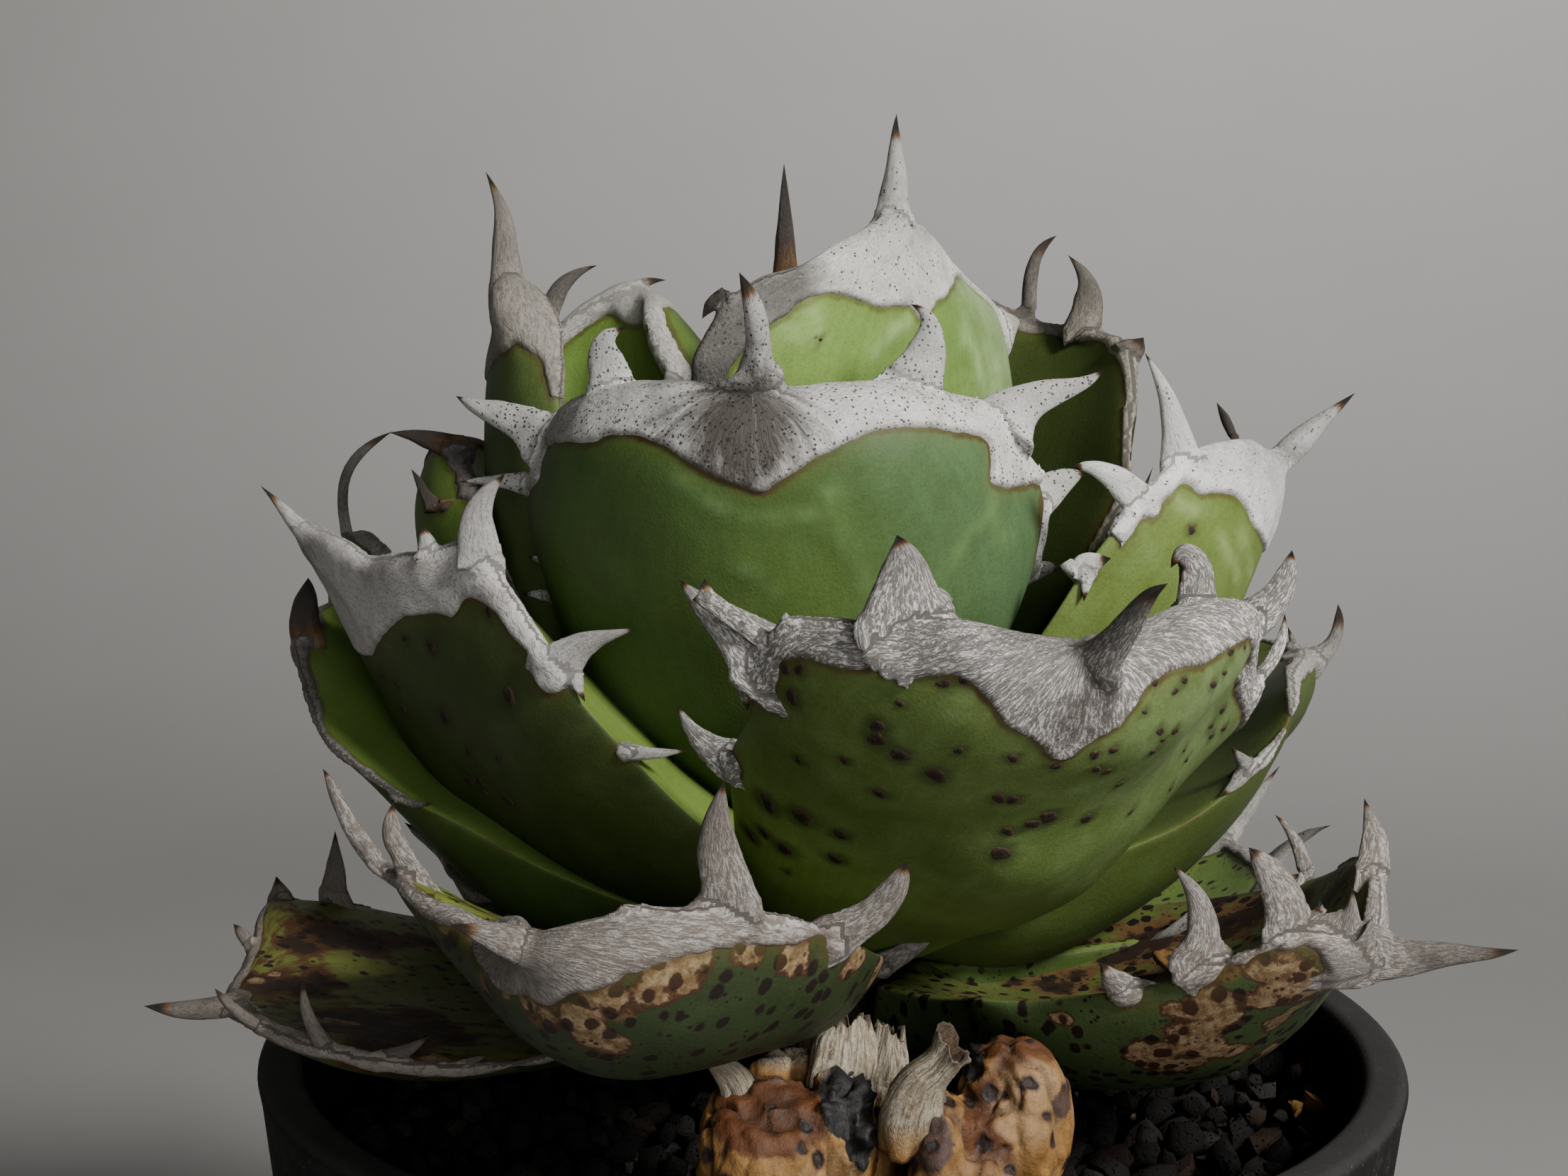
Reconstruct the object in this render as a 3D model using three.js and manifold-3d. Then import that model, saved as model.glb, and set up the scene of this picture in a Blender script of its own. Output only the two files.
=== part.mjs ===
// Potted agave: a round rosette of thick toothed leaves on a short stem, in a
// plain dark pot with lava gravel on the soil. Millimetres, +Z up, the origin
// at the centre of the pot's base, the viewer's side at -Y.
import * as THREE from 'three';
import { mergeVertices } from 'three/addons/utils/BufferGeometryUtils.js';
import Module from 'manifold-3d';

const wasm = await Module();
wasm.setup();

// ---- driving dimensions -------------------------------------------------
const POT_HEIGHT = 120;         // base to rim
const RIM_RADIUS = 75;          // outside of the rim
const BASE_RADIUS = 61.5;       // outside of the foot
const WALL = 5.7;               // wall and rim thickness
const FLOOR = 6;                // thickness of the pot's floor
const RIM_ROUND = 1.6;          // rounding of the rim's edges
const DRAIN_HOLES = 6;          // small holes around the solid centre
const DRAIN_RADIUS = 4.5;
const DRAIN_CIRCLE = 34;        // radius of the circle the holes sit on
const SOIL_TOP = 104;           // soil under the gravel
const GRAVEL_TOP = 111.2;       // mean height of the gravel
const GRAVEL_BUMP = 1.1;        // its unevenness
const STEM_RADIUS = 7.2;        // short stem that the leaves stand on
const STEM_FOOT = 96;           // lower end, inside the soil
const STEM_TOP = 171;
const GAP = 0.3;                // clearance between touching pieces
const EDGE = 1.0;               // half thickness of a leaf's margin

// ---- leaves -------------------------------------------------------------
// mid: 11 stations from base to tip by 7 points from one margin to the other,
// the surface halfway through the leaf. out and inn: how far the back and the
// inner face stand off it at the same points. teeth: rows of centre (x, y, z)
// and half width (x, y, z), from the root inside the leaf to the point.
const NU = 11, NS = 7;
const LEAVES = {
  leaf_bud: { color: '#6f8f55', lean: true, mid: [2.6,6.1,172.8,0.3,5.1,171.8,-1.5,3.3,171.2,-2.8,1,171,-3.3,-1.6,171.2,-3,-4.1,171.8,-1.9,-6.3,172.8,1.5,8.4,179.5,-1.5,7.2,178.5,-4,5,177.9,-5.7,2.1,177.6,-6.3,-1.3,177.9,-5.8,-4.6,178.5,-4.2,-7.4,179.5,1.2,10.1,185.6,-2.5,8.8,184.9,-5.6,6.3,184.3,-7.7,2.8,184.2,-8.4,-1.2,184.3,-7.6,-5.1,184.9,-5.5,-8.5,185.6,0.9,10.8,191.3,-3.2,9.6,190.8,-6.6,6.9,190.5,-8.8,3.2,190.4,-9.5,-1,190.5,-8.6,-5.2,190.8,-6.3,-8.8,191.3,0.3,10.7,196.5,-3.7,9.6,196.3,-7.1,7,196.2,-9.3,3.4,196.2,-10,-0.8,196.2,-9,-4.9,196.3,-6.6,-8.4,196.5,-0.3,10.1,201.4,-4.1,9.2,201.4,-7.3,6.8,201.5,-9.4,3.4,201.5,-10,-0.5,201.5,-9.1,-4.4,201.4,-6.8,-7.6,201.4,-1.2,9.2,205.9,-4.6,8.4,206,-7.4,6.3,206.1,-9.2,3.4,206.1,-9.7,-0.1,206.1,-8.9,-3.5,206,-6.8,-6.3,205.9,-2.4,8,209.8,-5.2,7.3,210,-7.5,5.7,210.1,-9,3.3,210.1,-9.4,0.5,210.1,-8.7,-2.3,210,-7,-4.5,209.8,-4,6.5,213.2,-6,6.1,213.3,-7.7,4.9,213.4,-8.7,3.2,213.4,-9,1.2,213.4,-8.5,-0.8,213.3,-7.3,-2.4,213.2,-6,4.9,215.7,-7.1,4.7,215.7,-8,4,215.8,-8.6,3.1,215.8,-8.7,2,215.8,-8.4,1,215.7,-7.8,0.1,215.7,-8.5,3.1,217,-8.5,3.1,217,-8.5,3.1,217,-8.5,3.1,217,-8.5,3.1,217,-8.5,3.1,217,-8.5,3.1,217],
    out: [0,2.4,3.6,4,3.6,2.4,0,0,2.3,3.5,3.8,3.5,2.3,0,0,2.2,3.4,3.7,3.4,2.2,0,0,2.1,3.2,3.6,3.2,2.1,0,0,2,3.1,3.4,3.1,2,0,0,2,3,3.3,3,2,0,0,1.9,2.9,3.2,2.9,1.9,0,0,1.7,2.6,2.8,2.6,1.7,0,0,1.2,1.9,2.1,1.9,1.2,0,0,0.7,1.2,1.3,1.2,0.7,0,0,0,0,0,0,0,0],
    inn: [0,0.9,1.3,1.4,1.3,0.9,0,0,1.1,1.6,1.7,1.6,1.1,0,0,1.3,1.9,2.1,1.9,1.3,0,0,1.4,2.1,2.2,2.1,1.4,0,0,1.4,2,2.2,2,1.4,0,0,1.3,1.9,2,1.9,1.3,0,0,1.1,1.7,1.8,1.7,1.1,0,0,0.9,1.4,1.4,1.4,0.9,0,0,0.7,1,1,1,0.7,0,0,0.4,0.5,0.6,0.5,0.4,0,0,0,0,0,0,0,0],
    teeth: [[-7.2,5.1,214.6,2,0.1,0.4,-6.8,3.9,219.6,1.8,0.1,0.4,-6.9,3.9,226.8,0.9,0,0.2,-7.1,3.9,234,0,0,0]] },
  leaf_top_front: { color: '#8fb070', mid: [-10.8,-2.3,175.3,-7.1,-3.2,174.3,-3.2,-3.4,173.6,0.8,-2.9,173.3,4.6,-1.9,173.3,8.2,-0.2,173.7,11.4,2,174.5,-16,-8.3,182.8,-10.1,-8.9,181.7,-4,-8.5,181.1,1.9,-7.2,181,7.5,-4.9,181.5,12.5,-1.8,182.5,17,2.1,184,-21.1,-15.3,189,-13,-15.1,188.2,-4.9,-13.7,187.9,2.8,-11,188.4,9.9,-7,189.5,16.1,-2,191.2,21.3,3.9,193.5,-24,-22.5,194.6,-14.4,-21.3,194.1,-5.1,-18.5,194.4,3.5,-14.2,195.3,11.3,-8.6,197,17.8,-1.8,199.2,22.9,5.9,202,-22.9,-29.1,200.2,-13.4,-26.6,200.1,-4.3,-22.5,200.6,4.2,-16.8,201.9,11.7,-9.8,203.8,17.8,-1.7,206.2,22.2,7.3,209.1,-17.6,-33.9,206.4,-9.9,-30.4,206.3,-2.5,-25.3,206.8,4.7,-18.8,208,11.3,-11,209.8,16.7,-2.3,212.2,20.4,7.1,215,-16.4,-36.1,211.4,-8.4,-32.1,211.7,-1.2,-26.8,212.4,5.1,-20.2,213.4,10.2,-12.8,214.9,14,-4.6,216.6,16.3,4.1,218.7,-11.7,-35.5,218.1,-5.1,-31.7,217.7,0.7,-26.9,217.7,5.4,-21.2,218.2,9,-14.8,219.1,11.4,-7.8,220.2,12.7,-0.6,221.5,-5,-33,221,-0.9,-29.9,221.3,2.7,-26.1,221.7,5.6,-21.8,222.1,7.9,-17,222.6,9.4,-11.9,223.3,10.1,-6.7,224.1,0.4,-28.4,224.6,2.6,-26.6,224.7,4.4,-24.5,224.9,5.8,-22.1,225,6.9,-19.5,225.2,7.6,-16.7,225.5,7.8,-13.9,225.9,5.9,-22.2,226.5,5.9,-22.2,226.5,5.9,-22.2,226.5,5.9,-22.2,226.5,5.9,-22.2,226.5,5.9,-22.2,226.5,5.9,-22.2,226.5],
    out: [0,3.9,6,6.6,6,3.9,0,0,3.6,5.6,6.1,5.6,3.6,0,0,3.2,4.9,5.4,4.9,3.2,0,0,2.8,4.3,4.8,4.3,2.8,0,0,2.5,3.8,4.2,3.8,2.5,0,0,2.1,3.3,3.6,3.3,2.1,0,0,1.9,2.9,3.2,2.9,1.9,0,0,1.4,2.1,2.3,2.1,1.4,0,0,0.9,1.4,1.6,1.4,0.9,0,0,0.5,0.8,0.9,0.8,0.5,0,0,0,0,0,0,0,0],
    inn: [0,0.5,0.8,0.8,0.8,0.5,0,0,0.8,1.2,1.3,1.2,0.8,0,0,1.1,1.6,1.7,1.6,1.1,0,0,1.3,1.9,2,1.9,1.3,0,0,1.4,2,2.2,2,1.4,0,0,1.4,2,2.1,2,1.4,0,0,1.2,1.8,1.9,1.8,1.2,0,0,1,1.4,1.5,1.4,1,0,0,0.7,1,1.1,1,0.7,0,0,0.4,0.5,0.6,0.5,0.4,0,0,0,0,0,0,0,0],
    teeth: [[2.2,-27.1,223.2,2.6,-0.1,-0.6,5.8,-22.2,227.4,2.2,-0.1,-0.5,6.1,-22.2,233.2,1.1,0,-0.2,6.1,-22.2,239,0,0,0],
      [20.4,5.2,212.1,-1.1,-0.1,3.7,22,8.7,212.7,-0.9,-0.1,3,23.5,12,213.3,-0.3,0,1.2,24.9,15,213.4,0,0,0],
      [-19.1,-29.8,201.7,2.3,-2,2.5,-22.2,-31.8,202.8,1.9,-1.6,2,-24.6,-34.5,204.1,0.7,-0.7,0.8,-25.8,-38.1,205.7,0,0,0]] },
  leaf_top_back_right: { color: '#4f6a3c', mid: [15.5,-6.5,163.8,12.1,-2.1,161.7,7.8,1.9,160.5,2.8,5.2,160,-2.7,7.7,160.3,-8.3,9.2,161.5,-14,9.7,163.4,19.7,-5.8,168.7,16.3,0.2,167.5,11.6,5.5,167.2,6,9.7,167.7,-0.3,12.7,169.1,-6.8,14.2,171.1,-13.4,14.2,173.8,24.3,-6.3,173.2,20.7,1,173.2,15.6,7.3,174,9.3,12.2,175.7,2.1,15.3,178,-5.4,16.4,181,-12.8,15.6,184.3,28.6,-6.9,178.6,25,1.3,179.2,19.5,8.2,180.8,12.5,13.3,183.2,4.6,16.4,186.3,-3.6,17,189.8,-11.6,15.2,193.5,32.5,-7.1,185.2,28.8,1.5,185.8,22.9,8.8,187.5,15.6,14.1,190.1,7.3,17,193.6,-1.3,17.2,197.4,-9.5,14.8,201.4,36.3,-6.4,192.8,32.2,2.3,192.6,26.1,9.7,193.9,18.5,15,196.3,10,17.8,199.8,1.4,17.8,203.9,-6.5,14.9,208.2,36.9,-4.2,199.7,33.7,4.2,198.9,28.3,11.3,199.6,21.1,16.4,201.7,12.9,18.9,205,4.7,18.7,209.1,-2.7,15.8,213.7,38.1,0.5,206.2,35,7.6,204.7,29.9,13.7,204.7,23.3,18,206.1,16.1,20.2,208.9,9,19.9,212.7,2.8,17.2,217.2,37.5,7,210.8,34.6,12.2,209.1,30.3,16.7,208.7,25.1,19.8,209.6,19.6,21.3,211.6,14.3,21,214.7,9.9,18.9,218.3,33.2,14.4,212.3,31.7,17.2,211.6,29.4,19.7,211.4,26.5,21.4,212,23.3,22.2,213.1,20.4,22,214.9,18.1,20.8,217,27.1,22.2,213.1,27.1,22.2,213.1,27.1,22.2,213.1,27.1,22.2,213.1,27.1,22.2,213.1,27.1,22.2,213.1,27.1,22.2,213.1],
    out: [0,5.3,8.2,9,8.2,5.3,0,0,5,7.8,8.5,7.8,5,0,0,4.8,7.4,8.1,7.4,4.8,0,0,4.5,7,7.7,7,4.5,0,0,4.3,6.7,7.3,6.7,4.3,0,0,4.1,6.4,7,6.4,4.1,0,0,3.9,6.1,6.7,6.1,3.9,0,0,3.6,5.6,6.2,5.6,3.6,0,0,2.8,4.4,4.8,4.4,2.8,0,0,1.8,2.8,3.1,2.8,1.8,0,0,0,0,0,0,0,0],
    inn: [0,0.9,1.3,1.4,1.3,0.9,0,0,1,1.5,1.6,1.5,1,0,0,1.2,1.8,1.9,1.8,1.2,0,0,1.3,1.9,2.1,1.9,1.3,0,0,1.4,2,2.2,2,1.4,0,0,1.4,2.1,2.2,2.1,1.4,0,0,1.4,2,2.1,2,1.4,0,0,1.2,1.7,1.9,1.7,1.2,0,0,0.9,1.3,1.4,1.3,0.9,0,0,0.5,0.7,0.8,0.7,0.5,0,0,0,0,0,0,0,0],
    teeth: [[31.9,16.4,210.1,1.2,-0.1,-0.5,26.6,22.2,215.3,1.1,-0.1,-0.6,27.1,22.2,220.8,0.6,-0.1,-0.6,30.2,22.2,224.9,0,0,0],
      [34.5,12.9,210.9,2.4,-0.2,-1.5,33.2,13.8,213,2.4,-0.2,-1.2,33.6,13.8,218.1,1.5,0,-0.2,30.8,13.8,222.4,0,0,0],
      [0.3,17,213.1,3.6,0.9,2.6,-1.6,15.8,216,2.9,0.7,2.1,-2.9,14.2,218.5,1.1,0.3,0.8,-3.6,11.8,220.8,0,0,0],
      [-5.8,15.6,204.3,2,0.1,4.6,-9.4,14.2,205.9,1.6,0.1,3.7,-12.7,11.6,208.9,0.6,0,1.4,-14.2,7.7,213.5,0,0,0]] },
  leaf_top_left: { color: '#5b7a52', mid: [-9.4,15.4,158.6,-9.1,10,155.9,-8.4,4.3,154.2,-7.4,-1.5,153.5,-6.1,-7.4,153.8,-4.6,-13,155.1,-2.8,-18.2,157.5,-18.3,14.1,162.2,-19.1,8.6,159.9,-19.4,2.7,158.5,-19.1,-3.3,158.1,-18.2,-9.2,158.8,-16.9,-14.9,160.4,-15,-20.1,162.9,-25.3,14.3,166.6,-27.2,8.7,165.3,-28.4,2.7,164.9,-28.6,-3.3,165.3,-28,-9.3,166.5,-26.5,-14.8,168.5,-24.2,-19.7,171.3,-31,15.7,172.3,-33.4,10.1,172.3,-34.8,4.2,172.8,-35.1,-1.8,174,-34.2,-7.6,175.8,-32.2,-12.9,178.1,-29.2,-17.6,180.7,-35,17.8,179.7,-37.5,12.3,180.4,-38.8,6.4,181.6,-38.8,0.5,183.2,-37.5,-5.2,185.1,-35,-10.4,187.2,-31.5,-14.8,189.4,-37.4,19.9,187.9,-39.8,14.4,188.9,-40.9,8.6,190.3,-40.7,2.8,191.8,-39.3,-2.8,193.6,-36.7,-7.9,195.4,-33.1,-12.2,197.1,-38.8,20.7,196.2,-41,15.6,197.2,-42,10.2,198.4,-41.7,4.7,199.7,-40.3,-0.5,201,-38,-5.2,202.4,-34.9,-9.1,203.6,-39.7,19.8,204.2,-41.6,15.5,204.9,-42.5,10.8,205.6,-42.2,6.2,206.5,-40.8,1.7,207.4,-38.4,-2.3,208.3,-35.1,-5.6,209.1,-40.7,17.1,211.2,-42.1,13.9,211.4,-42.7,10.5,211.7,-42.5,7,212.1,-41.3,3.7,212.6,-39.2,0.7,213.1,-36.3,-1.7,213.7,-41.8,12.9,216.2,-42.6,11.1,216.2,-43,9.2,216.2,-42.8,7.3,216.3,-42.1,5.5,216.5,-40.8,3.9,217,-39,2.6,217.5,-43,7.3,218.4,-43,7.3,218.4,-43,7.3,218.4,-43,7.3,218.4,-43,7.3,218.4,-43,7.3,218.4,-43,7.3,218.4],
    out: [0.3,5,7.7,8.4,7.7,5,0.3,0.3,4.4,6.8,7.4,6.8,4.4,0.3,0.3,3.8,5.9,6.5,5.9,3.8,0.3,0.3,3.3,5.1,5.5,5.1,3.3,0.3,0.3,2.8,4.1,4.5,4.2,2.9,0.3,0.3,2.4,3.7,4.1,3.7,2.4,0.3,0.3,2,3.2,3.5,3.2,2.1,0.3,0.3,1.5,2.3,2.6,2.5,2.6,0.3,0.3,1,1.4,1.6,2.5,3.7,0.3,0.3,0.6,0.7,1.1,2.7,3.5,0.3,0.3,0.3,0.3,0.6,2.3,3,0.3],
    inn: [0,1.4,2,2.1,2,1.4,0,0,1.4,2,2.2,2,1.4,0,0,1.4,2,2.2,2,1.4,0,0,1.4,2.1,2.2,2.1,1.4,0,0,1.4,2.1,2.2,2.1,1.4,0,0,1.4,2,2.2,2,1.4,0,0,1.3,1.9,2,1.9,1.3,0,0,1.1,1.6,1.7,1.6,1.1,0,0,0.8,1.2,1.3,1.2,0.8,0,0,0.4,0.6,0.7,0.6,0.4,0,0,0,0,0,0,0,0],
    teeth: [[-42.7,11.4,214,1.9,0.3,1.8,-43.5,11.3,218.5,1.8,0.2,1.7,-44,11.3,225.9,0.8,0.1,0.9,-46.3,11.3,232.8,0,0,0],
      [-41.6,15.3,211.2,1.1,-0.2,-1.4,-38.9,16.9,212.9,1,-0.2,-1.4,-36.6,15.7,217.9,0.4,-0.1,-1,-31.9,14.2,220.6,0,0,0],
      [-40.4,18.1,200.5,-0.4,-0.5,3.7,-38.7,21.7,201.3,-0.3,-0.4,3,-36.2,25.4,201.8,-0.1,-0.1,1.2,-32.9,28.3,201.4,0,0,0],
      [-37.5,16.8,184.3,-1.2,1.1,4.4,-35.8,20.7,184.1,-1,0.9,3.5,-34.3,25.4,184.2,-0.4,0.4,1.4,-33.3,29.8,184.3,0,0,0]] },
  leaf_top_back_left: { color: '#7fa457', mid: [11.5,12.5,158,6.3,10.7,155.5,1.1,8.1,154,-3.8,4.8,153.4,-8.3,0.8,153.8,-12.1,-3.6,155.2,-15.1,-8.2,157.5,7.9,15.7,169.1,2.3,15.6,165.5,-3.6,14.1,162.7,-9.3,11.3,160.9,-14.6,7.3,160.2,-19.2,2.5,160.6,-22.8,-2.9,162.2,4.5,15.2,179.5,-1.2,17.3,175.4,-7.6,17.7,171.8,-14.2,16.1,169,-20.5,12.9,167.2,-26,8.1,166.6,-30.3,2.2,167.2,0.4,11.8,187.6,-4.7,16.4,184,-11.1,19.1,180.5,-18.2,19.5,177.3,-25.3,17.6,174.9,-31.8,13.5,173.4,-37,7.7,173,-4.6,7.8,193.4,-8.4,14.3,191,-14.2,19.1,188.3,-21.3,21.4,185.6,-28.8,21.2,183.2,-36,18.4,181.3,-42,13.3,180.2,-10.4,5.1,197.6,-12.5,12.4,196.7,-17.1,18.4,195.2,-23.5,22.3,193.4,-30.8,23.6,191.6,-38.2,22.1,189.9,-44.6,18,188.6,-16.2,4.8,201.5,-16.7,11.7,201.6,-19.8,17.9,201.2,-24.9,22.4,200.5,-31.4,24.7,199.5,-38.2,24.3,198.4,-44.4,21.3,197.4,-21,6.7,205.7,-20.4,12.3,206.3,-22.1,17.7,206.6,-25.8,22,206.7,-30.9,24.6,206.5,-36.6,24.9,206,-41.9,22.9,205.5,-24.2,10.2,210.1,-23.2,14.1,210.8,-23.9,18.1,211.3,-26.2,21.4,211.7,-29.7,23.6,211.9,-33.8,24.1,211.9,-37.8,22.9,211.6,-25.8,14.7,214.3,-25,16.7,214.7,-25.2,18.9,215.1,-26.3,20.8,215.4,-28.1,22.1,215.6,-30.2,22.4,215.5,-32.2,21.9,215.3,-26.3,20.5,217.2,-26.3,20.5,217.2,-26.3,20.5,217.2,-26.3,20.5,217.2,-26.3,20.5,217.2,-26.3,20.5,217.2,-26.3,20.5,217.2],
    out: [0,5.3,8.2,9,8.2,5.3,0,0,5,7.8,8.5,7.8,5,0,0,4.8,7.4,8.1,7.4,4.8,0,0,4.5,7,7.7,7,4.5,0,0,4.3,6.7,7.3,6.7,4.3,0,0,4.1,6.4,7,6.4,4.1,0,0,3.9,6.1,6.7,6.1,3.9,0,0,3.3,5.1,5.6,5.1,3.3,0,0,2.5,3.9,4.2,3.9,2.5,0,0,1.5,2.4,2.6,2.4,1.5,0,0,0,0,0,0,0,0],
    inn: [0,1.1,1.5,1.7,1.5,1.1,0,0,1.2,1.7,1.8,1.7,1.2,0,0,1.3,1.9,2,1.9,1.3,0,0,1.4,2,2.2,2,1.4,0,0,1.4,2.1,2.2,2.1,1.4,0,0,1.4,2,2.1,2,1.4,0,0,1.2,1.8,1.9,1.8,1.2,0,0,1,1.5,1.6,1.5,1,0,0,0.7,1.1,1.1,1.1,0.7,0,0,0.4,0.6,0.6,0.6,0.4,0,0,0,0,0,0,0,0],
    teeth: [[-30.6,23.3,213.8,1.3,-0.1,-0.9,-28.4,21.4,216.2,1.1,-0.1,-0.9,-26.1,22.6,218.1,0.4,-0.1,-0.6,-23.1,24.1,218.5,0,0,0],
      [-19.3,8.5,204.5,-2.5,1.4,2.5,-20.6,5.1,205,-2,1.2,2,-21.6,1.8,205.5,-0.8,0.5,0.8,-22,-1.3,206,0,0,0],
      [-8,8.7,194.7,-3.6,-1.9,2.7,-6.1,5.6,195.2,-2.9,-1.6,2.2,-4.5,2.8,195.2,-1.1,-0.6,0.8,-3.3,0.2,194.7,0,0,0],
      [-41.1,16.4,183.1,-1.4,2.3,3.9,-44.5,14.1,183.1,-1.1,1.9,3.1,-48,11.1,183,-0.5,0.7,1.2,-50.9,7.9,183.1,0,0,0]] },
  leaf_upper_front: { color: '#4d7243', mid: [-16.3,-4.4,158.3,-11.7,-6.1,156.4,-6.6,-7.4,155.6,-1.4,-8.1,155.8,3.7,-8.3,157.2,8.5,-8,159.6,12.5,-7.1,162.8,-23.2,-9.5,164.5,-17.2,-12.8,162,-10.3,-15.3,160.9,-3,-16.6,161.2,4.1,-16.8,162.9,10.8,-15.9,166.1,16.4,-13.8,170.4,-30.1,-12.2,171.2,-22.7,-17.5,168.5,-14,-21.3,167.3,-4.7,-23.3,167.7,4.5,-23.4,170,12.9,-21.5,173.9,19.9,-17.7,179.2,-34.9,-14,178.3,-26.8,-21,175.5,-16.9,-25.9,174.3,-6.2,-28.4,174.8,4.7,-28.3,176.9,14.8,-25.6,180.5,23.4,-20.5,185.4,-36.9,-16,185.8,-28.9,-24,182.8,-18.8,-29.6,181.4,-7.4,-32.4,181.7,4.3,-32.2,183.7,15.2,-28.9,187.1,24.4,-22.9,191.7,-37.9,-18.5,192.9,-30,-26.9,189.8,-19.8,-32.8,188.1,-8.3,-35.8,188.2,3.3,-35.4,189.9,14,-31.9,193,22.8,-25.5,197.3,-35.3,-22,199.1,-28.7,-30,196,-19.6,-35.7,194.2,-9,-38.6,194,1.8,-38.3,195.2,11.6,-34.9,197.7,19.3,-28.7,201.3,-32.4,-26.6,204.5,-26.6,-33.6,201.4,-18.7,-38.6,199.4,-9.5,-41.1,199,-0.1,-40.8,200,8.6,-37.8,202.3,15.5,-32.3,205.7,-26.3,-32.4,206.8,-22.3,-37.6,204.7,-16.6,-41.3,203.4,-9.9,-43.2,203,-2.8,-43,203.5,3.6,-40.7,205,8.7,-36.7,207.3,-19.1,-38.8,208.5,-16.9,-41.7,207.1,-13.8,-43.7,206.2,-10.1,-44.8,205.9,-6.2,-44.7,206.2,-2.6,-43.4,207,0.2,-41.2,208.2,-10.2,-45.6,207.4,-10.2,-45.6,207.4,-10.2,-45.6,207.4,-10.2,-45.6,207.4,-10.2,-45.6,207.4,-10.2,-45.6,207.4,-10.2,-45.6,207.4],
    out: [0,5.1,7.9,8.7,7.9,5.1,0,0,5.1,7.9,8.7,7.9,5.1,0,0,5,7.7,8.4,7.7,5,0,0,4.8,7.4,8.1,7.4,4.8,0,0,4.7,7.2,7.9,7.2,4.7,0,0,4.5,7,7.7,7,4.5,0,0,4.4,6.8,7.5,6.8,4.4,0,0,3.9,6,6.6,6,3.9,0,0,3.1,4.7,5.2,4.7,3.1,0,0,2,3,3.3,3,2,0,0,0,0,0,0,0,0],
    inn: [0,0.6,0.9,1,0.9,0.6,0,0,0.9,1.3,1.4,1.3,0.9,0,0,1.1,1.7,1.8,1.7,1.1,0,0,1.3,1.9,2,1.9,1.3,0,0,1.4,2,2.2,2,1.4,0,0,1.4,2,2.2,2,1.4,0,0,1.3,1.9,2.1,1.9,1.3,0,0,1.1,1.6,1.8,1.6,1.1,0,0,0.8,1.2,1.3,1.2,0.8,0,0,0.5,0.7,0.7,0.7,0.5,0,0,0,0,0,0,0,0],
    teeth: [[-31.1,-27.8,198.4,-0.7,-0.5,-3.6,-36.7,-22.3,201.3,-0.5,-0.5,-3.1,-41.6,-19.8,203.3,-0.1,-0.2,-1.5,-46.8,-16.9,205.2,0,0,0],
      [-33,-24.7,193,-0.1,-0.3,-2,-37.8,-19.2,194.7,0,-0.2,-1.7,-42.1,-17.5,194.9,0.1,-0.1,-0.7,-46.6,-15.6,194.5,0,0,0],
      [-24.1,-35.5,205.4,3.1,0.1,0.4,-26.9,-32.4,208.1,2.9,0,0.1,-27.4,-32.8,212,1.5,-0.1,-0.6,-24.9,-33.3,214.3,0,0,0],
      [-17.8,-41.1,205.3,3,0,-0.1,-9.8,-46.1,210,2.2,0,-0.1,-9.9,-48.1,215.7,1.3,0,0.2,-11.7,-50.6,220.9,0,0,0],
      [4.3,-40,206.3,3.3,-0.1,-0.8,8.1,-37.6,209.6,3.1,-0.1,-0.5,9.5,-37.6,213.9,1.5,0.1,0.4,7.3,-37.6,217.3,0,0,0],
      [13.9,-33.5,200.5,0.8,-0.8,-5,19.2,-29.5,203.7,0.1,-0.6,-4.2,24.5,-28.7,206.9,-0.5,-0.2,-1.5,30.6,-27.7,209.6,0,0,0],
      [18.9,-27.1,189.8,1.4,-0.5,-3.6,22.3,-23,193.1,1.2,-0.5,-3.4,25.9,-21.7,195.3,0.5,-0.3,-1.8,29.7,-20.3,196.8,0,0,0],
      [18.1,-23.2,181.4,-0.5,-0.2,-1.3,24.3,-19.6,184.7,-0.5,-0.2,-1.1,27.4,-18.1,184.6,0,0,0]] },
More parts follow.
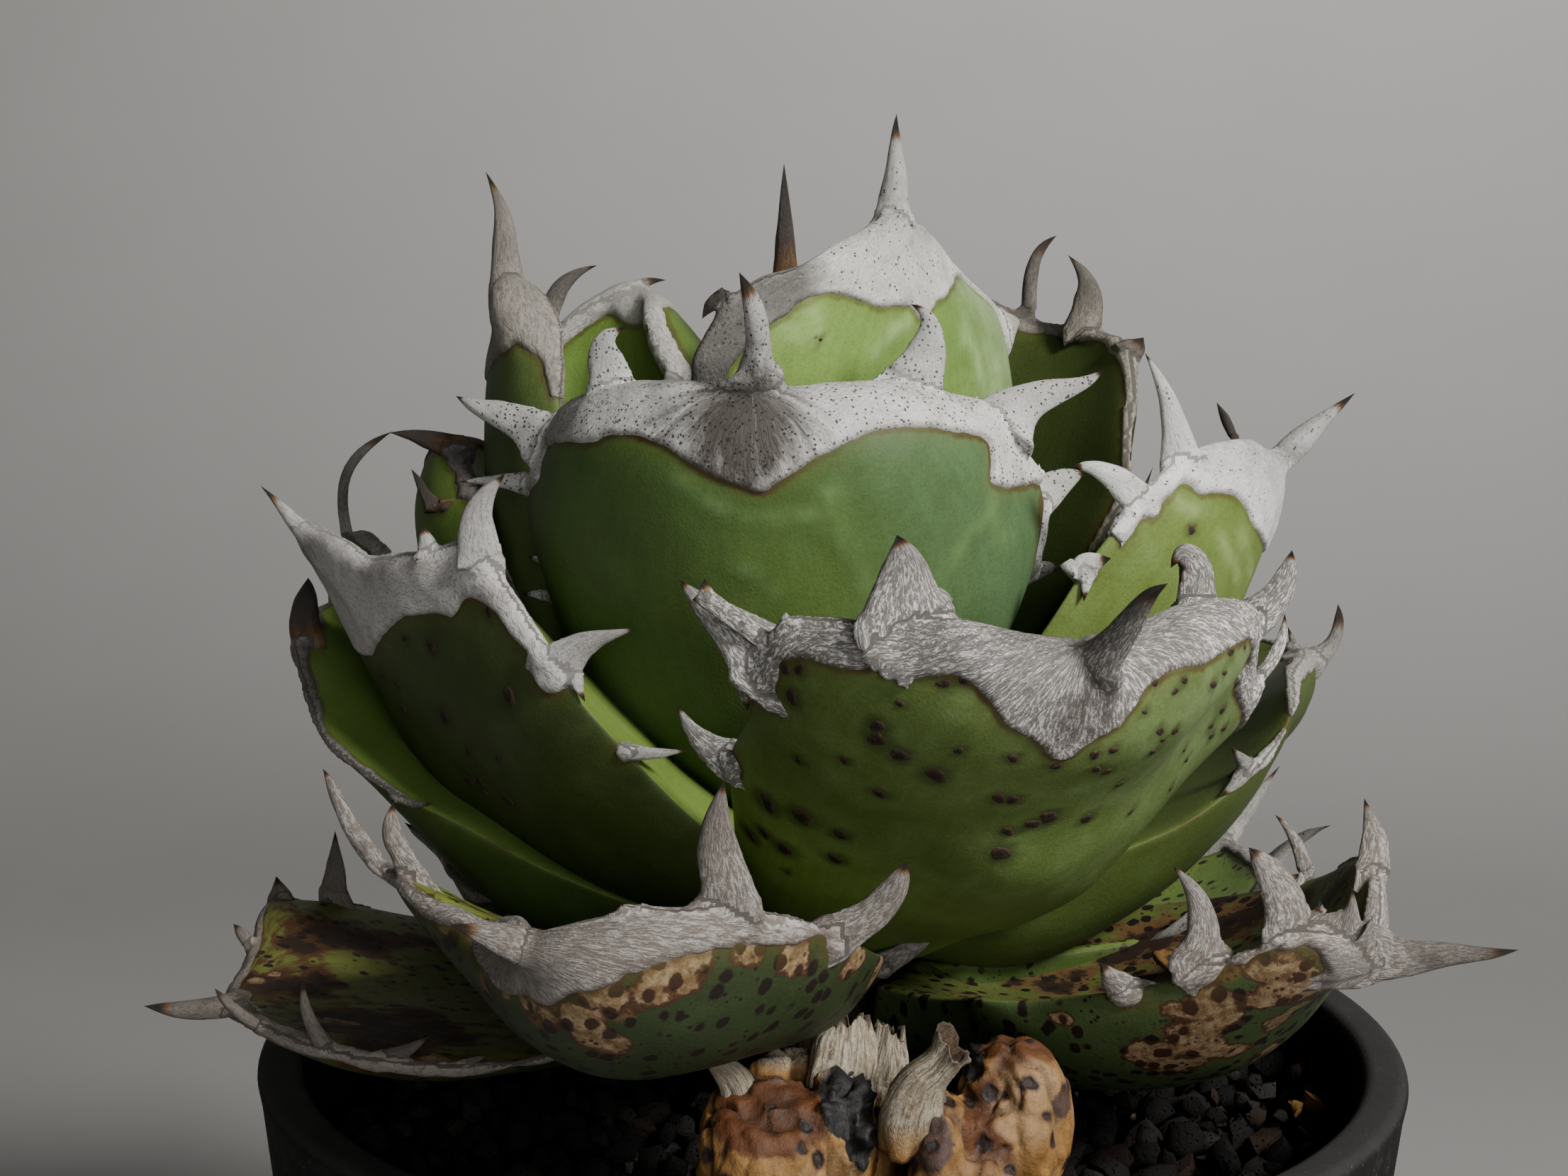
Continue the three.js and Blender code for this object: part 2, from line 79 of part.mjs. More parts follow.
  leaf_upper_right: { color: '#67924f', mid: [1.9,-18.7,155,4.5,-13.8,152.5,6.8,-8.5,151.1,8.8,-2.8,150.7,10.3,3,151.3,11.4,8.7,153.1,11.9,14.1,155.8,10.3,-25.2,161.9,13.4,-19.2,158.4,16,-12.4,156.1,18,-5.1,155.2,19.2,2.4,155.5,19.7,9.8,157.2,19.3,16.8,160.1,17.6,-30.2,170.3,21.4,-23.1,165.6,24.3,-15,162.3,26.2,-6.1,160.4,26.9,3.1,160.2,26.5,12.2,161.4,24.9,20.9,164.2,23.6,-32.6,179.2,28.2,-25,173.5,31.4,-16,169.1,33.2,-6.1,166.2,33.4,4.3,165.1,32,14.6,165.7,29.2,24.4,167.9,28.5,-32.8,187.1,33.7,-25,180.7,37.3,-15.7,175.7,39,-5.3,172.1,38.9,5.7,170.4,36.8,16.6,170.2,33.1,26.9,171.8,32.9,-31.6,192.4,38.4,-23.9,186.4,42.1,-14.6,181.5,43.8,-4.1,177.9,43.5,6.9,175.7,41.2,17.8,175.2,36.9,28.1,176.3,37,-29,196.5,42.4,-21.7,191.1,46.1,-12.9,186.5,47.8,-2.9,183.2,47.5,7.5,181.1,45.1,17.9,180.6,40.8,27.6,181.5,41,-24.6,198.8,46,-18.3,194.3,49.4,-10.6,190.6,51,-2,187.8,50.9,7.1,186.3,48.8,16.1,186,45.1,24.4,187,45.6,-18.4,199.6,49.5,-13.7,196.2,52.3,-7.9,193.5,53.7,-1.4,191.7,53.6,5.5,190.8,52.2,12.2,190.9,49.5,18.4,192,50.9,-10.5,199.1,53.1,-7.9,197.1,54.7,-4.7,195.5,55.6,-1.1,194.6,55.7,2.7,194.3,55,6.5,194.5,53.5,9.9,195.3,56.6,-1,196,56.6,-1,196,56.6,-1,196,56.6,-1,196,56.6,-1,196,56.6,-1,196,56.6,-1,196],
    out: [0.3,6.9,10.6,11.6,10.6,6.9,0.3,0.3,6,9.3,10.2,9.3,6,0.3,0.3,5.3,8.2,9,8.2,5.3,0.3,0.3,4.6,7.1,7.8,7.1,4.6,0.3,0.3,4,6.4,7.1,6.2,4,0.3,0.3,3.6,5.9,6.4,5.8,3.4,0.3,0.3,3,4.6,5,4.6,2.9,0.3,0.3,2.1,3.3,3.6,3.3,2.2,0.3,0.3,1.3,2.1,2.3,2.1,1.5,0.3,0.3,0.8,1.3,1.4,1.2,0.9,0.3,0.3,0.3,0.4,0.4,0.3,0.3,0.3],
    inn: [0,0.8,1.1,1.2,1.1,0.8,0,0,1,1.4,1.5,1.4,1,0,0,1.2,1.7,1.8,1.7,1.2,0,0,1.3,1.9,2,1.9,1.3,0,0,1.4,2,2.2,2,1.4,0,0,1.4,2.1,2.2,2.1,1.4,0,0,1.3,2,2.1,2,1.3,0,0,1.2,1.7,1.8,1.7,1.2,0,0,0.9,1.3,1.4,1.3,0.9,0,0,0.5,0.7,0.8,0.7,0.5,0,0,0,0,0,0,0,0],
    teeth: [[43.3,-21.9,195.6,2.4,0.3,1.8,40,-25.9,199.7,1.9,0.2,1.6,38.3,-26.7,205.9,0.7,0.1,0.9,35.2,-27.7,211.6,0,0,0],
      [52.5,-8.9,195.6,1.4,-0.1,-0.9,58.4,-0.8,198,1.5,-0.2,-1.1,62.4,0,201.7,0.8,-0.1,-0.7,66.8,1,205.2,0,0,0],
      [50,-12.7,197.9,1.8,0.1,0.3,55.1,-0.6,188.6,1.4,0,0.3,55.7,1,184.4,0,0,0],
      [38.3,-26.2,191,-1,-0.2,-1.4,34.5,-31,194.7,-1.1,-0.3,-1.7,30.7,-32.7,197.7,-0.4,-0.2,-1.2,26.2,-34.6,198.8,0,0,0],
      [30.7,-28.3,181.8,1,-0.1,-0.7,28,-33.1,187,1,-0.2,-1.2,31.1,-33.9,188.1,0,0,0],
      [52.8,11.8,193.1,0.5,0,0.2,52.8,9.5,198.9,0.6,0,0.2,52.1,11.9,200.9,0.6,0,0.2,51.5,14.9,202.9,0,0,0],
      [42.7,24.7,182.1,2.7,-1.8,3.6,42.1,27.8,184.2,2.2,-1.4,2.9,41.5,30.8,186.1,0.9,-0.6,1.1,40.9,33.6,187.5,0,0,0],
      [36.1,25.4,173.9,2.5,0.8,3,34.5,29.3,174.5,2,0.6,2.4,32.4,33.6,176,0.8,0.2,0.9,29.7,37,177.8,0,0,0]] },
  leaf_upper_back_right: { color: '#5d8248', lean: true, mid: [14.8,-10.3,154.4,12.6,-5.3,152,9.8,-0.3,150.5,6.5,4.7,150,2.8,9.4,150.5,-1.2,13.6,152,-5.2,17.3,154.4,21.9,-8.9,159.1,19.5,-2.9,156.1,16.3,3.1,154.3,12.4,9,153.6,8,14.5,154.3,3.3,19.4,156.1,-1.7,23.6,159.1,28.1,-8,163.8,25.7,-1,160.3,22.2,6.1,158.2,17.8,12.9,157.4,12.7,19.3,158.2,7,24.8,160.3,1.1,29.2,163.8,33,-7,168.2,30.8,0.9,164.6,27.3,8.8,162.3,22.5,16.4,161.5,16.8,23.2,162.3,10.4,29,164.6,3.6,33.5,168.2,36.4,-5.5,172.3,34.7,3,168.8,31.3,11.3,166.6,26.5,19.2,165.9,20.5,26.3,166.6,13.5,32,168.8,6,36.3,172.3,38.5,-3.4,176,37.3,5.2,172.9,34.3,13.6,171,29.6,21.5,170.3,23.6,28.4,171,16.4,33.9,172.9,8.6,37.6,176,39.4,-0.1,179.1,38.7,8,176.7,36.2,15.9,175.2,32,23.2,174.7,26.3,29.5,175.2,19.5,34.3,176.7,12.1,37.5,179.1,39.3,4.6,181.8,39,11.5,180.1,37.1,18.2,179.1,33.6,24.4,178.7,28.8,29.6,179.1,23,33.6,180.1,16.5,36,181.8,38.6,10.6,184,38.5,15.7,183,37.2,20.7,182.4,34.7,25.2,182.1,31.1,29,182.4,26.8,31.8,183,22,33.5,184,37.4,17.7,185.6,37.4,20.5,185.1,36.7,23.2,184.8,35.3,25.7,184.7,33.4,27.7,184.8,31,29.2,185.1,28.3,30.1,185.6,35.6,25.9,186,35.6,25.9,186,35.6,25.9,186,35.6,25.9,186,35.6,25.9,186,35.6,25.9,186,35.6,25.9,186],
    out: [0,5.3,8.2,9,8.2,5.3,0,0,5,7.8,8.5,7.8,5,0,0,4.8,7.4,8.1,7.4,4.8,0,0,4.5,7,7.7,7,4.5,0,0,4.3,6.7,7.3,6.7,4.3,0,0,4.1,6.4,7,6.4,4.1,0,0,3.9,6.1,6.7,6.1,3.9,0,0,3.4,5.3,5.8,5.3,3.4,0,0,2.6,4,4.4,4,2.6,0,0,1.6,2.5,2.7,2.5,1.6,0,0,0,0,0,0,0,0],
    inn: [0,0.9,1.3,1.4,1.3,0.9,0,0,1.1,1.6,1.7,1.6,1.1,0,0,1.2,1.8,1.9,1.8,1.2,0,0,1.3,2,2.1,2,1.3,0,0,1.4,2.1,2.2,2.1,1.4,0,0,1.4,2,2.2,2,1.4,0,0,1.3,1.9,2,1.9,1.3,0,0,1.1,1.6,1.7,1.6,1.1,0,0,0.8,1.1,1.2,1.1,0.8,0,0,0.4,0.6,0.7,0.6,0.4,0,0,0,0,0,0,0,0],
    teeth: [[34.8,25.3,179.9,-3.1,4.2,0,35.8,26,183.8,-3.1,4.2,0,36.9,26.9,189,-1.9,2.6,0,38.1,28.3,197.1,-0.6,0.8,0,38.6,29.2,202.5,0,0,0],
      [39.4,4.7,179.1,-0.2,3.3,1.6,39.2,2.8,183.2,-0.1,2.6,1.3,37.7,-0.4,187.9,-0.1,1,0.5,34.6,-4.8,191.5,0,0,0],
      [38.3,-0.9,175.2,1.3,3.1,3.5,39.1,-3.9,177.8,1,2.5,2.8,40.3,-7.3,180.7,0.4,1,1.1,41.6,-10.6,182.7,0,0,0],
      [36.1,-3.1,171.6,2.8,1.8,4,36.5,-7,173,2.2,1.4,3.2,36.2,-11,175.3,0.9,0.6,1.2,34.9,-14.3,178.8,0,0,0],
      [32.2,-4.7,166.9,2.9,0.8,2.9,32.5,-8.3,167.9,2.4,0.6,2.4,33.3,-11.4,169.3,0.9,0.2,0.9,34.5,-14,170.9,0,0,0],
      [19.4,35.2,180.4,3.8,-1.7,1.6,18.1,35.1,183.9,3,-1.4,1.3,17.1,35.2,187.2,1.2,-0.5,0.5,15.9,35.8,190.1,0,0,0],
      [11.1,36.7,175.3,3.4,0.2,3.5,8.5,38.2,177.6,2.8,0.1,2.8,5.4,38.9,179.6,1.1,0.1,1.1,1.9,38.5,181.1,0,0,0],
      [7.5,34.6,170.4,1.9,1.9,3.2,4.2,36.1,171.7,1.6,1.6,2.6,1.1,37.1,173.7,0.6,0.6,1,-1.7,37.2,176.4,0,0,0],
      [5.2,31.7,166.5,1.5,2.4,2.6,1.6,33.3,167.8,0.9,1.5,1.7,-0.5,36.4,171.4,0,0,0]] },
  leaf_upper_left: { color: '#4a6440', mid: [-3.9,17.8,153.6,-5.5,12.6,151.1,-6.9,7,149.5,-7.9,1.1,149,-8.6,-4.8,149.5,-8.8,-10.6,151.1,-8.6,-16,153.6,-10.7,21.9,157.8,-13.5,16.2,155.1,-16,9.8,153.5,-17.9,3.1,153.2,-19.2,-3.6,154.2,-19.9,-10.2,156.3,-20,-16.4,159.6,-16.2,26.7,162.1,-20.3,20.4,159.4,-23.8,13.4,158.1,-26.5,5.9,158.1,-28.4,-1.7,159.6,-29.3,-9.1,162.4,-29.2,-16,166.5,-21.2,30.9,166.5,-26.3,24.4,164.1,-30.6,16.9,163.1,-33.8,8.9,163.6,-35.8,0.7,165.6,-36.5,-7.2,168.9,-36,-14.6,173.4,-25.9,34.3,171.2,-31.7,27.7,169.3,-36.3,20,168.7,-39.6,11.8,169.5,-41.4,3.3,171.7,-41.6,-5,175.2,-40.2,-12.6,179.7,-30.6,36.4,176.6,-36.4,30,175.1,-41,22.4,174.7,-44.1,14.1,175.6,-45.4,5.6,177.7,-45,-2.7,180.8,-42.7,-10.2,184.8,-35.1,36.5,182.3,-40.7,30.6,181.2,-44.8,23.6,180.9,-47.4,15.9,181.6,-48.2,7.9,183.2,-47.2,0.2,185.6,-44.5,-6.8,188.7,-39.6,34.4,187.9,-44.3,29.5,187,-47.7,23.6,186.7,-49.7,17,187.1,-50.1,10.3,188.1,-48.9,3.7,189.6,-46.2,-2.2,191.6,-43.9,30.4,192.6,-47.3,26.8,191.9,-49.8,22.5,191.7,-51.2,17.7,191.8,-51.4,12.7,192.2,-50.3,7.8,193,-48.1,3.5,194.1,-48.1,24.9,195.8,-50,22.9,195.5,-51.4,20.6,195.3,-52.1,17.9,195.3,-52.2,15.2,195.4,-51.5,12.6,195.7,-50.2,10.2,196.1,-52.5,18,197,-52.5,18,197,-52.5,18,197,-52.5,18,197,-52.5,18,197,-52.5,18,197,-52.5,18,197],
    out: [0,5.3,8.2,9,8.2,5.3,0,0,5,7.8,8.5,7.8,5,0,0,4.8,7.4,8.1,7.4,4.8,0,0,4.5,7,7.7,7,4.5,0,0,4.3,6.7,7.3,6.7,4.3,0,0,4.1,6.4,7,6.4,4.1,0,0,3.9,6.1,6.7,6.1,3.9,0,0,3.4,5.3,5.8,5.3,3.4,0,0,2.6,4,4.4,4,2.6,0,0,1.6,2.5,2.7,2.5,1.6,0,0,0,0,0,0,0,0],
    inn: [0,0.9,1.4,1.5,1.4,0.9,0,0,1.1,1.6,1.7,1.6,1.1,0,0,1.2,1.8,2,1.8,1.2,0,0,1.4,2,2.1,2,1.4,0,0,1.4,2.1,2.2,2.1,1.4,0,0,1.4,2,2.2,2,1.4,0,0,1.3,1.9,2,1.9,1.3,0,0,1.1,1.6,1.7,1.6,1.1,0,0,0.8,1.1,1.2,1.1,0.8,0,0,0.4,0.6,0.7,0.6,0.4,0,0,0,0,0,0,0,0],
    teeth: [[-50.2,8.5,194.6,-1.6,-0.1,-1,-50.8,8.5,196.5,-1.6,-0.2,-1.1,-54.9,8.5,197.8,-0.8,-0.1,-0.7,-59.1,8.5,198.5,0,0,0],
      [-48,1.6,190.6,1.3,0.1,0.7,-52.7,-1.5,191,0.9,0.1,0.3,-55,0.1,194.5,0,0,0],
      [-31.6,34.4,175.3,-2.7,0.8,3.3,-29.2,37.5,176.6,-2.2,0.7,2.7,-27.1,41,178.8,-0.9,0.3,1.1,-25.8,44.1,181.7,0,0,0],
      [-25.4,31.1,168.4,-2.7,1.9,2.7,-22.8,34,169.4,-2.2,1.5,2.2,-20.5,37.1,172.1,-0.8,0.6,0.8,-18.8,39.6,176.4,0,0,0]] },
  leaf_middle_front_right: { color: '#557a47', mid: [-12.7,-17.5,147.1,-7.2,-15.4,143.6,-1.6,-12.7,140.9,4.1,-9.5,139.4,9.7,-5.7,139,15.1,-1.4,139.2,20.1,3.2,140.2,-12.2,-30,153.7,-5.5,-27.3,150.3,1.5,-23.8,147.8,8.5,-19.6,146.4,15.3,-14.8,145.9,21.9,-9.4,146.5,28,-3.5,148.1,-12.5,-39.6,161.2,-4.5,-37,157,3.9,-33.3,153.9,12.3,-28.7,152.2,20.6,-23.3,151.9,28.4,-17.2,153,35.6,-10.4,155.5,-12.3,-46.2,167.5,-3.5,-44.2,162.6,5.9,-41,159.1,15.5,-36.6,157.4,25.2,-31.1,157.4,34.8,-24.7,159.2,43.7,-17.6,162.7,-10.5,-51.5,172.5,-1.8,-50.4,167.4,7.9,-47.8,163.9,18,-43.8,162.3,28.8,-38.5,162.6,39.6,-32,165,49.7,-24.6,169.3,-9.9,-55.6,177.5,-0.8,-55.6,172.2,9.2,-53.8,168.6,19.8,-50.3,167,30.3,-45.2,167.5,39.9,-38.7,170.1,48.2,-31.2,174.7,-8.5,-59.1,181.7,0.4,-59.9,176.5,10.5,-58.8,173,21.1,-55.8,171.5,31.2,-51,172.2,40.2,-44.7,174.9,47.4,-37,179.6,-4.9,-62.3,185,3.1,-63.6,180.2,12.3,-63,177,22,-60.4,175.7,31.3,-56.1,176.4,39.4,-50.1,179,45.9,-42.8,183.3,1.5,-65.9,185.2,7.7,-66.8,182,14.9,-66.2,180,22.5,-64.1,179.2,30,-60.4,179.8,36.6,-55.3,181.9,41.9,-49.1,185.4,10.7,-69.4,186,14.3,-69.4,183.9,18.4,-68.5,182.5,22.9,-66.7,181.9,27.2,-63.9,182.1,31.1,-60.2,183.2,34.2,-55.9,185,23,-67.9,183.2,23,-67.9,183.2,23,-67.9,183.2,23,-67.9,183.2,23,-67.9,183.2,23,-67.9,183.2,23,-67.9,183.2],
    out: [0.3,4.5,6.7,6.7,6.3,4.2,0.3,0.3,4.3,6.5,7.9,7.7,5.8,0.3,0.3,4.1,6.5,9.4,9.3,6.5,0.3,0.3,3.9,6.3,10.1,9,4.3,0.3,0.3,3.7,5.9,9.6,6.9,1.9,0.3,0.3,3.6,5.5,6.5,4.5,0.5,0.3,0.3,3.4,5.3,5.8,4.4,0.3,0.3,0.3,3.2,5,5.5,5,3,0.3,0.3,2.6,4,4.4,4,2.6,0.3,0.3,1.7,2.6,2.9,2.6,1.7,0.3,0.3,0.3,0.3,0.3,0.3,0.3,0.3],
    inn: [0,0.8,1.2,1.3,1.2,0.8,0,0,1,1.4,1.5,1.4,1,0,0,1.2,1.7,1.8,1.7,1.2,0,0,1.3,1.9,2,1.9,1.3,0,0,1.4,2,2.2,2,1.4,0,0,1.4,2.1,2.2,2.1,1.4,0,0,1.4,2,2.2,2,1.4,0,0,1.3,1.8,2,1.8,1.3,0,0,1,1.4,1.5,1.4,1,0,0,0.6,0.8,0.9,0.8,0.6,0,0,0,0,0,0,0,0],
    teeth: [[-3.8,-58.5,177.1,1.8,0.6,3.8,-9.7,-57.9,181.4,1.6,0.5,3.5,-13.8,-57.1,184.9,0.8,0.2,1.6,-17.8,-56.1,188.5,0,0,0],
      [8.4,-68.2,184.1,5.3,0,0.1,5.7,-67.9,186.8,5,0,0.1,5.6,-67.9,191.1,2.6,0.1,0.3,4.7,-67.9,195,0,0,0],
      [13.4,-68.1,182.1,2.2,-0.4,-2.6,25.2,-68.8,182.2,1.7,-0.3,-2.2,28,-72.5,187.2,0.7,-0.2,-1.1,30.8,-76.9,191.6,0,0,0],
      [36.2,-55.3,183.7,2.8,0.1,0.5,37.8,-52.9,187.9,1.9,0.2,1.1,34.9,-52.9,189.7,0,0,0],
      [42.8,-44.7,178.9,1,-0.4,-2.4,47.1,-39.9,182.5,1.1,-0.3,-2.4,49.9,-39.1,185.8,1,-0.2,-1.1,51.1,-38.1,189.8,0,0,0],
      [43.7,-33.1,169.8,0.4,-0.1,-0.8,50,-28.2,173.4,0.6,-0.1,-0.8,52.4,-26.5,176.7,0.7,-0.1,-0.4,53.4,-24.6,180.4,0,0,0],
      [-7.2,-44.1,163.6,0.4,0.4,2.5,-13.5,-45.1,167.1,0.5,0.3,2.2,-16.6,-44.2,169.3,0.3,0.1,0.9,-18.7,-43.3,172.5,0,0,0]] },
  leaf_middle_front_left: { color: '#44603c', mid: [-18.8,5.6,146,-15.1,3.5,143.7,-11.1,1.4,142.1,-6.9,-0.6,141,-2.6,-2.5,140.6,1.9,-4.3,140.8,6.5,-5.9,141.6,-29.4,4.3,149.9,-25.4,-0.1,147.3,-21,-4.5,145.6,-16.3,-8.8,144.6,-11.3,-13,144.4,-6.2,-16.9,144.9,-0.9,-20.5,146.2,-35.9,7.6,151.7,-33.1,0.1,149.9,-29.8,-7.2,149,-26.1,-14.4,149,-22.1,-21.3,149.9,-17.8,-27.8,151.5,-13.3,-34,153.9,-37.1,10.9,147.8,-37.3,1.8,149.1,-36.9,-7.1,151.4,-35.8,-15.7,154.6,-34,-23.9,158.7,-31.5,-31.5,163.9,-28.3,-38.5,169.9,-42.3,11.4,144.8,-43.6,2.7,149.3,-44.1,-5.7,154.6,-43.8,-13.6,160.7,-42.8,-21.1,167.5,-41.1,-28,174.9,-38.6,-34.1,182.9,-49.4,12.9,150.8,-50.4,4.6,155.5,-50.6,-3.4,160.9,-49.9,-11,166.9,-48.5,-18.2,173.5,-46.2,-24.8,180.5,-43.1,-30.9,188.1,-55.7,13.8,162.3,-56.1,5.9,165.3,-55.9,-1.8,168.8,-54.9,-9.2,172.9,-53.3,-16.3,177.3,-51,-23,182.1,-48,-29.2,187.2,-61.4,11.1,174.3,-61.2,4.4,175.2,-60.5,-2.2,176.6,-59.2,-8.5,178.4,-57.4,-14.7,180.7,-55.1,-20.5,183.3,-52.3,-26,186.4,-65.5,4.4,183.1,-64.9,-0.1,182.8,-64,-4.5,182.7,-62.7,-8.9,183,-61.1,-13.1,183.6,-59.1,-17.1,184.4,-56.8,-20.9,185.5,-67,-4.2,187.6,-66.6,-6.1,187,-66.1,-7.9,186.6,-65.3,-9.6,186.3,-64.3,-11.3,186.3,-63.1,-12.9,186.4,-61.7,-14.4,186.8,-66.5,-10.2,187.9,-66.5,-10.2,187.9,-66.5,-10.2,187.9,-66.5,-10.2,187.9,-66.5,-10.2,187.9,-66.5,-10.2,187.9,-66.5,-10.2,187.9],
    out: [0.3,4.6,7.1,7.8,7.1,4.6,0.3,0.3,4,6.2,6.8,6.3,4.1,0.3,0.3,3,5,5.7,5.5,3.6,0.3,0.3,2.7,4.5,5,4.7,3.1,0.3,0.3,2.7,4.4,4.9,4.2,2.7,0.3,0.3,2.8,4.2,4.5,3.9,2.3,0.3,0.3,2.4,3.4,3.6,3.2,1.9,0.3,0.3,1.5,2.2,2.3,2,1.4,0.3,0.3,0.8,1.3,1.5,1.5,0.9,0.3,0.3,0.5,1,1.3,1.1,0.5,0.3,0.3,0.4,0.7,0.8,0.4,0.3,0.3],
    inn: [0.2,0.7,1,1.1,0.5,0.2,0.2,0.2,0.9,1.4,1.3,0.9,4,0.2,0.2,1.2,1.7,2,5.4,6.6,0.2,0.2,1.3,2,2.7,7.5,7.8,0.2,0.2,1.4,2.1,2.3,4.8,6.1,0.2,0.2,1.3,2,2,1,2.4,0.2,0.2,1.2,1.7,1.8,1.5,0.8,0.2,0.2,0.9,1.4,1.5,1.4,0.9,0.2,0.2,0.7,1,1,1,0.7,0.2,0.2,0.4,0.5,0.6,0.5,0.4,0.2,0.2,0.2,0.2,0.2,0.2,0.2,0.2],
    teeth: [[-65.6,-4.5,184.9,-0.5,-0.2,-1.2,-67.6,-10.2,188.3,-0.5,-0.2,-1.1,-69.9,-10.2,190.9,-0.2,-0.1,-0.5,-72.3,-10.2,193.4,0,0,0],
      [-42.8,-28.9,181.3,2.6,-0.2,-1.4,-42.1,-32.4,187.4,2.5,-0.2,-1.5,-42.1,-32.4,192.9,1.1,-0.2,-1.2,-39,-32.4,197.2,0,0,0],
      [-34.8,-33.3,171.4,2.6,-0.3,-1.8,-32.3,-37.6,176,2.2,-0.2,-1.7,-28.2,-38.9,179,0.8,-0.1,-0.8,-23.2,-40.3,180.6,0,0,0],
      [-26.8,-34,162.6,0.4,-0.2,-1.1,-24,-38.2,165.8,0.4,-0.1,-1,-20.7,-38.2,165.7,0.2,-0.1,-0.5,-17.5,-38.2,166,0,0,0],
      [-59.9,9.5,171.7,-1.4,-1.1,3.1,-60.8,13.1,172.7,-1.2,-0.9,2.5,-62,16.5,173.5,-0.5,-0.3,1,-63.2,19.6,173.5,0,0,0],
      [-48.5,10.4,150.6,-3.1,0.6,3.8,-49,14,149.7,-2.5,0.5,3.1,-49.1,17.2,148.7,-1,0.2,1.2,-48.9,20,147.3,0,0,0],
      [-39.9,8.9,146.2,-3.3,0,-2.3,-39.1,12.6,145.3,-2.7,0,-1.9,-37.4,16.1,145.2,-1.1,0,-0.7,-35,19.4,145.8,0,0,0]] },
  leaf_middle_back: { color: '#56784a', lean: true, mid: [17.1,6.8,146.8,11.7,7.5,144.1,6,7.9,142.5,0,8,142,-6,7.9,142.5,-11.7,7.5,144.1,-17.1,6.8,146.8,21.2,17,151.7,14.6,18.3,148.4,7.4,19,146.2,0,19.2,145.5,-7.5,18.9,146.1,-14.7,18.1,148.1,-21.4,16.8,151.4,25.2,25.4,157.8,17.4,27.5,153.7,8.8,28.8,151,-0.2,29.2,150,-9.2,28.7,150.7,-17.8,27.4,153,-25.8,25.2,156.8,27.8,31.9,164.1,19.3,35.1,159.6,9.8,37.1,156.7,-0.3,37.8,155.5,-10.4,37.2,156.1,-20.1,35.4,158.5,-28.8,32.3,162.5,28.6,36.8,170,20,41.1,165.7,10.1,43.8,162.8,-0.4,44.9,161.6,-10.9,44.3,162.1,-21.1,42.1,164.3,-30.2,38.3,168,28,40.8,175.5,19.6,45.8,171.6,10,49.1,169,-0.4,50.6,167.9,-10.9,50,168.3,-20.9,47.6,170.2,-29.9,43.4,173.5,25.4,44.4,180.1,17.9,49.7,177,9.1,53.2,175,-0.4,54.8,174.1,-10,54.4,174.4,-19.3,52,176,-27.5,47.8,178.6,21.1,48.3,184,14.9,53.1,181.8,7.7,56.3,180.4,-0.3,57.9,179.8,-8.4,57.6,180,-16.1,55.6,181.2,-23.1,51.8,183.2,15.3,52.5,187.2,10.9,56.2,185.8,5.6,58.8,184.9,-0.2,60,184.6,-6.1,59.9,184.8,-11.8,58.3,185.6,-16.8,55.5,186.8,8.3,57.1,189.4,6,59.2,188.8,3.1,60.7,188.3,-0.1,61.4,188.2,-3.3,61.3,188.3,-6.4,60.5,188.7,-9.2,58.9,189.4,0,62,190,0,62,190,0,62,190,0,62,190,0,62,190,0,62,190,0,62,190],
    out: [0,5.3,8.2,9,8.2,5.3,0,0,5,7.8,8.5,7.8,5,0,0,4.8,7.4,8.1,7.4,4.8,0,0,4.5,7,7.7,7,4.5,0,0,4.3,6.7,7.3,6.7,4.3,0,0,4.1,6.4,7,6.4,4.1,0,0,3.9,6.1,6.7,6.1,3.9,0,0,3.4,5.2,5.7,5.2,3.4,0,0,2.6,4,4.4,4,2.6,0,0,1.6,2.5,2.7,2.5,1.6,0,0,0,0,0,0,0,0],
    inn: [0,0.8,1.2,1.2,1.2,0.8,0,0,1,1.5,1.6,1.5,1,0,0,1.2,1.8,1.9,1.8,1.2,0,0,1.3,2,2.1,2,1.3,0,0,1.4,2.1,2.2,2.1,1.4,0,0,1.4,2,2.2,2,1.4,0,0,1.3,1.9,2,1.9,1.3,0,0,1.1,1.6,1.7,1.6,1.1,0,0,0.8,1.1,1.2,1.1,0.8,0,0,0.4,0.6,0.7,0.6,0.4,0,0,0,0,0,0,0,0],
    teeth: [[-0.1,60.4,183.1,-4.5,0.4,-0.1,0,61.8,186.9,-4.5,0.4,-0.1,-0.1,63.9,191.8,-2.8,0.3,0,-1.1,67.7,199,-0.8,0.1,0,-2.3,70.8,203.6,0,0,0],
      [20.5,48.8,181.6,-2.5,2,1.8,21.9,47.6,185.1,-2,1.6,1.5,23.8,46.7,188.6,-0.8,0.6,0.6,26.3,45.8,191.2,0,0,0],
      [25.7,42.7,175.3,-1.7,2.8,3.8,28.3,41.4,177.6,-1.3,2.3,3,31.1,40.1,179.4,-0.5,0.9,1.2,34.1,39,180.3,0,0,0],
      [26.6,38.6,169.9,-0.1,3.1,4.1,29.6,36.8,171.1,-0.1,2.5,3.3,32.3,34.9,171.4,0,1,1.3,35,33,170.9,0,0,0],
      [25.2,31.6,161.6,1.1,3,3.1,28.3,29.5,162.7,0.9,2.5,2.5,31.8,28.3,164.4,0.3,1,1,35.3,28.4,167,0,0,0],
      [-22.3,51.9,180.6,3.6,2.7,2.9,-24.8,51,184.4,2.9,2.2,2.4,-27.9,49.4,189.1,1.1,0.9,0.9,-30.8,47.4,193,0,0,0],
      [-27.2,46,174.4,1.1,2.3,2.6,-30,45.2,176.6,0.9,1.8,2.1,-32.4,44.8,178.8,0.4,0.7,0.8,-34.6,44.4,180.7,0,0,0],
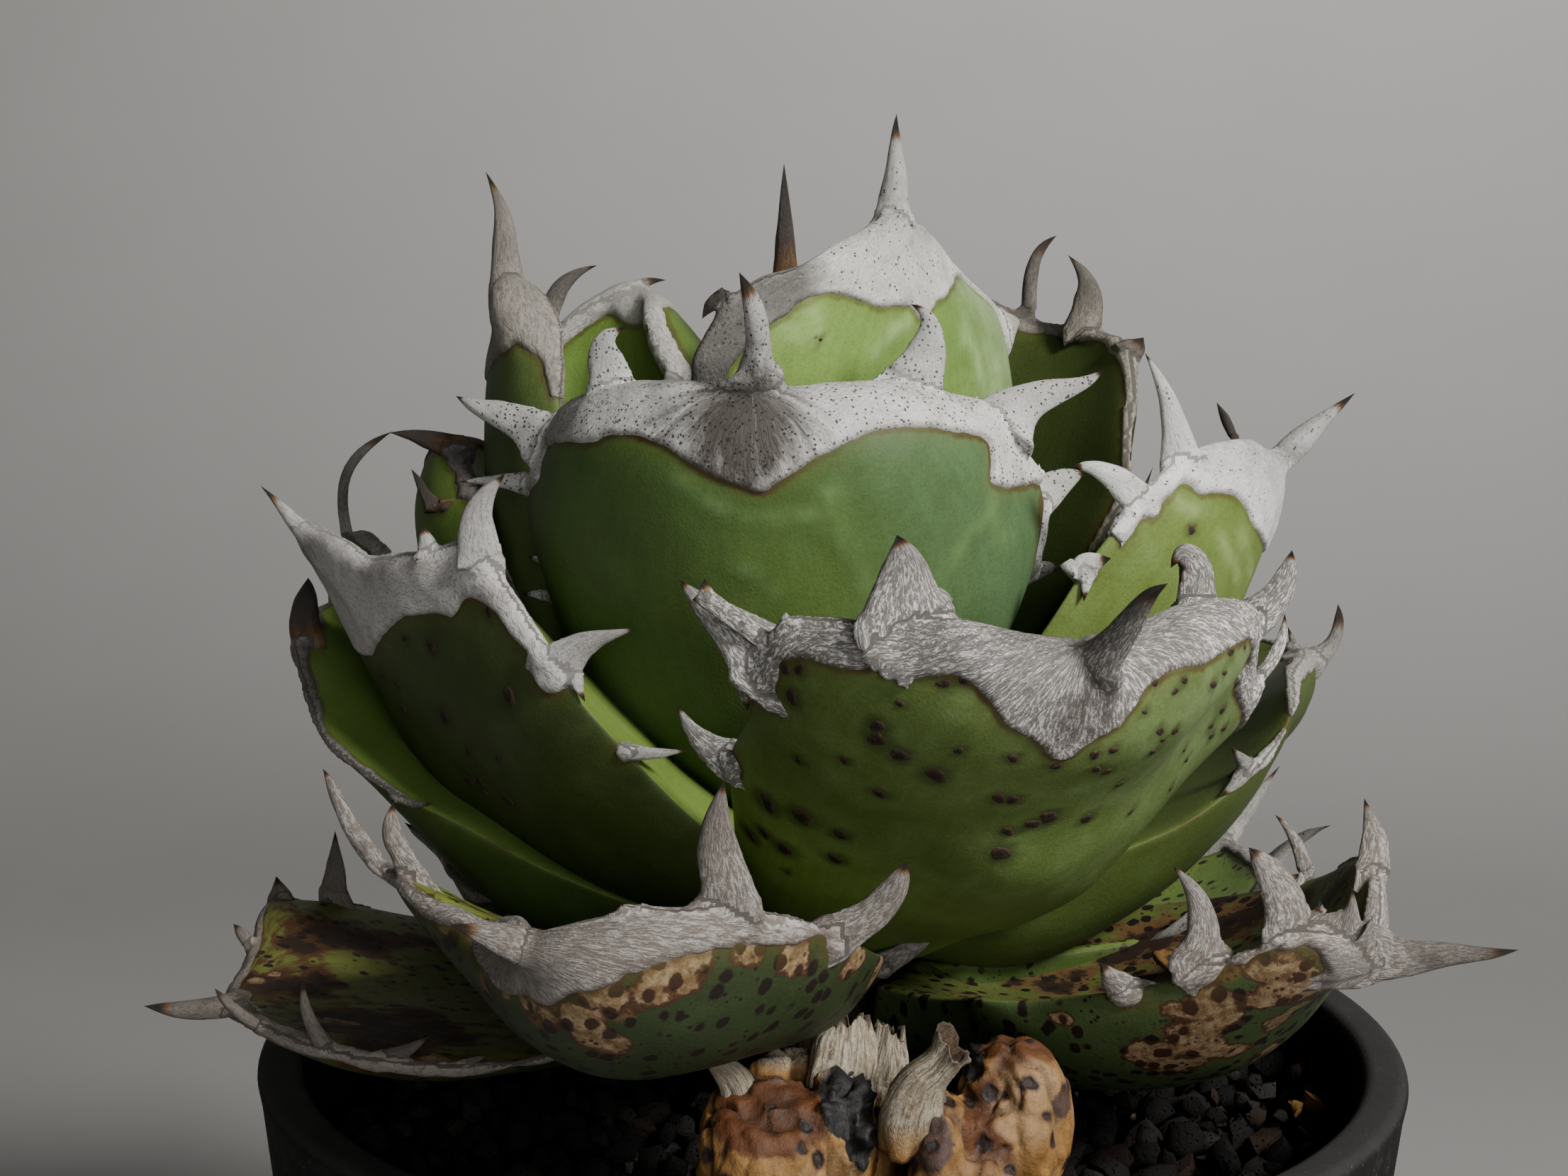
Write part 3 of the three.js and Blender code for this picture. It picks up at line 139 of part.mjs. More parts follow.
      [-28.1,39.6,167.5,-0.3,3.4,3.4,-31.7,38.1,169.2,-0.2,2.7,2.8,-35.3,37,172.6,-0.1,1.1,1.1,-38,36.3,177.3,0,0,0],
      [-25.9,31.3,159.9,-1.2,2.8,2.3,-29,29.4,161,-0.9,2.2,1.9,-31.9,27.7,162.9,-0.4,0.9,0.7,-34,25.9,165.3,0,0,0]] },
  leaf_middle_right: { color: '#4f7440', mid: [9.3,-17.3,143.1,8.9,-11.5,141.2,8.5,-5.4,140.3,7.9,0.7,140.2,7.3,6.8,141.1,6.6,12.6,142.9,5.8,18.1,145.5,26.5,-18.1,146.3,24.3,-11.2,143.6,21.8,-4,141.9,19.1,3.2,141.5,16.3,10.4,142.2,13.4,17.4,144.1,10.6,23.9,147.1,42.3,-14.8,151,38.2,-7.4,147,33.6,0.3,144.3,28.6,8.2,143.1,23.3,15.9,143.2,17.9,23.5,144.8,12.5,30.6,147.8,52.5,-10,156.9,47.8,-2.2,151.6,42.4,5.9,147.7,36.3,14.1,145.3,29.7,22.3,144.4,22.8,30.2,145.1,15.7,37.7,147.3,57.6,-6.4,162,53.6,2,156,48.7,10.8,151.3,43,19.8,148.1,36.6,28.6,146.4,29.7,37.3,146.3,22.4,45.4,147.8,59.3,-4,165.2,56.8,5.1,159.4,53.4,14.6,154.8,49.1,24.2,151.6,44,33.9,149.8,38.2,43.2,149.6,31.7,52.1,150.9,59.9,-1.1,166.7,59.1,8,161.7,57.3,17.5,157.8,54.7,27.3,155.3,51.2,37,154.1,47,46.5,154.3,42,55.4,155.8,60.7,3.7,167,61.2,11.8,163.2,60.8,20.3,160.5,59.6,29,158.8,57.7,37.7,158.3,55,46.2,159,51.5,54.3,160.8,62.5,10.6,166.9,63.5,16.7,164.5,64,23.2,162.7,63.7,29.8,161.9,62.9,36.4,161.8,61.4,42.9,162.7,59.3,49.1,164.3,65.4,19.4,166.6,66.2,22.8,165.3,66.7,26.4,164.5,66.7,30.1,164.2,66.5,33.8,164.3,65.8,37.4,164.9,64.9,40.8,165.9,68.2,30.1,165.3,68.2,30.1,165.3,68.2,30.1,165.3,68.2,30.1,165.3,68.2,30.1,165.3,68.2,30.1,165.3,68.2,30.1,165.3],
    out: [0.3,5.4,7.9,8.3,7.5,4.8,0.3,0.3,7.5,10.8,8.2,7,4.5,0.3,0.3,6.1,9.2,8.9,6.6,4.2,0.3,0.3,4.4,7.5,8.3,6.2,4,0.3,0.3,2.7,5.5,6.6,5.8,3.7,0.3,0.3,1.6,3.8,5.8,5.4,3.5,0.3,0.3,2.1,4.1,5.4,5.1,3.3,0.3,0.3,2.5,4,4.7,4.4,2.9,0.3,0.3,2.2,3.4,3.7,3.4,2.2,0.3,0.3,1.6,2.4,2.4,2.1,1.4,0.3,0.3,0.5,0.5,0.3,0.3,0.3,0.3],
    inn: [0,0.8,1.1,1.2,1.1,0.8,0,0,1,1.4,1.5,1.4,1,0,0,1.2,1.7,1.9,1.7,1.2,0,0,1.3,2,2.1,2,1.3,0,0,1.4,2.1,2.2,2.1,1.4,0,0,1.4,2,2.2,2,1.4,0,0,1.3,1.9,2.1,1.9,1.3,0,0,1.1,1.7,1.8,1.7,1.1,0,0,0.8,1.2,1.3,1.2,0.8,0,0,0.5,0.7,0.7,0.7,0.5,0,0,0,0,0,0,0,0],
    teeth: [[65.1,22,164.2,1.1,-0.3,-2.2,68.8,25.2,166.1,1,-0.3,-1.8,71.3,25.2,169.5,0.7,-0.1,-0.5,71.4,25.2,173.9,0,0,0],
      [64.4,17.4,165.7,0.9,0,0,64.7,16.9,165.6,1.2,0,0,64.1,16.1,160.4,0.8,0,-0.1,61.3,15.1,155.8,0,0,0],
      [50.6,-4.8,154.2,1.3,0.1,0.4,52,-10,158.9,1,0,0.2,50,-11.5,161.2,0,0,0],
      [50.6,-4.8,154.2,1.4,0,0.2,51.8,-10.2,157,1.1,0,0.1,48.5,-12.5,155,0,0,0],
      [49.9,52.6,158.8,4.3,-1.2,2.2,50,55.9,160.7,3.5,-1,1.8,49.6,58.8,163,1.4,-0.4,0.7,48.5,61,165.8,0,0,0],
      [32.1,49.5,150.1,3.1,1.7,1.2,30,53.2,150.9,2.5,1.4,1,29.1,58.2,153.4,1,0.6,0.4,30.2,63.5,157.6,0,0,0],
      [20.6,40.1,146.9,3,3.5,0.1,17.5,42.7,147.7,2.4,2.8,0.1,14.2,45.5,149.1,0.9,1.1,0,11.4,47.9,151.1,0,0,0]] },
  leaf_middle_back_left: { color: '#587c48', lean: true, mid: [3.2,18.3,143.3,0,14.1,140.4,-3.3,9.4,138.6,-6.7,4.5,138,-10,-0.4,138.6,-13.1,-5.3,140.3,-15.9,-9.8,143,-6,29.6,143.7,-10,24.1,141.2,-14.1,18.1,139.9,-17.9,11.8,140,-21.5,5.6,141.3,-24.7,-0.5,143.9,-27.3,-6.3,147.6,-15.1,40.3,144.7,-19.9,33.2,142.9,-24.4,25.8,142.4,-28.4,18.1,143.3,-32,10.5,145.6,-34.9,3.1,149.1,-37,-3.9,153.8,-24.9,49,146.4,-29.9,40.8,145.5,-34.2,32.2,146,-38,23.4,147.8,-41,14.8,150.9,-43.1,6.4,155.1,-44.5,-1.5,160.5,-35.1,55.5,149.1,-39.6,46.4,149.2,-43.4,37.2,150.6,-46.3,27.8,153.1,-48.4,18.6,156.7,-49.6,9.7,161.3,-49.9,1.3,166.9,-45,59.6,152.9,-48.7,50.2,153.9,-51.5,40.8,155.9,-53.4,31.4,158.8,-54.5,22.1,162.6,-54.7,13.2,167.2,-53.9,4.7,172.6,-54.1,60.7,158,-56.7,51.9,159.5,-58.4,43,161.7,-59.3,34.1,164.6,-59.4,25.5,168.1,-58.6,17.2,172.3,-57.1,9.3,177,-61.7,58.9,164,-63.1,51.3,165.5,-63.8,43.7,167.5,-63.9,36.2,170.1,-63.3,28.9,173,-62,21.9,176.3,-60.1,15.3,180.1,-67.1,54.5,170.3,-67.6,48.8,171.5,-67.7,43.2,173,-67.3,37.7,174.9,-66.4,32.4,177,-65,27.2,179.3,-63.2,22.4,181.9,-70,47.9,176.1,-70.2,44.8,176.7,-70,41.7,177.6,-69.6,38.7,178.6,-68.9,35.8,179.7,-68,33,181,-66.8,30.3,182.4,-70.7,39.1,180.4,-70.7,39.1,180.4,-70.7,39.1,180.4,-70.7,39.1,180.4,-70.7,39.1,180.4,-70.7,39.1,180.4,-70.7,39.1,180.4],
    out: [0,6.5,10,11,10,6.5,0,0,6.2,9.6,10.5,9.6,6.2,0,0,6,9.2,10.1,9.2,6,0,0,5.7,8.8,9.7,8.8,5.7,0,0,5.5,8.5,9.3,8.5,5.5,0,0,5.3,8.2,9,8.2,5.3,0,0,5.1,7.9,8.7,7.9,5.1,0,0,4.5,6.9,7.6,6.9,4.5,0,0,3.5,5.3,5.9,5.3,3.5,0,0,2.2,3.4,3.7,3.4,2.2,0,0,0,0,0,0,0,0],
    inn: [0,0.8,1.2,1.3,1.2,0.8,0,0,1,1.5,1.6,1.5,1,0,0,1.2,1.8,1.9,1.8,1.2,0,0,1.3,2,2.1,2,1.3,0,0,1.4,2.1,2.2,2.1,1.4,0,0,1.4,2,2.2,2,1.4,0,0,1.3,1.9,2,1.9,1.3,0,0,1.1,1.6,1.7,1.6,1.1,0,0,0.8,1.2,1.3,1.2,0.8,0,0,0.4,0.6,0.7,0.6,0.4,0,0,0,0,0,0,0,0],
    teeth: [[-69.1,44.9,174.7,1,0,-0.2,-70.9,39.1,182.6,0.9,-0.1,-0.4,-70,39.1,190.8,0.6,-0.1,-0.6,-63.7,39.1,196.1,0,0,0],
      [-56.7,58,159.8,-3.2,-0.6,2.4,-57.3,61.8,160.3,-2.6,-0.5,2,-59.2,65.3,162.1,-1,-0.2,0.8,-62.5,68.2,165,0,0,0],
      [-39.7,55,150.4,-3.6,1.6,1.3,-38.4,58.4,150.4,-2.9,1.3,1.1,-37.6,61.7,151.2,-1.1,0.5,0.4,-37,64.7,152.9,0,0,0],
      [-49.7,3.3,165.3,-2.5,1.6,3.2,-49.7,0.1,167.2,-2,1.3,2.6,-50.3,-2.6,169.6,-0.8,0.5,1,-51.5,-4.7,172.1,0,0,0]] },
  leaf_middle_left: { color: '#3d5638', mid: [-6.7,16.7,140.6,-7.2,11.4,138,-7.4,5.7,136.1,-7.5,-0.2,135.1,-7.4,-6.2,135,-7.1,-12.1,135.9,-6.5,-17.8,137.6,-13.6,21.1,144.1,-15.7,14.6,141.3,-17.5,7.8,139.4,-19,0.6,138.4,-20.2,-6.6,138.5,-21,-13.8,139.5,-21.5,-20.9,141.5,-19.5,26.6,147.6,-23.1,19.2,144.9,-26.3,11.3,143.2,-29.1,3.1,142.5,-31.5,-5.3,142.9,-33.5,-13.7,144.3,-34.9,-21.9,146.8,-25.7,31.7,151.4,-30.2,23.6,148.9,-34.3,15.1,147.5,-37.9,6.2,147.1,-41.1,-2.9,147.8,-43.6,-12,149.5,-45.6,-21,152.2,-32.7,35.7,155.7,-37.5,27.2,153.5,-41.8,18.4,152.2,-45.7,9.2,151.8,-49,-0.1,152.4,-51.8,-9.6,153.7,-54.1,-19.1,155.9,-40.5,37.8,160.5,-44.9,29.5,158.4,-48.9,20.8,157,-52.4,11.8,156.5,-55.5,2.6,156.7,-58.1,-6.7,157.6,-60.2,-16.1,159.2,-48.9,37.4,165.5,-52.5,29.8,163.3,-55.7,21.8,161.8,-58.4,13.6,161,-60.8,5.2,160.7,-63,-3.3,161,-64.7,-11.9,161.8,-56.9,34.5,169.8,-59.5,28.1,167.7,-61.7,21.5,166.1,-63.5,14.7,165,-65,7.7,164.4,-66.2,0.6,164.2,-67,-6.5,164.6,-63.9,29.4,172.7,-65.4,24.7,170.9,-66.7,19.9,169.4,-67.7,15,168.3,-68.5,9.9,167.5,-69,4.8,167.1,-69.2,-0.4,166.9,-69.2,22.7,173.5,-69.8,20.2,172.5,-70.4,17.6,171.6,-70.8,14.9,170.8,-71.1,12.2,170.2,-71.2,9.4,169.8,-71.2,6.6,169.6,-72.3,14.8,172,-72.3,14.8,172,-72.3,14.8,172,-72.3,14.8,172,-72.3,14.8,172,-72.3,14.8,172,-72.3,14.8,172],
    out: [0.3,5.3,8.2,9,8.2,5.3,0.3,0.3,4.8,7.4,8.2,7.6,5.1,0.3,0.3,4.4,6.7,7.6,8.8,6.9,0.3,0.3,3.9,6.1,7.5,8.6,5.6,0.3,0.3,3.6,5.5,6.9,6.8,3.7,0.3,0.3,3.2,4.9,5.6,4.6,1.9,0.3,0.3,2.9,4.5,4.8,2.9,1.2,0.3,0.3,2.3,3.5,3.8,2.4,0.9,0.3,0.3,1.6,2.5,2.7,1.4,0.3,0.3,0.3,1,1.5,1.6,0.7,0.3,0.3,0.3,0.3,0.3,0.3,0.3,0.3,0.3],
    inn: [0,0.8,1.2,1.3,1.2,0.8,0,0,1,1.5,1.6,1.5,1,0,0,1.2,1.8,1.9,1.8,1.2,0,0,1.4,2,2.1,2,1.4,0,0,1.4,2.1,2.2,2.1,1.4,0,0,1.4,2,2.1,2,1.4,0,0,1.2,1.8,1.9,1.8,1.2,0,0,1,1.5,1.6,1.5,1,0,0,0.7,1.1,1.1,1.1,0.7,0,0,0.4,0.6,0.6,0.6,0.4,0,0,0,0,0,0,0,0],
    teeth: [[-70,8.9,168.6,2.1,0.1,0.7,-70.4,7.4,171.4,2.2,0.1,0.6,-70.5,7.4,175.4,1.6,0.1,0.3,-70.1,7.4,179.2,0,0,0],
      [-69.9,4.6,167.9,0.4,0,-0.1,-69,1.5,166.7,0.5,0,0,-67,-0.1,164.2,0,0,0],
      [-53.5,-13.1,154.9,0.5,-0.1,-0.4,-53.4,-19.5,155.3,0.4,-0.1,-0.5,-49.5,-21.8,155.6,0,0,0],
      [-53.6,33.9,166.7,-4.1,-1.6,2.2,-53.6,37.2,168.9,-3.3,-1.3,1.8,-52.9,40.8,171.2,-1.3,-0.5,0.7,-51.1,44,173.2,0,0,0],
      [-39.2,35.2,158.4,-3.7,0.8,2.3,-37.8,38.8,159.7,-3,0.6,1.9,-36.6,42.8,161.3,-1.2,0.2,0.7,-35.9,46.4,163,0,0,0],
      [-29.5,31.3,152.4,-3.7,2.2,2.2,-27.2,34.4,153.1,-3,1.8,1.8,-24.9,37.3,154.1,-1.2,0.7,0.7,-22.8,39.8,155.3,0,0,0]] },
  leaf_lower_back_right: { color: '#557a47', lean: true, mid: [17.9,-4.6,138.8,13.9,-1,136.2,9.5,2.7,134.5,4.8,6.4,134,0,9.9,134.5,-4.8,13.1,136.2,-9.3,16,138.8,28,1.8,142.7,23.2,6.4,139.2,17.8,11.2,137.1,11.9,15.8,136.4,5.8,20.2,137.1,-0.2,24.1,139.2,-6,27.4,142.7,37.3,7.1,147.2,31.8,12.9,142.9,25.5,18.8,140.2,18.4,24.5,139.3,11.1,29.6,140.2,3.7,34.2,142.9,-3.5,37.8,147.2,44.6,12.1,151.8,38.9,19,147,32.1,25.8,144,24.3,32.2,143,16,37.9,144,7.5,42.7,147,-0.7,46.2,151.8,49.7,17,156.4,44.3,24.7,151.5,37.4,32.2,148.4,29.4,39,147.4,20.6,44.9,148.4,11.5,49.4,151.5,2.6,52.4,156.4,52.8,21.8,160.7,48,30,156.2,41.5,37.8,153.3,33.7,44.7,152.3,24.9,50.3,153.3,15.6,54.4,156.2,6.5,56.7,160.7,53.9,27.4,164.6,49.9,35.3,160.7,44.2,42.8,158.3,37.1,49.2,157.5,28.9,54.3,158.3,20.2,57.7,160.7,11.5,59.3,164.6,53.2,33.8,167.9,50.2,40.7,165,45.6,47.2,163.1,39.7,52.6,162.5,32.8,56.8,163.1,25.3,59.5,165,17.8,60.4,167.9,51.1,41,170.5,49.1,46.3,168.5,45.9,51.1,167.3,41.5,55.1,166.9,36.4,58.2,167.3,30.9,60,168.5,25.3,60.5,170.5,47.9,49,172.1,46.9,51.9,171.1,45.1,54.5,170.5,42.8,56.8,170.3,40,58.4,170.5,36.9,59.3,171.1,33.9,59.5,172.1,43.3,57.5,172,43.3,57.5,172,43.3,57.5,172,43.3,57.5,172,43.3,57.5,172,43.3,57.5,172,43.3,57.5,172],
    out: [0,5.3,8.2,9,8.2,5.3,0,0,5,7.8,8.5,7.8,5,0,0,4.8,7.4,8.1,7.4,4.8,0,0,4.5,7,7.7,7,4.5,0,0,4.3,6.7,7.3,6.7,4.3,0,0,4.1,6.4,7,6.4,4.1,0,0,3.9,6.1,6.7,6.1,3.9,0,0,3.4,5.2,5.7,5.2,3.4,0,0,2.6,4,4.4,4,2.6,0,0,1.6,2.5,2.7,2.5,1.6,0,0,0,0,0,0,0,0],
    inn: [0,0.8,1.2,1.2,1.2,0.8,0,0,1,1.5,1.6,1.5,1,0,0,1.2,1.8,1.9,1.8,1.2,0,0,1.3,2,2.1,2,1.3,0,0,1.4,2.1,2.2,2.1,1.4,0,0,1.4,2,2.2,2,1.4,0,0,1.3,1.9,2,1.9,1.3,0,0,1.1,1.6,1.7,1.6,1.1,0,0,0.8,1.1,1.2,1.1,0.8,0,0,0.4,0.6,0.7,0.6,0.4,0,0,0,0,0,0,0,0],
    teeth: [[41.6,55.2,165.5,-3.6,2.7,0,42.8,56.9,168.9,-3.6,2.7,0,45,59.5,174.6,-2.3,1.7,0,48.4,63,183.3,-0.7,0.5,0,50.9,65,189.2,0,0,0],
      [51.9,37.9,166.9,-1,3.6,1.3,52.6,37,170.5,-0.8,2.9,1.1,53.5,36.5,173.9,-0.3,1.1,0.4,54.8,36.1,176.8,0,0,0],
      [52.1,25.3,160.6,0.9,3.6,2.6,54,23,163,0.7,2.9,2.1,55.2,20,164.9,0.3,1.1,0.8,55.6,16.3,166.2,0,0,0],
      [47.3,17.5,154,2.6,2.8,2.6,49,14.6,155.6,2.1,2.2,2.1,51,12.4,157.6,0.8,0.9,0.8,53.1,10.9,159.8,0,0,0],
      [17.2,59.7,165,4.9,0.6,2.3,15.4,60.6,168.6,4,0.5,1.9,14.6,61.1,173.4,1.6,0.2,0.7,15.8,60.9,178.9,0,0,0],
      [10.4,57.4,160.9,2.8,1.4,2.2,7.6,58.9,163.9,2.2,1.2,1.8,4.9,61.2,167.5,0.9,0.5,0.7,2.7,64,170.6,0,0,0],
      [4.9,52.1,155.5,2.3,3.4,2.9,1.1,52.9,157.4,1.9,2.7,2.4,-3.8,52.9,160.1,0.7,1.1,0.9,-8.2,51.4,162.9,0,0,0],
      [0.6,43.2,149.3,1.3,3.7,2.1,-2.7,43.6,150.7,1.1,3,1.7,-5.6,43.7,152.1,0.4,1.2,0.7,-8.1,43.2,153.6,0,0,0]] },
  leaf_lower_back_left: { color: '#4f7040', lean: true, mid: [14.8,11.2,137.8,9.5,10.3,135.2,3.9,9.1,133.6,-1.9,7.8,133,-7.7,6.2,133.6,-13.2,4.6,135.2,-18.3,2.9,137.8,16,22.5,141.3,9.5,21.6,137.9,2.5,20.3,135.8,-4.7,18.7,135.1,-11.8,16.8,135.8,-18.5,14.6,137.9,-24.7,12.3,141.3,17.5,32.6,145.4,9.8,32,141.2,1.4,30.7,138.6,-7.2,28.8,137.7,-15.7,26.4,138.6,-23.6,23.6,141.2,-30.8,20.5,145.4,18.1,41,149.7,9.5,40.9,145,0.1,39.9,142,-9.5,37.9,141.1,-18.8,35.1,142,-27.6,31.7,145,-35.3,27.7,149.7,17.5,47.8,153.9,8.4,48.4,149.1,-1.4,47.8,146.1,-11.4,45.9,145.1,-21.2,42.8,146.1,-30.2,38.8,149.1,-37.9,34,153.9,15.7,53.2,157.9,6.7,54.5,153.4,-3.1,54.3,150.6,-13.1,52.5,149.7,-22.7,49.4,150.6,-31.5,45,153.4,-38.8,39.6,157.9,12.2,57.4,161.5,3.8,59.2,157.7,-5.2,59.4,155.3,-14.4,57.9,154.5,-23.3,54.9,155.3,-31.2,50.5,157.7,-37.7,44.9,161.5,7,60.8,164.5,-0.1,62.7,161.6,-7.7,63.1,159.8,-15.5,62,159.1,-22.8,59.4,159.8,-29.4,55.4,161.6,-34.7,50.4,164.5,0.2,63.7,166.8,-4.9,65.4,164.9,-10.5,65.8,163.7,-16.2,65,163.2,-21.6,63,163.7,-26.3,60,164.9,-30.1,56.2,166.8,-7.7,66.2,168.2,-10.5,67.1,167.2,-13.6,67.4,166.6,-16.7,67,166.4,-19.6,65.9,166.6,-22.2,64.2,167.2,-24.2,62,168.2,-16.9,67.9,168,-16.9,67.9,168,-16.9,67.9,168,-16.9,67.9,168,-16.9,67.9,168,-16.9,67.9,168,-16.9,67.9,168],
    out: [0,5.3,8.2,9,8.2,5.3,0,0,5,7.8,8.5,7.8,5,0,0,4.8,7.4,8.1,7.4,4.8,0,0,4.5,7,7.7,7,4.5,0,0,4.3,6.7,7.3,6.7,4.3,0,0,4.1,6.4,7,6.4,4.1,0,0,3.9,6.1,6.7,6.1,3.9,0,0,3.4,5.2,5.7,5.2,3.4,0,0,2.6,4,4.4,4,2.6,0,0,1.6,2.5,2.7,2.5,1.6,0,0,0,0,0,0,0,0],
    inn: [0,0.8,1.2,1.3,1.2,0.8,0,0,1,1.5,1.6,1.5,1,0,0,1.2,1.8,1.9,1.8,1.2,0,0,1.3,2,2.1,2,1.3,0,0,1.4,2.1,2.2,2.1,1.4,0,0,1.4,2,2.2,2,1.4,0,0,1.3,1.9,2,1.9,1.3,0,0,1.1,1.6,1.7,1.6,1.1,0,0,0.8,1.1,1.2,1.1,0.8,0,0,0.4,0.6,0.7,0.6,0.4,0,0,0,0,0,0,0,0],
    teeth: [[-16.2,65,161.7,-5.3,-1.3,0,-16.7,67.1,165.1,-5.3,-1.3,0,-17.4,70.4,169.7,-3.3,-0.8,0,-18.3,76.3,176,-0.9,-0.2,0,-18.8,80.9,179.8,0,0,0],
      [6.4,60.4,162,-3.5,1.9,1.6,8.2,60.7,166,-2.9,1.6,1.3,9.6,60.7,171.3,-1.1,0.6,0.5,9.9,60.1,176.6,0,0,0],
      [13.3,53.8,157,-1.6,2.6,2.1,17,53.7,159.7,-1.3,2.1,1.7,21.9,52.7,162.9,-0.5,0.8,0.7,26.1,50.8,165.9,0,0,0],
      [15.5,46.7,151.8,-0.6,4.2,2.8,19.4,46.2,153.9,-0.5,3.4,2.2,23.4,46.1,158,-0.2,1.3,0.9,26.1,46.1,163.5,0,0,0],
      [15.8,39.4,147.5,0.2,3.7,1.9,19.2,38.5,149,0.1,3,1.6,22.5,38.2,150.8,0.1,1.2,0.6,25.4,38.9,153.1,0,0,0],
      [-32.3,53,163.2,2.9,3.7,1.6,-33.6,52.4,167.2,2.3,3,1.3,-34.1,51.5,172.3,0.9,1.2,0.5,-33.2,50.5,177.3,0,0,0],
      [-36.9,42.2,157.6,0.6,3.8,2.6,-39.4,41.1,160.1,0.5,3.1,2.1,-41.2,41,163.3,0.2,1.2,0.8,-42.1,41.6,167.3,0,0,0],
      [-36,34.9,152.5,-0.9,3,2.1,-39.2,32.5,154.5,-0.8,2.4,1.7,-43.5,30.6,157.8,-0.3,0.9,0.7,-47.7,30.9,162.3,0,0,0],
      [-33,28.4,148.2,-1.9,3.3,2.1,-35.6,26.2,149.6,-1.5,2.7,1.7,-38.6,25.3,151.4,-0.6,1.1,0.7,-42,25.6,153.4,0,0,0]] },
  leaf_bottom_front_left: { color: '#45624a', mid: [-21.2,9.4,127.4,-16.5,4.2,128,-11.9,-1,128.8,-7.2,-6.1,129.8,-2.5,-11.2,131.1,2.1,-16.1,132.6,6.7,-21,134.4,-36.4,-2.3,133.3,-29.7,-6.9,132.6,-22.8,-11.5,132.5,-15.9,-15.9,133,-9,-20,134.2,-2.1,-24,136.2,4.8,-27.8,138.7,-47.3,-18.7,140,-38.8,-21.6,137.7,-29.9,-24.4,136.3,-20.9,-27,136.1,-12.1,-29.3,136.6,-3.6,-31.3,138.1,4.5,-33,140.5,-50.6,-34.7,148.3,-41.9,-36.2,143.5,-32.5,-37.4,140.4,-22.6,-38.2,138.8,-12.9,-38.7,138.5,-3.8,-38.8,139.5,4.7,-38.5,141.8,-50.2,-46.8,153.6,-41.8,-47.9,147.8,-32.4,-48.5,143.7,-22.5,-48.6,141.4,-12.7,-48.3,140.5,-3.5,-47.5,141.3,4.9,-46.2,143.8,-48.7,-54.7,155.5,-40.7,-56.3,150.2,-31.6,-57.5,146.3,-22,-58,143.9,-12.7,-58,143,-3.9,-57.4,144.1,4.1,-56.1,147.2,-45.4,-59.4,154.8,-38.7,-62,150.9,-30.7,-64.3,148.1,-22.4,-66.2,146.6,-14.1,-67.4,146.4,-6.2,-67.8,148.3,1,-67.3,152,-38.6,-62.7,152.8,-35,-66.2,150.8,-30.1,-69.6,149.7,-24.2,-72.7,149.5,-18,-75.2,150.3,-12,-76.7,153,-6.7,-77.1,157.3,-35.4,-67.2,154.2,-33.5,-70.5,152.6,-30.7,-74,151.8,-27.3,-77.3,152,-23.5,-79.9,153.3,-19.8,-81.7,155.8,-16.6,-82.4,159.4,-33.6,-73.6,155.7,-33,-75.7,154.4,-31.8,-77.8,153.8,-30.3,-79.9,154,-28.6,-81.6,154.9,-26.9,-82.7,156.5,-25.4,-83.1,158.6,-31.9,-81,154.9,-31.9,-81,154.9,-31.9,-81,154.9,-31.9,-81,154.9,-31.9,-81,154.9,-31.9,-81,154.9,-31.9,-81,154.9],
    out: [0.3,2.8,4.3,4.7,4.3,2.8,0.3,0.3,2.9,4.8,5.3,4.8,3.1,0.3,0.3,3,4.6,5.8,5.3,3.6,0.3,0.3,3.5,4.2,6.2,5.3,4.6,0.3,0.3,2.6,5,6.8,5.3,4.3,0.3,0.3,2.8,6.6,7.8,5.7,4,0.3,0.3,3.4,7.3,8.4,6.2,3.6,0.3,0.3,3.3,6.7,7.7,5.8,2.9,0.3,0.3,2.9,5.7,6.3,4.9,3,0.3,0.3,2,3.1,3.4,3.1,2,0.3,0.3,0.3,0.3,0.3,0.3,0.3,0.3],
    inn: [0,1,1.4,1.5,1.4,1,0,0,1.1,1.7,1.8,1.7,1.1,0,0,1.3,1.9,2,1.9,1.3,0,0,1.4,2,2.2,2,1.4,0,0,1.4,2.1,2.2,2.1,1.4,0,0,1.3,1.9,2.1,1.9,1.3,0,0,1.2,1.7,1.8,1.7,1.2,0,0,0.9,1.4,1.5,1.4,0.9,0,0,0.7,1,1,1,0.7,0,0,0.4,0.5,0.6,0.5,0.4,0,0,0,0,0,0,0,0],
    teeth: [[-44.9,-51.3,151.2,1,0,0,-52.2,-50.1,156.5,1.2,0,0.2,-55.5,-48.5,160.8,0.8,0,0.2,-58.1,-46.5,165.5,0,0,0],
      [-43.5,-57.3,152.4,1.5,0.1,0.4,-47.6,-56,157.6,1.4,0,0.3,-49,-55.2,160.6,1,0,0,-49,-54.2,163.7,0,0,0],
      [-32.3,-74.3,153,0.7,-0.3,-2,-31.6,-81.7,155.7,0.6,-0.3,-2,-34.9,-85,158,0.2,-0.2,-1.2,-38,-89,160.2,0,0,0],
      [-14.5,-80.3,156.3,3.4,-0.1,-0.5,-11.9,-80.6,160.9,3.1,-0.1,-0.4,-12.9,-81,166.8,1.7,-0.1,-0.4,-12.3,-81.5,172.6,0,0,0],
      [-5.3,-71.4,151.5,1.9,-0.3,-1.8,-0.1,-71.3,154.6,1.9,-0.2,-1.5,3.8,-71.8,157.9,1.4,-0.1,-0.7,5.9,-72.2,162.2,0,0,0],
      [2.6,-21.1,134.9,1.2,-0.2,-1.1,6.4,-23.8,136.4,1.2,-0.2,-1.1,10.2,-24.2,139,0.7,-0.1,-0.6,13.6,-24.7,141.9,0,0,0]] },
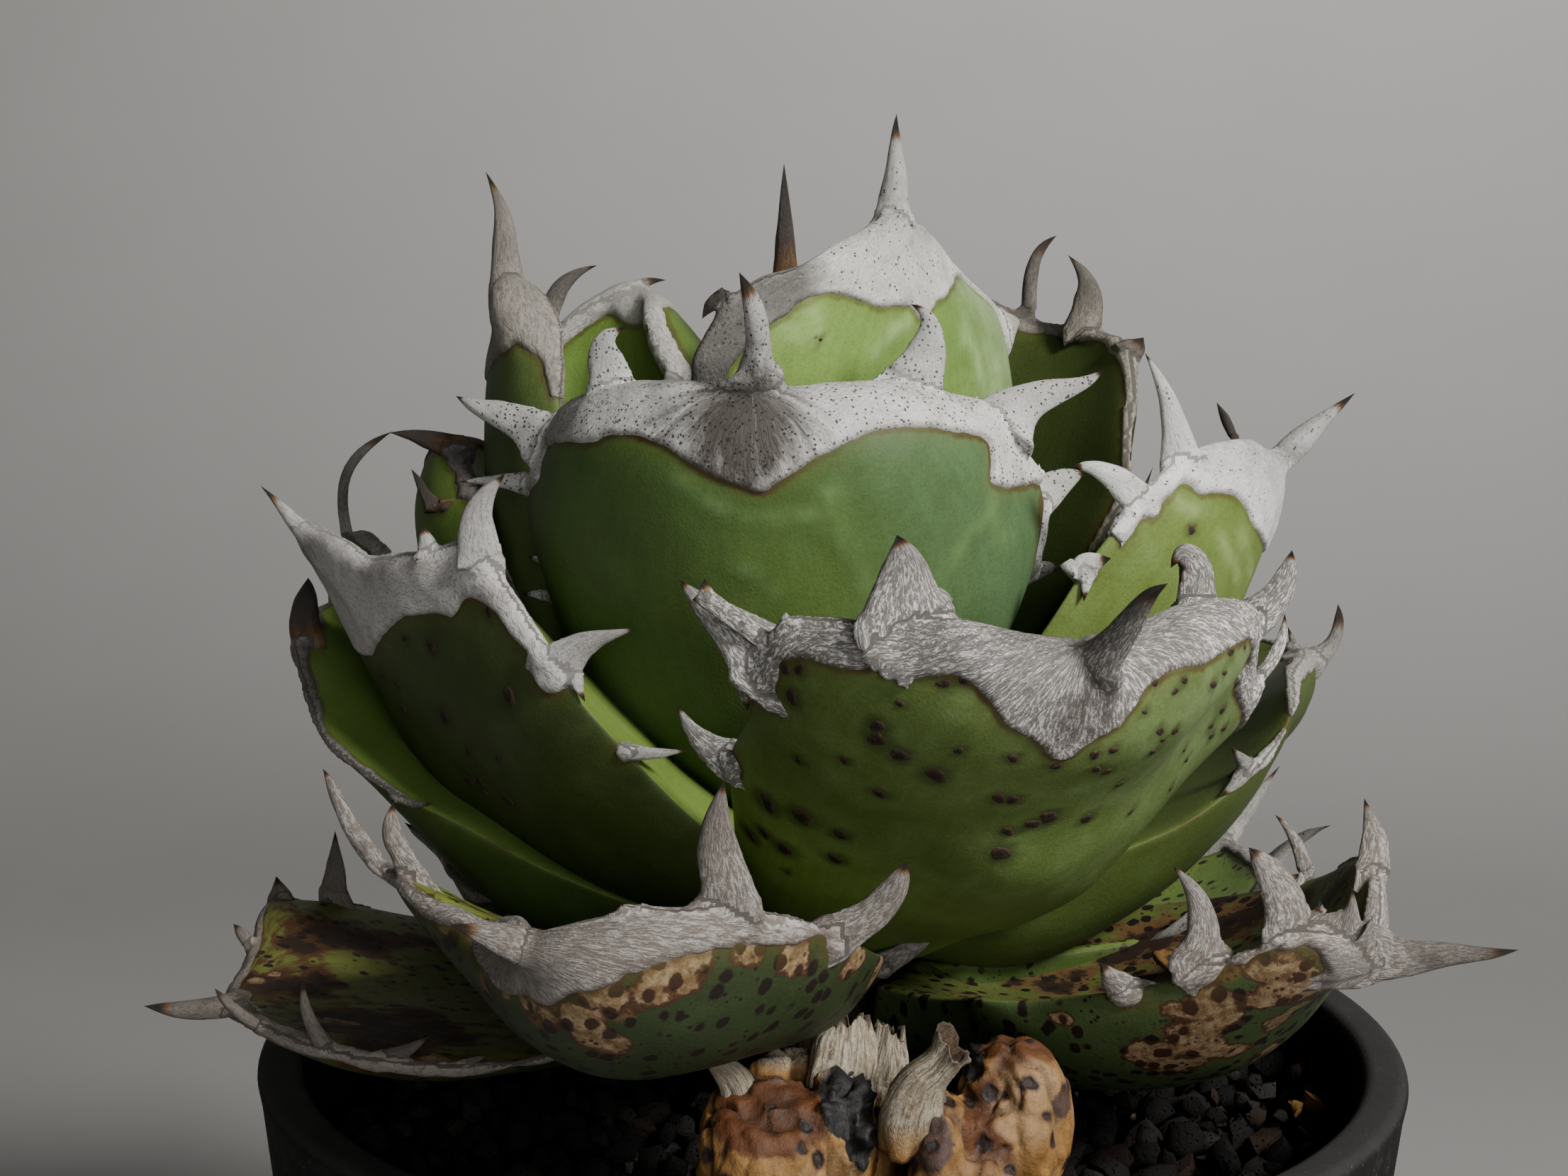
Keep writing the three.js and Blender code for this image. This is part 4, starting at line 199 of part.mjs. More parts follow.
  leaf_bottom_right: { color: '#6a7a4a', mid: [5.2,-19.7,131.8,6.5,-14.6,129.3,8.1,-9.1,127.8,10,-3.5,127.5,12.1,1.9,128.4,14.3,7.1,130.4,16.5,11.6,133.5,11.7,-27.8,133,14.3,-21.7,129.2,17.4,-14.9,126.8,20.7,-7.9,126,24.1,-1,126.8,27.5,5.6,129.1,30.6,11.6,133,14.9,-34.9,135.2,19.6,-28.4,130.3,24.8,-21.1,127.2,30.1,-13.3,125.9,35.4,-5.4,126.7,40.3,2.3,129.6,44.6,9.3,134.3,16.1,-39.1,136.6,23.1,-33.5,131.5,30.5,-26.9,128.4,37.9,-19.5,127.4,44.9,-11.8,128.7,51.1,-4.1,132.4,56.1,3.2,138.1,18.1,-41.4,137.2,26.6,-37.4,132.7,35.3,-32.2,130.3,43.7,-26.2,130.2,51.4,-19.5,132.3,58,-12.7,136.4,63.2,-6,142.3,22.5,-43.4,138.1,31,-40.9,134.6,39.6,-37.3,133.1,47.7,-32.6,133.8,54.8,-27.3,136.6,60.6,-21.5,141.2,64.8,-15.7,147.2,28.3,-46.3,139.6,35.8,-44.7,137.2,43.3,-42.1,136.5,50.3,-38.5,137.6,56.3,-34.2,140.4,61.1,-29.5,144.5,64.3,-24.6,149.8,34.8,-49.4,141.9,40.8,-48.3,140.4,46.7,-46.3,140.1,52.2,-43.5,141,57,-40.2,143.1,60.9,-36.4,146.3,63.4,-32.6,150.5,42.5,-52.3,145.6,46.3,-51.3,144.2,50.2,-49.7,143.6,54,-47.6,143.7,57.4,-45.1,144.7,60.3,-42.3,146.6,62.3,-39.5,149.2,51.4,-54,149.1,52.8,-53.1,147.3,54.4,-51.9,146,56,-50.3,145.3,57.7,-48.6,145.4,59.3,-46.8,146.3,60.8,-45,147.8,57.6,-51.4,145.6,57.6,-51.4,145.6,57.6,-51.4,145.6,57.6,-51.4,145.6,57.6,-51.4,145.6,57.6,-51.4,145.6,57.6,-51.4,145.6],
    out: [0.3,5.9,9.2,10.1,9.2,5.9,0.3,0.3,5.2,7.8,8.7,8.1,5.3,0.3,0.3,4,5.8,6.7,7,4.7,0.3,0.3,3.1,5.5,6.5,6.2,4.1,0.3,0.3,3.2,5.5,6.2,5.4,3.3,0.3,0.3,3.3,5.2,5.3,4.3,2.3,0.3,0.3,2.6,3.9,3.7,2.9,1.5,0.3,0.3,1.8,2.5,2.1,1.6,1.1,0.3,0.3,1.2,1.8,1.8,1.5,1.1,0.3,0.3,0.7,1,1.1,1,0.7,0.3,0.3,0.3,0.3,0.3,0.3,0.3,0.3],
    inn: [0,0.8,1.1,1.2,1.1,0.8,0,0,1,1.5,1.6,1.5,1,0,0,1.3,1.8,2,1.8,1.3,0,0,1.4,2,2.2,2,1.4,0,0,1.4,2,2.2,2,1.4,0,0,1.2,1.8,1.9,1.8,1.2,0,0,1.1,1.5,1.6,1.5,1.1,0,0,0.8,1.2,1.3,1.2,0.8,0,0,0.6,0.9,0.9,0.9,0.6,0,0,0.3,0.5,0.5,0.5,0.3,0,0,0,0,0,0,0,0],
    teeth: [[50.7,-51.7,145.3,-1.2,-0.4,-3,60.8,-51.2,146,-1.1,-0.4,-2.5,68.2,-50.4,146.1,-0.5,-0.2,-1.1,75.8,-49.4,146.4,0,0,0],
      [36.2,-47.6,139.7,2.3,0.1,0.4,31.2,-48.7,141.9,1.8,0,0.2,28.9,-50.3,144.8,0,0,0],
      [42.4,-50.8,143.3,3.1,0.2,1.7,39.7,-51.7,146.8,2.4,0.3,1.8,39.2,-52.9,152.4,0.7,0.2,1.2,35.9,-54.4,157.3,0,0,0],
      [48.3,-52.8,146.6,2.4,0.1,0.8,48.6,-53.9,151.1,2.4,0.1,1,46.9,-53.9,155.5,1.6,0.1,0.9,44.3,-53.9,159.1,0,0,0],
      [48.3,-52.8,146.6,3.5,-0.1,-0.9,55.9,-52.8,149.4,2,-0.2,-1,56,-52.8,154.6,0,0,0],
      [59.2,-8.2,137.7,0.9,-0.1,-0.6,61.7,-3.8,143.6,1,-0.1,-0.5,60.4,-2.6,147.1,0.7,0,0,58.1,-1.1,149.8,0,0,0],
      [61.9,-35.3,147.9,1,-0.3,-2.1,63.2,-32.7,151.6,1.2,-0.3,-1.9,63.4,-31.5,155.4,1.1,-0.1,-0.9,62.6,-30,159,0,0,0]] },
  leaf_bottom_left: { color: '#6b6a3a', mid: [-7.9,18,129.1,-8.1,12.4,127.5,-8.5,6.6,126.8,-9,0.7,127,-9.7,-5,128.2,-10.4,-10.4,130.1,-11.3,-15.5,132.9,-23.4,21.9,127.8,-22.3,14.9,126,-21.2,7.7,125.2,-20.3,0.5,125.5,-19.5,-6.6,126.9,-18.8,-13.5,129.3,-18.3,-19.9,132.7,-39.9,22.3,127.6,-36.8,14.4,125.5,-33.7,6.2,124.6,-30.6,-2.1,124.8,-27.6,-10.2,126.2,-24.7,-18.1,128.9,-22.1,-25.6,132.6,-54.5,18.8,128.7,-49.6,10.6,126.2,-44.6,2.1,125,-39.5,-6.4,124.8,-34.4,-14.9,125.9,-29.4,-23.1,128.3,-24.5,-31,131.9,-64.9,13.7,132,-59.2,5.5,128.6,-53.2,-3,126.4,-47,-11.5,125.5,-40.7,-19.9,126,-34.3,-28.2,127.8,-28,-36.1,130.8,-71.6,8.7,134.3,-65.9,0.5,130.5,-59.8,-8,127.9,-53.4,-16.4,126.6,-46.9,-24.9,126.5,-40.2,-33.1,127.7,-33.4,-41.1,130.2,-74.8,3.7,135.6,-70,-4.4,131.9,-64.7,-12.5,129.3,-59.2,-20.8,127.9,-53.4,-28.9,127.6,-47.5,-37,128.4,-41.5,-44.7,130.3,-75.3,-2.1,135,-71.9,-9.4,132.2,-68.2,-16.7,130.3,-64.3,-24.1,129.2,-60.2,-31.4,129,-55.9,-38.7,129.7,-51.4,-45.7,131.1,-74.5,-9.2,134.1,-72.8,-14.8,132.3,-70.9,-20.5,131.1,-68.7,-26.3,130.5,-66.4,-32,130.5,-64,-37.6,131.1,-61.5,-43.1,132.3,-74.1,-17.7,133,-73.6,-20.9,132.1,-73,-24.2,131.6,-72.2,-27.4,131.4,-71.3,-30.7,131.6,-70.2,-33.8,132.2,-69.1,-36.9,133.1,-73.9,-27.8,131.9,-73.9,-27.8,131.9,-73.9,-27.8,131.9,-73.9,-27.8,131.9,-73.9,-27.8,131.9,-73.9,-27.8,131.9,-73.9,-27.8,131.9],
    out: [0.3,4.3,6.7,7.4,6.7,4.3,0.3,0.3,3.9,6,6.5,6,3.9,0.3,0.3,3.4,5.2,5.8,5.2,3.4,0.3,0.3,3,4.6,5,4.6,3,0.3,0.3,2.6,4,4.4,3.9,2.3,0.3,0.3,2.2,3.4,3.7,2.8,1.6,0.3,0.3,1.9,2.9,3.1,2.5,1.5,0.3,0.3,1.5,2.3,2.4,2.1,1.2,0.3,0.3,1,1.6,1.5,1.2,0.6,0.3,0.3,0.6,0.9,0.8,0.3,0.3,0.3,0.3,0.3,0.3,0.3,0.3,0.3,0.3],
    inn: [0,0.8,1.1,1.2,1.1,0.8,0,0,1,1.4,1.5,1.4,1,0,0,1.2,1.7,1.8,1.7,1.2,0,0,1.3,1.9,2,1.9,1.3,0,0,1.4,2,2.2,2,1.4,0,0,1.4,2.1,2.2,2.1,1.4,0,0,1.3,1.9,2.1,1.9,1.3,0,0,1.1,1.6,1.7,1.6,1.1,0,0,0.8,1.2,1.3,1.2,0.8,0,0,0.4,0.6,0.7,0.6,0.4,0,0,0,0,0,0,0,0],
    teeth: [[-68,-33.9,131.3,0.2,-0.2,-1.4,-73.6,-32.1,133,0.2,-0.2,-1.4,-78.3,-32.1,132.5,0,-0.2,-1.1,-83,-32.1,132.9,0,0,0],
      [-71,0.5,133,2.5,0,0.2,-74.4,5.8,134.7,2.1,0,0.2,-75.3,7.3,138.2,0,0,0],
      [-65,6.4,130.9,2.1,0,0,-68.3,11.6,135.5,1.9,0,0,-68.2,12.4,139.3,1,0,0,-68.3,13.4,143,0,0,0],
      [-60,-40.8,131.1,1.3,0,0.2,-59.1,-44.6,132.9,1.2,0,0.2,-60.7,-45.5,136.7,0.8,0,0,-60.8,-46.4,140.9,0,0,0],
      [-66.4,-38,132.1,0.5,0.1,0.6,-67.5,-39.9,133.3,0.6,0.1,0.6,-70.1,-40.7,135.6,0.5,0.1,0.5,-72.1,-41.7,138.3,0,0,0],
      [-55.5,-41.4,130.4,1.1,-0.1,-0.7,-52,-45.7,131.5,1.1,-0.1,-0.6,-49,-46.5,132.9,0.6,-0.1,-0.3,-46.3,-47.5,134.9,0,0,0],
      [-46.9,-40.6,129.3,0.6,-0.1,-0.4,-42.4,-45.6,131,0.4,-0.1,-0.3,-39.5,-47.1,132.6,0,0,0]] },
  leaf_bottom_back_right: { color: '#5f6f42', lean: true, mid: [17.1,-8.3,130.9,13.6,-4.2,128.2,10,0.2,126.6,6.3,4.9,126,2.7,9.7,126.6,-0.8,14.3,128.2,-3.9,18.6,130.9,27.6,-4.3,131.2,23.5,0.5,127.8,19.1,5.8,125.8,14.6,11.4,125.1,10.3,17.1,125.8,6.2,22.7,127.8,2.5,27.9,131.2,37.5,-0.9,131.6,32.7,4.7,127.5,27.6,10.9,125.1,22.4,17.5,124.2,17.3,24.1,125.1,12.5,30.6,127.5,8.2,36.6,131.6,45.8,2.7,132.1,40.8,9,127.5,35.3,15.9,124.7,29.6,23.1,123.7,24,30.4,124.7,18.6,37.4,127.5,13.7,43.8,132.1,52.4,6.6,132.8,47.5,13.4,128,42.1,20.7,125,36.3,28.3,123.9,30.3,35.8,125,24.5,42.9,128,19.1,49.2,132.8,57.2,10.9,133.8,53,17.9,129,47.9,25.4,126,42.2,33,125,36.2,40.3,126,30.2,47.1,129,24.4,52.9,133.8,60.3,16.1,134.7,56.8,22.8,130.3,52.5,29.9,127.6,47.4,37,126.7,41.7,43.7,127.6,35.9,49.6,130.3,30.2,54.6,134.7,61.8,22.3,135.4,59.3,28.2,131.9,55.8,34.3,129.7,51.6,40.3,128.9,46.8,45.9,129.7,41.7,50.7,131.9,36.6,54.5,135.4,61.9,29.4,135.7,60.3,33.9,133.2,57.9,38.5,131.7,54.9,42.9,131.1,51.4,46.9,131.7,47.5,50.3,133.2,43.5,53,135.7,60.9,37.3,135.4,60.1,39.8,134.1,58.9,42.3,133.3,57.2,44.7,133,55.3,46.9,133.3,53.1,48.7,134.1,50.9,50.1,135.4,58.3,45.6,134,58.3,45.6,134,58.3,45.6,134,58.3,45.6,134,58.3,45.6,134,58.3,45.6,134,58.3,45.6,134],
    out: [0,5.3,8.2,9,8.2,5.3,0,0,5,7.8,8.5,7.8,5,0,0,4.8,7.4,8.1,7.4,4.8,0,0,4.5,7,7.7,7,4.5,0,0,4.3,6.7,7.3,6.7,4.3,0,0,4.1,6.4,7,6.4,4.1,0,0,3.9,6.1,6.7,6.1,3.9,0,0,3.4,5.2,5.8,5.2,3.4,0,0,2.6,4,4.4,4,2.6,0,0,1.6,2.5,2.7,2.5,1.6,0,0,0,0,0,0,0,0],
    inn: [0,0.9,1.3,1.4,1.3,0.9,0,0,1,1.5,1.6,1.5,1,0,0,1.2,1.8,1.9,1.8,1.2,0,0,1.3,2,2.1,2,1.3,0,0,1.4,2.1,2.2,2.1,1.4,0,0,1.4,2,2.2,2,1.4,0,0,1.3,1.9,2,1.9,1.3,0,0,1.1,1.6,1.7,1.6,1.1,0,0,0.8,1.1,1.2,1.1,0.8,0,0,0.4,0.6,0.7,0.6,0.4,0,0,0,0,0,0,0,0],
    teeth: [[54.2,42.4,129.6,-3.3,4.2,0,56.9,44.5,131.8,-3.3,4.2,0,60.9,47.5,135.1,-2,2.6,0,66.7,52.1,140.3,-0.6,0.8,0,70.5,55.1,143.9,0,0,0],
      [60.4,23.1,133.4,0.4,3.8,0.3,63,22.6,137,0.3,3.1,0.2,66.4,20.4,141.1,0.1,1.2,0.1,69.7,16.4,144.1,0,0,0],
      [57.6,14.9,132.8,2.6,4.7,0.8,59.9,13.2,135.1,2.1,3.8,0.7,62.3,12,137,0.8,1.5,0.3,64.8,11.2,138.5,0,0,0],
      [50,7.6,131.3,3.8,2.5,0.5,52.1,4.5,133.6,3.1,2,0.4,54.6,0.9,136.2,1.2,0.8,0.2,56.4,-2.6,138.3,0,0,0],
      [44.4,4.4,130.8,3.9,1.9,0.3,45.6,1.6,132.7,3.1,1.5,0.2,47,-0.4,135.1,1.2,0.6,0.1,48.8,-1.3,138.3,0,0,0],
      [35.4,53.1,133.4,4.5,-0.4,0.4,35.2,55.6,136.4,3.6,-0.3,0.3,33.9,58.6,139.3,1.4,-0.1,0.1,31.5,61.8,141.3,0,0,0],
      [26.6,51.6,132.5,4.3,1.7,0.7,24.9,54.8,135.1,3.5,1.4,0.6,21.7,58.3,137.5,1.4,0.6,0.2,17,61.1,138.8,0,0,0],
      [21.2,48.2,131.6,3.2,2.7,0.6,18.7,51,134.1,2.6,2.2,0.5,17.3,55.2,138.5,1,0.8,0.2,18.5,59.7,144.3,0,0,0],
      [15,42,130.8,2.5,2.9,0.3,12.6,44,132.6,2,2.4,0.2,10.9,46.2,134,0.8,0.9,0.1,9.5,48.8,135,0,0,0]] },
  leaf_bottom_back: { color: '#5f6f42', lean: true, mid: [18.2,5.1,129.9,12.9,5.9,127.2,7.3,6.9,125.6,1.4,7.9,125,-4.5,8.9,125.6,-10.1,10,127.2,-15.4,11,129.9,24.3,16.7,130.8,17.8,17.7,127.4,10.8,18.8,125.2,3.5,20.1,124.5,-3.7,21.4,125.2,-10.7,22.7,127.4,-17.1,24,130.8,30.2,27.2,132,22.6,28.6,127.8,14.2,30,125.2,5.6,31.5,124.3,-3.1,33.1,125.2,-11.4,34.5,127.8,-19.1,35.9,132,34.6,36.7,133.5,26.3,38.5,128.6,17.1,40.4,125.6,7.4,42.1,124.6,-2.2,43.8,125.6,-11.5,45.2,128.6,-20,46.3,133.5,37.3,45.2,135.2,28.7,47.6,130,19.2,49.8,126.9,9.1,51.8,125.8,-1,53.4,126.9,-10.7,54.5,130,-19.6,55.2,135.2,38.2,52.6,137.1,29.9,55.6,132.1,20.6,58.3,129,10.6,60.4,127.9,0.6,61.8,129,-9,62.5,132.1,-17.9,62.5,137.1,37,59.4,139,29.5,62.8,134.5,21,65.6,131.7,11.9,67.6,130.8,2.7,68.8,131.7,-6.3,69.1,134.5,-14.5,68.4,139,33.8,65.8,140.6,27.6,69.1,137,20.6,71.7,134.8,13,73.6,134,5.2,74.5,134.8,-2.3,74.4,137,-9.3,73.4,140.6,28.9,71.9,141.7,24.5,74.6,139.2,19.3,76.7,137.7,13.8,78.1,137.1,8.1,78.7,137.7,2.5,78.5,139.2,-2.6,77.5,141.7,22.5,77.7,142.1,20.1,79.3,140.8,17.4,80.5,140,14.3,81.2,139.7,11.2,81.5,140,8.2,81.4,140.8,5.4,80.7,142.1,14.6,82.7,141,14.6,82.7,141,14.6,82.7,141,14.6,82.7,141,14.6,82.7,141,14.6,82.7,141,14.6,82.7,141],
    out: [0,5.3,8.2,9,8.2,5.3,0,0,5,7.8,8.5,7.8,5,0,0,4.8,7.4,8.1,7.4,4.8,0,0,4.5,7,7.7,7,4.5,0,0,4.3,6.7,7.3,6.7,4.3,0,0,4.1,6.4,7,6.4,4.1,0,0,3.9,6.1,6.7,6.1,3.9,0,0,3.4,5.2,5.7,5.2,3.4,0,0,2.6,4,4.4,4,2.6,0,0,1.6,2.5,2.7,2.5,1.6,0,0,0,0,0,0,0,0],
    inn: [0,0.8,1.2,1.3,1.2,0.8,0,0,1,1.5,1.6,1.5,1,0,0,1.2,1.8,1.9,1.8,1.2,0,0,1.3,2,2.1,2,1.3,0,0,1.4,2.1,2.2,2.1,1.4,0,0,1.4,2,2.2,2,1.4,0,0,1.3,1.9,2,1.9,1.3,0,0,1.1,1.6,1.7,1.6,1.1,0,0,0.8,1.1,1.2,1.1,0.8,0,0,0.4,0.6,0.7,0.6,0.4,0,0,0,0,0,0,0,0],
    teeth: [[13.7,77.8,135.8,-5.8,1,0,14.3,80.8,138.3,-5.8,1,0,15.2,86,142.6,-3.6,0.6,0,16.8,93.4,149.3,-1,0.2,0,17.9,98.2,153.9,0,0,0],
      [30.9,67.8,138.9,-3.3,4.3,0.8,32.9,68.7,142.8,-2.6,3.5,0.7,34.5,69.9,148.1,-1,1.4,0.3,34.7,71.2,153.5,0,0,0],
      [36.1,53.6,135.8,-0.2,4.8,1.3,39.3,53.2,138.2,-0.2,3.9,1.1,42.1,52.5,140.9,-0.1,1.5,0.4,44.2,51.4,143.8,0,0,0],
      [35.1,45.1,133.7,0.9,3.6,0.8,38.9,44.1,136.1,0.7,3,0.7,44,43.7,139,0.3,1.2,0.3,49,43.9,141.4,0,0,0],
      [32,36,131.9,1.5,3.5,0.6,35.5,34,134.2,0.9,2.2,0.4,39.3,32.9,136.9,0,0,0],
      [-9.6,71.2,138.2,3.5,3,0.9,-11.4,72.8,141.4,2.8,2.4,0.8,-12.3,74.3,145.6,1.1,0.9,0.3,-12.2,75.1,150.1,0,0,0],
      [-14.4,65.3,136.6,2.2,3.7,1.2,-17.6,66.4,139.4,1.8,3,0.9,-21.2,68,143,0.7,1.2,0.4,-23.9,69.8,146.6,0,0,0],
      [-17.7,52.8,133.4,0.3,3.9,0.8,-21.5,52.7,135.6,0.2,3.2,0.7,-26,51.6,138.4,0.1,1.2,0.3,-29.9,48.6,140.8,0,0,0],
      [-17.7,44.5,131.9,-0.3,4.8,0.7,-20.9,44.1,133.6,-0.2,3.9,0.6,-23.7,43.4,134.8,-0.1,1.5,0.2,-26.4,42.1,135.3,0,0,0]] },
  leaf_bottom_back_left: { color: '#5b6a40', lean: true, mid: [8.7,16.9,130.4,4.5,13.5,127.7,-0.1,10,126.1,-4.8,6.4,125.5,-9.6,2.8,126.1,-14.2,-0.6,127.7,-18.6,-3.7,130.4,4.7,28.2,131,-0.3,24.2,127.6,-5.8,19.8,125.5,-11.6,15.4,124.8,-17.5,11.1,125.5,-23.1,7,127.6,-28.4,3.3,131,1.3,38.8,131.7,-4.7,34.1,127.5,-11.2,29.1,125,-18,23.9,124.1,-24.9,18.7,125,-31.5,13.9,127.5,-37.7,9.5,131.7,-2.3,47.8,132.6,-9,42.9,127.9,-16.3,37.4,124.9,-23.9,31.7,124,-31.5,26,124.9,-38.7,20.5,127.9,-45.3,15.4,132.6,-6.4,54.9,133.7,-13.6,50.2,128.7,-21.4,44.8,125.6,-29.3,38.9,124.6,-37.2,32.9,125.6,-44.5,26.9,128.7,-51,21.2,133.7,-10.8,60.1,135.1,-18.3,56,130.1,-26.2,51,127.1,-34.2,45.3,126,-41.8,39.2,127.1,-48.8,33,130.1,-54.8,26.9,135.1,-16.1,63.4,136.4,-23.4,60.2,132,-30.9,55.9,129.2,-38.3,50.8,128.3,-45.3,45.1,129.2,-51.4,39.1,132,-56.5,33,136.4,-22.6,65.2,137.5,-28.9,62.9,133.9,-35.4,59.5,131.7,-41.7,55.3,131,-47.5,50.4,131.7,-52.5,45.1,133.9,-56.4,39.7,137.5,-30,65.6,138.2,-34.8,64.1,135.7,-39.6,61.8,134.2,-44.3,58.8,133.6,-48.5,55.1,134.2,-52,51.1,135.7,-54.7,46.9,138.2,-38.2,64.7,138.2,-40.9,64,136.9,-43.5,62.8,136.1,-46.1,61.2,135.8,-48.4,59.2,136.1,-50.3,56.9,136.9,-51.7,54.6,138.2,-46.9,62.3,137,-46.9,62.3,137,-46.9,62.3,137,-46.9,62.3,137,-46.9,62.3,137,-46.9,62.3,137,-46.9,62.3,137],
    out: [0,5.3,8.2,9,8.2,5.3,0,0,5,7.8,8.5,7.8,5,0,0,4.8,7.4,8.1,7.4,4.8,0,0,4.5,7,7.7,7,4.5,0,0,4.3,6.7,7.3,6.7,4.3,0,0,4.1,6.4,7,6.4,4.1,0,0,3.9,6.1,6.7,6.1,3.9,0,0,3.4,5.2,5.7,5.2,3.4,0,0,2.6,4,4.4,4,2.6,0,0,1.6,2.5,2.7,2.5,1.6,0,0,0,0,0,0,0,0],
    inn: [0,0.8,1.2,1.3,1.2,0.8,0,0,1,1.5,1.6,1.5,1,0,0,1.2,1.8,1.9,1.8,1.2,0,0,1.3,2,2.1,2,1.3,0,0,1.4,2.1,2.2,2.1,1.4,0,0,1.4,2,2.2,2,1.4,0,0,1.3,1.9,2,1.9,1.3,0,0,1.1,1.6,1.7,1.6,1.1,0,0,0.8,1.1,1.2,1.1,0.8,0,0,0.4,0.6,0.7,0.6,0.4,0,0,0,0,0,0,0,0],
    teeth: [[-43.9,58.3,132.2,-4.6,-3.5,0,-45.9,60.9,134.6,-4.6,-3.5,0,-49,65.1,138,-2.9,-2.2,0,-53.9,72.2,142,-0.8,-0.6,0,-57.3,77.5,144.1,0,0,0],
      [-21.2,63.4,135.2,-4.5,1,0.7,-20.2,65.5,138.1,-3.7,0.8,0.6,-18.8,67.4,140.3,-1.4,0.3,0.2,-16.9,69.3,141.9,0,0,0],
      [-13.3,59.6,133.9,-3.6,2.7,1,-11,61.8,136.2,-2.9,2.2,0.8,-9.7,64.7,139,-1.1,0.9,0.3,-9.9,68.3,141.9,0,0,0],
      [-8.1,53.6,132.4,-2.4,3.5,0.7,-5.3,55,134.2,-1.9,2.8,0.6,-2.7,55.8,135.8,-0.8,1.1,0.2,-0.2,56.2,137.3,0,0,0],
      [-3.7,45.7,131.2,-2,4.5,0.5,-0.8,47,133.1,-1.6,3.7,0.4,1.4,49.8,135.2,-0.6,1.4,0.2,2.5,54,137.3,0,0,0],
      [-54.9,40,135.5,0.7,5.2,0.7,-57.1,40.1,138.7,0.6,4.2,0.6,-58.3,41.3,142.5,0.2,1.6,0.2,-58.2,43.4,146.7,0,0,0],
      [-54.2,30.9,134.2,-0.9,3.3,0.7,-56.9,29.8,136.6,-0.7,2.7,0.6,-59.2,28.5,138.9,-0.3,1.1,0.2,-60.9,26.7,140.9,0,0,0],
      [-49,22.2,132.3,-3.2,3.8,0.8,-51.3,19.5,134.4,-2.6,3,0.7,-52.7,15.6,137,-1,1.2,0.2,-52.4,11.2,139.9,0,0,0],
      [-41.9,15.4,131,-3.8,3,0.5,-44,12.8,133,-3,2.5,0.4,-46.4,10.5,134.9,-1.2,1,0.1,-48.6,8.4,136.7,0,0,0]] },
};

// ---- small tools --------------------------------------------------------
function solid(positions, indices) {
  let g = new THREE.BufferGeometry();
  g.setAttribute('position', new THREE.Float32BufferAttribute(positions, 3));
  g.setIndex(indices);
  return toManifold(g);
}
function toManifold(geometry) {
  const g = geometry.clone();
  g.deleteAttribute('normal');
  g.deleteAttribute('uv');
  const m = mergeVertices(g, 1e-4);
  return new wasm.Manifold(new wasm.Mesh({
    numProp: 3,
    vertProperties: Float32Array.from(m.attributes.position.array),
    triVerts: Uint32Array.from(m.index.array),
  }));
}
function toGeometry(man) {
  const m = man.getMesh();
  const g = new THREE.BufferGeometry();
  const p = new Float32Array(m.numVert * 3);
  for (let i = 0; i < m.numVert; i++)
    for (let k = 0; k < 3; k++) p[3 * i + k] = m.vertProperties[i * m.numProp + k];
  g.setAttribute('position', new THREE.BufferAttribute(p, 3));
  g.setIndex(new THREE.BufferAttribute(Uint32Array.from(m.triVerts), 1));
  g.computeVertexNormals();
  return g;
}
function biggest(man) {
  const parts = man.decompose();
  let best = parts[0];
  for (const p of parts) if (p.volume() > best.volume()) best = p;
  return best;
}
function hash(i, j) {
  const s = Math.sin(i * 127.1 + j * 311.7) * 43758.5453;
  return s - Math.floor(s);
}
// smooth curve through a regular net of values
function weights(f) {
  return [-0.5 * f + f * f - 0.5 * f ** 3, 1 - 2.5 * f * f + 1.5 * f ** 3,
    0.5 * f + 2 * f * f - 1.5 * f ** 3, -0.5 * f * f + 0.5 * f ** 3];
}
function sample(net, dim, a, b) {
  const at = (i, j) => {
    if (i < 0) { const p = at(0, j), q = at(1, j); return p.map((v, k) => 2 * v - q[k]); }
    if (i > NU - 1) { const p = at(NU - 1, j), q = at(NU - 2, j); return p.map((v, k) => 2 * v - q[k]); }
    if (j < 0) { const p = at(i, 0), q = at(i, 1); return p.map((v, k) => 2 * v - q[k]); }
    if (j > NS - 1) { const p = at(i, NS - 1), q = at(i, NS - 2); return p.map((v, k) => 2 * v - q[k]); }
    const o = (i * NS + j) * dim;
    return net.slice(o, o + dim);
  };
  const ia = Math.min(Math.max(Math.floor(a), 0), NU - 2);
  const ib = Math.min(Math.max(Math.floor(b), 0), NS - 2);
  const wa = weights(a - ia), wb = weights(b - ib);
  const r = new Array(dim).fill(0);
  for (let i = 0; i < 4; i++) for (let j = 0; j < 4; j++) {
    const v = at(ia + i - 1, ib + j - 1);
    for (let k = 0; k < dim; k++) r[k] += wa[i] * wb[j] * v[k];
  }
  return r;
}
const V = (a) => new THREE.Vector3(a[0], a[1], a[2]);
const uIndex = (u) => (1 - (1 - u) ** (1 / 1.6)) * (NU - 1);
const sIndex = (s) => ((s + 1) / 2) * (NS - 1);

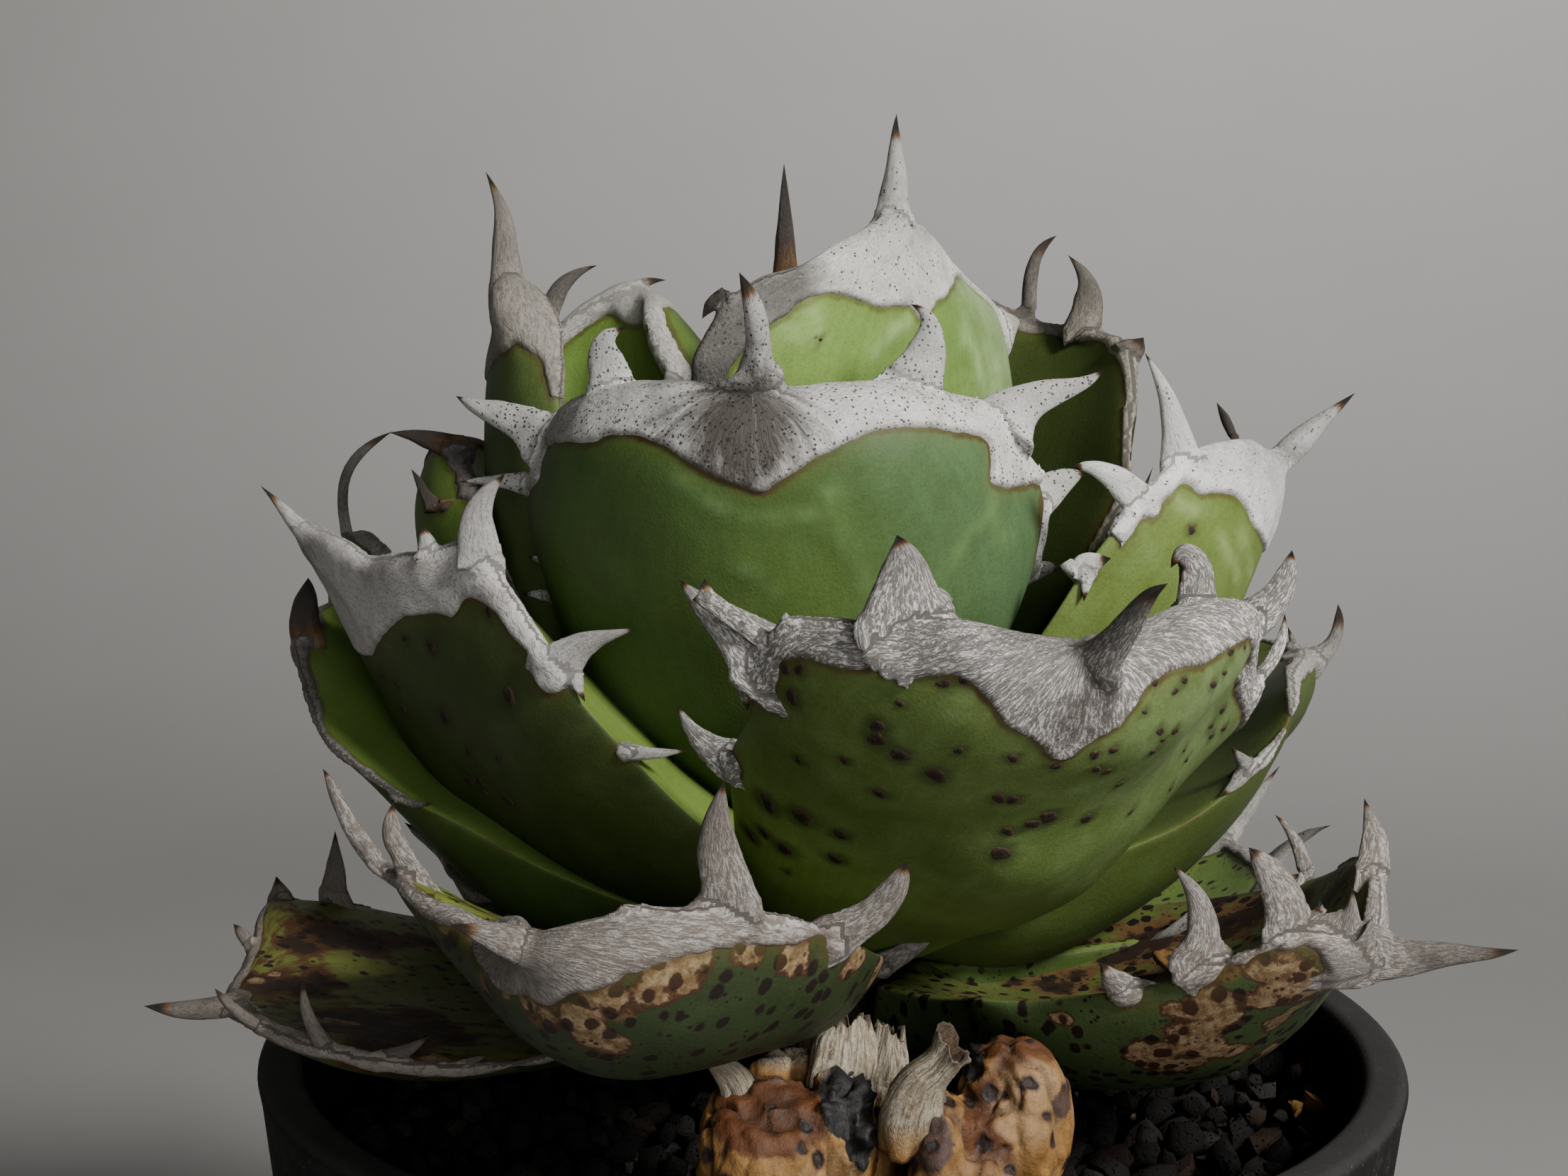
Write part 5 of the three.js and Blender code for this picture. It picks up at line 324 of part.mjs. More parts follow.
// one point on the back (side 1) or the inner face (side -1) of a leaf, made
// fatter all round by grow
function leafPoint(leaf, u, s, side, grow) {
  const a = uIndex(u), b = sIndex(s), h = 0.02;
  const m = V(sample(leaf.mid, 3, a, b));
  const du = V(sample(leaf.mid, 3, Math.min(a + h, NU - 1), b)).sub(V(sample(leaf.mid, 3, Math.max(a - h, 0), b)));
  const ds = V(sample(leaf.mid, 3, a, Math.min(b + h, NS - 1))).sub(V(sample(leaf.mid, 3, a, Math.max(b - h, 0))));
  const n = new THREE.Vector3().crossVectors(ds, du).normalize();
  const round = Math.sqrt(Math.max(0, 1 - Math.abs(s) ** 14)) * Math.sqrt(Math.max(0, 1 - u ** 30));
  const t = sample(side > 0 ? leaf.out : leaf.inn, 1, a, b)[0];
  m.addScaledVector(n, side * ((EDGE + t) * round + grow));
  if (Math.abs(s) > 0.9) m.addScaledVector(ds.normalize(), Math.sign(s) * grow);
  if (u < 0.01) m.addScaledVector(du.normalize(), -grow);
  return m;
}
const STATIONS = [0, 0.17, 0.35, 0.53, 0.69, 0.82, 0.91, 0.965];
const BACK = [-0.985, -0.72, -0.27, 0.27, 0.72, 0.985];
const FRONT = [0.985, 0.4, -0.4, -0.985];
// the leaves behind carry a coarser net
const LEAN_STATIONS = [0, 0.24, 0.48, 0.7, 0.87, 0.965];
const LEAN_BACK = [-0.985, -0.5, 0.5, 0.985];
const LEAN_FRONT = [0.985, 0, -0.985];
function leafBody(leaf, grow) {
  const stations = leaf.lean ? LEAN_STATIONS : STATIONS;
  const outside = leaf.lean ? LEAN_BACK : BACK, inside = leaf.lean ? LEAN_FRONT : FRONT;
  const pos = [], idx = [], ring = outside.length + inside.length;
  for (const u of stations) {
    for (const s of outside) pos.push(...leafPoint(leaf, u, s, 1, grow).toArray());
    for (const s of inside) pos.push(...leafPoint(leaf, u, s, -1, grow).toArray());
  }
  const n = stations.length;
  const tip = leafPoint(leaf, 1, 0, 1, 0);
  const back = leafPoint(leaf, 0.965, 0, 1, 0);
  tip.addScaledVector(tip.clone().sub(back).normalize(), grow);
  pos.push(...tip.toArray());
  const base = new THREE.Vector3();
  for (let j = 0; j < ring; j++) base.add(new THREE.Vector3(pos[3 * j], pos[3 * j + 1], pos[3 * j + 2]));
  base.multiplyScalar(1 / ring);
  pos.push(...base.toArray());
  const T = n * ring, B = T + 1;
  for (let i = 0; i < n - 1; i++) for (let j = 0; j < ring; j++) {
    const a = i * ring + j, b = i * ring + ((j + 1) % ring), c = a + ring, d = b + ring;
    idx.push(a, b, d, a, d, c);
  }
  for (let j = 0; j < ring; j++) {
    idx.push((n - 1) * ring + j, (n - 1) * ring + ((j + 1) % ring), T);
    idx.push(B, (j + 1) % ring, j);
  }
  return outward(pos, idx);
}
function outward(pos, idx) {
  let vol = 0;
  for (let i = 0; i < idx.length; i += 3) {
    const [a, b, c] = [idx[i], idx[i + 1], idx[i + 2]].map((k) => V(pos.slice(3 * k, 3 * k + 3)));
    vol += a.dot(b.cross(c));
  }
  if (vol < 0) for (let i = 0; i < idx.length; i += 3) [idx[i + 1], idx[i + 2]] = [idx[i + 2], idx[i + 1]];
  return solid(pos, idx);
}
// a tooth: a flattened, tapering spike through its rows
function tooth(rows, grow) {
  const n = rows.length / 6, pos = [], idx = [];
  const C = [], W = [];
  for (let i = 0; i < n; i++) { C.push(V(rows.slice(6 * i, 6 * i + 3))); W.push(V(rows.slice(6 * i + 3, 6 * i + 6))); }
  for (let i = 0; i < n - 1; i++) {
    const dir = C[Math.min(i + 1, n - 1)].clone().sub(C[Math.max(i - 1, 0)]).normalize();
    const w = Math.max(W[i].length(), 0.35), wd = W[i].clone().normalize();
    const t = new THREE.Vector3().crossVectors(dir, wd).normalize();
    const th = Math.min(0.9 * w, 0.9 + 0.2 * w) + grow;
    const c = C[i].clone();
    if (i === 0) c.addScaledVector(dir, -grow);
    const ww = w + grow;
    for (const v of [c.clone().addScaledVector(wd, ww), c.clone().addScaledVector(t, th),
      c.clone().addScaledVector(wd, -ww), c.clone().addScaledVector(t, -th)]) pos.push(...v.toArray());
  }
  const end = C[n - 1].clone();
  end.addScaledVector(end.clone().sub(C[n - 2]).normalize(), grow);
  pos.push(...end.toArray());
  const T = 4 * (n - 1);
  idx.push(0, 1, 2, 0, 2, 3);
  for (let i = 0; i < n - 2; i++) for (let j = 0; j < 4; j++) {
    const a = 4 * i + j, b = 4 * i + ((j + 1) % 4), c = a + 4, d = b + 4;
    idx.push(a, d, b, a, c, d);
  }
  for (let j = 0; j < 4; j++) idx.push(4 * (n - 2) + ((j + 1) % 4), 4 * (n - 2) + j, T);
  return outward(pos, idx);
}
function leafSolid(leaf, grow) {
  let m = leafBody(leaf, grow);
  for (const t of leaf.teeth) m = m.add(tooth(t, grow));
  return m;
}
function lathe(profile, segments) {
  const g = new THREE.LatheGeometry(profile.map(([r, z]) => new THREE.Vector2(r, z)), segments);
  g.rotateX(Math.PI / 2);
  return toManifoldOut(g);
}
function toManifoldOut(g) {
  const c = g.clone();
  c.deleteAttribute('normal');
  c.deleteAttribute('uv');
  const m = mergeVertices(c, 1e-4);
  const pos = Array.from(m.attributes.position.array), raw = Array.from(m.index.array), idx = [];
  for (let i = 0; i < raw.length; i += 3)
    if (raw[i] !== raw[i + 1] && raw[i + 1] !== raw[i + 2] && raw[i] !== raw[i + 2]) idx.push(raw[i], raw[i + 1], raw[i + 2]);
  return outward(pos, idx);
}
const apart = (a, b) => {
  const p = a.boundingBox(), q = b.boundingBox();
  for (let k = 0; k < 3; k++) if (p.max[k] < q.min[k] || q.max[k] < p.min[k]) return true;
  return false;
};

// ---- pot ----------------------------------------------------------------
const slope = (RIM_RADIUS - BASE_RADIUS) / POT_HEIGHT;
const outerAt = (z) => BASE_RADIUS + slope * z;
const innerAt = (z) => outerAt(z) - WALL;
let pot = lathe([
  [0, 0], [BASE_RADIUS - 1, 0], [outerAt(1), 1],
  [outerAt(POT_HEIGHT - RIM_ROUND), POT_HEIGHT - RIM_ROUND],
  [outerAt(POT_HEIGHT) - RIM_ROUND * 0.35, POT_HEIGHT - RIM_ROUND * 0.35],
  [outerAt(POT_HEIGHT) - RIM_ROUND, POT_HEIGHT],
  [innerAt(POT_HEIGHT) + RIM_ROUND, POT_HEIGHT],
  [innerAt(POT_HEIGHT), POT_HEIGHT - RIM_ROUND],
  [innerAt(FLOOR), FLOOR], [0, FLOOR],
], 40);
for (let i = 0; i < DRAIN_HOLES; i++) {
  const g = new THREE.CylinderGeometry(DRAIN_RADIUS, DRAIN_RADIUS, FLOOR * 3, 8);
  g.rotateX(Math.PI / 2);
  const a = (i / DRAIN_HOLES) * 2 * Math.PI;
  g.translate(DRAIN_CIRCLE * Math.cos(a), DRAIN_CIRCLE * Math.sin(a), FLOOR / 2);
  pot = pot.subtract(toManifoldOut(g));
}

// ---- stem, soil, gravel -------------------------------------------------
const stemProfile = (g) => [
  [0, STEM_FOOT - g], [STEM_RADIUS * 0.8 + g, STEM_FOOT - g], [STEM_RADIUS + 1.4 + g, STEM_FOOT + 8],
  [STEM_RADIUS + g, GRAVEL_TOP + 8], [STEM_RADIUS - 0.6 + g, 150], [3.4 + g, STEM_TOP - 6],
  [1.5 + g, STEM_TOP + g], [0, STEM_TOP + g]];
const stem = lathe(stemProfile(0), 12);
const stemCut = lathe(stemProfile(GAP), 12);
const soil = lathe([
  [0, FLOOR + GAP], [innerAt(FLOOR) - GAP - 0.1, FLOOR + GAP], [innerAt(SOIL_TOP) - GAP - 0.1, SOIL_TOP],
  [STEM_RADIUS + 3, SOIL_TOP], [0, SOIL_TOP]], 32).subtract(stemCut);
function gravelLayer() {
  const rings = [STEM_RADIUS + 2.5, 22, 38, 54, innerAt(SOIL_TOP) - GAP - 0.2];
  const seg = 24, pos = [], idx = [];
  for (let i = 0; i < rings.length; i++) for (let j = 0; j < seg; j++) {
    const a = (j / seg) * 2 * Math.PI;
    const z = GRAVEL_TOP + GRAVEL_BUMP * (2 * hash(i, j) - 1) + 0.8 * Math.cos((rings[i] / 69) * Math.PI * 0.5);
    pos.push(rings[i] * Math.cos(a), rings[i] * Math.sin(a), z);
  }
  const b0 = pos.length / 3;
  for (const r of [rings[0], rings[rings.length - 1]]) for (let j = 0; j < seg; j++) {
    const a = (j / seg) * 2 * Math.PI;
    pos.push(r * Math.cos(a), r * Math.sin(a), SOIL_TOP + GAP);
  }
  for (let i = 0; i < rings.length - 1; i++) for (let j = 0; j < seg; j++) {
    const k = (j + 1) % seg, a = i * seg + j, b = i * seg + k, c = a + seg, d = b + seg;
    idx.push(a, d, b, a, c, d);
  }
  const last = (rings.length - 1) * seg;
  for (let j = 0; j < seg; j++) {
    const k = (j + 1) % seg;
    idx.push(j, k, b0 + k, j, b0 + k, b0 + j);
    idx.push(last + j, b0 + seg + k, last + k, last + j, b0 + seg + j, b0 + seg + k);
    idx.push(b0 + j, b0 + k, b0 + seg + k, b0 + j, b0 + seg + k, b0 + seg + j);
  }
  return outward(pos, idx);
}
const gravel = gravelLayer();

// ---- withered leaves ----------------------------------------------------
// lumps: centre, half sizes, turn about Z (degrees)
function lump(c, h, turn, seed, detail) {
  const g = new THREE.IcosahedronGeometry(1, detail ?? 1);
  g.deleteAttribute('normal'); g.deleteAttribute('uv');
  const m = mergeVertices(g, 1e-4), p = m.attributes.position;
  for (let i = 0; i < p.count; i++) {
    const f = 0.9 + 0.16 * hash(i, seed);
    p.setXYZ(i, p.getX(i) * h[0] * f, p.getY(i) * h[1] * f, p.getZ(i) * h[2] * f);
  }
  m.rotateZ((turn * Math.PI) / 180);
  m.translate(c[0], c[1], c[2]);
  return toManifoldOut(m);
}
const WITHERED = {
  withered_leaf_left: { color: '#a9793f', lumps: [
    [[-7, -57, 121.5], [9.5, 9, 9.5], 20], [[3.5, -58, 121], [9, 8.5, 10.5], -10], [[-1, -44, 122], [9, 10, 7], 0],
    [[5, -52, 132], [4.6, 5, 8], 15]] },
  withered_leaf_right: { color: '#b98545', lumps: [
    [[19.5, -56, 122.5], [8.6, 8.5, 10.5], -15], [[14, -46, 122], [8, 9, 7.5], 0], [[12.3, -57.5, 131], [4.4, 4.4, 9.5], -25]] },
  dead_leaf_tip: { color: '#d0913a', lumps: [[[46, -16, 133], [6, 4, 2.6], 20]] },
};

// ---- assembly -----------------------------------------------------------
const agave = new THREE.Group();
agave.name = 'potted_agave';
function addPiece(name, man, color, roughness) {
  const mesh = new THREE.Mesh(toGeometry(man), new THREE.MeshStandardMaterial({ color, roughness, metalness: 0 }));
  mesh.name = name;
  agave.add(mesh);
}
addPiece('pot', pot, '#1d1d1f', 0.8);
addPiece('soil', soil, '#2b2622', 1);
addPiece('gravel', gravel, '#2f2d2c', 0.95);
addPiece('stem', stem, '#6d6a48', 0.8);
const cutters = [];
const gravelCut = gravel.translate([0, 0, GAP]);
for (const [name, leaf] of Object.entries(LEAVES)) {
  let m = leafSolid(leaf, 0).subtract(stemCut);
  for (const c of cutters) if (!apart(m, c)) m = m.subtract(c);
  m = biggest(m);
  addPiece(name, m, leaf.color, 0.55);
  cutters.push(leafSolid(leaf, GAP));
}
for (const [name, w] of Object.entries(WITHERED)) {
  let m = null;
  w.lumps.forEach(([c, h, t], i) => { const l = lump(c, h, t, i + 3); m = m ? m.add(l) : l; });
  m = m.subtract(stemCut).subtract(gravelCut);
  for (const c of cutters) if (!apart(m, c)) m = m.subtract(c);
  m = biggest(m);
  addPiece(name, m, w.color, 0.9);
  let g = null;
  w.lumps.forEach(([c, h, t], i) => { const l = lump(c, h.map((v) => v + 0.4), t, i + 3); g = g ? g.add(l) : l; });
  cutters.push(g);
}

export default agave;
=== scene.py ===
# The looks of a potted agave: thick toothed leaves with pale corky margins, a
# dark pot with lava gravel, and two withered leaves. Metres, +Z up, the origin
# at the centre of the pot's base. Working units below are millimetres.
import bpy
import math
import numpy as np
from mathutils import Matrix, Vector
from mathutils.kdtree import KDTree


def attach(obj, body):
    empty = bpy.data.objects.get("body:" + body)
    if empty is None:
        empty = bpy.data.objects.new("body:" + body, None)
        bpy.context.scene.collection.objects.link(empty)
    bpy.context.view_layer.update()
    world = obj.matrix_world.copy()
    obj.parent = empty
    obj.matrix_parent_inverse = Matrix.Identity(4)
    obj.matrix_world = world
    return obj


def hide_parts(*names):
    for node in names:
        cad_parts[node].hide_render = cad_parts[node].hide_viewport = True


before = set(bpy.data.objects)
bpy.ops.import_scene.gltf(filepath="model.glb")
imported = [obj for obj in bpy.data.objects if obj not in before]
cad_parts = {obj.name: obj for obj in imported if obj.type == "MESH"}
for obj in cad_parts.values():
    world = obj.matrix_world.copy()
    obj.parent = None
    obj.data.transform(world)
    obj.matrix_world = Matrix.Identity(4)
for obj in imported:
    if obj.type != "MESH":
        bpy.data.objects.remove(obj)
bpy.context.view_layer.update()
scene = bpy.context.scene
MM = 0.001

# ------------------------------------------------------------------ camera
CAM_AT = np.array([-6.67, -308.37, 225.46])
PITCH, ROLL = math.radians(8.51), math.radians(0.41)
LENS, SENSOR = 55.0, 36.0


def make_camera():
    f = np.array([0.0, math.cos(PITCH), -math.sin(PITCH)])
    r = np.array([1.0, 0.0, 0.0])
    u = np.cross(r, f)
    r2 = math.cos(ROLL) * r + math.sin(ROLL) * u
    u2 = -math.sin(ROLL) * r + math.cos(ROLL) * u
    m = Matrix.Identity(4)
    for i in range(3):
        m[i][0], m[i][1], m[i][2], m[i][3] = r2[i], u2[i], -f[i], CAM_AT[i] * MM
    cam = bpy.data.cameras.new("view")
    cam.lens, cam.sensor_width, cam.sensor_fit = LENS, SENSOR, "HORIZONTAL"
    cam.clip_start, cam.clip_end = 0.01, 60.0
    ob = bpy.data.objects.new("view", cam)
    scene.collection.objects.link(ob)
    ob.matrix_world = m
    scene.camera = ob


make_camera()

# ------------------------------------------------------------------ leaves
# G: the surface halfway through the leaf, 11 stations by 7 points. TO, TI: how
# far the back and the inner face stand off it. teeth: rows of a centre and a
# half width. band: the lower edge of the cork on the back, as (u, s). spots:
# (u, s, radius). imp: pale lines pressed in by older leaves.
LEAVES = {
'T0': dict(
G=[2.6,6.1,172.8,.3,5.1,171.8,-1.5,3.3,171.2,-2.8,1,171,-3.3,-1.6,171.2,-3,-4.1,171.8,-1.9,-6.3,172.8,1.5,8.4,179.5,-1.5,7.2,178.5,-4,5,177.9,-5.7,2.1,
177.6,-6.3,-1.3,177.9,-5.8,-4.6,178.5,-4.2,-7.4,179.5,1.2,10.1,185.6,-2.5,8.8,184.9,-5.6,6.3,184.3,-7.7,2.8,184.2,-8.4,-1.2,184.3,-7.6,-5.1,184.9,
-5.5,-8.5,185.6,.9,10.8,191.3,-3.2,9.6,190.8,-6.6,6.9,190.5,-8.8,3.2,190.4,-9.5,-1,190.5,-8.6,-5.2,190.8,-6.3,-8.8,191.3,.3,10.7,196.5,-3.7,9.6,196.3,
-7.1,7,196.2,-9.3,3.4,196.2,-10,-.8,196.2,-9,-4.9,196.3,-6.6,-8.4,196.5,-.3,10.1,201.4,-4.1,9.2,201.4,-7.3,6.8,201.5,-9.4,3.4,201.5,-10,-.5,201.5,
-9.1,-4.4,201.4,-6.8,-7.6,201.4,-1.2,9.2,205.9,-4.6,8.4,206,-7.4,6.3,206.1,-9.2,3.4,206.1,-9.7,-.1,206.1,-8.9,-3.5,206,-6.8,-6.3,205.9,-2.4,8,209.8,
-5.2,7.3,210,-7.5,5.7,210.1,-9,3.3,210.1,-9.4,.5,210.1,-8.7,-2.3,210,-7,-4.5,209.8,-4,6.5,213.2,-6,6.1,213.3,-7.7,4.9,213.4,-8.7,3.2,213.4,-9,1.2,
213.4,-8.5,-.8,213.3,-7.3,-2.4,213.2,-6,4.9,215.7,-7.1,4.7,215.7,-8,4,215.8,-8.6,3.1,215.8,-8.7,2,215.8,-8.4,1,215.7,-7.8,.1,215.7,-8.5,3.1,217,-8.5,
3.1,217,-8.5,3.1,217,-8.5,3.1,217,-8.5,3.1,217,-8.5,3.1,217,-8.5,3.1,217],
TO=[0,2.4,3.6,4,3.6,2.4,0,0,2.3,3.5,3.8,3.5,2.3,0,0,2.2,3.4,3.7,3.4,2.2,0,0,2.1,3.2,3.6,3.2,2.1,0,0,2,3.1,3.4,3.1,2,0,0,2,3,3.3,3,2,0,0,1.9,2.9,3.2,2.9,
1.9,0,0,1.7,2.6,2.8,2.6,1.7,0,0,1.2,1.9,2.1,1.9,1.2,0,0,.7,1.2,1.3,1.2,.7,0,0,0,0,0,0,0,0],
TI=[0,.9,1.3,1.4,1.3,.9,0,0,1.1,1.6,1.7,1.6,1.1,0,0,1.3,1.9,2.1,1.9,1.3,0,0,1.4,2.1,2.2,2.1,1.4,0,0,1.4,2,2.2,2,1.4,0,0,1.3,1.9,2,1.9,1.3,0,0,1.1,1.7,
1.8,1.7,1.1,0,0,.9,1.4,1.4,1.4,.9,0,0,.7,1,1,1,.7,0,0,.4,.5,.6,.5,.4,0,0,0,0,0,0,0,0],
teeth=[
('darkspine', [-7.19,5.06,214.6,1.98,.06,.43,-6.71,3.91,217.19,2.15,.07,.47,-6.77,3.91,219.61,1.84,.06,.4,-6.82,3.91,222.02,1.53,.05,.33,-6.88,3.91,224.43,1.23,.04,
.27,-6.93,3.91,226.83,.92,.03,.2,-6.97,3.91,229.23,.61,.02,.13,-7.02,3.91,231.62,.31,.01,.07,-7.06,3.91,234,0,0,0]),
],
band=None,
spots=[],
imp=[]),
'T1': dict(
G=[-10.8,-2.3,175.3,-7.1,-3.2,174.3,-3.2,-3.4,173.6,.8,-2.9,173.3,4.6,-1.9,173.3,8.2,-.2,173.7,11.4,2,174.5,-16,-8.3,182.8,-10.1,-8.9,181.7,-4,-8.5,
181.1,1.9,-7.2,181,7.5,-4.9,181.5,12.5,-1.8,182.5,17,2.1,184,-21.1,-15.3,189,-13,-15.1,188.2,-4.9,-13.7,187.9,2.8,-11,188.4,9.9,-7,189.5,16.1,-2,
191.2,21.3,3.9,193.5,-24,-22.5,194.6,-14.4,-21.3,194.1,-5.1,-18.5,194.4,3.5,-14.2,195.3,11.3,-8.6,197,17.8,-1.8,199.2,22.9,5.9,202,-22.9,-29.1,200.2,
-13.4,-26.6,200.1,-4.3,-22.5,200.6,4.2,-16.8,201.9,11.7,-9.8,203.8,17.8,-1.7,206.2,22.2,7.3,209.1,-17.6,-33.9,206.4,-9.9,-30.4,206.3,-2.5,-25.3,206.8,
4.7,-18.8,208,11.3,-11,209.8,16.7,-2.3,212.2,20.4,7.1,215,-16.4,-36.1,211.4,-8.4,-32.1,211.7,-1.2,-26.8,212.4,5.1,-20.2,213.4,10.2,-12.8,214.9,14,
-4.6,216.6,16.3,4.1,218.7,-11.7,-35.5,218.1,-5.1,-31.7,217.7,.7,-26.9,217.7,5.4,-21.2,218.2,9,-14.8,219.1,11.4,-7.8,220.2,12.7,-.6,221.5,-5,-33,221,
-.9,-29.9,221.3,2.7,-26.1,221.7,5.6,-21.8,222.1,7.9,-17,222.6,9.4,-11.9,223.3,10.1,-6.7,224.1,.4,-28.4,224.6,2.6,-26.6,224.7,4.4,-24.5,224.9,5.8,
-22.1,225,6.9,-19.5,225.2,7.6,-16.7,225.5,7.8,-13.9,225.9,5.9,-22.2,226.5,5.9,-22.2,226.5,5.9,-22.2,226.5,5.9,-22.2,226.5,5.9,-22.2,226.5,5.9,-22.2,
226.5,5.9,-22.2,226.5],
TO=[0,3.9,6,6.6,6,3.9,0,0,3.6,5.6,6.1,5.6,3.6,0,0,3.2,4.9,5.4,4.9,3.2,0,0,2.8,4.3,4.8,4.3,2.8,0,0,2.5,3.8,4.2,3.8,2.5,0,0,2.1,3.3,3.6,3.3,2.1,0,0,1.9,
2.9,3.2,2.9,1.9,0,0,1.4,2.1,2.3,2.1,1.4,0,0,.9,1.4,1.6,1.4,.9,0,0,.5,.8,.9,.8,.5,0,0,0,0,0,0,0,0],
TI=[0,.5,.8,.8,.8,.5,0,0,.8,1.2,1.3,1.2,.8,0,0,1.1,1.6,1.7,1.6,1.1,0,0,1.3,1.9,2,1.9,1.3,0,0,1.4,2,2.2,2,1.4,0,0,1.4,2,2.1,2,1.4,0,0,1.2,1.8,1.9,1.8,1.2,
0,0,1,1.4,1.5,1.4,1,0,0,.7,1,1.1,1,.7,0,0,.4,.5,.6,.5,.4,0,0,0,0,0,0,0,0],
teeth=[
('spine', [2.19,-27.05,223.16,2.59,-.09,-.57,5.82,-22.19,225.54,2.82,-.09,-.62,5.84,-22.19,227.43,2.21,-.08,-.53,5.95,-22.19,229.35,1.74,-.06,-.43,6.09,-22.19,
231.29,1.4,-.05,-.33,6.13,-22.19,233.24,1.09,-.04,-.25,6.07,-22.19,235.19,.77,-.03,-.18,6.05,-22.19,237.12,.41,-.02,-.1,6.13,-22.19,239.04,0,0,0]),
# painted shade: this left tooth of T1 is made dark because it lies in shadow, turned away from the light
('dark', [-8.23,-33.43,217.25,1.14,-.04,-.24,-13.23,-35.64,218.1,1.24,-.04,-.26,-13.77,-35.64,217.82,1.13,-.04,-.23,-14.31,-35.64,217.53,1.02,-.03,-.2,-14.83,
-35.64,217.22,.89,-.02,-.17,-15.26,-35.64,216.85,.71,-.02,-.12,-15.59,-35.64,216.38,.48,-.01,-.07,-15.88,-35.64,215.89,.24,-.01,-.04,-16.17,-35.64,
215.39,0,0,0]),
('', [20.44,5.24,212.08,-1.11,-.11,3.67,21.48,7.49,212.46,-1.11,-.11,3.67,22,8.67,212.73,-.9,-.09,2.97,22.51,9.82,212.96,-.7,-.07,2.32,23.02,10.93,213.14,
-.52,-.05,1.71,23.51,12,213.28,-.35,-.03,1.17,23.98,13.04,213.36,-.21,-.02,.68,24.45,14.03,213.41,-.08,-.01,.28,24.91,14.99,213.4,0,0,0]),
('', [-19.12,-29.75,201.69,2.34,-2.04,2.51,-21.09,-31.1,202.42,2.34,-2.04,2.51,-22.18,-31.82,202.76,1.89,-1.65,2.03,-23.14,-32.64,203.15,1.48,-1.29,1.58,
-23.95,-33.55,203.58,1.09,-.95,1.17,-24.63,-34.55,204.05,.74,-.65,.8,-25.16,-35.64,204.56,.43,-.38,.47,-25.55,-36.82,205.12,.18,-.16,.19,-25.8,-38.1,
205.73,0,0,0]),
],
band=[[.55,-1],[.7,-.9],[.8,-.82],[.83,-.75],[.847,-.73],[.868,-.69],[.876,-.63],[.876,-.55],[.864,-.42],[.847,-.27],[.835,-.03],[.802,.06],[.819,.21],
[.819,.33],[.823,.49],[.83,.6],[.8,.78],[.7,.92],[.55,1]],
spots=[[.798,-.53,.252]],
imp=[[[.843,-.65],[.835,-.61],[.823,-.58]],[[.811,-.72],[.802,-.62],[.802,-.55]],[[.77,-.22],[.802,-.13],[.811,-.03]],[[.716,.37],[.675,.45],[.606,.47]]]),
'TR': dict(
G=[15.5,-6.5,163.8,12.1,-2.1,161.7,7.8,1.9,160.5,2.8,5.2,160,-2.7,7.7,160.3,-8.3,9.2,161.5,-14,9.7,163.4,19.7,-5.8,168.7,16.3,.2,167.5,11.6,5.5,167.2,6,
9.7,167.7,-.3,12.7,169.1,-6.8,14.2,171.1,-13.4,14.2,173.8,24.3,-6.3,173.2,20.7,1,173.2,15.6,7.3,174,9.3,12.2,175.7,2.1,15.3,178,-5.4,16.4,181,-12.8,
15.6,184.3,28.6,-6.9,178.6,25,1.3,179.2,19.5,8.2,180.8,12.5,13.3,183.2,4.6,16.4,186.3,-3.6,17,189.8,-11.6,15.2,193.5,32.5,-7.1,185.2,28.8,1.5,185.8,
22.9,8.8,187.5,15.6,14.1,190.1,7.3,17,193.6,-1.3,17.2,197.4,-9.5,14.8,201.4,36.3,-6.4,192.8,32.2,2.3,192.6,26.1,9.7,193.9,18.5,15,196.3,10,17.8,199.8,
1.4,17.8,203.9,-6.5,14.9,208.2,36.9,-4.2,199.7,33.7,4.2,198.9,28.3,11.3,199.6,21.1,16.4,201.7,12.9,18.9,205,4.7,18.7,209.1,-2.7,15.8,213.7,38.1,.5,
206.2,35,7.6,204.7,29.9,13.7,204.7,23.3,18,206.1,16.1,20.2,208.9,9,19.9,212.7,2.8,17.2,217.2,37.5,7,210.8,34.6,12.2,209.1,30.3,16.7,208.7,25.1,19.8,
209.6,19.6,21.3,211.6,14.3,21,214.7,9.9,18.9,218.3,33.2,14.4,212.3,31.7,17.2,211.6,29.4,19.7,211.4,26.5,21.4,212,23.3,22.2,213.1,20.4,22,214.9,18.1,
20.8,217,27.1,22.2,213.1,27.1,22.2,213.1,27.1,22.2,213.1,27.1,22.2,213.1,27.1,22.2,213.1,27.1,22.2,213.1,27.1,22.2,213.1],
TO=[0,5.3,8.2,9,8.2,5.3,0,0,5,7.8,8.5,7.8,5,0,0,4.8,7.4,8.1,7.4,4.8,0,0,4.5,7,7.7,7,4.5,0,0,4.3,6.7,7.3,6.7,4.3,0,0,4.1,6.4,7,6.4,4.1,0,0,3.9,6.1,6.7,
6.1,3.9,0,0,3.6,5.6,6.2,5.6,3.6,0,0,2.8,4.4,4.8,4.4,2.8,0,0,1.8,2.8,3.1,2.8,1.8,0,0,0,0,0,0,0,0],
TI=[0,.9,1.3,1.4,1.3,.9,0,0,1,1.5,1.6,1.5,1,0,0,1.2,1.8,1.9,1.8,1.2,0,0,1.3,1.9,2.1,1.9,1.3,0,0,1.4,2,2.2,2,1.4,0,0,1.4,2.1,2.2,2.1,1.4,0,0,1.4,2,2.1,2,
1.4,0,0,1.2,1.7,1.9,1.7,1.2,0,0,.9,1.3,1.4,1.3,.9,0,0,.5,.7,.8,.7,.5,0,0,0,0,0,0,0,0],
teeth=[
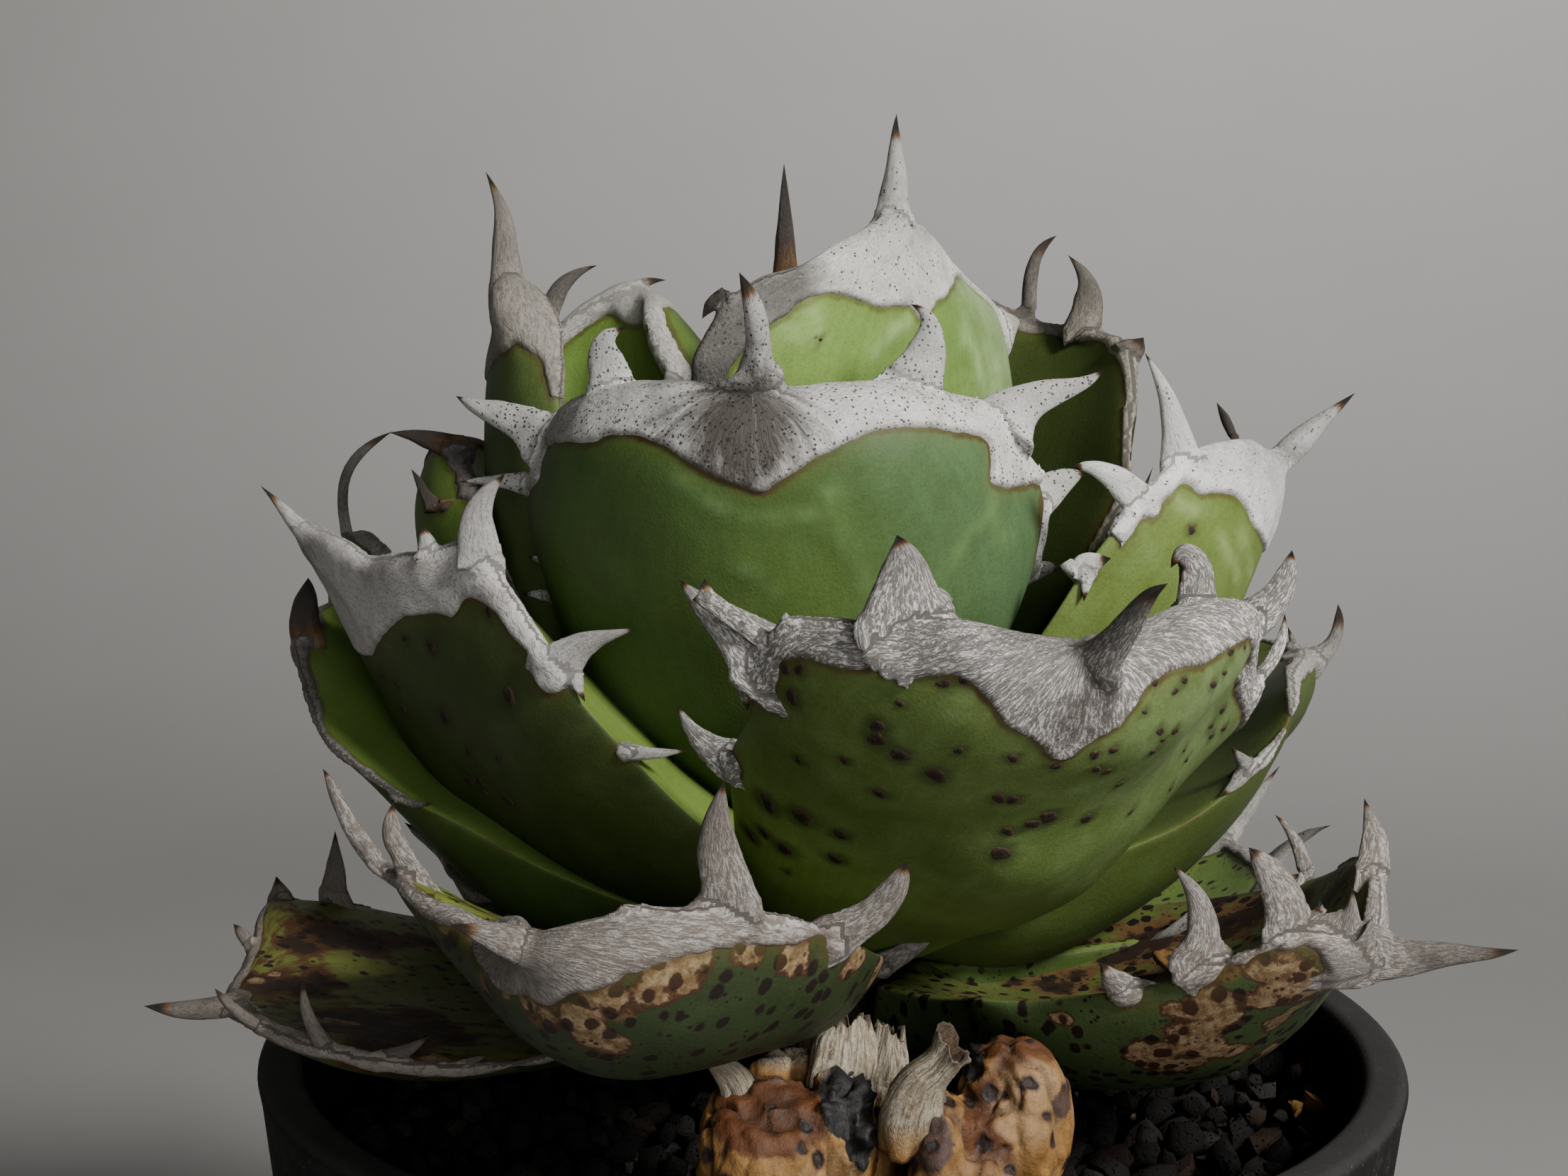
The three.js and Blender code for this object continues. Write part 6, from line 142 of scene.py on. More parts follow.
('spine', [31.92,16.4,210.12,1.2,-.07,-.5,26.71,22.21,213.45,1.31,-.08,-.54,26.65,22.21,215.32,1.08,-.09,-.57,26.64,22.21,217.18,.89,-.09,-.59,26.76,22.21,
219.03,.76,-.09,-.61,27.11,22.21,220.84,.63,-.09,-.6,27.76,22.21,222.51,.47,-.08,-.54,28.83,22.21,223.89,.26,-.05,-.36,30.23,22.21,224.93,0,0,0]),
('', [34.54,12.9,210.88,2.35,-.22,-1.47,32.82,13.83,211.28,2.55,-.24,-1.6,33.22,13.83,213.01,2.39,-.18,-1.23,33.57,13.83,214.74,2.19,-.13,-.86,33.78,13.83,
216.46,1.89,-.08,-.51,33.65,13.83,218.14,1.46,-.03,-.23,33.03,13.83,219.7,.96,-.01,-.07,32.02,13.83,221.1,.47,-0,-.01,30.81,13.83,222.38,0,0,0]),
('', [36.33,8.2,208.34,1.07,-.28,-1.84,37.31,4.57,209.35,1.16,-.3,-2,37.74,4.57,209.74,1.07,-.27,-1.77,38.17,4.57,210.12,.98,-.23,-1.54,38.6,4.57,210.49,
.89,-.19,-1.3,39,4.57,210.84,.75,-.15,-1.01,39.31,4.57,211.19,.53,-.1,-.68,39.59,4.57,211.56,.26,-.05,-.34,39.87,4.57,211.92,0,0,0]),
('', [.29,16.96,213.09,3.58,.92,2.59,-.98,16.22,215.11,3.58,.92,2.59,-1.55,15.82,216.02,2.9,.74,2.1,-2.06,15.35,216.89,2.26,.58,1.63,-2.5,14.81,217.73,
1.67,.43,1.21,-2.87,14.18,218.54,1.14,.29,.82,-3.17,13.47,219.32,.67,.17,.48,-3.41,12.69,220.06,.27,.07,.2,-3.58,11.82,220.77,0,0,0]),
('', [-5.84,15.57,204.29,1.98,.11,4.57,-8.01,14.79,205.26,1.98,.11,4.57,-9.45,14.18,205.92,1.61,.09,3.7,-10.7,13.43,206.76,1.25,.07,2.88,-11.77,12.56,
207.77,.93,.05,2.13,-12.65,11.55,208.95,.63,.03,1.45,-13.35,10.4,210.3,.37,.02,.85,-13.85,9.12,211.82,.15,.01,.35,-14.18,7.71,213.51,0,0,0]),
],
band=None,
spots=[],
imp=[]),
'TL': dict(
G=[-9.4,15.4,158.6,-9.1,10,155.9,-8.4,4.3,154.2,-7.4,-1.5,153.5,-6.1,-7.4,153.8,-4.6,-13,155.1,-2.8,-18.2,157.5,-18.3,14.1,162.2,-19.1,8.6,159.9,-19.4,
2.7,158.5,-19.1,-3.3,158.1,-18.2,-9.2,158.8,-16.9,-14.9,160.4,-15,-20.1,162.9,-25.3,14.3,166.6,-27.2,8.7,165.3,-28.4,2.7,164.9,-28.6,-3.3,165.3,-28,
-9.3,166.5,-26.5,-14.8,168.5,-24.2,-19.7,171.3,-31,15.7,172.3,-33.4,10.1,172.3,-34.8,4.2,172.8,-35.1,-1.8,174,-34.2,-7.6,175.8,-32.2,-12.9,178.1,
-29.2,-17.6,180.7,-35,17.8,179.7,-37.5,12.3,180.4,-38.8,6.4,181.6,-38.8,.5,183.2,-37.5,-5.2,185.1,-35,-10.4,187.2,-31.5,-14.8,189.4,-37.4,19.9,187.9,
-39.8,14.4,188.9,-40.9,8.6,190.3,-40.7,2.8,191.8,-39.3,-2.8,193.6,-36.7,-7.9,195.4,-33.1,-12.2,197.1,-38.8,20.7,196.2,-41,15.6,197.2,-42,10.2,198.4,
-41.7,4.7,199.7,-40.3,-.5,201,-38,-5.2,202.4,-34.9,-9.1,203.6,-39.7,19.8,204.2,-41.6,15.5,204.9,-42.5,10.8,205.6,-42.2,6.2,206.5,-40.8,1.7,207.4,
-38.4,-2.3,208.3,-35.1,-5.6,209.1,-40.7,17.1,211.2,-42.1,13.9,211.4,-42.7,10.5,211.7,-42.5,7,212.1,-41.3,3.7,212.6,-39.2,.7,213.1,-36.3,-1.7,213.7,
-41.8,12.9,216.2,-42.6,11.1,216.2,-43,9.2,216.2,-42.8,7.3,216.3,-42.1,5.5,216.5,-40.8,3.9,217,-39,2.6,217.5,-43,7.3,218.4,-43,7.3,218.4,-43,7.3,218.4,
-43,7.3,218.4,-43,7.3,218.4,-43,7.3,218.4,-43,7.3,218.4],
TO=[.3,5,7.7,8.4,7.7,5,.3,.3,4.4,6.8,7.4,6.8,4.4,.3,.3,3.8,5.9,6.5,5.9,3.8,.3,.3,3.3,5.1,5.5,5.1,3.3,.3,.3,2.8,4.1,4.5,4.2,2.9,.3,.3,2.4,3.7,4.1,3.7,2.4,
.3,.3,2,3.2,3.5,3.2,2.1,.3,.3,1.5,2.3,2.6,2.5,2.6,.3,.3,1,1.4,1.6,2.5,3.7,.3,.3,.6,.7,1.1,2.7,3.5,.3,.3,.3,.3,.6,2.3,3,.3],
TI=[0,1.4,2,2.1,2,1.4,0,0,1.4,2,2.2,2,1.4,0,0,1.4,2,2.2,2,1.4,0,0,1.4,2.1,2.2,2.1,1.4,0,0,1.4,2.1,2.2,2.1,1.4,0,0,1.4,2,2.2,2,1.4,0,0,1.3,1.9,2,1.9,1.3,
0,0,1.1,1.6,1.7,1.6,1.1,0,0,.8,1.2,1.3,1.2,.8,0,0,.4,.6,.7,.6,.4,0,0,0,0,0,0,0,0],
teeth=[
('spine', [-42.69,11.38,213.98,1.93,.26,1.77,-43.33,11.26,216.07,2.09,.29,1.92,-43.54,11.26,218.54,1.75,.25,1.67,-43.69,11.26,221.01,1.43,.21,1.42,-43.78,11.26,
223.49,1.11,.18,1.19,-43.95,11.26,225.93,.79,.14,.95,-44.43,11.26,228.31,.49,.1,.67,-45.29,11.26,230.58,.24,.05,.35,-46.32,11.26,232.78,0,0,0]),
('', [-41.59,15.27,211.18,1.05,-.21,-1.4,-39.23,17.19,211.04,1.14,-.23,-1.52,-38.88,16.9,212.89,.97,-.22,-1.45,-38.41,16.53,214.69,.8,-.2,-1.36,-37.64,
16.11,216.37,.63,-.18,-1.23,-36.56,15.66,217.87,.43,-.15,-1.03,-35.2,15.19,219.09,.23,-.11,-.74,-33.61,14.7,219.97,.09,-.06,-.38,-31.86,14.19,220.59,
0,0,0]),
('', [-37.8,-1.14,212.27,.13,-.18,-1.2,-36.32,-2.69,212.32,.14,-.2,-1.31,-36.09,-2.79,212.37,.12,-.17,-1.12,-35.86,-2.91,212.41,.1,-.14,-.93,-35.64,-3.05,
212.46,.08,-.11,-.74,-35.41,-3.2,212.5,.06,-.08,-.56,-35.18,-3.36,212.55,.04,-.06,-.37,-34.95,-3.52,212.59,.02,-.03,-.19,-34.72,-3.69,212.64,0,0,0]),
('', [-40.37,18.13,200.5,-.42,-.48,3.71,-39.35,20.37,200.9,-.42,-.48,3.71,-38.68,21.73,201.28,-.34,-.39,3.01,-37.93,23.02,201.56,-.27,-.3,2.34,-37.1,24.22,
201.73,-.2,-.22,1.73,-36.18,25.35,201.8,-.13,-.15,1.18,-35.18,26.4,201.76,-.08,-.09,.69,-34.09,27.38,201.62,-.03,-.04,.28,-32.92,28.28,201.37,0,0,0]),
('', [-37.49,16.77,184.33,-1.2,1.15,4.36,-36.45,19.02,184.03,-1.2,1.15,4.36,-35.81,20.68,184.08,-.97,.93,3.53,-35.24,22.3,184.14,-.76,.72,2.76,-34.73,
23.88,184.19,-.56,.54,2.04,-34.29,25.42,184.23,-.38,.36,1.39,-33.91,26.91,184.27,-.22,.21,.81,-33.59,28.37,184.31,-.09,.09,.33,-33.34,29.79,184.34,0,
0,0]),
],
band=[[.55,-1],[.7,-.9],[.8,-.7],[.84,-.35],[.85,0],[.868,.27],[.868,.6],[.876,.71],[.852,.85],[.856,.86],[.827,.91],[.782,.96]],
spots=[],
imp=[]),
'H': dict(
G=[11.5,12.5,158,6.3,10.7,155.5,1.1,8.1,154,-3.8,4.8,153.4,-8.3,.8,153.8,-12.1,-3.6,155.2,-15.1,-8.2,157.5,7.9,15.7,169.1,2.3,15.6,165.5,-3.6,14.1,
162.7,-9.3,11.3,160.9,-14.6,7.3,160.2,-19.2,2.5,160.6,-22.8,-2.9,162.2,4.5,15.2,179.5,-1.2,17.3,175.4,-7.6,17.7,171.8,-14.2,16.1,169,-20.5,12.9,167.2,
-26,8.1,166.6,-30.3,2.2,167.2,.4,11.8,187.6,-4.7,16.4,184,-11.1,19.1,180.5,-18.2,19.5,177.3,-25.3,17.6,174.9,-31.8,13.5,173.4,-37,7.7,173,-4.6,7.8,
193.4,-8.4,14.3,191,-14.2,19.1,188.3,-21.3,21.4,185.6,-28.8,21.2,183.2,-36,18.4,181.3,-42,13.3,180.2,-10.4,5.1,197.6,-12.5,12.4,196.7,-17.1,18.4,
195.2,-23.5,22.3,193.4,-30.8,23.6,191.6,-38.2,22.1,189.9,-44.6,18,188.6,-16.2,4.8,201.5,-16.7,11.7,201.6,-19.8,17.9,201.2,-24.9,22.4,200.5,-31.4,24.7,
199.5,-38.2,24.3,198.4,-44.4,21.3,197.4,-21,6.7,205.7,-20.4,12.3,206.3,-22.1,17.7,206.6,-25.8,22,206.7,-30.9,24.6,206.5,-36.6,24.9,206,-41.9,22.9,
205.5,-24.2,10.2,210.1,-23.2,14.1,210.8,-23.9,18.1,211.3,-26.2,21.4,211.7,-29.7,23.6,211.9,-33.8,24.1,211.9,-37.8,22.9,211.6,-25.8,14.7,214.3,-25,
16.7,214.7,-25.2,18.9,215.1,-26.3,20.8,215.4,-28.1,22.1,215.6,-30.2,22.4,215.5,-32.2,21.9,215.3,-26.3,20.5,217.2,-26.3,20.5,217.2,-26.3,20.5,217.2,
-26.3,20.5,217.2,-26.3,20.5,217.2,-26.3,20.5,217.2,-26.3,20.5,217.2],
TO=[0,5.3,8.2,9,8.2,5.3,0,0,5,7.8,8.5,7.8,5,0,0,4.8,7.4,8.1,7.4,4.8,0,0,4.5,7,7.7,7,4.5,0,0,4.3,6.7,7.3,6.7,4.3,0,0,4.1,6.4,7,6.4,4.1,0,0,3.9,6.1,6.7,
6.1,3.9,0,0,3.3,5.1,5.6,5.1,3.3,0,0,2.5,3.9,4.2,3.9,2.5,0,0,1.5,2.4,2.6,2.4,1.5,0,0,0,0,0,0,0,0],
TI=[0,1.1,1.5,1.7,1.5,1.1,0,0,1.2,1.7,1.8,1.7,1.2,0,0,1.3,1.9,2,1.9,1.3,0,0,1.4,2,2.2,2,1.4,0,0,1.4,2.1,2.2,2.1,1.4,0,0,1.4,2,2.1,2,1.4,0,0,1.2,1.8,1.9,
1.8,1.2,0,0,1,1.5,1.6,1.5,1,0,0,.7,1.1,1.1,1.1,.7,0,0,.4,.6,.6,.6,.4,0,0,0,0,0,0,0,0],
teeth=[
('spine', [-30.57,23.33,213.85,1.31,-.13,-.9,-29.07,21.12,215.47,1.43,-.15,-.97,-28.43,21.41,216.24,1.14,-.13,-.89,-27.75,21.79,216.97,.87,-.12,-.8,-26.98,
22.21,217.6,.64,-.11,-.71,-26.1,22.65,218.08,.44,-.09,-.58,-25.16,23.12,218.37,.26,-.06,-.4,-24.16,23.61,218.46,.12,-.03,-.2,-23.14,24.12,218.47,0,0,
0]),
('', [-19.3,8.53,204.54,-2.52,1.44,2.52,-20.24,6.24,204.9,-2.52,1.44,2.52,-20.65,5.07,205.04,-2.04,1.16,2.04,-21,3.94,205.19,-1.59,.91,1.59,-21.3,2.83,
205.35,-1.18,.67,1.17,-21.55,1.75,205.5,-.8,.46,.8,-21.75,.7,205.67,-.47,.27,.47,-21.9,-.33,205.84,-.19,.11,.19,-22,-1.32,206.02,0,0,0]),
('', [-7.99,8.69,194.72,-3.63,-1.92,2.68,-6.65,6.6,195.03,-3.63,-1.92,2.68,-6.08,5.63,195.16,-2.93,-1.56,2.17,-5.54,4.67,195.24,-2.29,-1.21,1.69,-5.03,
3.73,195.26,-1.69,-.9,1.25,-4.54,2.81,195.21,-1.15,-.61,.85,-4.09,1.91,195.11,-.67,-.36,.5,-3.66,1.03,194.95,-.28,-.15,.2,-3.27,.17,194.73,0,0,0]),
('', [-41.1,16.45,183.08,-1.4,2.3,3.86,-43.19,15.08,183.13,-1.4,2.3,3.86,-44.52,14.1,183.08,-1.14,1.86,3.13,-45.77,13.1,183.04,-.89,1.45,2.44,-46.94,12.09,
183.03,-.66,1.07,1.8,-48.04,11.07,183.03,-.45,.73,1.23,-49.06,10.02,183.05,-.26,.43,.72,-50,8.97,183.09,-.11,.17,.29,-50.87,7.89,183.14,0,0,0]),
],
band=None,
spots=[],
imp=[]),
'U1': dict(
G=[-16.3,-4.4,158.3,-11.7,-6.1,156.4,-6.6,-7.4,155.6,-1.4,-8.1,155.8,3.7,-8.3,157.2,8.5,-8,159.6,12.5,-7.1,162.8,-23.2,-9.5,164.5,-17.2,-12.8,162,-10.3,
-15.3,160.9,-3,-16.6,161.2,4.1,-16.8,162.9,10.8,-15.9,166.1,16.4,-13.8,170.4,-30.1,-12.2,171.2,-22.7,-17.5,168.5,-14,-21.3,167.3,-4.7,-23.3,167.7,4.5,
-23.4,170,12.9,-21.5,173.9,19.9,-17.7,179.2,-34.9,-14,178.3,-26.8,-21,175.5,-16.9,-25.9,174.3,-6.2,-28.4,174.8,4.7,-28.3,176.9,14.8,-25.6,180.5,23.4,
-20.5,185.4,-36.9,-16,185.8,-28.9,-24,182.8,-18.8,-29.6,181.4,-7.4,-32.4,181.7,4.3,-32.2,183.7,15.2,-28.9,187.1,24.4,-22.9,191.7,-37.9,-18.5,192.9,
-30,-26.9,189.8,-19.8,-32.8,188.1,-8.3,-35.8,188.2,3.3,-35.4,189.9,14,-31.9,193,22.8,-25.5,197.3,-35.3,-22,199.1,-28.7,-30,196,-19.6,-35.7,194.2,-9,
-38.6,194,1.8,-38.3,195.2,11.6,-34.9,197.7,19.3,-28.7,201.3,-32.4,-26.6,204.5,-26.6,-33.6,201.4,-18.7,-38.6,199.4,-9.5,-41.1,199,-.1,-40.8,200,8.6,
-37.8,202.3,15.5,-32.3,205.7,-26.3,-32.4,206.8,-22.3,-37.6,204.7,-16.6,-41.3,203.4,-9.9,-43.2,203,-2.8,-43,203.5,3.6,-40.7,205,8.7,-36.7,207.3,-19.1,
-38.8,208.5,-16.9,-41.7,207.1,-13.8,-43.7,206.2,-10.1,-44.8,205.9,-6.2,-44.7,206.2,-2.6,-43.4,207,.2,-41.2,208.2,-10.2,-45.6,207.4,-10.2,-45.6,207.4,
-10.2,-45.6,207.4,-10.2,-45.6,207.4,-10.2,-45.6,207.4,-10.2,-45.6,207.4,-10.2,-45.6,207.4],
TO=[0,5.1,7.9,8.7,7.9,5.1,0,0,5.1,7.9,8.7,7.9,5.1,0,0,5,7.7,8.4,7.7,5,0,0,4.8,7.4,8.1,7.4,4.8,0,0,4.7,7.2,7.9,7.2,4.7,0,0,4.5,7,7.7,7,4.5,0,0,4.4,6.8,
7.5,6.8,4.4,0,0,3.9,6,6.6,6,3.9,0,0,3.1,4.7,5.2,4.7,3.1,0,0,2,3,3.3,3,2,0,0,0,0,0,0,0,0],
TI=[0,.6,.9,1,.9,.6,0,0,.9,1.3,1.4,1.3,.9,0,0,1.1,1.7,1.8,1.7,1.1,0,0,1.3,1.9,2,1.9,1.3,0,0,1.4,2,2.2,2,1.4,0,0,1.4,2,2.2,2,1.4,0,0,1.3,1.9,2.1,1.9,1.3,
0,0,1.1,1.6,1.8,1.6,1.1,0,0,.8,1.2,1.3,1.2,.8,0,0,.5,.7,.7,.7,.5,0,0,0,0,0,0,0,0],
teeth=[
('', [-31.11,-27.75,198.4,-.72,-.53,-3.57,-35.33,-22.87,200.4,-.78,-.58,-3.88,-36.71,-22.29,201.3,-.48,-.47,-3.14,-38.18,-21.54,202.13,-.24,-.37,-2.45,
-39.79,-20.7,202.8,-.12,-.28,-1.9,-41.57,-19.81,203.3,-.15,-.22,-1.49,-43.38,-18.87,203.79,-.19,-.17,-1.1,-45.11,-17.89,204.41,-.15,-.09,-.62,-46.75,
-16.87,205.17,0,0,0]),
('', [-32.99,-24.72,193.02,-.11,-.3,-1.99,-36.38,-19.57,194.48,-.12,-.32,-2.17,-37.75,-19.18,194.7,-.04,-.25,-1.69,-39.15,-18.68,194.84,.02,-.19,-1.28,
-40.61,-18.12,194.89,.05,-.15,-.97,-42.11,-17.52,194.88,.05,-.11,-.72,-43.61,-16.9,194.81,.04,-.07,-.49,-45.13,-16.24,194.69,.02,-.04,-.25,-46.65,
-15.57,194.54,0,0,0]),
('', [-24.14,-35.52,205.41,3.11,.06,.38,-26.53,-32.29,206.76,3.38,.06,.41,-26.86,-32.38,208.05,2.89,.01,.09,-27.16,-32.51,209.36,2.43,-.03,-.21,-27.4,
-32.65,210.69,1.99,-.07,-.46,-27.43,-32.8,211.99,1.49,-.09,-.63,-27.04,-32.95,213.08,.9,-.09,-.58,-26.12,-33.12,213.81,.37,-.05,-.31,-24.88,-33.29,
214.32,0,0,0]),
('spine', [-17.83,-41.15,205.34,2.96,-.01,-.09,-9.72,-45.59,208.27,3.22,-.01,-.1,-9.82,-46.07,209.97,2.25,-.01,-.09,-9.72,-46.7,211.81,1.67,0,0,-9.66,-47.4,
213.74,1.4,.02,.13,-9.88,-48.14,215.66,1.26,.03,.22,-10.32,-48.93,217.54,1.04,.04,.25,-10.94,-49.75,219.3,.6,.03,.18,-11.71,-50.59,220.94,0,0,0]),
('', [4.31,-39.99,206.32,3.32,-.12,-.81,7.4,-37.65,208.17,3.6,-.13,-.88,8.1,-37.65,209.58,3.15,-.08,-.51,8.72,-37.65,211,2.65,-.02,-.15,9.2,-37.65,212.46,
2.11,.03,.17,9.47,-37.65,213.95,1.5,.06,.42,9.35,-37.65,215.39,.88,.07,.5,8.63,-37.65,216.54,.37,.05,.34,7.34,-37.65,217.3,0,0,0]),
('', [13.95,-33.54,200.47,.84,-.75,-5.03,18.01,-29.73,202.22,.91,-.82,-5.46,19.18,-29.54,203.69,.13,-.63,-4.21,20.54,-29.28,205.07,-.46,-.46,-3.04,22.33,
-29.01,206.17,-.63,-.32,-2.13,24.48,-28.71,206.95,-.45,-.23,-1.52,26.76,-28.39,207.57,-.15,-.16,-1.07,28.88,-28.07,208.38,.05,-.09,-.6,30.63,-27.73,
209.6,0,0,0]),
('', [18.91,-27.15,189.83,1.37,-.54,-3.61,21.16,-23.26,192.4,1.49,-.59,-3.93,22.33,-22.97,193.11,1.23,-.5,-3.37,23.51,-22.59,193.8,.97,-.42,-2.82,24.69,
-22.17,194.53,.71,-.34,-2.29,25.88,-21.73,195.29,.48,-.27,-1.83,27.14,-21.26,195.95,.32,-.2,-1.36,28.42,-20.77,196.43,.16,-.11,-.74,29.7,-20.26,
196.81,0,0,0]),
('', [17.87,-29.32,194.21,.33,-.01,-.07,23.64,-25.27,197.02,.35,-.01,-.08,23.61,-25.27,197.2,.3,-.01,-.07,23.59,-25.27,197.37,.25,-.01,-.06,23.56,-25.27,
197.54,.2,-.01,-.04,23.53,-25.27,197.72,.15,-0,-.03,23.5,-25.27,197.89,.1,-0,-.02,23.48,-25.27,198.06,.05,-0,-.01,23.45,-25.27,198.23,0,0,0]),
('brown', [18.05,-23.23,181.41,-.52,-.19,-1.28,23.04,-20.09,184.41,-.57,-.21,-1.39,23.65,-19.89,184.55,-.52,-.18,-1.23,24.27,-19.64,184.68,-.47,-.16,-1.07,24.9,
-19.36,184.8,-.42,-.14,-.92,25.52,-19.07,184.85,-.35,-.11,-.74,26.14,-18.75,184.79,-.24,-.08,-.51,26.75,-18.43,184.68,-.12,-.04,-.26,27.37,-18.09,
184.57,0,0,0]),
('', [-32.03,-20.56,182.86,-.06,-.09,-.57,-36.31,-15.67,184.69,-.07,-.09,-.62,-36.61,-15.48,184.78,-.06,-.08,-.54,-36.93,-15.22,184.86,-.05,-.07,-.46,
-37.25,-14.95,184.94,-.04,-.06,-.38,-37.56,-14.65,185.01,-.03,-.04,-.29,-37.89,-14.33,185.07,-.02,-.03,-.2,-38.21,-14.01,185.12,-.01,-.01,-.1,-38.54,
-13.67,185.18,0,0,0]),
('', [-30.93,-19.08,178.61,.14,-.13,-.89,-35.96,-14.53,180.36,.15,-.15,-.97,-36.44,-14.33,180.37,.13,-.12,-.83,-36.93,-14.08,180.38,.12,-.1,-.7,-37.42,
-13.8,180.38,.1,-.08,-.56,-37.91,-13.51,180.35,.08,-.06,-.42,-38.41,-13.19,180.31,.05,-.04,-.28,-38.91,-12.86,180.27,.03,-.02,-.14,-39.41,-12.53,
180.23,0,0,0]),
],
band=[[.684,-.99],[.745,-.85],[.77,-.99],[.811,-.87],[.847,-.73],[.872,-.63],[.892,-.61],[.905,-.56],[.917,-.49],[.921,-.37],[.913,-.28],[.905,-.19],[.897,
-.11],[.888,-.03],[.876,.04],[.892,.09],[.909,.18],[.921,.27],[.925,.41],[.925,.51],[.913,.6],[.892,.67],[.864,.72],[.831,.81],[.806,.85],[.79,.82],
[.761,.75],[.741,.75],[.712,.8],[.639,.99],[.585,.99],[.52,.92],[.45,.95],[.38,1]],
spots=[],
imp=[[[.88,-.27],[.876,-.2],[.852,-.12],[.831,-.04],[.827,.01],[.827,.1],[.823,.18],[.79,.21],[.766,.24],[.716,.26],[.671,.26]],[[.737,-.06],[.72,-.01],
[.688,.03]],[[.86,.24],[.802,.24],[.757,.25]],[[.655,.52],[.684,.58],[.696,.67],[.72,.72]],[[.696,.67],[.61,.72]]]),
'R1': dict(
G=[1.9,-18.7,155,4.5,-13.8,152.5,6.8,-8.5,151.1,8.8,-2.8,150.7,10.3,3,151.3,11.4,8.7,153.1,11.9,14.1,155.8,10.3,-25.2,161.9,13.4,-19.2,158.4,16,-12.4,
156.1,18,-5.1,155.2,19.2,2.4,155.5,19.7,9.8,157.2,19.3,16.8,160.1,17.6,-30.2,170.3,21.4,-23.1,165.6,24.3,-15,162.3,26.2,-6.1,160.4,26.9,3.1,160.2,
26.5,12.2,161.4,24.9,20.9,164.2,23.6,-32.6,179.2,28.2,-25,173.5,31.4,-16,169.1,33.2,-6.1,166.2,33.4,4.3,165.1,32,14.6,165.7,29.2,24.4,167.9,28.5,
-32.8,187.1,33.7,-25,180.7,37.3,-15.7,175.7,39,-5.3,172.1,38.9,5.7,170.4,36.8,16.6,170.2,33.1,26.9,171.8,32.9,-31.6,192.4,38.4,-23.9,186.4,42.1,-14.6,
181.5,43.8,-4.1,177.9,43.5,6.9,175.7,41.2,17.8,175.2,36.9,28.1,176.3,37,-29,196.5,42.4,-21.7,191.1,46.1,-12.9,186.5,47.8,-2.9,183.2,47.5,7.5,181.1,
45.1,17.9,180.6,40.8,27.6,181.5,41,-24.6,198.8,46,-18.3,194.3,49.4,-10.6,190.6,51,-2,187.8,50.9,7.1,186.3,48.8,16.1,186,45.1,24.4,187,45.6,-18.4,
199.6,49.5,-13.7,196.2,52.3,-7.9,193.5,53.7,-1.4,191.7,53.6,5.5,190.8,52.2,12.2,190.9,49.5,18.4,192,50.9,-10.5,199.1,53.1,-7.9,197.1,54.7,-4.7,195.5,
55.6,-1.1,194.6,55.7,2.7,194.3,55,6.5,194.5,53.5,9.9,195.3,56.6,-1,196,56.6,-1,196,56.6,-1,196,56.6,-1,196,56.6,-1,196,56.6,-1,196,56.6,-1,196],
TO=[.3,6.9,10.6,11.6,10.6,6.9,.3,.3,6,9.3,10.2,9.3,6,.3,.3,5.3,8.2,9,8.2,5.3,.3,.3,4.6,7.1,7.8,7.1,4.6,.3,.3,4,6.4,7.1,6.2,4,.3,.3,3.6,5.9,6.4,5.8,3.4,
.3,.3,3,4.6,5,4.6,2.9,.3,.3,2.1,3.3,3.6,3.3,2.2,.3,.3,1.3,2.1,2.3,2.1,1.5,.3,.3,.8,1.3,1.4,1.2,.9,.3,.3,.3,.4,.4,.3,.3,.3],
TI=[0,.8,1.1,1.2,1.1,.8,0,0,1,1.4,1.5,1.4,1,0,0,1.2,1.7,1.8,1.7,1.2,0,0,1.3,1.9,2,1.9,1.3,0,0,1.4,2,2.2,2,1.4,0,0,1.4,2.1,2.2,2.1,1.4,0,0,1.3,2,2.1,2,
1.3,0,0,1.2,1.7,1.8,1.7,1.2,0,0,.9,1.3,1.4,1.3,.9,0,0,.5,.7,.8,.7,.5,0,0,0,0,0,0,0,0],
teeth=[
('', [43.3,-21.85,195.56,2.35,.28,1.84,40.58,-25.67,197.67,2.56,.3,2,39.99,-25.86,199.66,1.95,.25,1.64,39.5,-26.11,201.73,1.47,.2,1.37,38.98,-26.39,203.82,
1.06,.17,1.12,38.29,-26.69,205.86,.72,.13,.87,37.4,-27,207.84,.46,.09,.6,36.37,-27.33,209.75,.23,.05,.32,35.22,-27.67,211.58,0,0,0]),
('spine', [52.45,-8.9,195.62,1.45,-.14,-.94,57.05,-1.04,196.65,1.58,-.15,-1.02,58.38,-.85,197.96,1.52,-.16,-1.06,59.73,-.6,199.24,1.39,-.15,-1.02,61.06,-.32,
200.51,1.13,-.13,-.87,62.43,-.02,201.72,.81,-.1,-.65,63.89,.3,202.87,.55,-.07,-.44,65.37,.62,204,.29,-.03,-.23,66.82,.96,205.17,0,0,0]),
('', [49.97,-12.71,197.89,1.77,.05,.33,54.83,-1.04,190.31,1.92,.05,.36,54.95,-.85,189.47,1.69,.05,.31,55.07,-.6,188.63,1.45,.04,.26,55.2,-.32,187.78,1.2,
.03,.21,55.33,-.02,186.93,.92,.02,.16,55.45,.3,186.09,.62,.02,.11,55.59,.62,185.25,.31,.01,.05,55.72,.96,184.4,0,0,0]),
('', [38.27,-26.19,190.99,-1.01,-.21,-1.37,35.94,-30.62,193.84,-1.1,-.22,-1.49,34.55,-31.01,194.71,-1.11,-.26,-1.71,33.26,-31.51,195.72,-.97,-.26,-1.71,
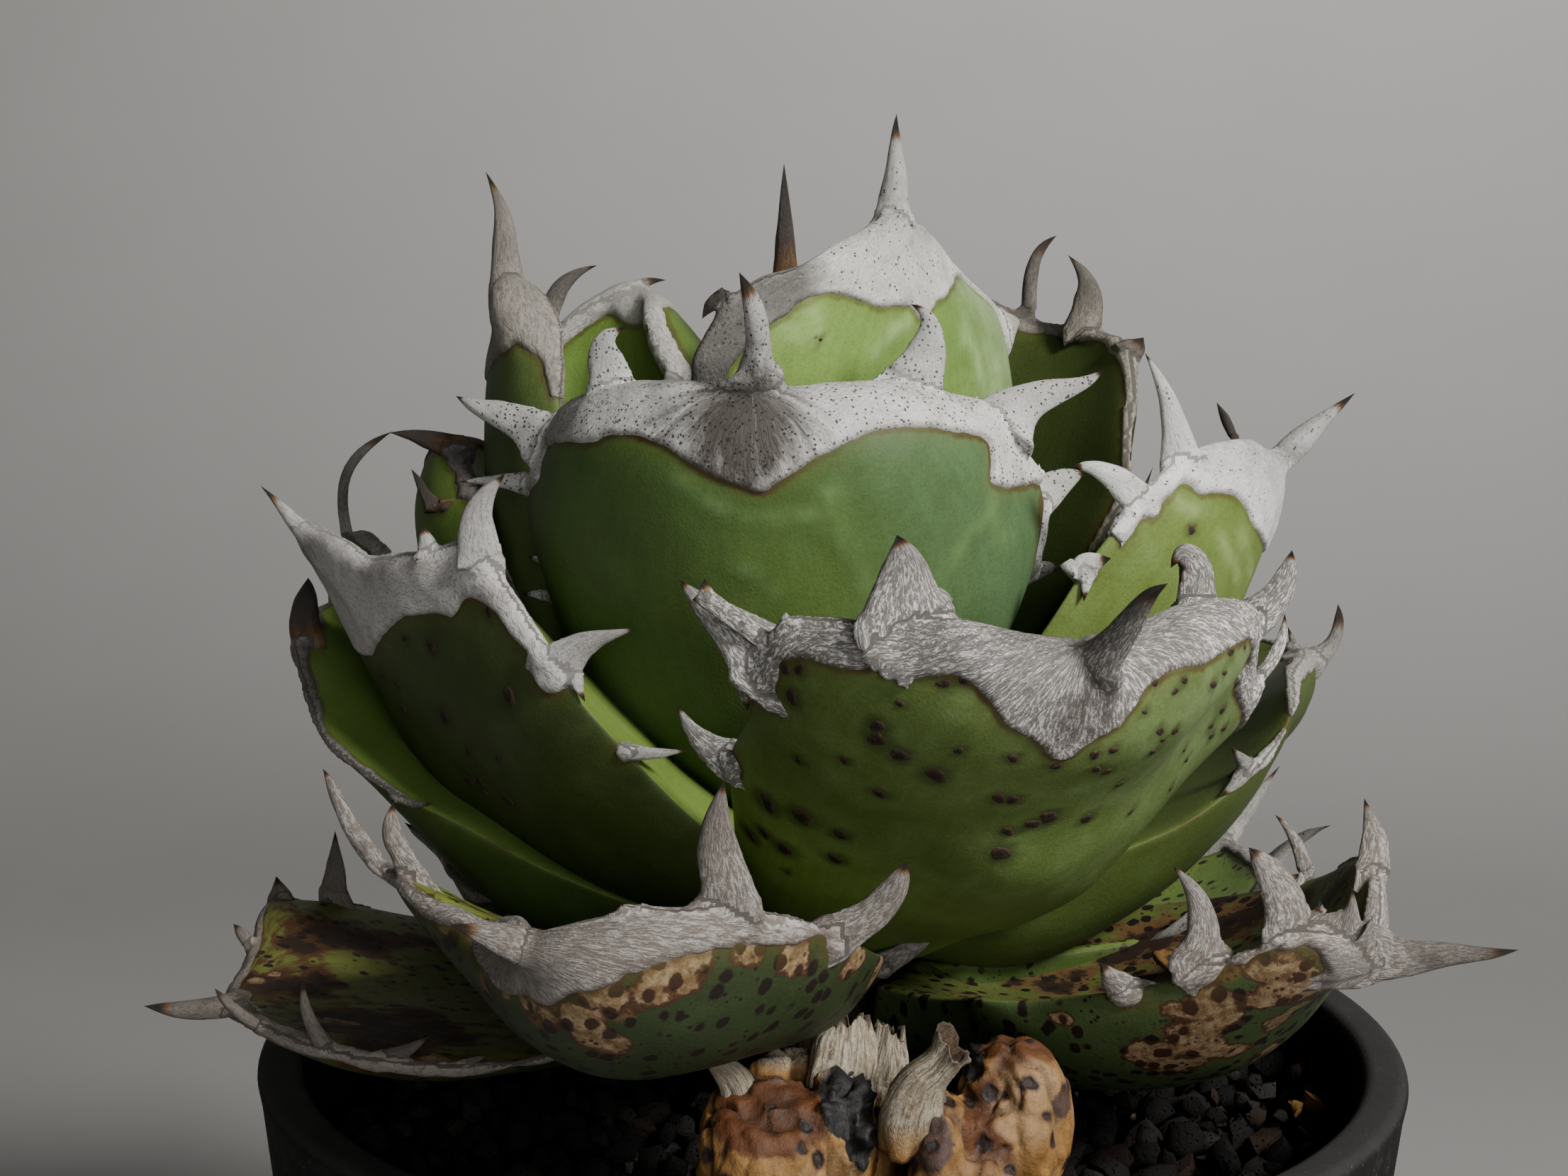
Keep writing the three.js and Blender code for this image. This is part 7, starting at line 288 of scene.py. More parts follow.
32.01,-32.07,196.78,-.68,-.23,-1.51,30.7,-32.67,197.73,-.39,-.19,-1.25,29.25,-33.29,198.43,-.19,-.15,-.98,27.74,-33.95,198.78,-.06,-.09,-.57,26.23,
-34.62,198.85,0,0,0]),
('', [36.56,-27.01,189.03,1.38,.07,.44,33.23,-31.52,192.58,1.5,.07,.48,33.13,-31.62,192.09,1.32,.06,.41,33.02,-31.75,191.6,1.14,.05,.33,32.91,-31.89,
191.12,.95,.04,.27,32.79,-32.03,190.65,.74,.03,.2,32.68,-32.19,190.2,.5,.02,.13,32.58,-32.35,189.75,.25,.01,.07,32.48,-32.52,189.3,0,0,0]),
('', [30.74,-28.29,181.82,1.03,-.1,-.65,26.67,-32.85,186.36,1.12,-.11,-.71,27.33,-32.94,186.65,1.09,-.15,-.97,27.99,-33.07,186.96,1.02,-.17,-1.16,28.63,
-33.21,187.31,.86,-.17,-1.17,29.26,-33.36,187.62,.65,-.15,-1,29.89,-33.52,187.83,.43,-.1,-.7,30.52,-33.68,187.98,.21,-.05,-.35,31.14,-33.85,188.13,0,
0,0]),
('', [31.33,-28.25,182.64,.94,-.02,-.11,28.73,-32.8,186.3,1.03,-.02,-.12,28.63,-32.9,185.82,.9,-.02,-.1,28.52,-33.02,185.34,.77,-.01,-.08,28.41,-33.16,
184.87,.64,-.01,-.06,28.32,-33.31,184.39,.49,-.01,-.04,28.24,-33.47,183.93,.33,-0,-.03,28.17,-33.63,183.46,.17,-0,-.01,28.09,-33.8,182.99,0,0,0]),
('dark', [52.8,11.82,193.12,.52,.03,.17,53.01,8.89,198.15,.56,.03,.19,52.75,9.47,198.86,.58,.03,.21,52.53,10.22,199.56,.6,.04,.24,52.32,11.06,200.25,.61,.04,
.26,52.12,11.95,200.93,.55,.04,.24,51.9,12.9,201.59,.4,.03,.18,51.68,13.88,202.24,.2,.01,.09,51.47,14.89,202.89,0,0,0]),
('', [42.69,24.72,182.06,2.74,-1.78,3.61,42.26,26.78,183.4,2.74,-1.78,3.61,42.11,27.8,184.17,2.22,-1.44,2.92,41.94,28.81,184.88,1.73,-1.12,2.28,41.75,
29.79,185.52,1.28,-.83,1.68,41.55,30.76,186.1,.87,-.56,1.14,41.34,31.71,186.62,.51,-.33,.67,41.11,32.64,187.08,.21,-.14,.27,40.86,33.56,187.48,0,0,0]),
('', [36.14,25.43,173.91,2.48,.79,2.97,35.12,27.7,174.16,2.48,.79,2.97,34.52,29.31,174.54,2,.64,2.4,33.86,30.82,174.98,1.56,.5,1.87,33.15,32.24,175.45,
1.16,.37,1.38,32.37,33.56,175.98,.79,.25,.94,31.54,34.79,176.56,.46,.15,.55,30.65,35.92,177.18,.19,.06,.23,29.7,36.96,177.85,0,0,0]),
],
band=[[.626,-.96],[.692,-.97],[.725,-.96],[.757,-.94],[.794,-.94],[.831,-.96],[.802,-.9],[.798,-.85],[.839,-.73],[.843,-.61],[.831,-.48],[.839,-.14],[.85,
.1],[.85,.4],[.8,.7],[.68,.9],[.5,1]],
spots=[[.733,-.79,.448]],
imp=[[[.761,-.93],[.757,-.88],[.766,-.82]],[[.761,-.66],[.749,-.53],[.737,-.4]],[[.798,-.57],[.786,-.43],[.77,-.28]]]),
'N1': dict(
G=[14.8,-10.3,154.4,12.6,-5.3,152,9.8,-.3,150.5,6.5,4.7,150,2.8,9.4,150.5,-1.2,13.6,152,-5.2,17.3,154.4,21.9,-8.9,159.1,19.5,-2.9,156.1,16.3,3.1,154.3,
12.4,9,153.6,8,14.5,154.3,3.3,19.4,156.1,-1.7,23.6,159.1,28.1,-8,163.8,25.7,-1,160.3,22.2,6.1,158.2,17.8,12.9,157.4,12.7,19.3,158.2,7,24.8,160.3,1.1,
29.2,163.8,33,-7,168.2,30.8,.9,164.6,27.3,8.8,162.3,22.5,16.4,161.5,16.8,23.2,162.3,10.4,29,164.6,3.6,33.5,168.2,36.4,-5.5,172.3,34.7,3,168.8,31.3,
11.3,166.6,26.5,19.2,165.9,20.5,26.3,166.6,13.5,32,168.8,6,36.3,172.3,38.5,-3.4,176,37.3,5.2,172.9,34.3,13.6,171,29.6,21.5,170.3,23.6,28.4,171,16.4,
33.9,172.9,8.6,37.6,176,39.4,-.1,179.1,38.7,8,176.7,36.2,15.9,175.2,32,23.2,174.7,26.3,29.5,175.2,19.5,34.3,176.7,12.1,37.5,179.1,39.3,4.6,181.8,39,
11.5,180.1,37.1,18.2,179.1,33.6,24.4,178.7,28.8,29.6,179.1,23,33.6,180.1,16.5,36,181.8,38.6,10.6,184,38.5,15.7,183,37.2,20.7,182.4,34.7,25.2,182.1,
31.1,29,182.4,26.8,31.8,183,22,33.5,184,37.4,17.7,185.6,37.4,20.5,185.1,36.7,23.2,184.8,35.3,25.7,184.7,33.4,27.7,184.8,31,29.2,185.1,28.3,30.1,185.6,
35.6,25.9,186,35.6,25.9,186,35.6,25.9,186,35.6,25.9,186,35.6,25.9,186,35.6,25.9,186,35.6,25.9,186],
TO=[0,5.3,8.2,9,8.2,5.3,0,0,5,7.8,8.5,7.8,5,0,0,4.8,7.4,8.1,7.4,4.8,0,0,4.5,7,7.7,7,4.5,0,0,4.3,6.7,7.3,6.7,4.3,0,0,4.1,6.4,7,6.4,4.1,0,0,3.9,6.1,6.7,
6.1,3.9,0,0,3.4,5.3,5.8,5.3,3.4,0,0,2.6,4,4.4,4,2.6,0,0,1.6,2.5,2.7,2.5,1.6,0,0,0,0,0,0,0,0],
TI=[0,.9,1.3,1.4,1.3,.9,0,0,1.1,1.6,1.7,1.6,1.1,0,0,1.2,1.8,1.9,1.8,1.2,0,0,1.3,2,2.1,2,1.3,0,0,1.4,2.1,2.2,2.1,1.4,0,0,1.4,2,2.2,2,1.4,0,0,1.3,1.9,2,
1.9,1.3,0,0,1.1,1.6,1.7,1.6,1.1,0,0,.8,1.1,1.2,1.1,.8,0,0,.4,.6,.7,.6,.4,0,0,0,0,0,0,0,0],
teeth=[
('spine', [34.81,25.29,179.93,-3.09,4.25,0,35.77,25.99,183.75,-3.09,4.25,0,36.39,26.46,186.38,-2.48,3.41,0,36.94,26.93,189.02,-1.92,2.65,0,37.41,27.39,191.69,
-1.41,1.94,0,37.82,27.84,194.37,-.95,1.31,0,38.15,28.29,197.07,-.56,.76,0,38.41,28.73,199.79,-.23,.31,0,38.6,29.16,202.52,0,0,0]),
('', [39.43,4.69,179.06,-.17,3.26,1.61,39.39,3.58,181.3,-.17,3.26,1.61,39.25,2.76,183.16,-.14,2.64,1.3,38.93,1.82,184.89,-.11,2.06,1.01,38.42,.76,186.49,
-.08,1.52,.75,37.74,-.43,187.94,-.05,1.04,.51,36.87,-1.75,189.26,-.03,.61,.3,35.82,-3.18,190.44,-.01,.25,.12,34.58,-4.75,191.49,0,0,0]),
('', [38.26,-.91,175.17,1.27,3.11,3.46,38.75,-2.82,176.7,1.27,3.11,3.46,39.13,-3.94,177.83,1.03,2.52,2.8,39.53,-5.06,178.87,.8,1.96,2.19,39.93,-6.17,
179.81,.59,1.45,1.62,40.34,-7.29,180.66,.4,.99,1.1,40.76,-8.4,181.42,.24,.58,.64,41.18,-9.51,182.08,.1,.24,.26,41.62,-10.61,182.65,0,0,0]),
('', [36.1,-3.1,171.56,2.76,1.78,3.95,36.41,-5.43,172.4,2.76,1.78,3.95,36.52,-6.96,172.96,2.24,1.44,3.19,36.53,-8.4,173.64,1.74,1.12,2.49,36.43,-9.76,
174.44,1.29,.83,1.84,36.21,-11.03,175.35,.88,.56,1.25,35.9,-12.22,176.38,.51,.33,.73,35.47,-13.32,177.52,.21,.14,.3,34.93,-14.34,178.79,0,0,0]),
('', [32.2,-4.73,166.94,2.92,.79,2.92,32.27,-7.16,167.52,2.92,.79,2.92,32.45,-8.29,167.94,2.36,.64,2.37,32.68,-9.37,168.37,1.84,.5,1.85,32.95,-10.39,
168.84,1.36,.37,1.36,33.28,-11.37,169.32,.93,.25,.93,33.65,-12.3,169.83,.54,.15,.54,34.06,-13.17,170.36,.22,.06,.22,34.53,-14,170.91,0,0,0]),
('', [19.43,35.2,180.36,3.77,-1.7,1.6,18.44,35.16,182.66,3.77,-1.7,1.6,18.11,35.08,183.87,3.05,-1.38,1.3,17.77,35.06,185.04,2.38,-1.07,1.01,17.43,35.1,
186.15,1.76,-.79,.75,17.07,35.19,187.21,1.2,-.54,.51,16.7,35.34,188.22,.7,-.32,.3,16.32,35.54,189.18,.29,-.13,.12,15.94,35.8,190.08,0,0,0]),
('', [11.05,36.69,175.26,3.39,.19,3.46,9.4,37.73,176.82,3.39,.19,3.46,8.49,38.21,177.57,2.75,.15,2.8,7.52,38.57,178.27,2.14,.12,2.18,6.5,38.8,178.94,1.58,
.09,1.61,5.42,38.92,179.55,1.08,.06,1.1,4.29,38.91,180.12,.63,.04,.64,3.09,38.78,180.65,.26,.01,.26,1.85,38.53,181.13,0,0,0]),
('', [7.46,34.62,170.39,1.94,1.94,3.17,5.28,35.58,171.14,1.94,1.94,3.17,4.19,36.12,171.68,1.57,1.57,2.56,3.13,36.56,172.3,1.23,1.23,2,2.1,36.9,172.98,.91,
.91,1.48,1.1,37.13,173.73,.62,.62,1.01,.12,37.27,174.56,.36,.36,.59,-.82,37.3,175.45,.15,.15,.24,-1.74,37.24,176.41,0,0,0]),
('', [5.22,31.72,166.52,1.47,2.35,2.63,2.92,32.53,167.09,1.47,2.35,2.63,2.2,32.9,167.4,1.19,1.9,2.13,1.55,33.32,167.82,.93,1.48,1.66,.99,33.82,168.34,.69,
1.1,1.23,.5,34.37,168.96,.47,.75,.83,.09,34.98,169.68,.27,.44,.49,-.24,35.65,170.5,.11,.18,.2,-.49,36.39,171.43,0,0,0]),
],
band=None,
spots=[],
imp=[]),
'J': dict(
G=[-3.9,17.8,153.6,-5.5,12.6,151.1,-6.9,7,149.5,-7.9,1.1,149,-8.6,-4.8,149.5,-8.8,-10.6,151.1,-8.6,-16,153.6,-10.7,21.9,157.8,-13.5,16.2,155.1,-16,9.8,
153.5,-17.9,3.1,153.2,-19.2,-3.6,154.2,-19.9,-10.2,156.3,-20,-16.4,159.6,-16.2,26.7,162.1,-20.3,20.4,159.4,-23.8,13.4,158.1,-26.5,5.9,158.1,-28.4,
-1.7,159.6,-29.3,-9.1,162.4,-29.2,-16,166.5,-21.2,30.9,166.5,-26.3,24.4,164.1,-30.6,16.9,163.1,-33.8,8.9,163.6,-35.8,.7,165.6,-36.5,-7.2,168.9,-36,
-14.6,173.4,-25.9,34.3,171.2,-31.7,27.7,169.3,-36.3,20,168.7,-39.6,11.8,169.5,-41.4,3.3,171.7,-41.6,-5,175.2,-40.2,-12.6,179.7,-30.6,36.4,176.6,-36.4,
30,175.1,-41,22.4,174.7,-44.1,14.1,175.6,-45.4,5.6,177.7,-45,-2.7,180.8,-42.7,-10.2,184.8,-35.1,36.5,182.3,-40.7,30.6,181.2,-44.8,23.6,180.9,-47.4,
15.9,181.6,-48.2,7.9,183.2,-47.2,.2,185.6,-44.5,-6.8,188.7,-39.6,34.4,187.9,-44.3,29.5,187,-47.7,23.6,186.7,-49.7,17,187.1,-50.1,10.3,188.1,-48.9,3.7,
189.6,-46.2,-2.2,191.6,-43.9,30.4,192.6,-47.3,26.8,191.9,-49.8,22.5,191.7,-51.2,17.7,191.8,-51.4,12.7,192.2,-50.3,7.8,193,-48.1,3.5,194.1,-48.1,24.9,
195.8,-50,22.9,195.5,-51.4,20.6,195.3,-52.1,17.9,195.3,-52.2,15.2,195.4,-51.5,12.6,195.7,-50.2,10.2,196.1,-52.5,18,197,-52.5,18,197,-52.5,18,197,
-52.5,18,197,-52.5,18,197,-52.5,18,197,-52.5,18,197],
TO=[0,5.3,8.2,9,8.2,5.3,0,0,5,7.8,8.5,7.8,5,0,0,4.8,7.4,8.1,7.4,4.8,0,0,4.5,7,7.7,7,4.5,0,0,4.3,6.7,7.3,6.7,4.3,0,0,4.1,6.4,7,6.4,4.1,0,0,3.9,6.1,6.7,
6.1,3.9,0,0,3.4,5.3,5.8,5.3,3.4,0,0,2.6,4,4.4,4,2.6,0,0,1.6,2.5,2.7,2.5,1.6,0,0,0,0,0,0,0,0],
TI=[0,.9,1.4,1.5,1.4,.9,0,0,1.1,1.6,1.7,1.6,1.1,0,0,1.2,1.8,2,1.8,1.2,0,0,1.4,2,2.1,2,1.4,0,0,1.4,2.1,2.2,2.1,1.4,0,0,1.4,2,2.2,2,1.4,0,0,1.3,1.9,2,1.9,
1.3,0,0,1.1,1.6,1.7,1.6,1.1,0,0,.8,1.1,1.2,1.1,.8,0,0,.4,.6,.7,.6,.4,0,0,0,0,0,0,0,0],
teeth=[
('dark', [-50.23,8.51,194.64,-1.65,-.15,-1.03,-49.36,8.5,196.08,-1.79,-.17,-1.12,-50.75,8.5,196.54,-1.56,-.16,-1.1,-52.12,8.5,197.01,-1.3,-.15,-1.02,-53.5,8.5,
197.45,-1.03,-.13,-.88,-54.89,8.5,197.85,-.76,-.11,-.71,-56.3,8.5,198.16,-.49,-.08,-.51,-57.72,8.5,198.36,-.24,-.04,-.27,-59.15,8.5,198.49,0,0,0]),
('dark', [-48.01,1.56,190.56,1.33,.1,.67,-51.54,-1.92,189.8,1.45,.11,.73,-52.11,-1.73,190.37,1.15,.08,.51,-52.66,-1.47,190.96,.88,.05,.32,-53.15,-1.2,191.64,
.68,.03,.22,-53.57,-.9,192.39,.56,.03,.19,-53.99,-.58,193.14,.42,.02,.17,-54.47,-.26,193.85,.23,.01,.1,-54.98,.08,194.54,0,0,0]),
('', [-31.59,34.44,175.31,-2.74,.81,3.3,-30.12,36.31,176.07,-2.74,.81,3.3,-29.21,37.52,176.62,-2.22,.66,2.67,-28.39,38.7,177.25,-1.73,.51,2.08,-27.67,
39.85,177.96,-1.28,.38,1.54,-27.05,40.96,178.77,-.87,.26,1.05,-26.53,42.05,179.65,-.51,.15,.61,-26.1,43.1,180.62,-.21,.06,.25,-25.77,44.12,181.68,0,0,
0]),
('', [-25.38,31.07,168.37,-2.68,1.89,2.66,-23.65,32.8,168.88,-2.68,1.89,2.66,-22.76,33.96,169.43,-2.17,1.53,2.16,-21.93,35.05,170.16,-1.69,1.19,1.68,
-21.17,36.09,171.07,-1.25,.88,1.24,-20.48,37.07,172.14,-.85,.6,.85,-19.85,37.99,173.39,-.5,.35,.5,-19.28,38.85,174.82,-.2,.14,.2,-18.78,39.65,176.42,
0,0,0]),
],
band=None,
spots=[],
imp=[]),
'M1': dict(
G=[-12.7,-17.5,147.1,-7.2,-15.4,143.6,-1.6,-12.7,140.9,4.1,-9.5,139.4,9.7,-5.7,139,15.1,-1.4,139.2,20.1,3.2,140.2,-12.2,-30,153.7,-5.5,-27.3,150.3,1.5,
-23.8,147.8,8.5,-19.6,146.4,15.3,-14.8,145.9,21.9,-9.4,146.5,28,-3.5,148.1,-12.5,-39.6,161.2,-4.5,-37,157,3.9,-33.3,153.9,12.3,-28.7,152.2,20.6,-23.3,
151.9,28.4,-17.2,153,35.6,-10.4,155.5,-12.3,-46.2,167.5,-3.5,-44.2,162.6,5.9,-41,159.1,15.5,-36.6,157.4,25.2,-31.1,157.4,34.8,-24.7,159.2,43.7,-17.6,
162.7,-10.5,-51.5,172.5,-1.8,-50.4,167.4,7.9,-47.8,163.9,18,-43.8,162.3,28.8,-38.5,162.6,39.6,-32,165,49.7,-24.6,169.3,-9.9,-55.6,177.5,-.8,-55.6,
172.2,9.2,-53.8,168.6,19.8,-50.3,167,30.3,-45.2,167.5,39.9,-38.7,170.1,48.2,-31.2,174.7,-8.5,-59.1,181.7,.4,-59.9,176.5,10.5,-58.8,173,21.1,-55.8,
171.5,31.2,-51,172.2,40.2,-44.7,174.9,47.4,-37,179.6,-4.9,-62.3,185,3.1,-63.6,180.2,12.3,-63,177,22,-60.4,175.7,31.3,-56.1,176.4,39.4,-50.1,179,45.9,
-42.8,183.3,1.5,-65.9,185.2,7.7,-66.8,182,14.9,-66.2,180,22.5,-64.1,179.2,30,-60.4,179.8,36.6,-55.3,181.9,41.9,-49.1,185.4,10.7,-69.4,186,14.3,-69.4,
183.9,18.4,-68.5,182.5,22.9,-66.7,181.9,27.2,-63.9,182.1,31.1,-60.2,183.2,34.2,-55.9,185,23,-67.9,183.2,23,-67.9,183.2,23,-67.9,183.2,23,-67.9,183.2,
23,-67.9,183.2,23,-67.9,183.2,23,-67.9,183.2],
TO=[.3,4.5,6.7,6.7,6.3,4.2,.3,.3,4.3,6.5,7.9,7.7,5.8,.3,.3,4.1,6.5,9.4,9.3,6.5,.3,.3,3.9,6.3,10.1,9,4.3,.3,.3,3.7,5.9,9.6,6.9,1.9,.3,.3,3.6,5.5,6.5,4.5,
.5,.3,.3,3.4,5.3,5.8,4.4,.3,.3,.3,3.2,5,5.5,5,3,.3,.3,2.6,4,4.4,4,2.6,.3,.3,1.7,2.6,2.9,2.6,1.7,.3,.3,.3,.3,.3,.3,.3,.3],
TI=[0,.8,1.2,1.3,1.2,.8,0,0,1,1.4,1.5,1.4,1,0,0,1.2,1.7,1.8,1.7,1.2,0,0,1.3,1.9,2,1.9,1.3,0,0,1.4,2,2.2,2,1.4,0,0,1.4,2.1,2.2,2.1,1.4,0,0,1.4,2,2.2,2,
1.4,0,0,1.3,1.8,2,1.8,1.3,0,0,1,1.4,1.5,1.4,1,0,0,.6,.8,.9,.8,.6,0,0,0,0,0,0,0,0],
teeth=[
('', [-3.81,-58.54,177.14,1.83,.57,3.81,-8.45,-58.08,180.17,1.99,.62,4.14,-9.7,-57.89,181.41,1.6,.52,3.47,-10.98,-57.64,182.63,1.24,.42,2.82,-12.35,-57.36,
183.79,.97,.33,2.22,-13.79,-57.06,184.9,.76,.25,1.65,-15.25,-56.75,186.01,.58,.16,1.1,-16.6,-56.42,187.21,.34,.08,.56,-17.82,-56.08,188.54,0,0,0]),
('', [-3.13,-59.96,178.63,1.05,.02,.14,-14.76,-59.34,187.02,1.14,.02,.15,-14.8,-59.34,187.34,1,.02,.13,-14.85,-59.34,187.66,.85,.02,.11,-14.89,-59.34,
187.97,.71,.01,.09,-14.93,-59.34,188.28,.55,.01,.07,-14.97,-59.34,188.58,.37,.01,.05,-15.01,-59.34,188.88,.18,0,.03,-15.05,-59.34,189.18,0,0,0]),
('', [-4.55,-55.66,174.12,1.14,-.1,-.65,-10.71,-55.59,177.63,1.24,-.11,-.71,-10.68,-55.69,177.16,1.08,-.09,-.61,-10.65,-55.82,176.69,.93,-.08,-.51,-10.62,
-55.96,176.22,.77,-.06,-.4,-10.58,-56.1,175.76,.6,-.04,-.3,-10.54,-56.26,175.31,.4,-.03,-.2,-10.5,-56.42,174.87,.2,-.01,-.1,-10.46,-56.59,174.42,0,0,
0]),
('', [8.39,-68.19,184.05,5.27,.01,.1,5.89,-67.87,185.34,5.73,.02,.11,5.67,-67.87,186.77,4.96,.01,.08,5.58,-67.87,188.21,4.16,.02,.14,5.58,-67.87,189.65,
3.36,.04,.24,5.59,-67.87,191.11,2.62,.05,.34,5.47,-67.87,192.54,1.87,.05,.37,5.13,-67.87,193.84,1.02,.03,.23,4.72,-67.87,195,0,0,0]),
('', [-1.01,-62.49,181.39,.52,-.01,-.06,-6.47,-61.64,185.21,.57,-.01,-.07,-6.47,-61.64,185.32,.49,-.01,-.06,-6.47,-61.64,185.44,.4,-.01,-.05,-6.47,-61.64,
185.55,.32,-.01,-.04,-6.47,-61.64,185.66,.24,-0,-.03,-6.47,-61.64,185.78,.16,-0,-.02,-6.47,-61.64,185.89,.08,-0,-.01,-6.48,-61.64,186,0,0,0]),
('spine', [13.37,-68.06,182.05,2.25,-.39,-2.61,24.36,-67.9,180.8,2.44,-.42,-2.83,25.23,-68.77,182.24,1.71,-.32,-2.16,26.11,-69.9,183.81,1.18,-.25,-1.65,27.05,
-71.16,185.46,.9,-.2,-1.35,27.96,-72.5,187.17,.73,-.17,-1.14,28.79,-73.91,188.9,.51,-.14,-.91,29.7,-75.38,190.43,.26,-.08,-.55,30.84,-76.9,191.57,0,0,
0]),
('', [36.25,-55.29,183.71,2.8,.08,.52,37.83,-52.89,184.99,3.05,.08,.56,37.83,-52.89,186.4,2.35,.13,.85,37.8,-52.89,187.9,1.85,.17,1.13,37.62,-52.89,189.4,
1.35,.2,1.32,37.14,-52.89,190.7,.64,.2,1.31,36.39,-52.89,191.31,-.04,.15,1.01,35.6,-52.89,190.84,-.26,.08,.54,34.93,-52.89,189.69,0,0,0]),
('', [42.82,-44.71,178.91,.96,-.37,-2.44,45.87,-40.11,181.64,1.05,-.4,-2.66,47.07,-39.91,182.52,1.15,-.35,-2.36,48.19,-39.66,183.47,1.13,-.29,-1.93,49.17,
-39.38,184.54,1.04,-.22,-1.46,49.92,-39.08,185.79,.99,-.16,-1.09,50.46,-38.77,187.15,.91,-.11,-.76,50.86,-38.44,188.51,.59,-.06,-.39,51.11,-38.11,
189.82,0,0,0]),
('', [43.71,-33.14,169.76,.44,-.12,-.79,49,-28.56,172.48,.48,-.13,-.86,49.99,-28.17,173.43,.56,-.12,-.77,50.93,-27.67,174.43,.64,-.1,-.68,51.76,-27.11,
175.5,.68,-.09,-.57,52.43,-26.52,176.65,.65,-.07,-.44,52.94,-25.89,177.87,.53,-.04,-.28,53.26,-25.24,179.11,.31,-.02,-.14,53.43,-24.56,180.37,0,0,0]),
('', [43.79,-32.72,169.44,.87,-.02,-.12,49.68,-28.14,172.47,.94,-.02,-.13,49.65,-28.14,172.03,.82,-.02,-.11,49.62,-28.14,171.58,.7,-.01,-.09,49.6,-28.14,
171.14,.57,-.01,-.07,49.57,-28.14,170.69,.44,-.01,-.05,49.56,-28.14,170.25,.29,-.01,-.03,49.54,-28.14,169.81,.15,-0,-.02,49.53,-28.14,169.37,0,0,0]),
('', [-7.19,-44.11,163.59,.44,.37,2.5,-12.39,-45.27,166.53,.48,.41,2.71,-13.53,-45.08,167.07,.49,.33,2.24,-14.64,-44.82,167.68,.47,.27,1.78,-15.65,-44.55,
168.42,.4,.2,1.34,-16.57,-44.25,169.29,.32,.14,.94,-17.39,-43.93,170.28,.25,.09,.61,-18.08,-43.61,171.37,.15,.05,.31,-18.68,-43.27,172.51,0,0,0]),
],
band=[[.589,-1],[.667,-.99],[.737,-.96],[.79,-.93],[.827,-.87],[.852,-.82],[.884,-.78],[.909,-.8],[.917,-.8],[.917,-.74],[.925,-.69],[.942,-.66],[.95,
-.63],[.95,-.53],[.942,-.41],[.917,-.29],[.905,-.21],[.892,-.14],[.864,-.07],[.856,-.03],[.868,0],[.888,.04],[.905,.12],[.905,.15],[.913,.16],[.933,
.23],[.946,.31],[.946,.42],[.938,.5],[.925,.58],[.921,.64],[.913,.7],[.897,.78],[.88,.83],[.831,.85],[.737,.92],[.72,.87],[.6,.9],[.5,.94],[.42,1]],
spots=[[.782,-.91,.569],[.802,-.87,.509],[.716,-.95,.461],[.749,-.84,.685],[.938,-.61,.549],[.95,-.58,.438],[.884,-.6,.388],[.819,-.58,.672],[.794,-.56,
.845],[.786,-.48,.791],[.774,-.36,.908],[.622,-.76,.409],[.708,-.62,.402],[.843,-.34,.419],[.852,-.18,.505],[.671,-.49,.579],[.434,-.81,.97],[.479,
-.69,.962],[.266,-.89,.88],[.327,-.81,.682],[.491,-.55,.722],[.331,-.72,.868],[.749,-.16,.69],[.749,-.12,.633],[.696,.02,.764],[.684,-.02,.646],[.663,
-.09,.588],[.618,-.09,.891],[.401,-.53,.675],[.679,.15,.654],[.843,-.04,.395],[.905,.72,.486],[.884,.79,.295],[.778,.87,.307],[.892,.64,.339],[.929,
.47,.426],[.892,.57,.482],[.925,.41,.378],[.946,.35,.328],[.733,.84,.259],[.696,.88,.314],[.921,.26,.258],[.651,.81,.473],[.88,.3,.475],[.864,.36,
.479],[.634,.75,.42],[.598,.81,.426],[.606,.75,.423],[.86,.31,.31],[.839,.28,.431],[.868,.07,.517],[.872,.13,.424],[.831,.09,.475],[.819,.13,.478],
[.761,.21,.439],[.647,.6,.311],[.61,.62,.34],[.581,.55,.34],[.843,-.05,.353],[.704,.01,.683],[.684,-.03,.587],[.679,.15,.644],[.639,.33,.355],[.438,
-.81,.817],[.483,-.69,.865],[.774,-.36,.894],[.671,-.49,.521],[.266,-.89,.792],[.323,-.82,.614],[.331,-.72,.781],[.491,-.55,.65],[.401,-.53,.718],
[.266,-.69,.227],[.786,-.48,.711]],
imp=[]),
'M2': dict(
G=[-18.8,5.6,146,-15.1,3.5,143.7,-11.1,1.4,142.1,-6.9,-.6,141,-2.6,-2.5,140.6,1.9,-4.3,140.8,6.5,-5.9,141.6,-29.4,4.3,149.9,-25.4,-.1,147.3,-21,-4.5,
145.6,-16.3,-8.8,144.6,-11.3,-13,144.4,-6.2,-16.9,144.9,-.9,-20.5,146.2,-35.9,7.6,151.7,-33.1,.1,149.9,-29.8,-7.2,149,-26.1,-14.4,149,-22.1,-21.3,
149.9,-17.8,-27.8,151.5,-13.3,-34,153.9,-37.1,10.9,147.8,-37.3,1.8,149.1,-36.9,-7.1,151.4,-35.8,-15.7,154.6,-34,-23.9,158.7,-31.5,-31.5,163.9,-28.3,
-38.5,169.9,-42.3,11.4,144.8,-43.6,2.7,149.3,-44.1,-5.7,154.6,-43.8,-13.6,160.7,-42.8,-21.1,167.5,-41.1,-28,174.9,-38.6,-34.1,182.9,-49.4,12.9,150.8,
-50.4,4.6,155.5,-50.6,-3.4,160.9,-49.9,-11,166.9,-48.5,-18.2,173.5,-46.2,-24.8,180.5,-43.1,-30.9,188.1,-55.7,13.8,162.3,-56.1,5.9,165.3,-55.9,-1.8,
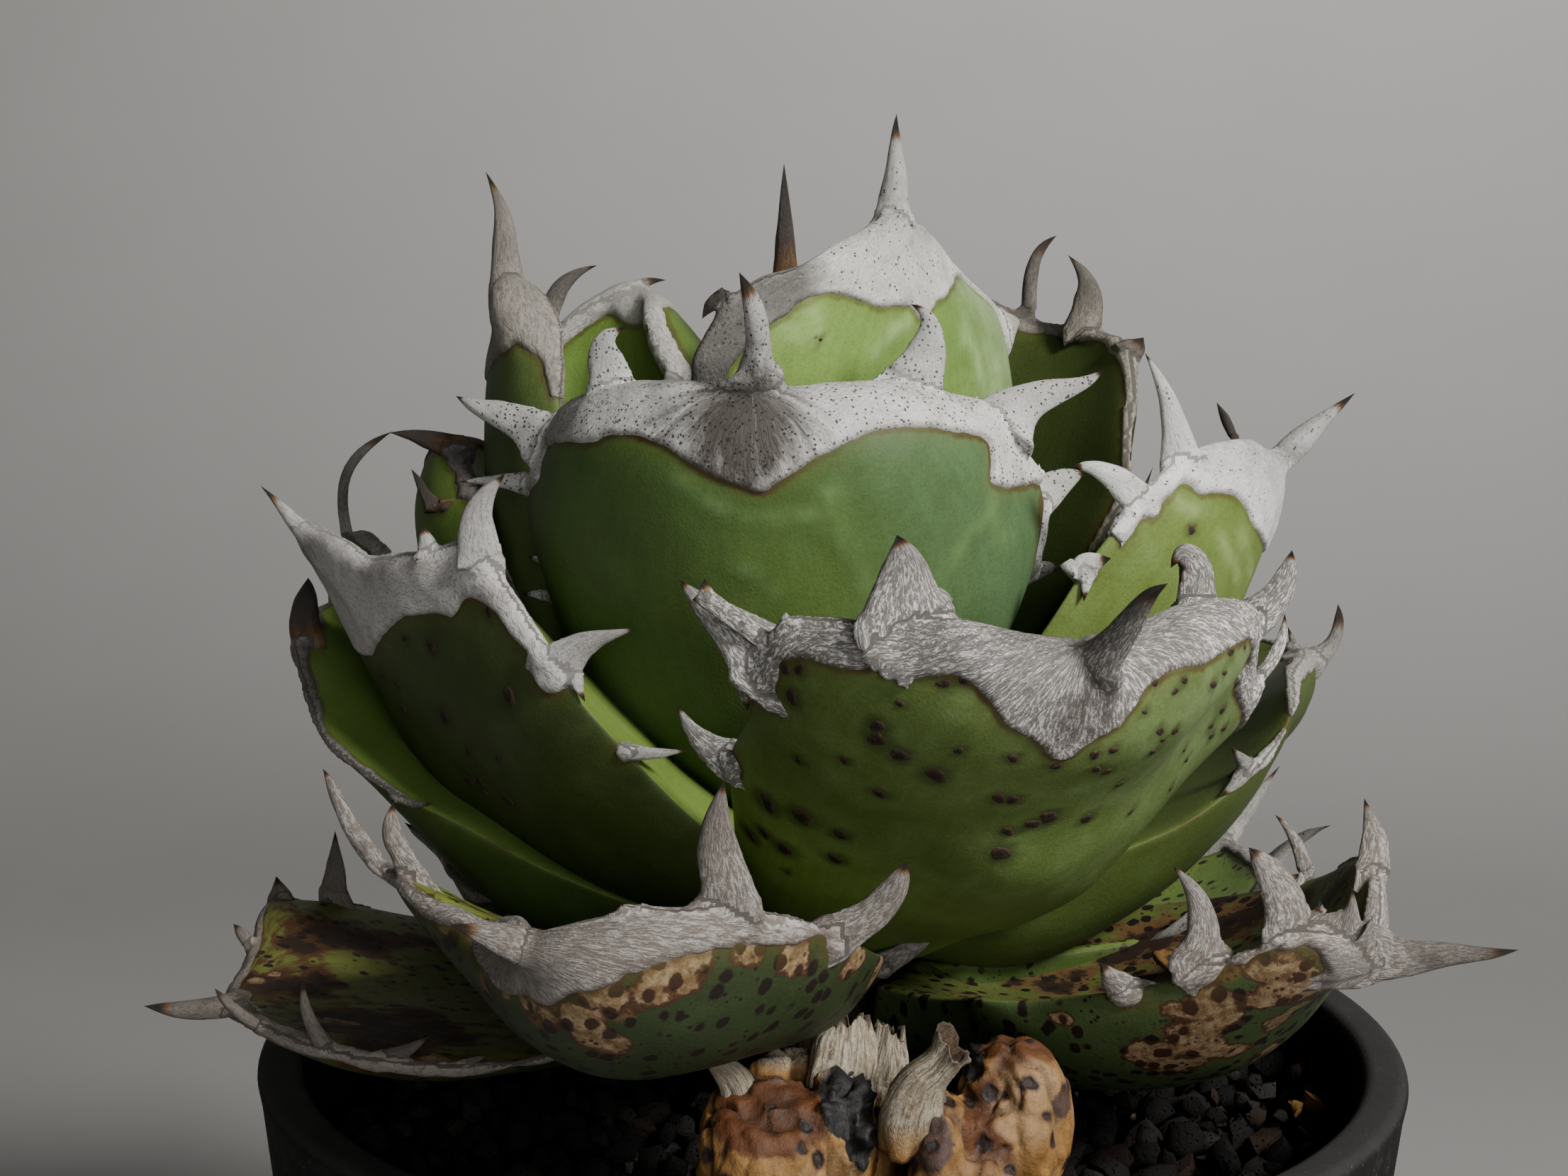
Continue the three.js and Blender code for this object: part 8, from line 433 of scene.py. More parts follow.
168.8,-54.9,-9.2,172.9,-53.3,-16.3,177.3,-51,-23,182.1,-48,-29.2,187.2,-61.4,11.1,174.3,-61.2,4.4,175.2,-60.5,-2.2,176.6,-59.2,-8.5,178.4,-57.4,-14.7,
180.7,-55.1,-20.5,183.3,-52.3,-26,186.4,-65.5,4.4,183.1,-64.9,-.1,182.8,-64,-4.5,182.7,-62.7,-8.9,183,-61.1,-13.1,183.6,-59.1,-17.1,184.4,-56.8,-20.9,
185.5,-67,-4.2,187.6,-66.6,-6.1,187,-66.1,-7.9,186.6,-65.3,-9.6,186.3,-64.3,-11.3,186.3,-63.1,-12.9,186.4,-61.7,-14.4,186.8,-66.5,-10.2,187.9,-66.5,
-10.2,187.9,-66.5,-10.2,187.9,-66.5,-10.2,187.9,-66.5,-10.2,187.9,-66.5,-10.2,187.9,-66.5,-10.2,187.9],
TO=[.3,4.6,7.1,7.8,7.1,4.6,.3,.3,4,6.2,6.8,6.3,4.1,.3,.3,3,5,5.7,5.5,3.6,.3,.3,2.7,4.5,5,4.7,3.1,.3,.3,2.7,4.4,4.9,4.2,2.7,.3,.3,2.8,4.2,4.5,3.9,2.3,.3,
.3,2.4,3.4,3.6,3.2,1.9,.3,.3,1.5,2.2,2.3,2,1.4,.3,.3,.8,1.3,1.5,1.5,.9,.3,.3,.5,1,1.3,1.1,.5,.3,.3,.4,.7,.8,.4,.3,.3],
TI=[.2,.7,1,1.1,.5,.2,.2,.2,.9,1.4,1.3,.9,4,.2,.2,1.2,1.7,2,5.4,6.6,.2,.2,1.3,2,2.7,7.5,7.8,.2,.2,1.4,2.1,2.3,4.8,6.1,.2,.2,1.3,2,2,1,2.4,.2,.2,1.2,1.7,
1.8,1.5,.8,.2,.2,.9,1.4,1.5,1.4,.9,.2,.2,.7,1,1,1,.7,.2,.2,.4,.5,.6,.5,.4,.2,.2,.2,.2,.2,.2,.2,.2],
teeth=[
('spine', [-65.6,-4.48,184.95,-.51,-.17,-1.16,-66.83,-10.18,187.5,-.56,-.19,-1.27,-67.64,-10.18,188.32,-.51,-.17,-1.11,-68.41,-10.18,189.17,-.42,-.14,-.92,
-69.15,-10.18,190.03,-.3,-.11,-.72,-69.91,-10.18,190.89,-.2,-.08,-.52,-70.69,-10.18,191.72,-.13,-.05,-.35,-71.49,-10.18,192.55,-.06,-.03,-.17,-72.3,
-10.18,193.36,0,0,0]),
('', [-50.42,-25.2,184.15,1.96,-.05,-.35,-48.49,-28.87,186.5,2.13,-.06,-.38,-48.5,-28.87,187.13,1.79,-.04,-.28,-48.54,-28.87,187.76,1.46,-.03,-.18,-48.64,
-28.87,188.4,1.17,-.02,-.11,-48.79,-28.87,189.05,.91,-.01,-.06,-48.97,-28.87,189.7,.65,-0,-.02,-49.15,-28.87,190.32,.35,-0,-0,-49.35,-28.87,190.92,0,
0,0]),
('', [-47.65,-26.32,184.12,.43,.04,.24,-45.46,-29.98,187.34,.46,.04,.27,-45.45,-29.98,187.54,.4,.03,.23,-45.45,-29.98,187.74,.33,.03,.19,-45.45,-29.98,
187.94,.26,.02,.15,-45.44,-29.98,188.14,.2,.02,.11,-45.44,-29.98,188.34,.13,.01,.08,-45.43,-29.98,188.53,.07,.01,.04,-45.43,-29.98,188.73,0,0,0]),
('', [-42.75,-28.85,181.31,2.61,-.21,-1.42,-41.86,-32.43,185.58,2.84,-.23,-1.54,-42.14,-32.43,187.44,2.51,-.22,-1.5,-42.36,-32.43,189.29,2.1,-.22,-1.45,
-42.4,-32.43,191.11,1.6,-.2,-1.36,-42.1,-32.43,192.89,1.13,-.18,-1.21,-41.39,-32.43,194.54,.73,-.14,-.94,-40.32,-32.43,195.97,.36,-.08,-.52,-39.04,
-32.43,197.22,0,0,0]),
('', [-34.77,-33.33,171.36,2.6,-.27,-1.83,-33.47,-37.34,174.76,2.82,-.3,-1.99,-32.27,-37.63,175.96,2.25,-.25,-1.7,-31.01,-38,177.14,1.72,-.21,-1.43,-29.67,
-38.42,178.19,1.25,-.17,-1.14,-28.17,-38.87,178.99,.84,-.12,-.79,-26.56,-39.34,179.59,.52,-.07,-.48,-24.89,-39.83,180.1,.25,-.04,-.24,-23.22,-40.34,
180.56,0,0,0]),
('', [-33.58,-33.79,169.91,1,-.04,-.28,-30.77,-37.85,175.04,1.09,-.04,-.3,-30.61,-37.95,174.54,.96,-.04,-.24,-30.45,-38.08,174.04,.82,-.03,-.18,-30.27,
-38.21,173.56,.68,-.02,-.12,-30.07,-38.36,173.1,.52,-.01,-.08,-29.84,-38.52,172.65,.35,-.01,-.05,-29.6,-38.68,172.2,.17,-0,-.03,-29.36,-38.85,171.75,
0,0,0]),
('', [-26.83,-34.05,162.58,.42,-.17,-1.11,-25.04,-38.16,165.85,.46,-.18,-1.21,-23.97,-38.16,165.75,.41,-.15,-.99,-22.89,-38.16,165.68,.37,-.12,-.8,-21.81,
-38.16,165.66,.31,-.1,-.65,-20.72,-38.16,165.71,.24,-.08,-.51,-19.64,-38.16,165.8,.16,-.05,-.34,-18.56,-38.16,165.89,.08,-.03,-.17,-17.48,-38.16,
165.99,0,0,0]),
('', [-59.93,9.48,171.68,-1.43,-1.08,3.06,-60.45,11.85,172.28,-1.43,-1.08,3.06,-60.81,13.05,172.72,-1.16,-.88,2.48,-61.19,14.21,173.07,-.9,-.68,1.93,
-61.58,15.35,173.34,-.67,-.51,1.43,-61.98,16.46,173.51,-.45,-.34,.97,-62.39,17.54,173.6,-.27,-.2,.57,-62.82,18.59,173.6,-.11,-.08,.23,-63.25,19.61,
173.51,0,0,0]),
('', [-48.52,10.39,150.55,-3.1,.63,3.82,-48.79,12.8,149.94,-3.1,.63,3.82,-48.95,13.98,149.69,-2.51,.51,3.09,-49.07,15.1,149.39,-1.96,.4,2.41,-49.13,16.18,
149.06,-1.45,.29,1.78,-49.15,17.2,148.68,-.98,.2,1.21,-49.12,18.18,148.27,-.58,.12,.71,-49.04,19.11,147.81,-.24,.05,.29,-48.92,19.98,147.3,0,0,0]),
('', [-39.94,8.94,146.24,-3.34,.02,-2.33,-39.46,11.31,145.58,-3.34,.02,-2.33,-39.07,12.58,145.33,-2.7,.01,-1.88,-38.59,13.81,145.18,-2.11,.01,-1.47,-38.03,
15,145.13,-1.56,.01,-1.09,-37.4,16.15,145.16,-1.06,.01,-.74,-36.69,17.26,145.29,-.62,0,-.43,-35.91,18.34,145.51,-.25,0,-.18,-35.04,19.37,145.82,0,0,
0]),
],
band=[[.5,-1],[.66,-.92],[.78,-.78],[.83,-.5],[.81,-.15],[.778,.1],[.774,.26],[.766,.47],[.757,.59],[.741,.64],[.634,.73],[.618,.8],[.614,.87],[.593,.9],
[.565,.94],[.548,.94],[.528,.94],[.512,.95],[.491,.98]],
spots=[[.729,.48,.438],[.647,.55,.704],[.569,.92,.526],[.741,.09,.565],[.704,.17,.448],[.679,.06,.621],[.581,.33,.877],[.503,.76,.897],[.528,.31,.493],
[.487,.48,.323],[.524,.12,.782],[.503,.21,.715],[.462,.3,.708],[.495,.17,.419],[.651,-.75,.459]],
imp=[]),
'N2': dict(
G=[17.1,6.8,146.8,11.7,7.5,144.1,6,7.9,142.5,0,8,142,-6,7.9,142.5,-11.7,7.5,144.1,-17.1,6.8,146.8,21.2,17,151.7,14.6,18.3,148.4,7.4,19,146.2,-0,19.2,
145.5,-7.5,18.9,146.1,-14.7,18.1,148.1,-21.4,16.8,151.4,25.2,25.4,157.8,17.4,27.5,153.7,8.8,28.8,151,-.2,29.2,150,-9.2,28.7,150.7,-17.8,27.4,153,
-25.8,25.2,156.8,27.8,31.9,164.1,19.3,35.1,159.6,9.8,37.1,156.7,-.3,37.8,155.5,-10.4,37.2,156.1,-20.1,35.4,158.5,-28.8,32.3,162.5,28.6,36.8,170,20,
41.1,165.7,10.1,43.8,162.8,-.4,44.9,161.6,-10.9,44.3,162.1,-21.1,42.1,164.3,-30.2,38.3,168,28,40.8,175.5,19.6,45.8,171.6,10,49.1,169,-.4,50.6,167.9,
-10.9,50,168.3,-20.9,47.6,170.2,-29.9,43.4,173.5,25.4,44.4,180.1,17.9,49.7,177,9.1,53.2,175,-.4,54.8,174.1,-10,54.4,174.4,-19.3,52,176,-27.5,47.8,
178.6,21.1,48.3,184,14.9,53.1,181.8,7.7,56.3,180.4,-.3,57.9,179.8,-8.4,57.6,180,-16.1,55.6,181.2,-23.1,51.8,183.2,15.3,52.5,187.2,10.9,56.2,185.8,5.6,
58.8,184.9,-.2,60,184.6,-6.1,59.9,184.8,-11.8,58.3,185.6,-16.8,55.5,186.8,8.3,57.1,189.4,6,59.2,188.8,3.1,60.7,188.3,-.1,61.4,188.2,-3.3,61.3,188.3,
-6.4,60.5,188.7,-9.2,58.9,189.4,0,62,190,0,62,190,0,62,190,0,62,190,0,62,190,0,62,190,0,62,190],
TO=[0,5.3,8.2,9,8.2,5.3,0,0,5,7.8,8.5,7.8,5,0,0,4.8,7.4,8.1,7.4,4.8,0,0,4.5,7,7.7,7,4.5,0,0,4.3,6.7,7.3,6.7,4.3,0,0,4.1,6.4,7,6.4,4.1,0,0,3.9,6.1,6.7,
6.1,3.9,0,0,3.4,5.2,5.7,5.2,3.4,0,0,2.6,4,4.4,4,2.6,0,0,1.6,2.5,2.7,2.5,1.6,0,0,0,0,0,0,0,0],
TI=[0,.8,1.2,1.2,1.2,.8,0,0,1,1.5,1.6,1.5,1,0,0,1.2,1.8,1.9,1.8,1.2,0,0,1.3,2,2.1,2,1.3,0,0,1.4,2.1,2.2,2.1,1.4,0,0,1.4,2,2.2,2,1.4,0,0,1.3,1.9,2,1.9,
1.3,0,0,1.1,1.6,1.7,1.6,1.1,0,0,.8,1.1,1.2,1.1,.8,0,0,.4,.6,.7,.6,.4,0,0,0,0,0,0,0,0],
teeth=[
('spine', [-.12,60.36,183.14,-4.53,.43,-.05,-.02,61.77,186.88,-4.53,.43,-.05,0,62.76,189.37,-3.64,.34,-.04,-.1,63.85,191.82,-2.82,.27,-.03,-.31,65.04,194.24,
-2.07,.19,-.02,-.63,66.34,196.62,-1.4,.13,-.01,-1.06,67.73,198.97,-.82,.08,-.01,-1.61,69.22,201.29,-.34,.03,-0,-2.27,70.82,203.57,0,0,0]),
('', [20.53,48.76,181.6,-2.49,2.01,1.81,21.47,47.98,183.78,-2.49,2.01,1.81,21.92,47.65,185.11,-2.02,1.63,1.46,22.45,47.33,186.35,-1.57,1.27,1.14,23.06,
47.01,187.5,-1.16,.94,.84,23.75,46.7,188.56,-.79,.64,.57,24.53,46.4,189.52,-.46,.37,.34,25.39,46.11,190.39,-.19,.15,.14,26.33,45.82,191.17,0,0,0]),
('', [25.67,42.69,175.31,-1.66,2.83,3.75,27.45,41.77,176.8,-1.66,2.83,3.75,28.33,41.36,177.59,-1.34,2.29,3.03,29.24,40.95,178.27,-1.05,1.79,2.36,30.16,
40.55,178.87,-.78,1.32,1.75,31.1,40.15,179.36,-.53,.9,1.19,32.07,39.76,179.76,-.31,.53,.7,33.05,39.37,180.06,-.13,.22,.29,34.06,38.98,180.26,0,0,0]),
('', [26.63,38.59,169.89,-.06,3.06,4.09,28.64,37.41,170.79,-.06,3.06,4.09,29.58,36.79,171.09,-.05,2.48,3.31,30.5,36.18,171.29,-.04,1.93,2.58,31.41,35.56,
171.4,-.03,1.43,1.91,32.32,34.93,171.42,-.02,.97,1.3,33.21,34.31,171.36,-.01,.57,.76,34.09,33.68,171.2,-0,.23,.31,34.96,33.05,170.95,0,0,0]),
('', [25.22,31.57,161.64,1.1,3.03,3.12,27.21,30.2,162.27,1.1,3.03,3.12,28.33,29.5,162.67,.89,2.45,2.52,29.46,28.94,163.16,.7,1.91,1.97,30.6,28.54,163.74,
.52,1.41,1.46,31.76,28.28,164.42,.35,.96,.99,32.93,28.17,165.18,.21,.56,.58,34.11,28.21,166.05,.08,.23,.24,35.3,28.39,167,0,0,0]),
('', [-22.34,51.89,180.62,3.61,2.69,2.94,-23.66,51.41,182.69,3.61,2.69,2.94,-24.77,50.97,184.4,2.92,2.18,2.38,-25.86,50.49,186.03,2.28,1.7,1.86,-26.91,
49.96,187.58,1.69,1.26,1.37,-27.94,49.39,189.05,1.15,.86,.93,-28.94,48.78,190.45,.67,.5,.55,-29.9,48.13,191.77,.28,.21,.22,-30.84,47.43,193.01,0,0,0]),
('', [-27.19,45.99,174.38,1.15,2.26,2.6,-29.16,45.37,175.8,1.15,2.26,2.6,-30.02,45.19,176.58,.93,1.83,2.11,-30.85,45.03,177.34,.73,1.43,1.64,-31.65,44.88,
178.06,.54,1.06,1.21,-32.44,44.75,178.76,.37,.72,.83,-33.19,44.63,179.42,.21,.42,.48,-33.92,44.52,180.06,.09,.17,.2,-34.62,44.44,180.66,0,0,0]),
('', [-28.14,39.59,167.5,-.3,3.38,3.43,-30.26,38.56,168.34,-.3,3.38,3.43,-31.66,38.09,169.18,-.24,2.74,2.77,-32.96,37.68,170.17,-.19,2.13,2.16,-34.17,37.3,
171.31,-.14,1.58,1.6,-35.27,36.98,172.59,-.1,1.07,1.09,-36.27,36.69,174.02,-.06,.63,.64,-37.17,36.45,175.58,-.02,.26,.26,-37.97,36.26,177.3,0,0,0]),
('', [-25.94,31.3,159.86,-1.17,2.78,2.29,-27.95,29.94,160.48,-1.17,2.78,2.29,-29.04,29.38,160.98,-.95,2.25,1.85,-30.06,28.82,161.55,-.74,1.76,1.44,-30.99,
28.25,162.17,-.55,1.3,1.07,-31.85,27.67,162.87,-.37,.88,.73,-32.63,27.08,163.62,-.22,.52,.43,-33.33,26.49,164.45,-.09,.21,.17,-33.95,25.89,165.33,0,0,
0]),
],
band=None,
spots=[],
imp=[]),
'R2': dict(
G=[9.3,-17.3,143.1,8.9,-11.5,141.2,8.5,-5.4,140.3,7.9,.7,140.2,7.3,6.8,141.1,6.6,12.6,142.9,5.8,18.1,145.5,26.5,-18.1,146.3,24.3,-11.2,143.6,21.8,-4,
141.9,19.1,3.2,141.5,16.3,10.4,142.2,13.4,17.4,144.1,10.6,23.9,147.1,42.3,-14.8,151,38.2,-7.4,147,33.6,.3,144.3,28.6,8.2,143.1,23.3,15.9,143.2,17.9,
23.5,144.8,12.5,30.6,147.8,52.5,-10,156.9,47.8,-2.2,151.6,42.4,5.9,147.7,36.3,14.1,145.3,29.7,22.3,144.4,22.8,30.2,145.1,15.7,37.7,147.3,57.6,-6.4,
162,53.6,2,156,48.7,10.8,151.3,43,19.8,148.1,36.6,28.6,146.4,29.7,37.3,146.3,22.4,45.4,147.8,59.3,-4,165.2,56.8,5.1,159.4,53.4,14.6,154.8,49.1,24.2,
151.6,44,33.9,149.8,38.2,43.2,149.6,31.7,52.1,150.9,59.9,-1.1,166.7,59.1,8,161.7,57.3,17.5,157.8,54.7,27.3,155.3,51.2,37,154.1,47,46.5,154.3,42,55.4,
155.8,60.7,3.7,167,61.2,11.8,163.2,60.8,20.3,160.5,59.6,29,158.8,57.7,37.7,158.3,55,46.2,159,51.5,54.3,160.8,62.5,10.6,166.9,63.5,16.7,164.5,64,23.2,
162.7,63.7,29.8,161.9,62.9,36.4,161.8,61.4,42.9,162.7,59.3,49.1,164.3,65.4,19.4,166.6,66.2,22.8,165.3,66.7,26.4,164.5,66.7,30.1,164.2,66.5,33.8,164.3,
65.8,37.4,164.9,64.9,40.8,165.9,68.2,30.1,165.3,68.2,30.1,165.3,68.2,30.1,165.3,68.2,30.1,165.3,68.2,30.1,165.3,68.2,30.1,165.3,68.2,30.1,165.3],
TO=[.3,5.4,7.9,8.3,7.5,4.8,.3,.3,7.5,10.8,8.2,7,4.5,.3,.3,6.1,9.2,8.9,6.6,4.2,.3,.3,4.4,7.5,8.3,6.2,4,.3,.3,2.7,5.5,6.6,5.8,3.7,.3,.3,1.6,3.8,5.8,5.4,
3.5,.3,.3,2.1,4.1,5.4,5.1,3.3,.3,.3,2.5,4,4.7,4.4,2.9,.3,.3,2.2,3.4,3.7,3.4,2.2,.3,.3,1.6,2.4,2.4,2.1,1.4,.3,.3,.5,.5,.3,.3,.3,.3],
TI=[0,.8,1.1,1.2,1.1,.8,0,0,1,1.4,1.5,1.4,1,0,0,1.2,1.7,1.9,1.7,1.2,0,0,1.3,2,2.1,2,1.3,0,0,1.4,2.1,2.2,2.1,1.4,0,0,1.4,2,2.2,2,1.4,0,0,1.3,1.9,2.1,1.9,
1.3,0,0,1.1,1.7,1.8,1.7,1.1,0,0,.8,1.2,1.3,1.2,.8,0,0,.5,.7,.7,.7,.5,0,0,0,0,0,0,0,0],
teeth=[
('spine', [65.11,21.97,164.22,1.05,-.33,-2.17,67.65,25.17,165.37,1.14,-.35,-2.36,68.81,25.17,166.14,1,-.26,-1.76,69.87,25.17,167,.87,-.18,-1.2,70.7,25.17,
168.12,.78,-.12,-.79,71.27,25.17,169.48,.74,-.08,-.52,71.56,25.17,170.95,.67,-.05,-.32,71.58,25.17,172.43,.44,-.02,-.14,71.39,25.17,173.88,0,0,0]),
('', [63.11,42.62,164.39,.76,-.01,-.07,67.81,35.11,165.65,.82,-.01,-.08,67.6,35.01,166.14,.7,-.01,-.06,67.39,34.88,166.64,.59,-.01,-.05,67.18,34.74,167.13,
.47,-.01,-.04,66.97,34.6,167.63,.35,-0,-.03,66.75,34.44,168.13,.23,-0,-.02,66.53,34.27,168.63,.12,-0,-.01,66.32,34.11,169.13,0,0,0]),
('', [64.41,17.38,165.66,.86,0,.01,64.13,17.14,167.28,.94,0,.01,64.65,16.95,165.55,1.22,-0,-0,64.89,16.7,163.81,1.3,-0,-.02,64.67,16.42,162.07,1.09,-.01,
-.06,64.07,16.12,160.4,.8,-.01,-.08,63.21,15.81,158.82,.54,-.01,-.07,62.25,15.48,157.28,.27,-.01,-.03,61.29,15.14,155.75,0,0,0]),
('', [50.63,-4.84,154.23,1.32,.06,.4,52.81,-9.53,158.1,1.44,.07,.44,52.4,-9.72,158.49,1.21,.05,.34,51.98,-9.97,158.89,.99,.04,.24,51.57,-10.25,159.32,.77,
.02,.16,51.17,-10.55,159.78,.57,.02,.11,50.77,-10.86,160.26,.38,.01,.07,50.37,-11.19,160.74,.19,.01,.04,49.97,-11.53,161.22,0,0,0]),
('', [50.63,-4.84,154.23,1.39,.03,.21,52.74,-9.53,158.17,1.51,.03,.22,52.26,-9.82,157.59,1.3,.02,.15,51.76,-10.2,157.03,1.09,.01,.08,51.22,-10.61,156.51,
.88,0,.02,50.62,-11.06,156.04,.68,-.01,-.04,49.96,-11.53,155.64,.48,-.01,-.08,49.26,-12.02,155.3,.25,-.01,-.05,48.55,-12.53,155,0,0,0]),
('', [49.91,52.59,158.79,4.26,-1.19,2.17,49.92,54.8,159.98,4.26,-1.19,2.17,49.98,55.9,160.67,3.45,-.97,1.76,49.94,56.93,161.41,2.69,-.75,1.37,49.82,57.89,
162.2,1.99,-.56,1.01,49.62,58.77,163.03,1.35,-.38,.69,49.33,59.59,163.9,.79,-.22,.4,48.95,60.32,164.82,.32,-.09,.17,48.48,60.99,165.79,0,0,0]),
('', [32.07,49.47,150.07,3.09,1.73,1.23,30.74,51.55,150.48,3.09,1.73,1.23,29.99,53.16,150.91,2.5,1.4,.99,29.45,54.81,151.54,1.95,1.09,.77,29.15,56.48,
152.36,1.44,.81,.57,29.07,58.2,153.37,.98,.55,.39,29.22,59.94,154.58,.57,.32,.23,29.6,61.72,155.98,.24,.13,.09,30.2,63.53,157.57,0,0,0]),
('', [20.64,40.1,146.89,2.99,3.47,.13,18.77,41.69,147.34,2.99,3.47,.13,17.53,42.68,147.67,2.42,2.81,.11,16.35,43.64,148.07,1.89,2.19,.08,15.24,44.57,
148.54,1.4,1.62,.06,14.18,45.45,149.07,.95,1.1,.04,13.18,46.31,149.67,.56,.65,.02,12.25,47.12,150.34,.23,.26,.01,11.37,47.91,151.08,0,0,0]),
],
band=None,
spots=[],
imp=[]),
'K': dict(
G=[3.2,18.3,143.3,0,14.1,140.4,-3.3,9.4,138.6,-6.7,4.5,138,-10,-.4,138.6,-13.1,-5.3,140.3,-15.9,-9.8,143,-6,29.6,143.7,-10,24.1,141.2,-14.1,18.1,139.9,
-17.9,11.8,140,-21.5,5.6,141.3,-24.7,-.5,143.9,-27.3,-6.3,147.6,-15.1,40.3,144.7,-19.9,33.2,142.9,-24.4,25.8,142.4,-28.4,18.1,143.3,-32,10.5,145.6,
-34.9,3.1,149.1,-37,-3.9,153.8,-24.9,49,146.4,-29.9,40.8,145.5,-34.2,32.2,146,-38,23.4,147.8,-41,14.8,150.9,-43.1,6.4,155.1,-44.5,-1.5,160.5,-35.1,
55.5,149.1,-39.6,46.4,149.2,-43.4,37.2,150.6,-46.3,27.8,153.1,-48.4,18.6,156.7,-49.6,9.7,161.3,-49.9,1.3,166.9,-45,59.6,152.9,-48.7,50.2,153.9,-51.5,
40.8,155.9,-53.4,31.4,158.8,-54.5,22.1,162.6,-54.7,13.2,167.2,-53.9,4.7,172.6,-54.1,60.7,158,-56.7,51.9,159.5,-58.4,43,161.7,-59.3,34.1,164.6,-59.4,
25.5,168.1,-58.6,17.2,172.3,-57.1,9.3,177,-61.7,58.9,164,-63.1,51.3,165.5,-63.8,43.7,167.5,-63.9,36.2,170.1,-63.3,28.9,173,-62,21.9,176.3,-60.1,15.3,
180.1,-67.1,54.5,170.3,-67.6,48.8,171.5,-67.7,43.2,173,-67.3,37.7,174.9,-66.4,32.4,177,-65,27.2,179.3,-63.2,22.4,181.9,-70,47.9,176.1,-70.2,44.8,
176.7,-70,41.7,177.6,-69.6,38.7,178.6,-68.9,35.8,179.7,-68,33,181,-66.8,30.3,182.4,-70.7,39.1,180.4,-70.7,39.1,180.4,-70.7,39.1,180.4,-70.7,39.1,
180.4,-70.7,39.1,180.4,-70.7,39.1,180.4,-70.7,39.1,180.4],
TO=[0,6.5,10,11,10,6.5,0,0,6.2,9.6,10.5,9.6,6.2,0,0,6,9.2,10.1,9.2,6,0,0,5.7,8.8,9.7,8.8,5.7,0,0,5.5,8.5,9.3,8.5,5.5,0,0,5.3,8.2,9,8.2,5.3,0,0,5.1,7.9,
8.7,7.9,5.1,0,0,4.5,6.9,7.6,6.9,4.5,0,0,3.5,5.3,5.9,5.3,3.5,0,0,2.2,3.4,3.7,3.4,2.2,0,0,0,0,0,0,0,0],
TI=[0,.8,1.2,1.3,1.2,.8,0,0,1,1.5,1.6,1.5,1,0,0,1.2,1.8,1.9,1.8,1.2,0,0,1.3,2,2.1,2,1.3,0,0,1.4,2.1,2.2,2.1,1.4,0,0,1.4,2,2.2,2,1.4,0,0,1.3,1.9,2,1.9,
1.3,0,0,1.1,1.6,1.7,1.6,1.1,0,0,.8,1.2,1.3,1.2,.8,0,0,.4,.6,.7,.6,.4,0,0,0,0,0,0,0,0],
teeth=[
('spine', [-69.06,44.88,174.66,.99,-.03,-.22,-70.27,39.12,179.86,1.08,-.04,-.24,-70.87,39.12,182.6,.88,-.05,-.36,-71.16,39.12,185.39,.74,-.07,-.45,-70.96,39.12,
188.17,.64,-.08,-.51,-70.05,39.12,190.77,.57,-.08,-.55,-68.36,39.12,192.97,.47,-.08,-.54,-66.16,39.12,194.68,.27,-.05,-.36,-63.73,39.12,196.05,0,0,0]),
('', [-56.67,57.96,159.75,-3.21,-.58,2.42,-56.92,60.43,160.01,-3.21,-.58,2.42,-57.29,61.77,160.34,-2.6,-.47,1.96,-57.8,63.03,160.8,-2.02,-.37,1.53,-58.45,
64.21,161.39,-1.5,-.27,1.13,-59.24,65.32,162.1,-1.02,-.18,.77,-60.17,66.35,162.95,-.6,-.11,.45,-61.25,67.31,163.92,-.24,-.04,.18,-62.46,68.18,165.03,
0,0,0]),
('', [-39.71,54.97,150.39,-3.61,1.61,1.34,-38.72,57.26,150.32,-3.61,1.61,1.34,-38.41,58.43,150.4,-2.92,1.31,1.08,-38.13,59.56,150.57,-2.28,1.02,.84,-37.86,
60.66,150.84,-1.69,.75,.62,-37.61,61.73,151.2,-1.15,.51,.42,-37.38,62.77,151.66,-.67,.3,.25,-37.17,63.77,152.21,-.28,.12,.1,-36.97,64.73,152.86,0,0,
0]),
('', [-49.7,3.29,165.29,-2.52,1.63,3.25,-49.59,1.09,166.47,-2.52,1.63,3.25,-49.68,.09,167.22,-2.04,1.32,2.63,-49.83,-.86,167.98,-1.59,1.03,2.05,-50.04,
-1.75,168.76,-1.18,.76,1.52,-50.32,-2.58,169.57,-.8,.52,1.03,-50.67,-3.36,170.39,-.47,.3,.61,-51.08,-4.08,171.23,-.19,.12,.25,-51.55,-4.74,172.1,0,0,
0]),
],
band=None,
spots=[],
imp=[]),
'D': dict(
G=[-6.7,16.7,140.6,-7.2,11.4,138,-7.4,5.7,136.1,-7.5,-.2,135.1,-7.4,-6.2,135,-7.1,-12.1,135.9,-6.5,-17.8,137.6,-13.6,21.1,144.1,-15.7,14.6,141.3,-17.5,
7.8,139.4,-19,.6,138.4,-20.2,-6.6,138.5,-21,-13.8,139.5,-21.5,-20.9,141.5,-19.5,26.6,147.6,-23.1,19.2,144.9,-26.3,11.3,143.2,-29.1,3.1,142.5,-31.5,
-5.3,142.9,-33.5,-13.7,144.3,-34.9,-21.9,146.8,-25.7,31.7,151.4,-30.2,23.6,148.9,-34.3,15.1,147.5,-37.9,6.2,147.1,-41.1,-2.9,147.8,-43.6,-12,149.5,
-45.6,-21,152.2,-32.7,35.7,155.7,-37.5,27.2,153.5,-41.8,18.4,152.2,-45.7,9.2,151.8,-49,-.1,152.4,-51.8,-9.6,153.7,-54.1,-19.1,155.9,-40.5,37.8,160.5,
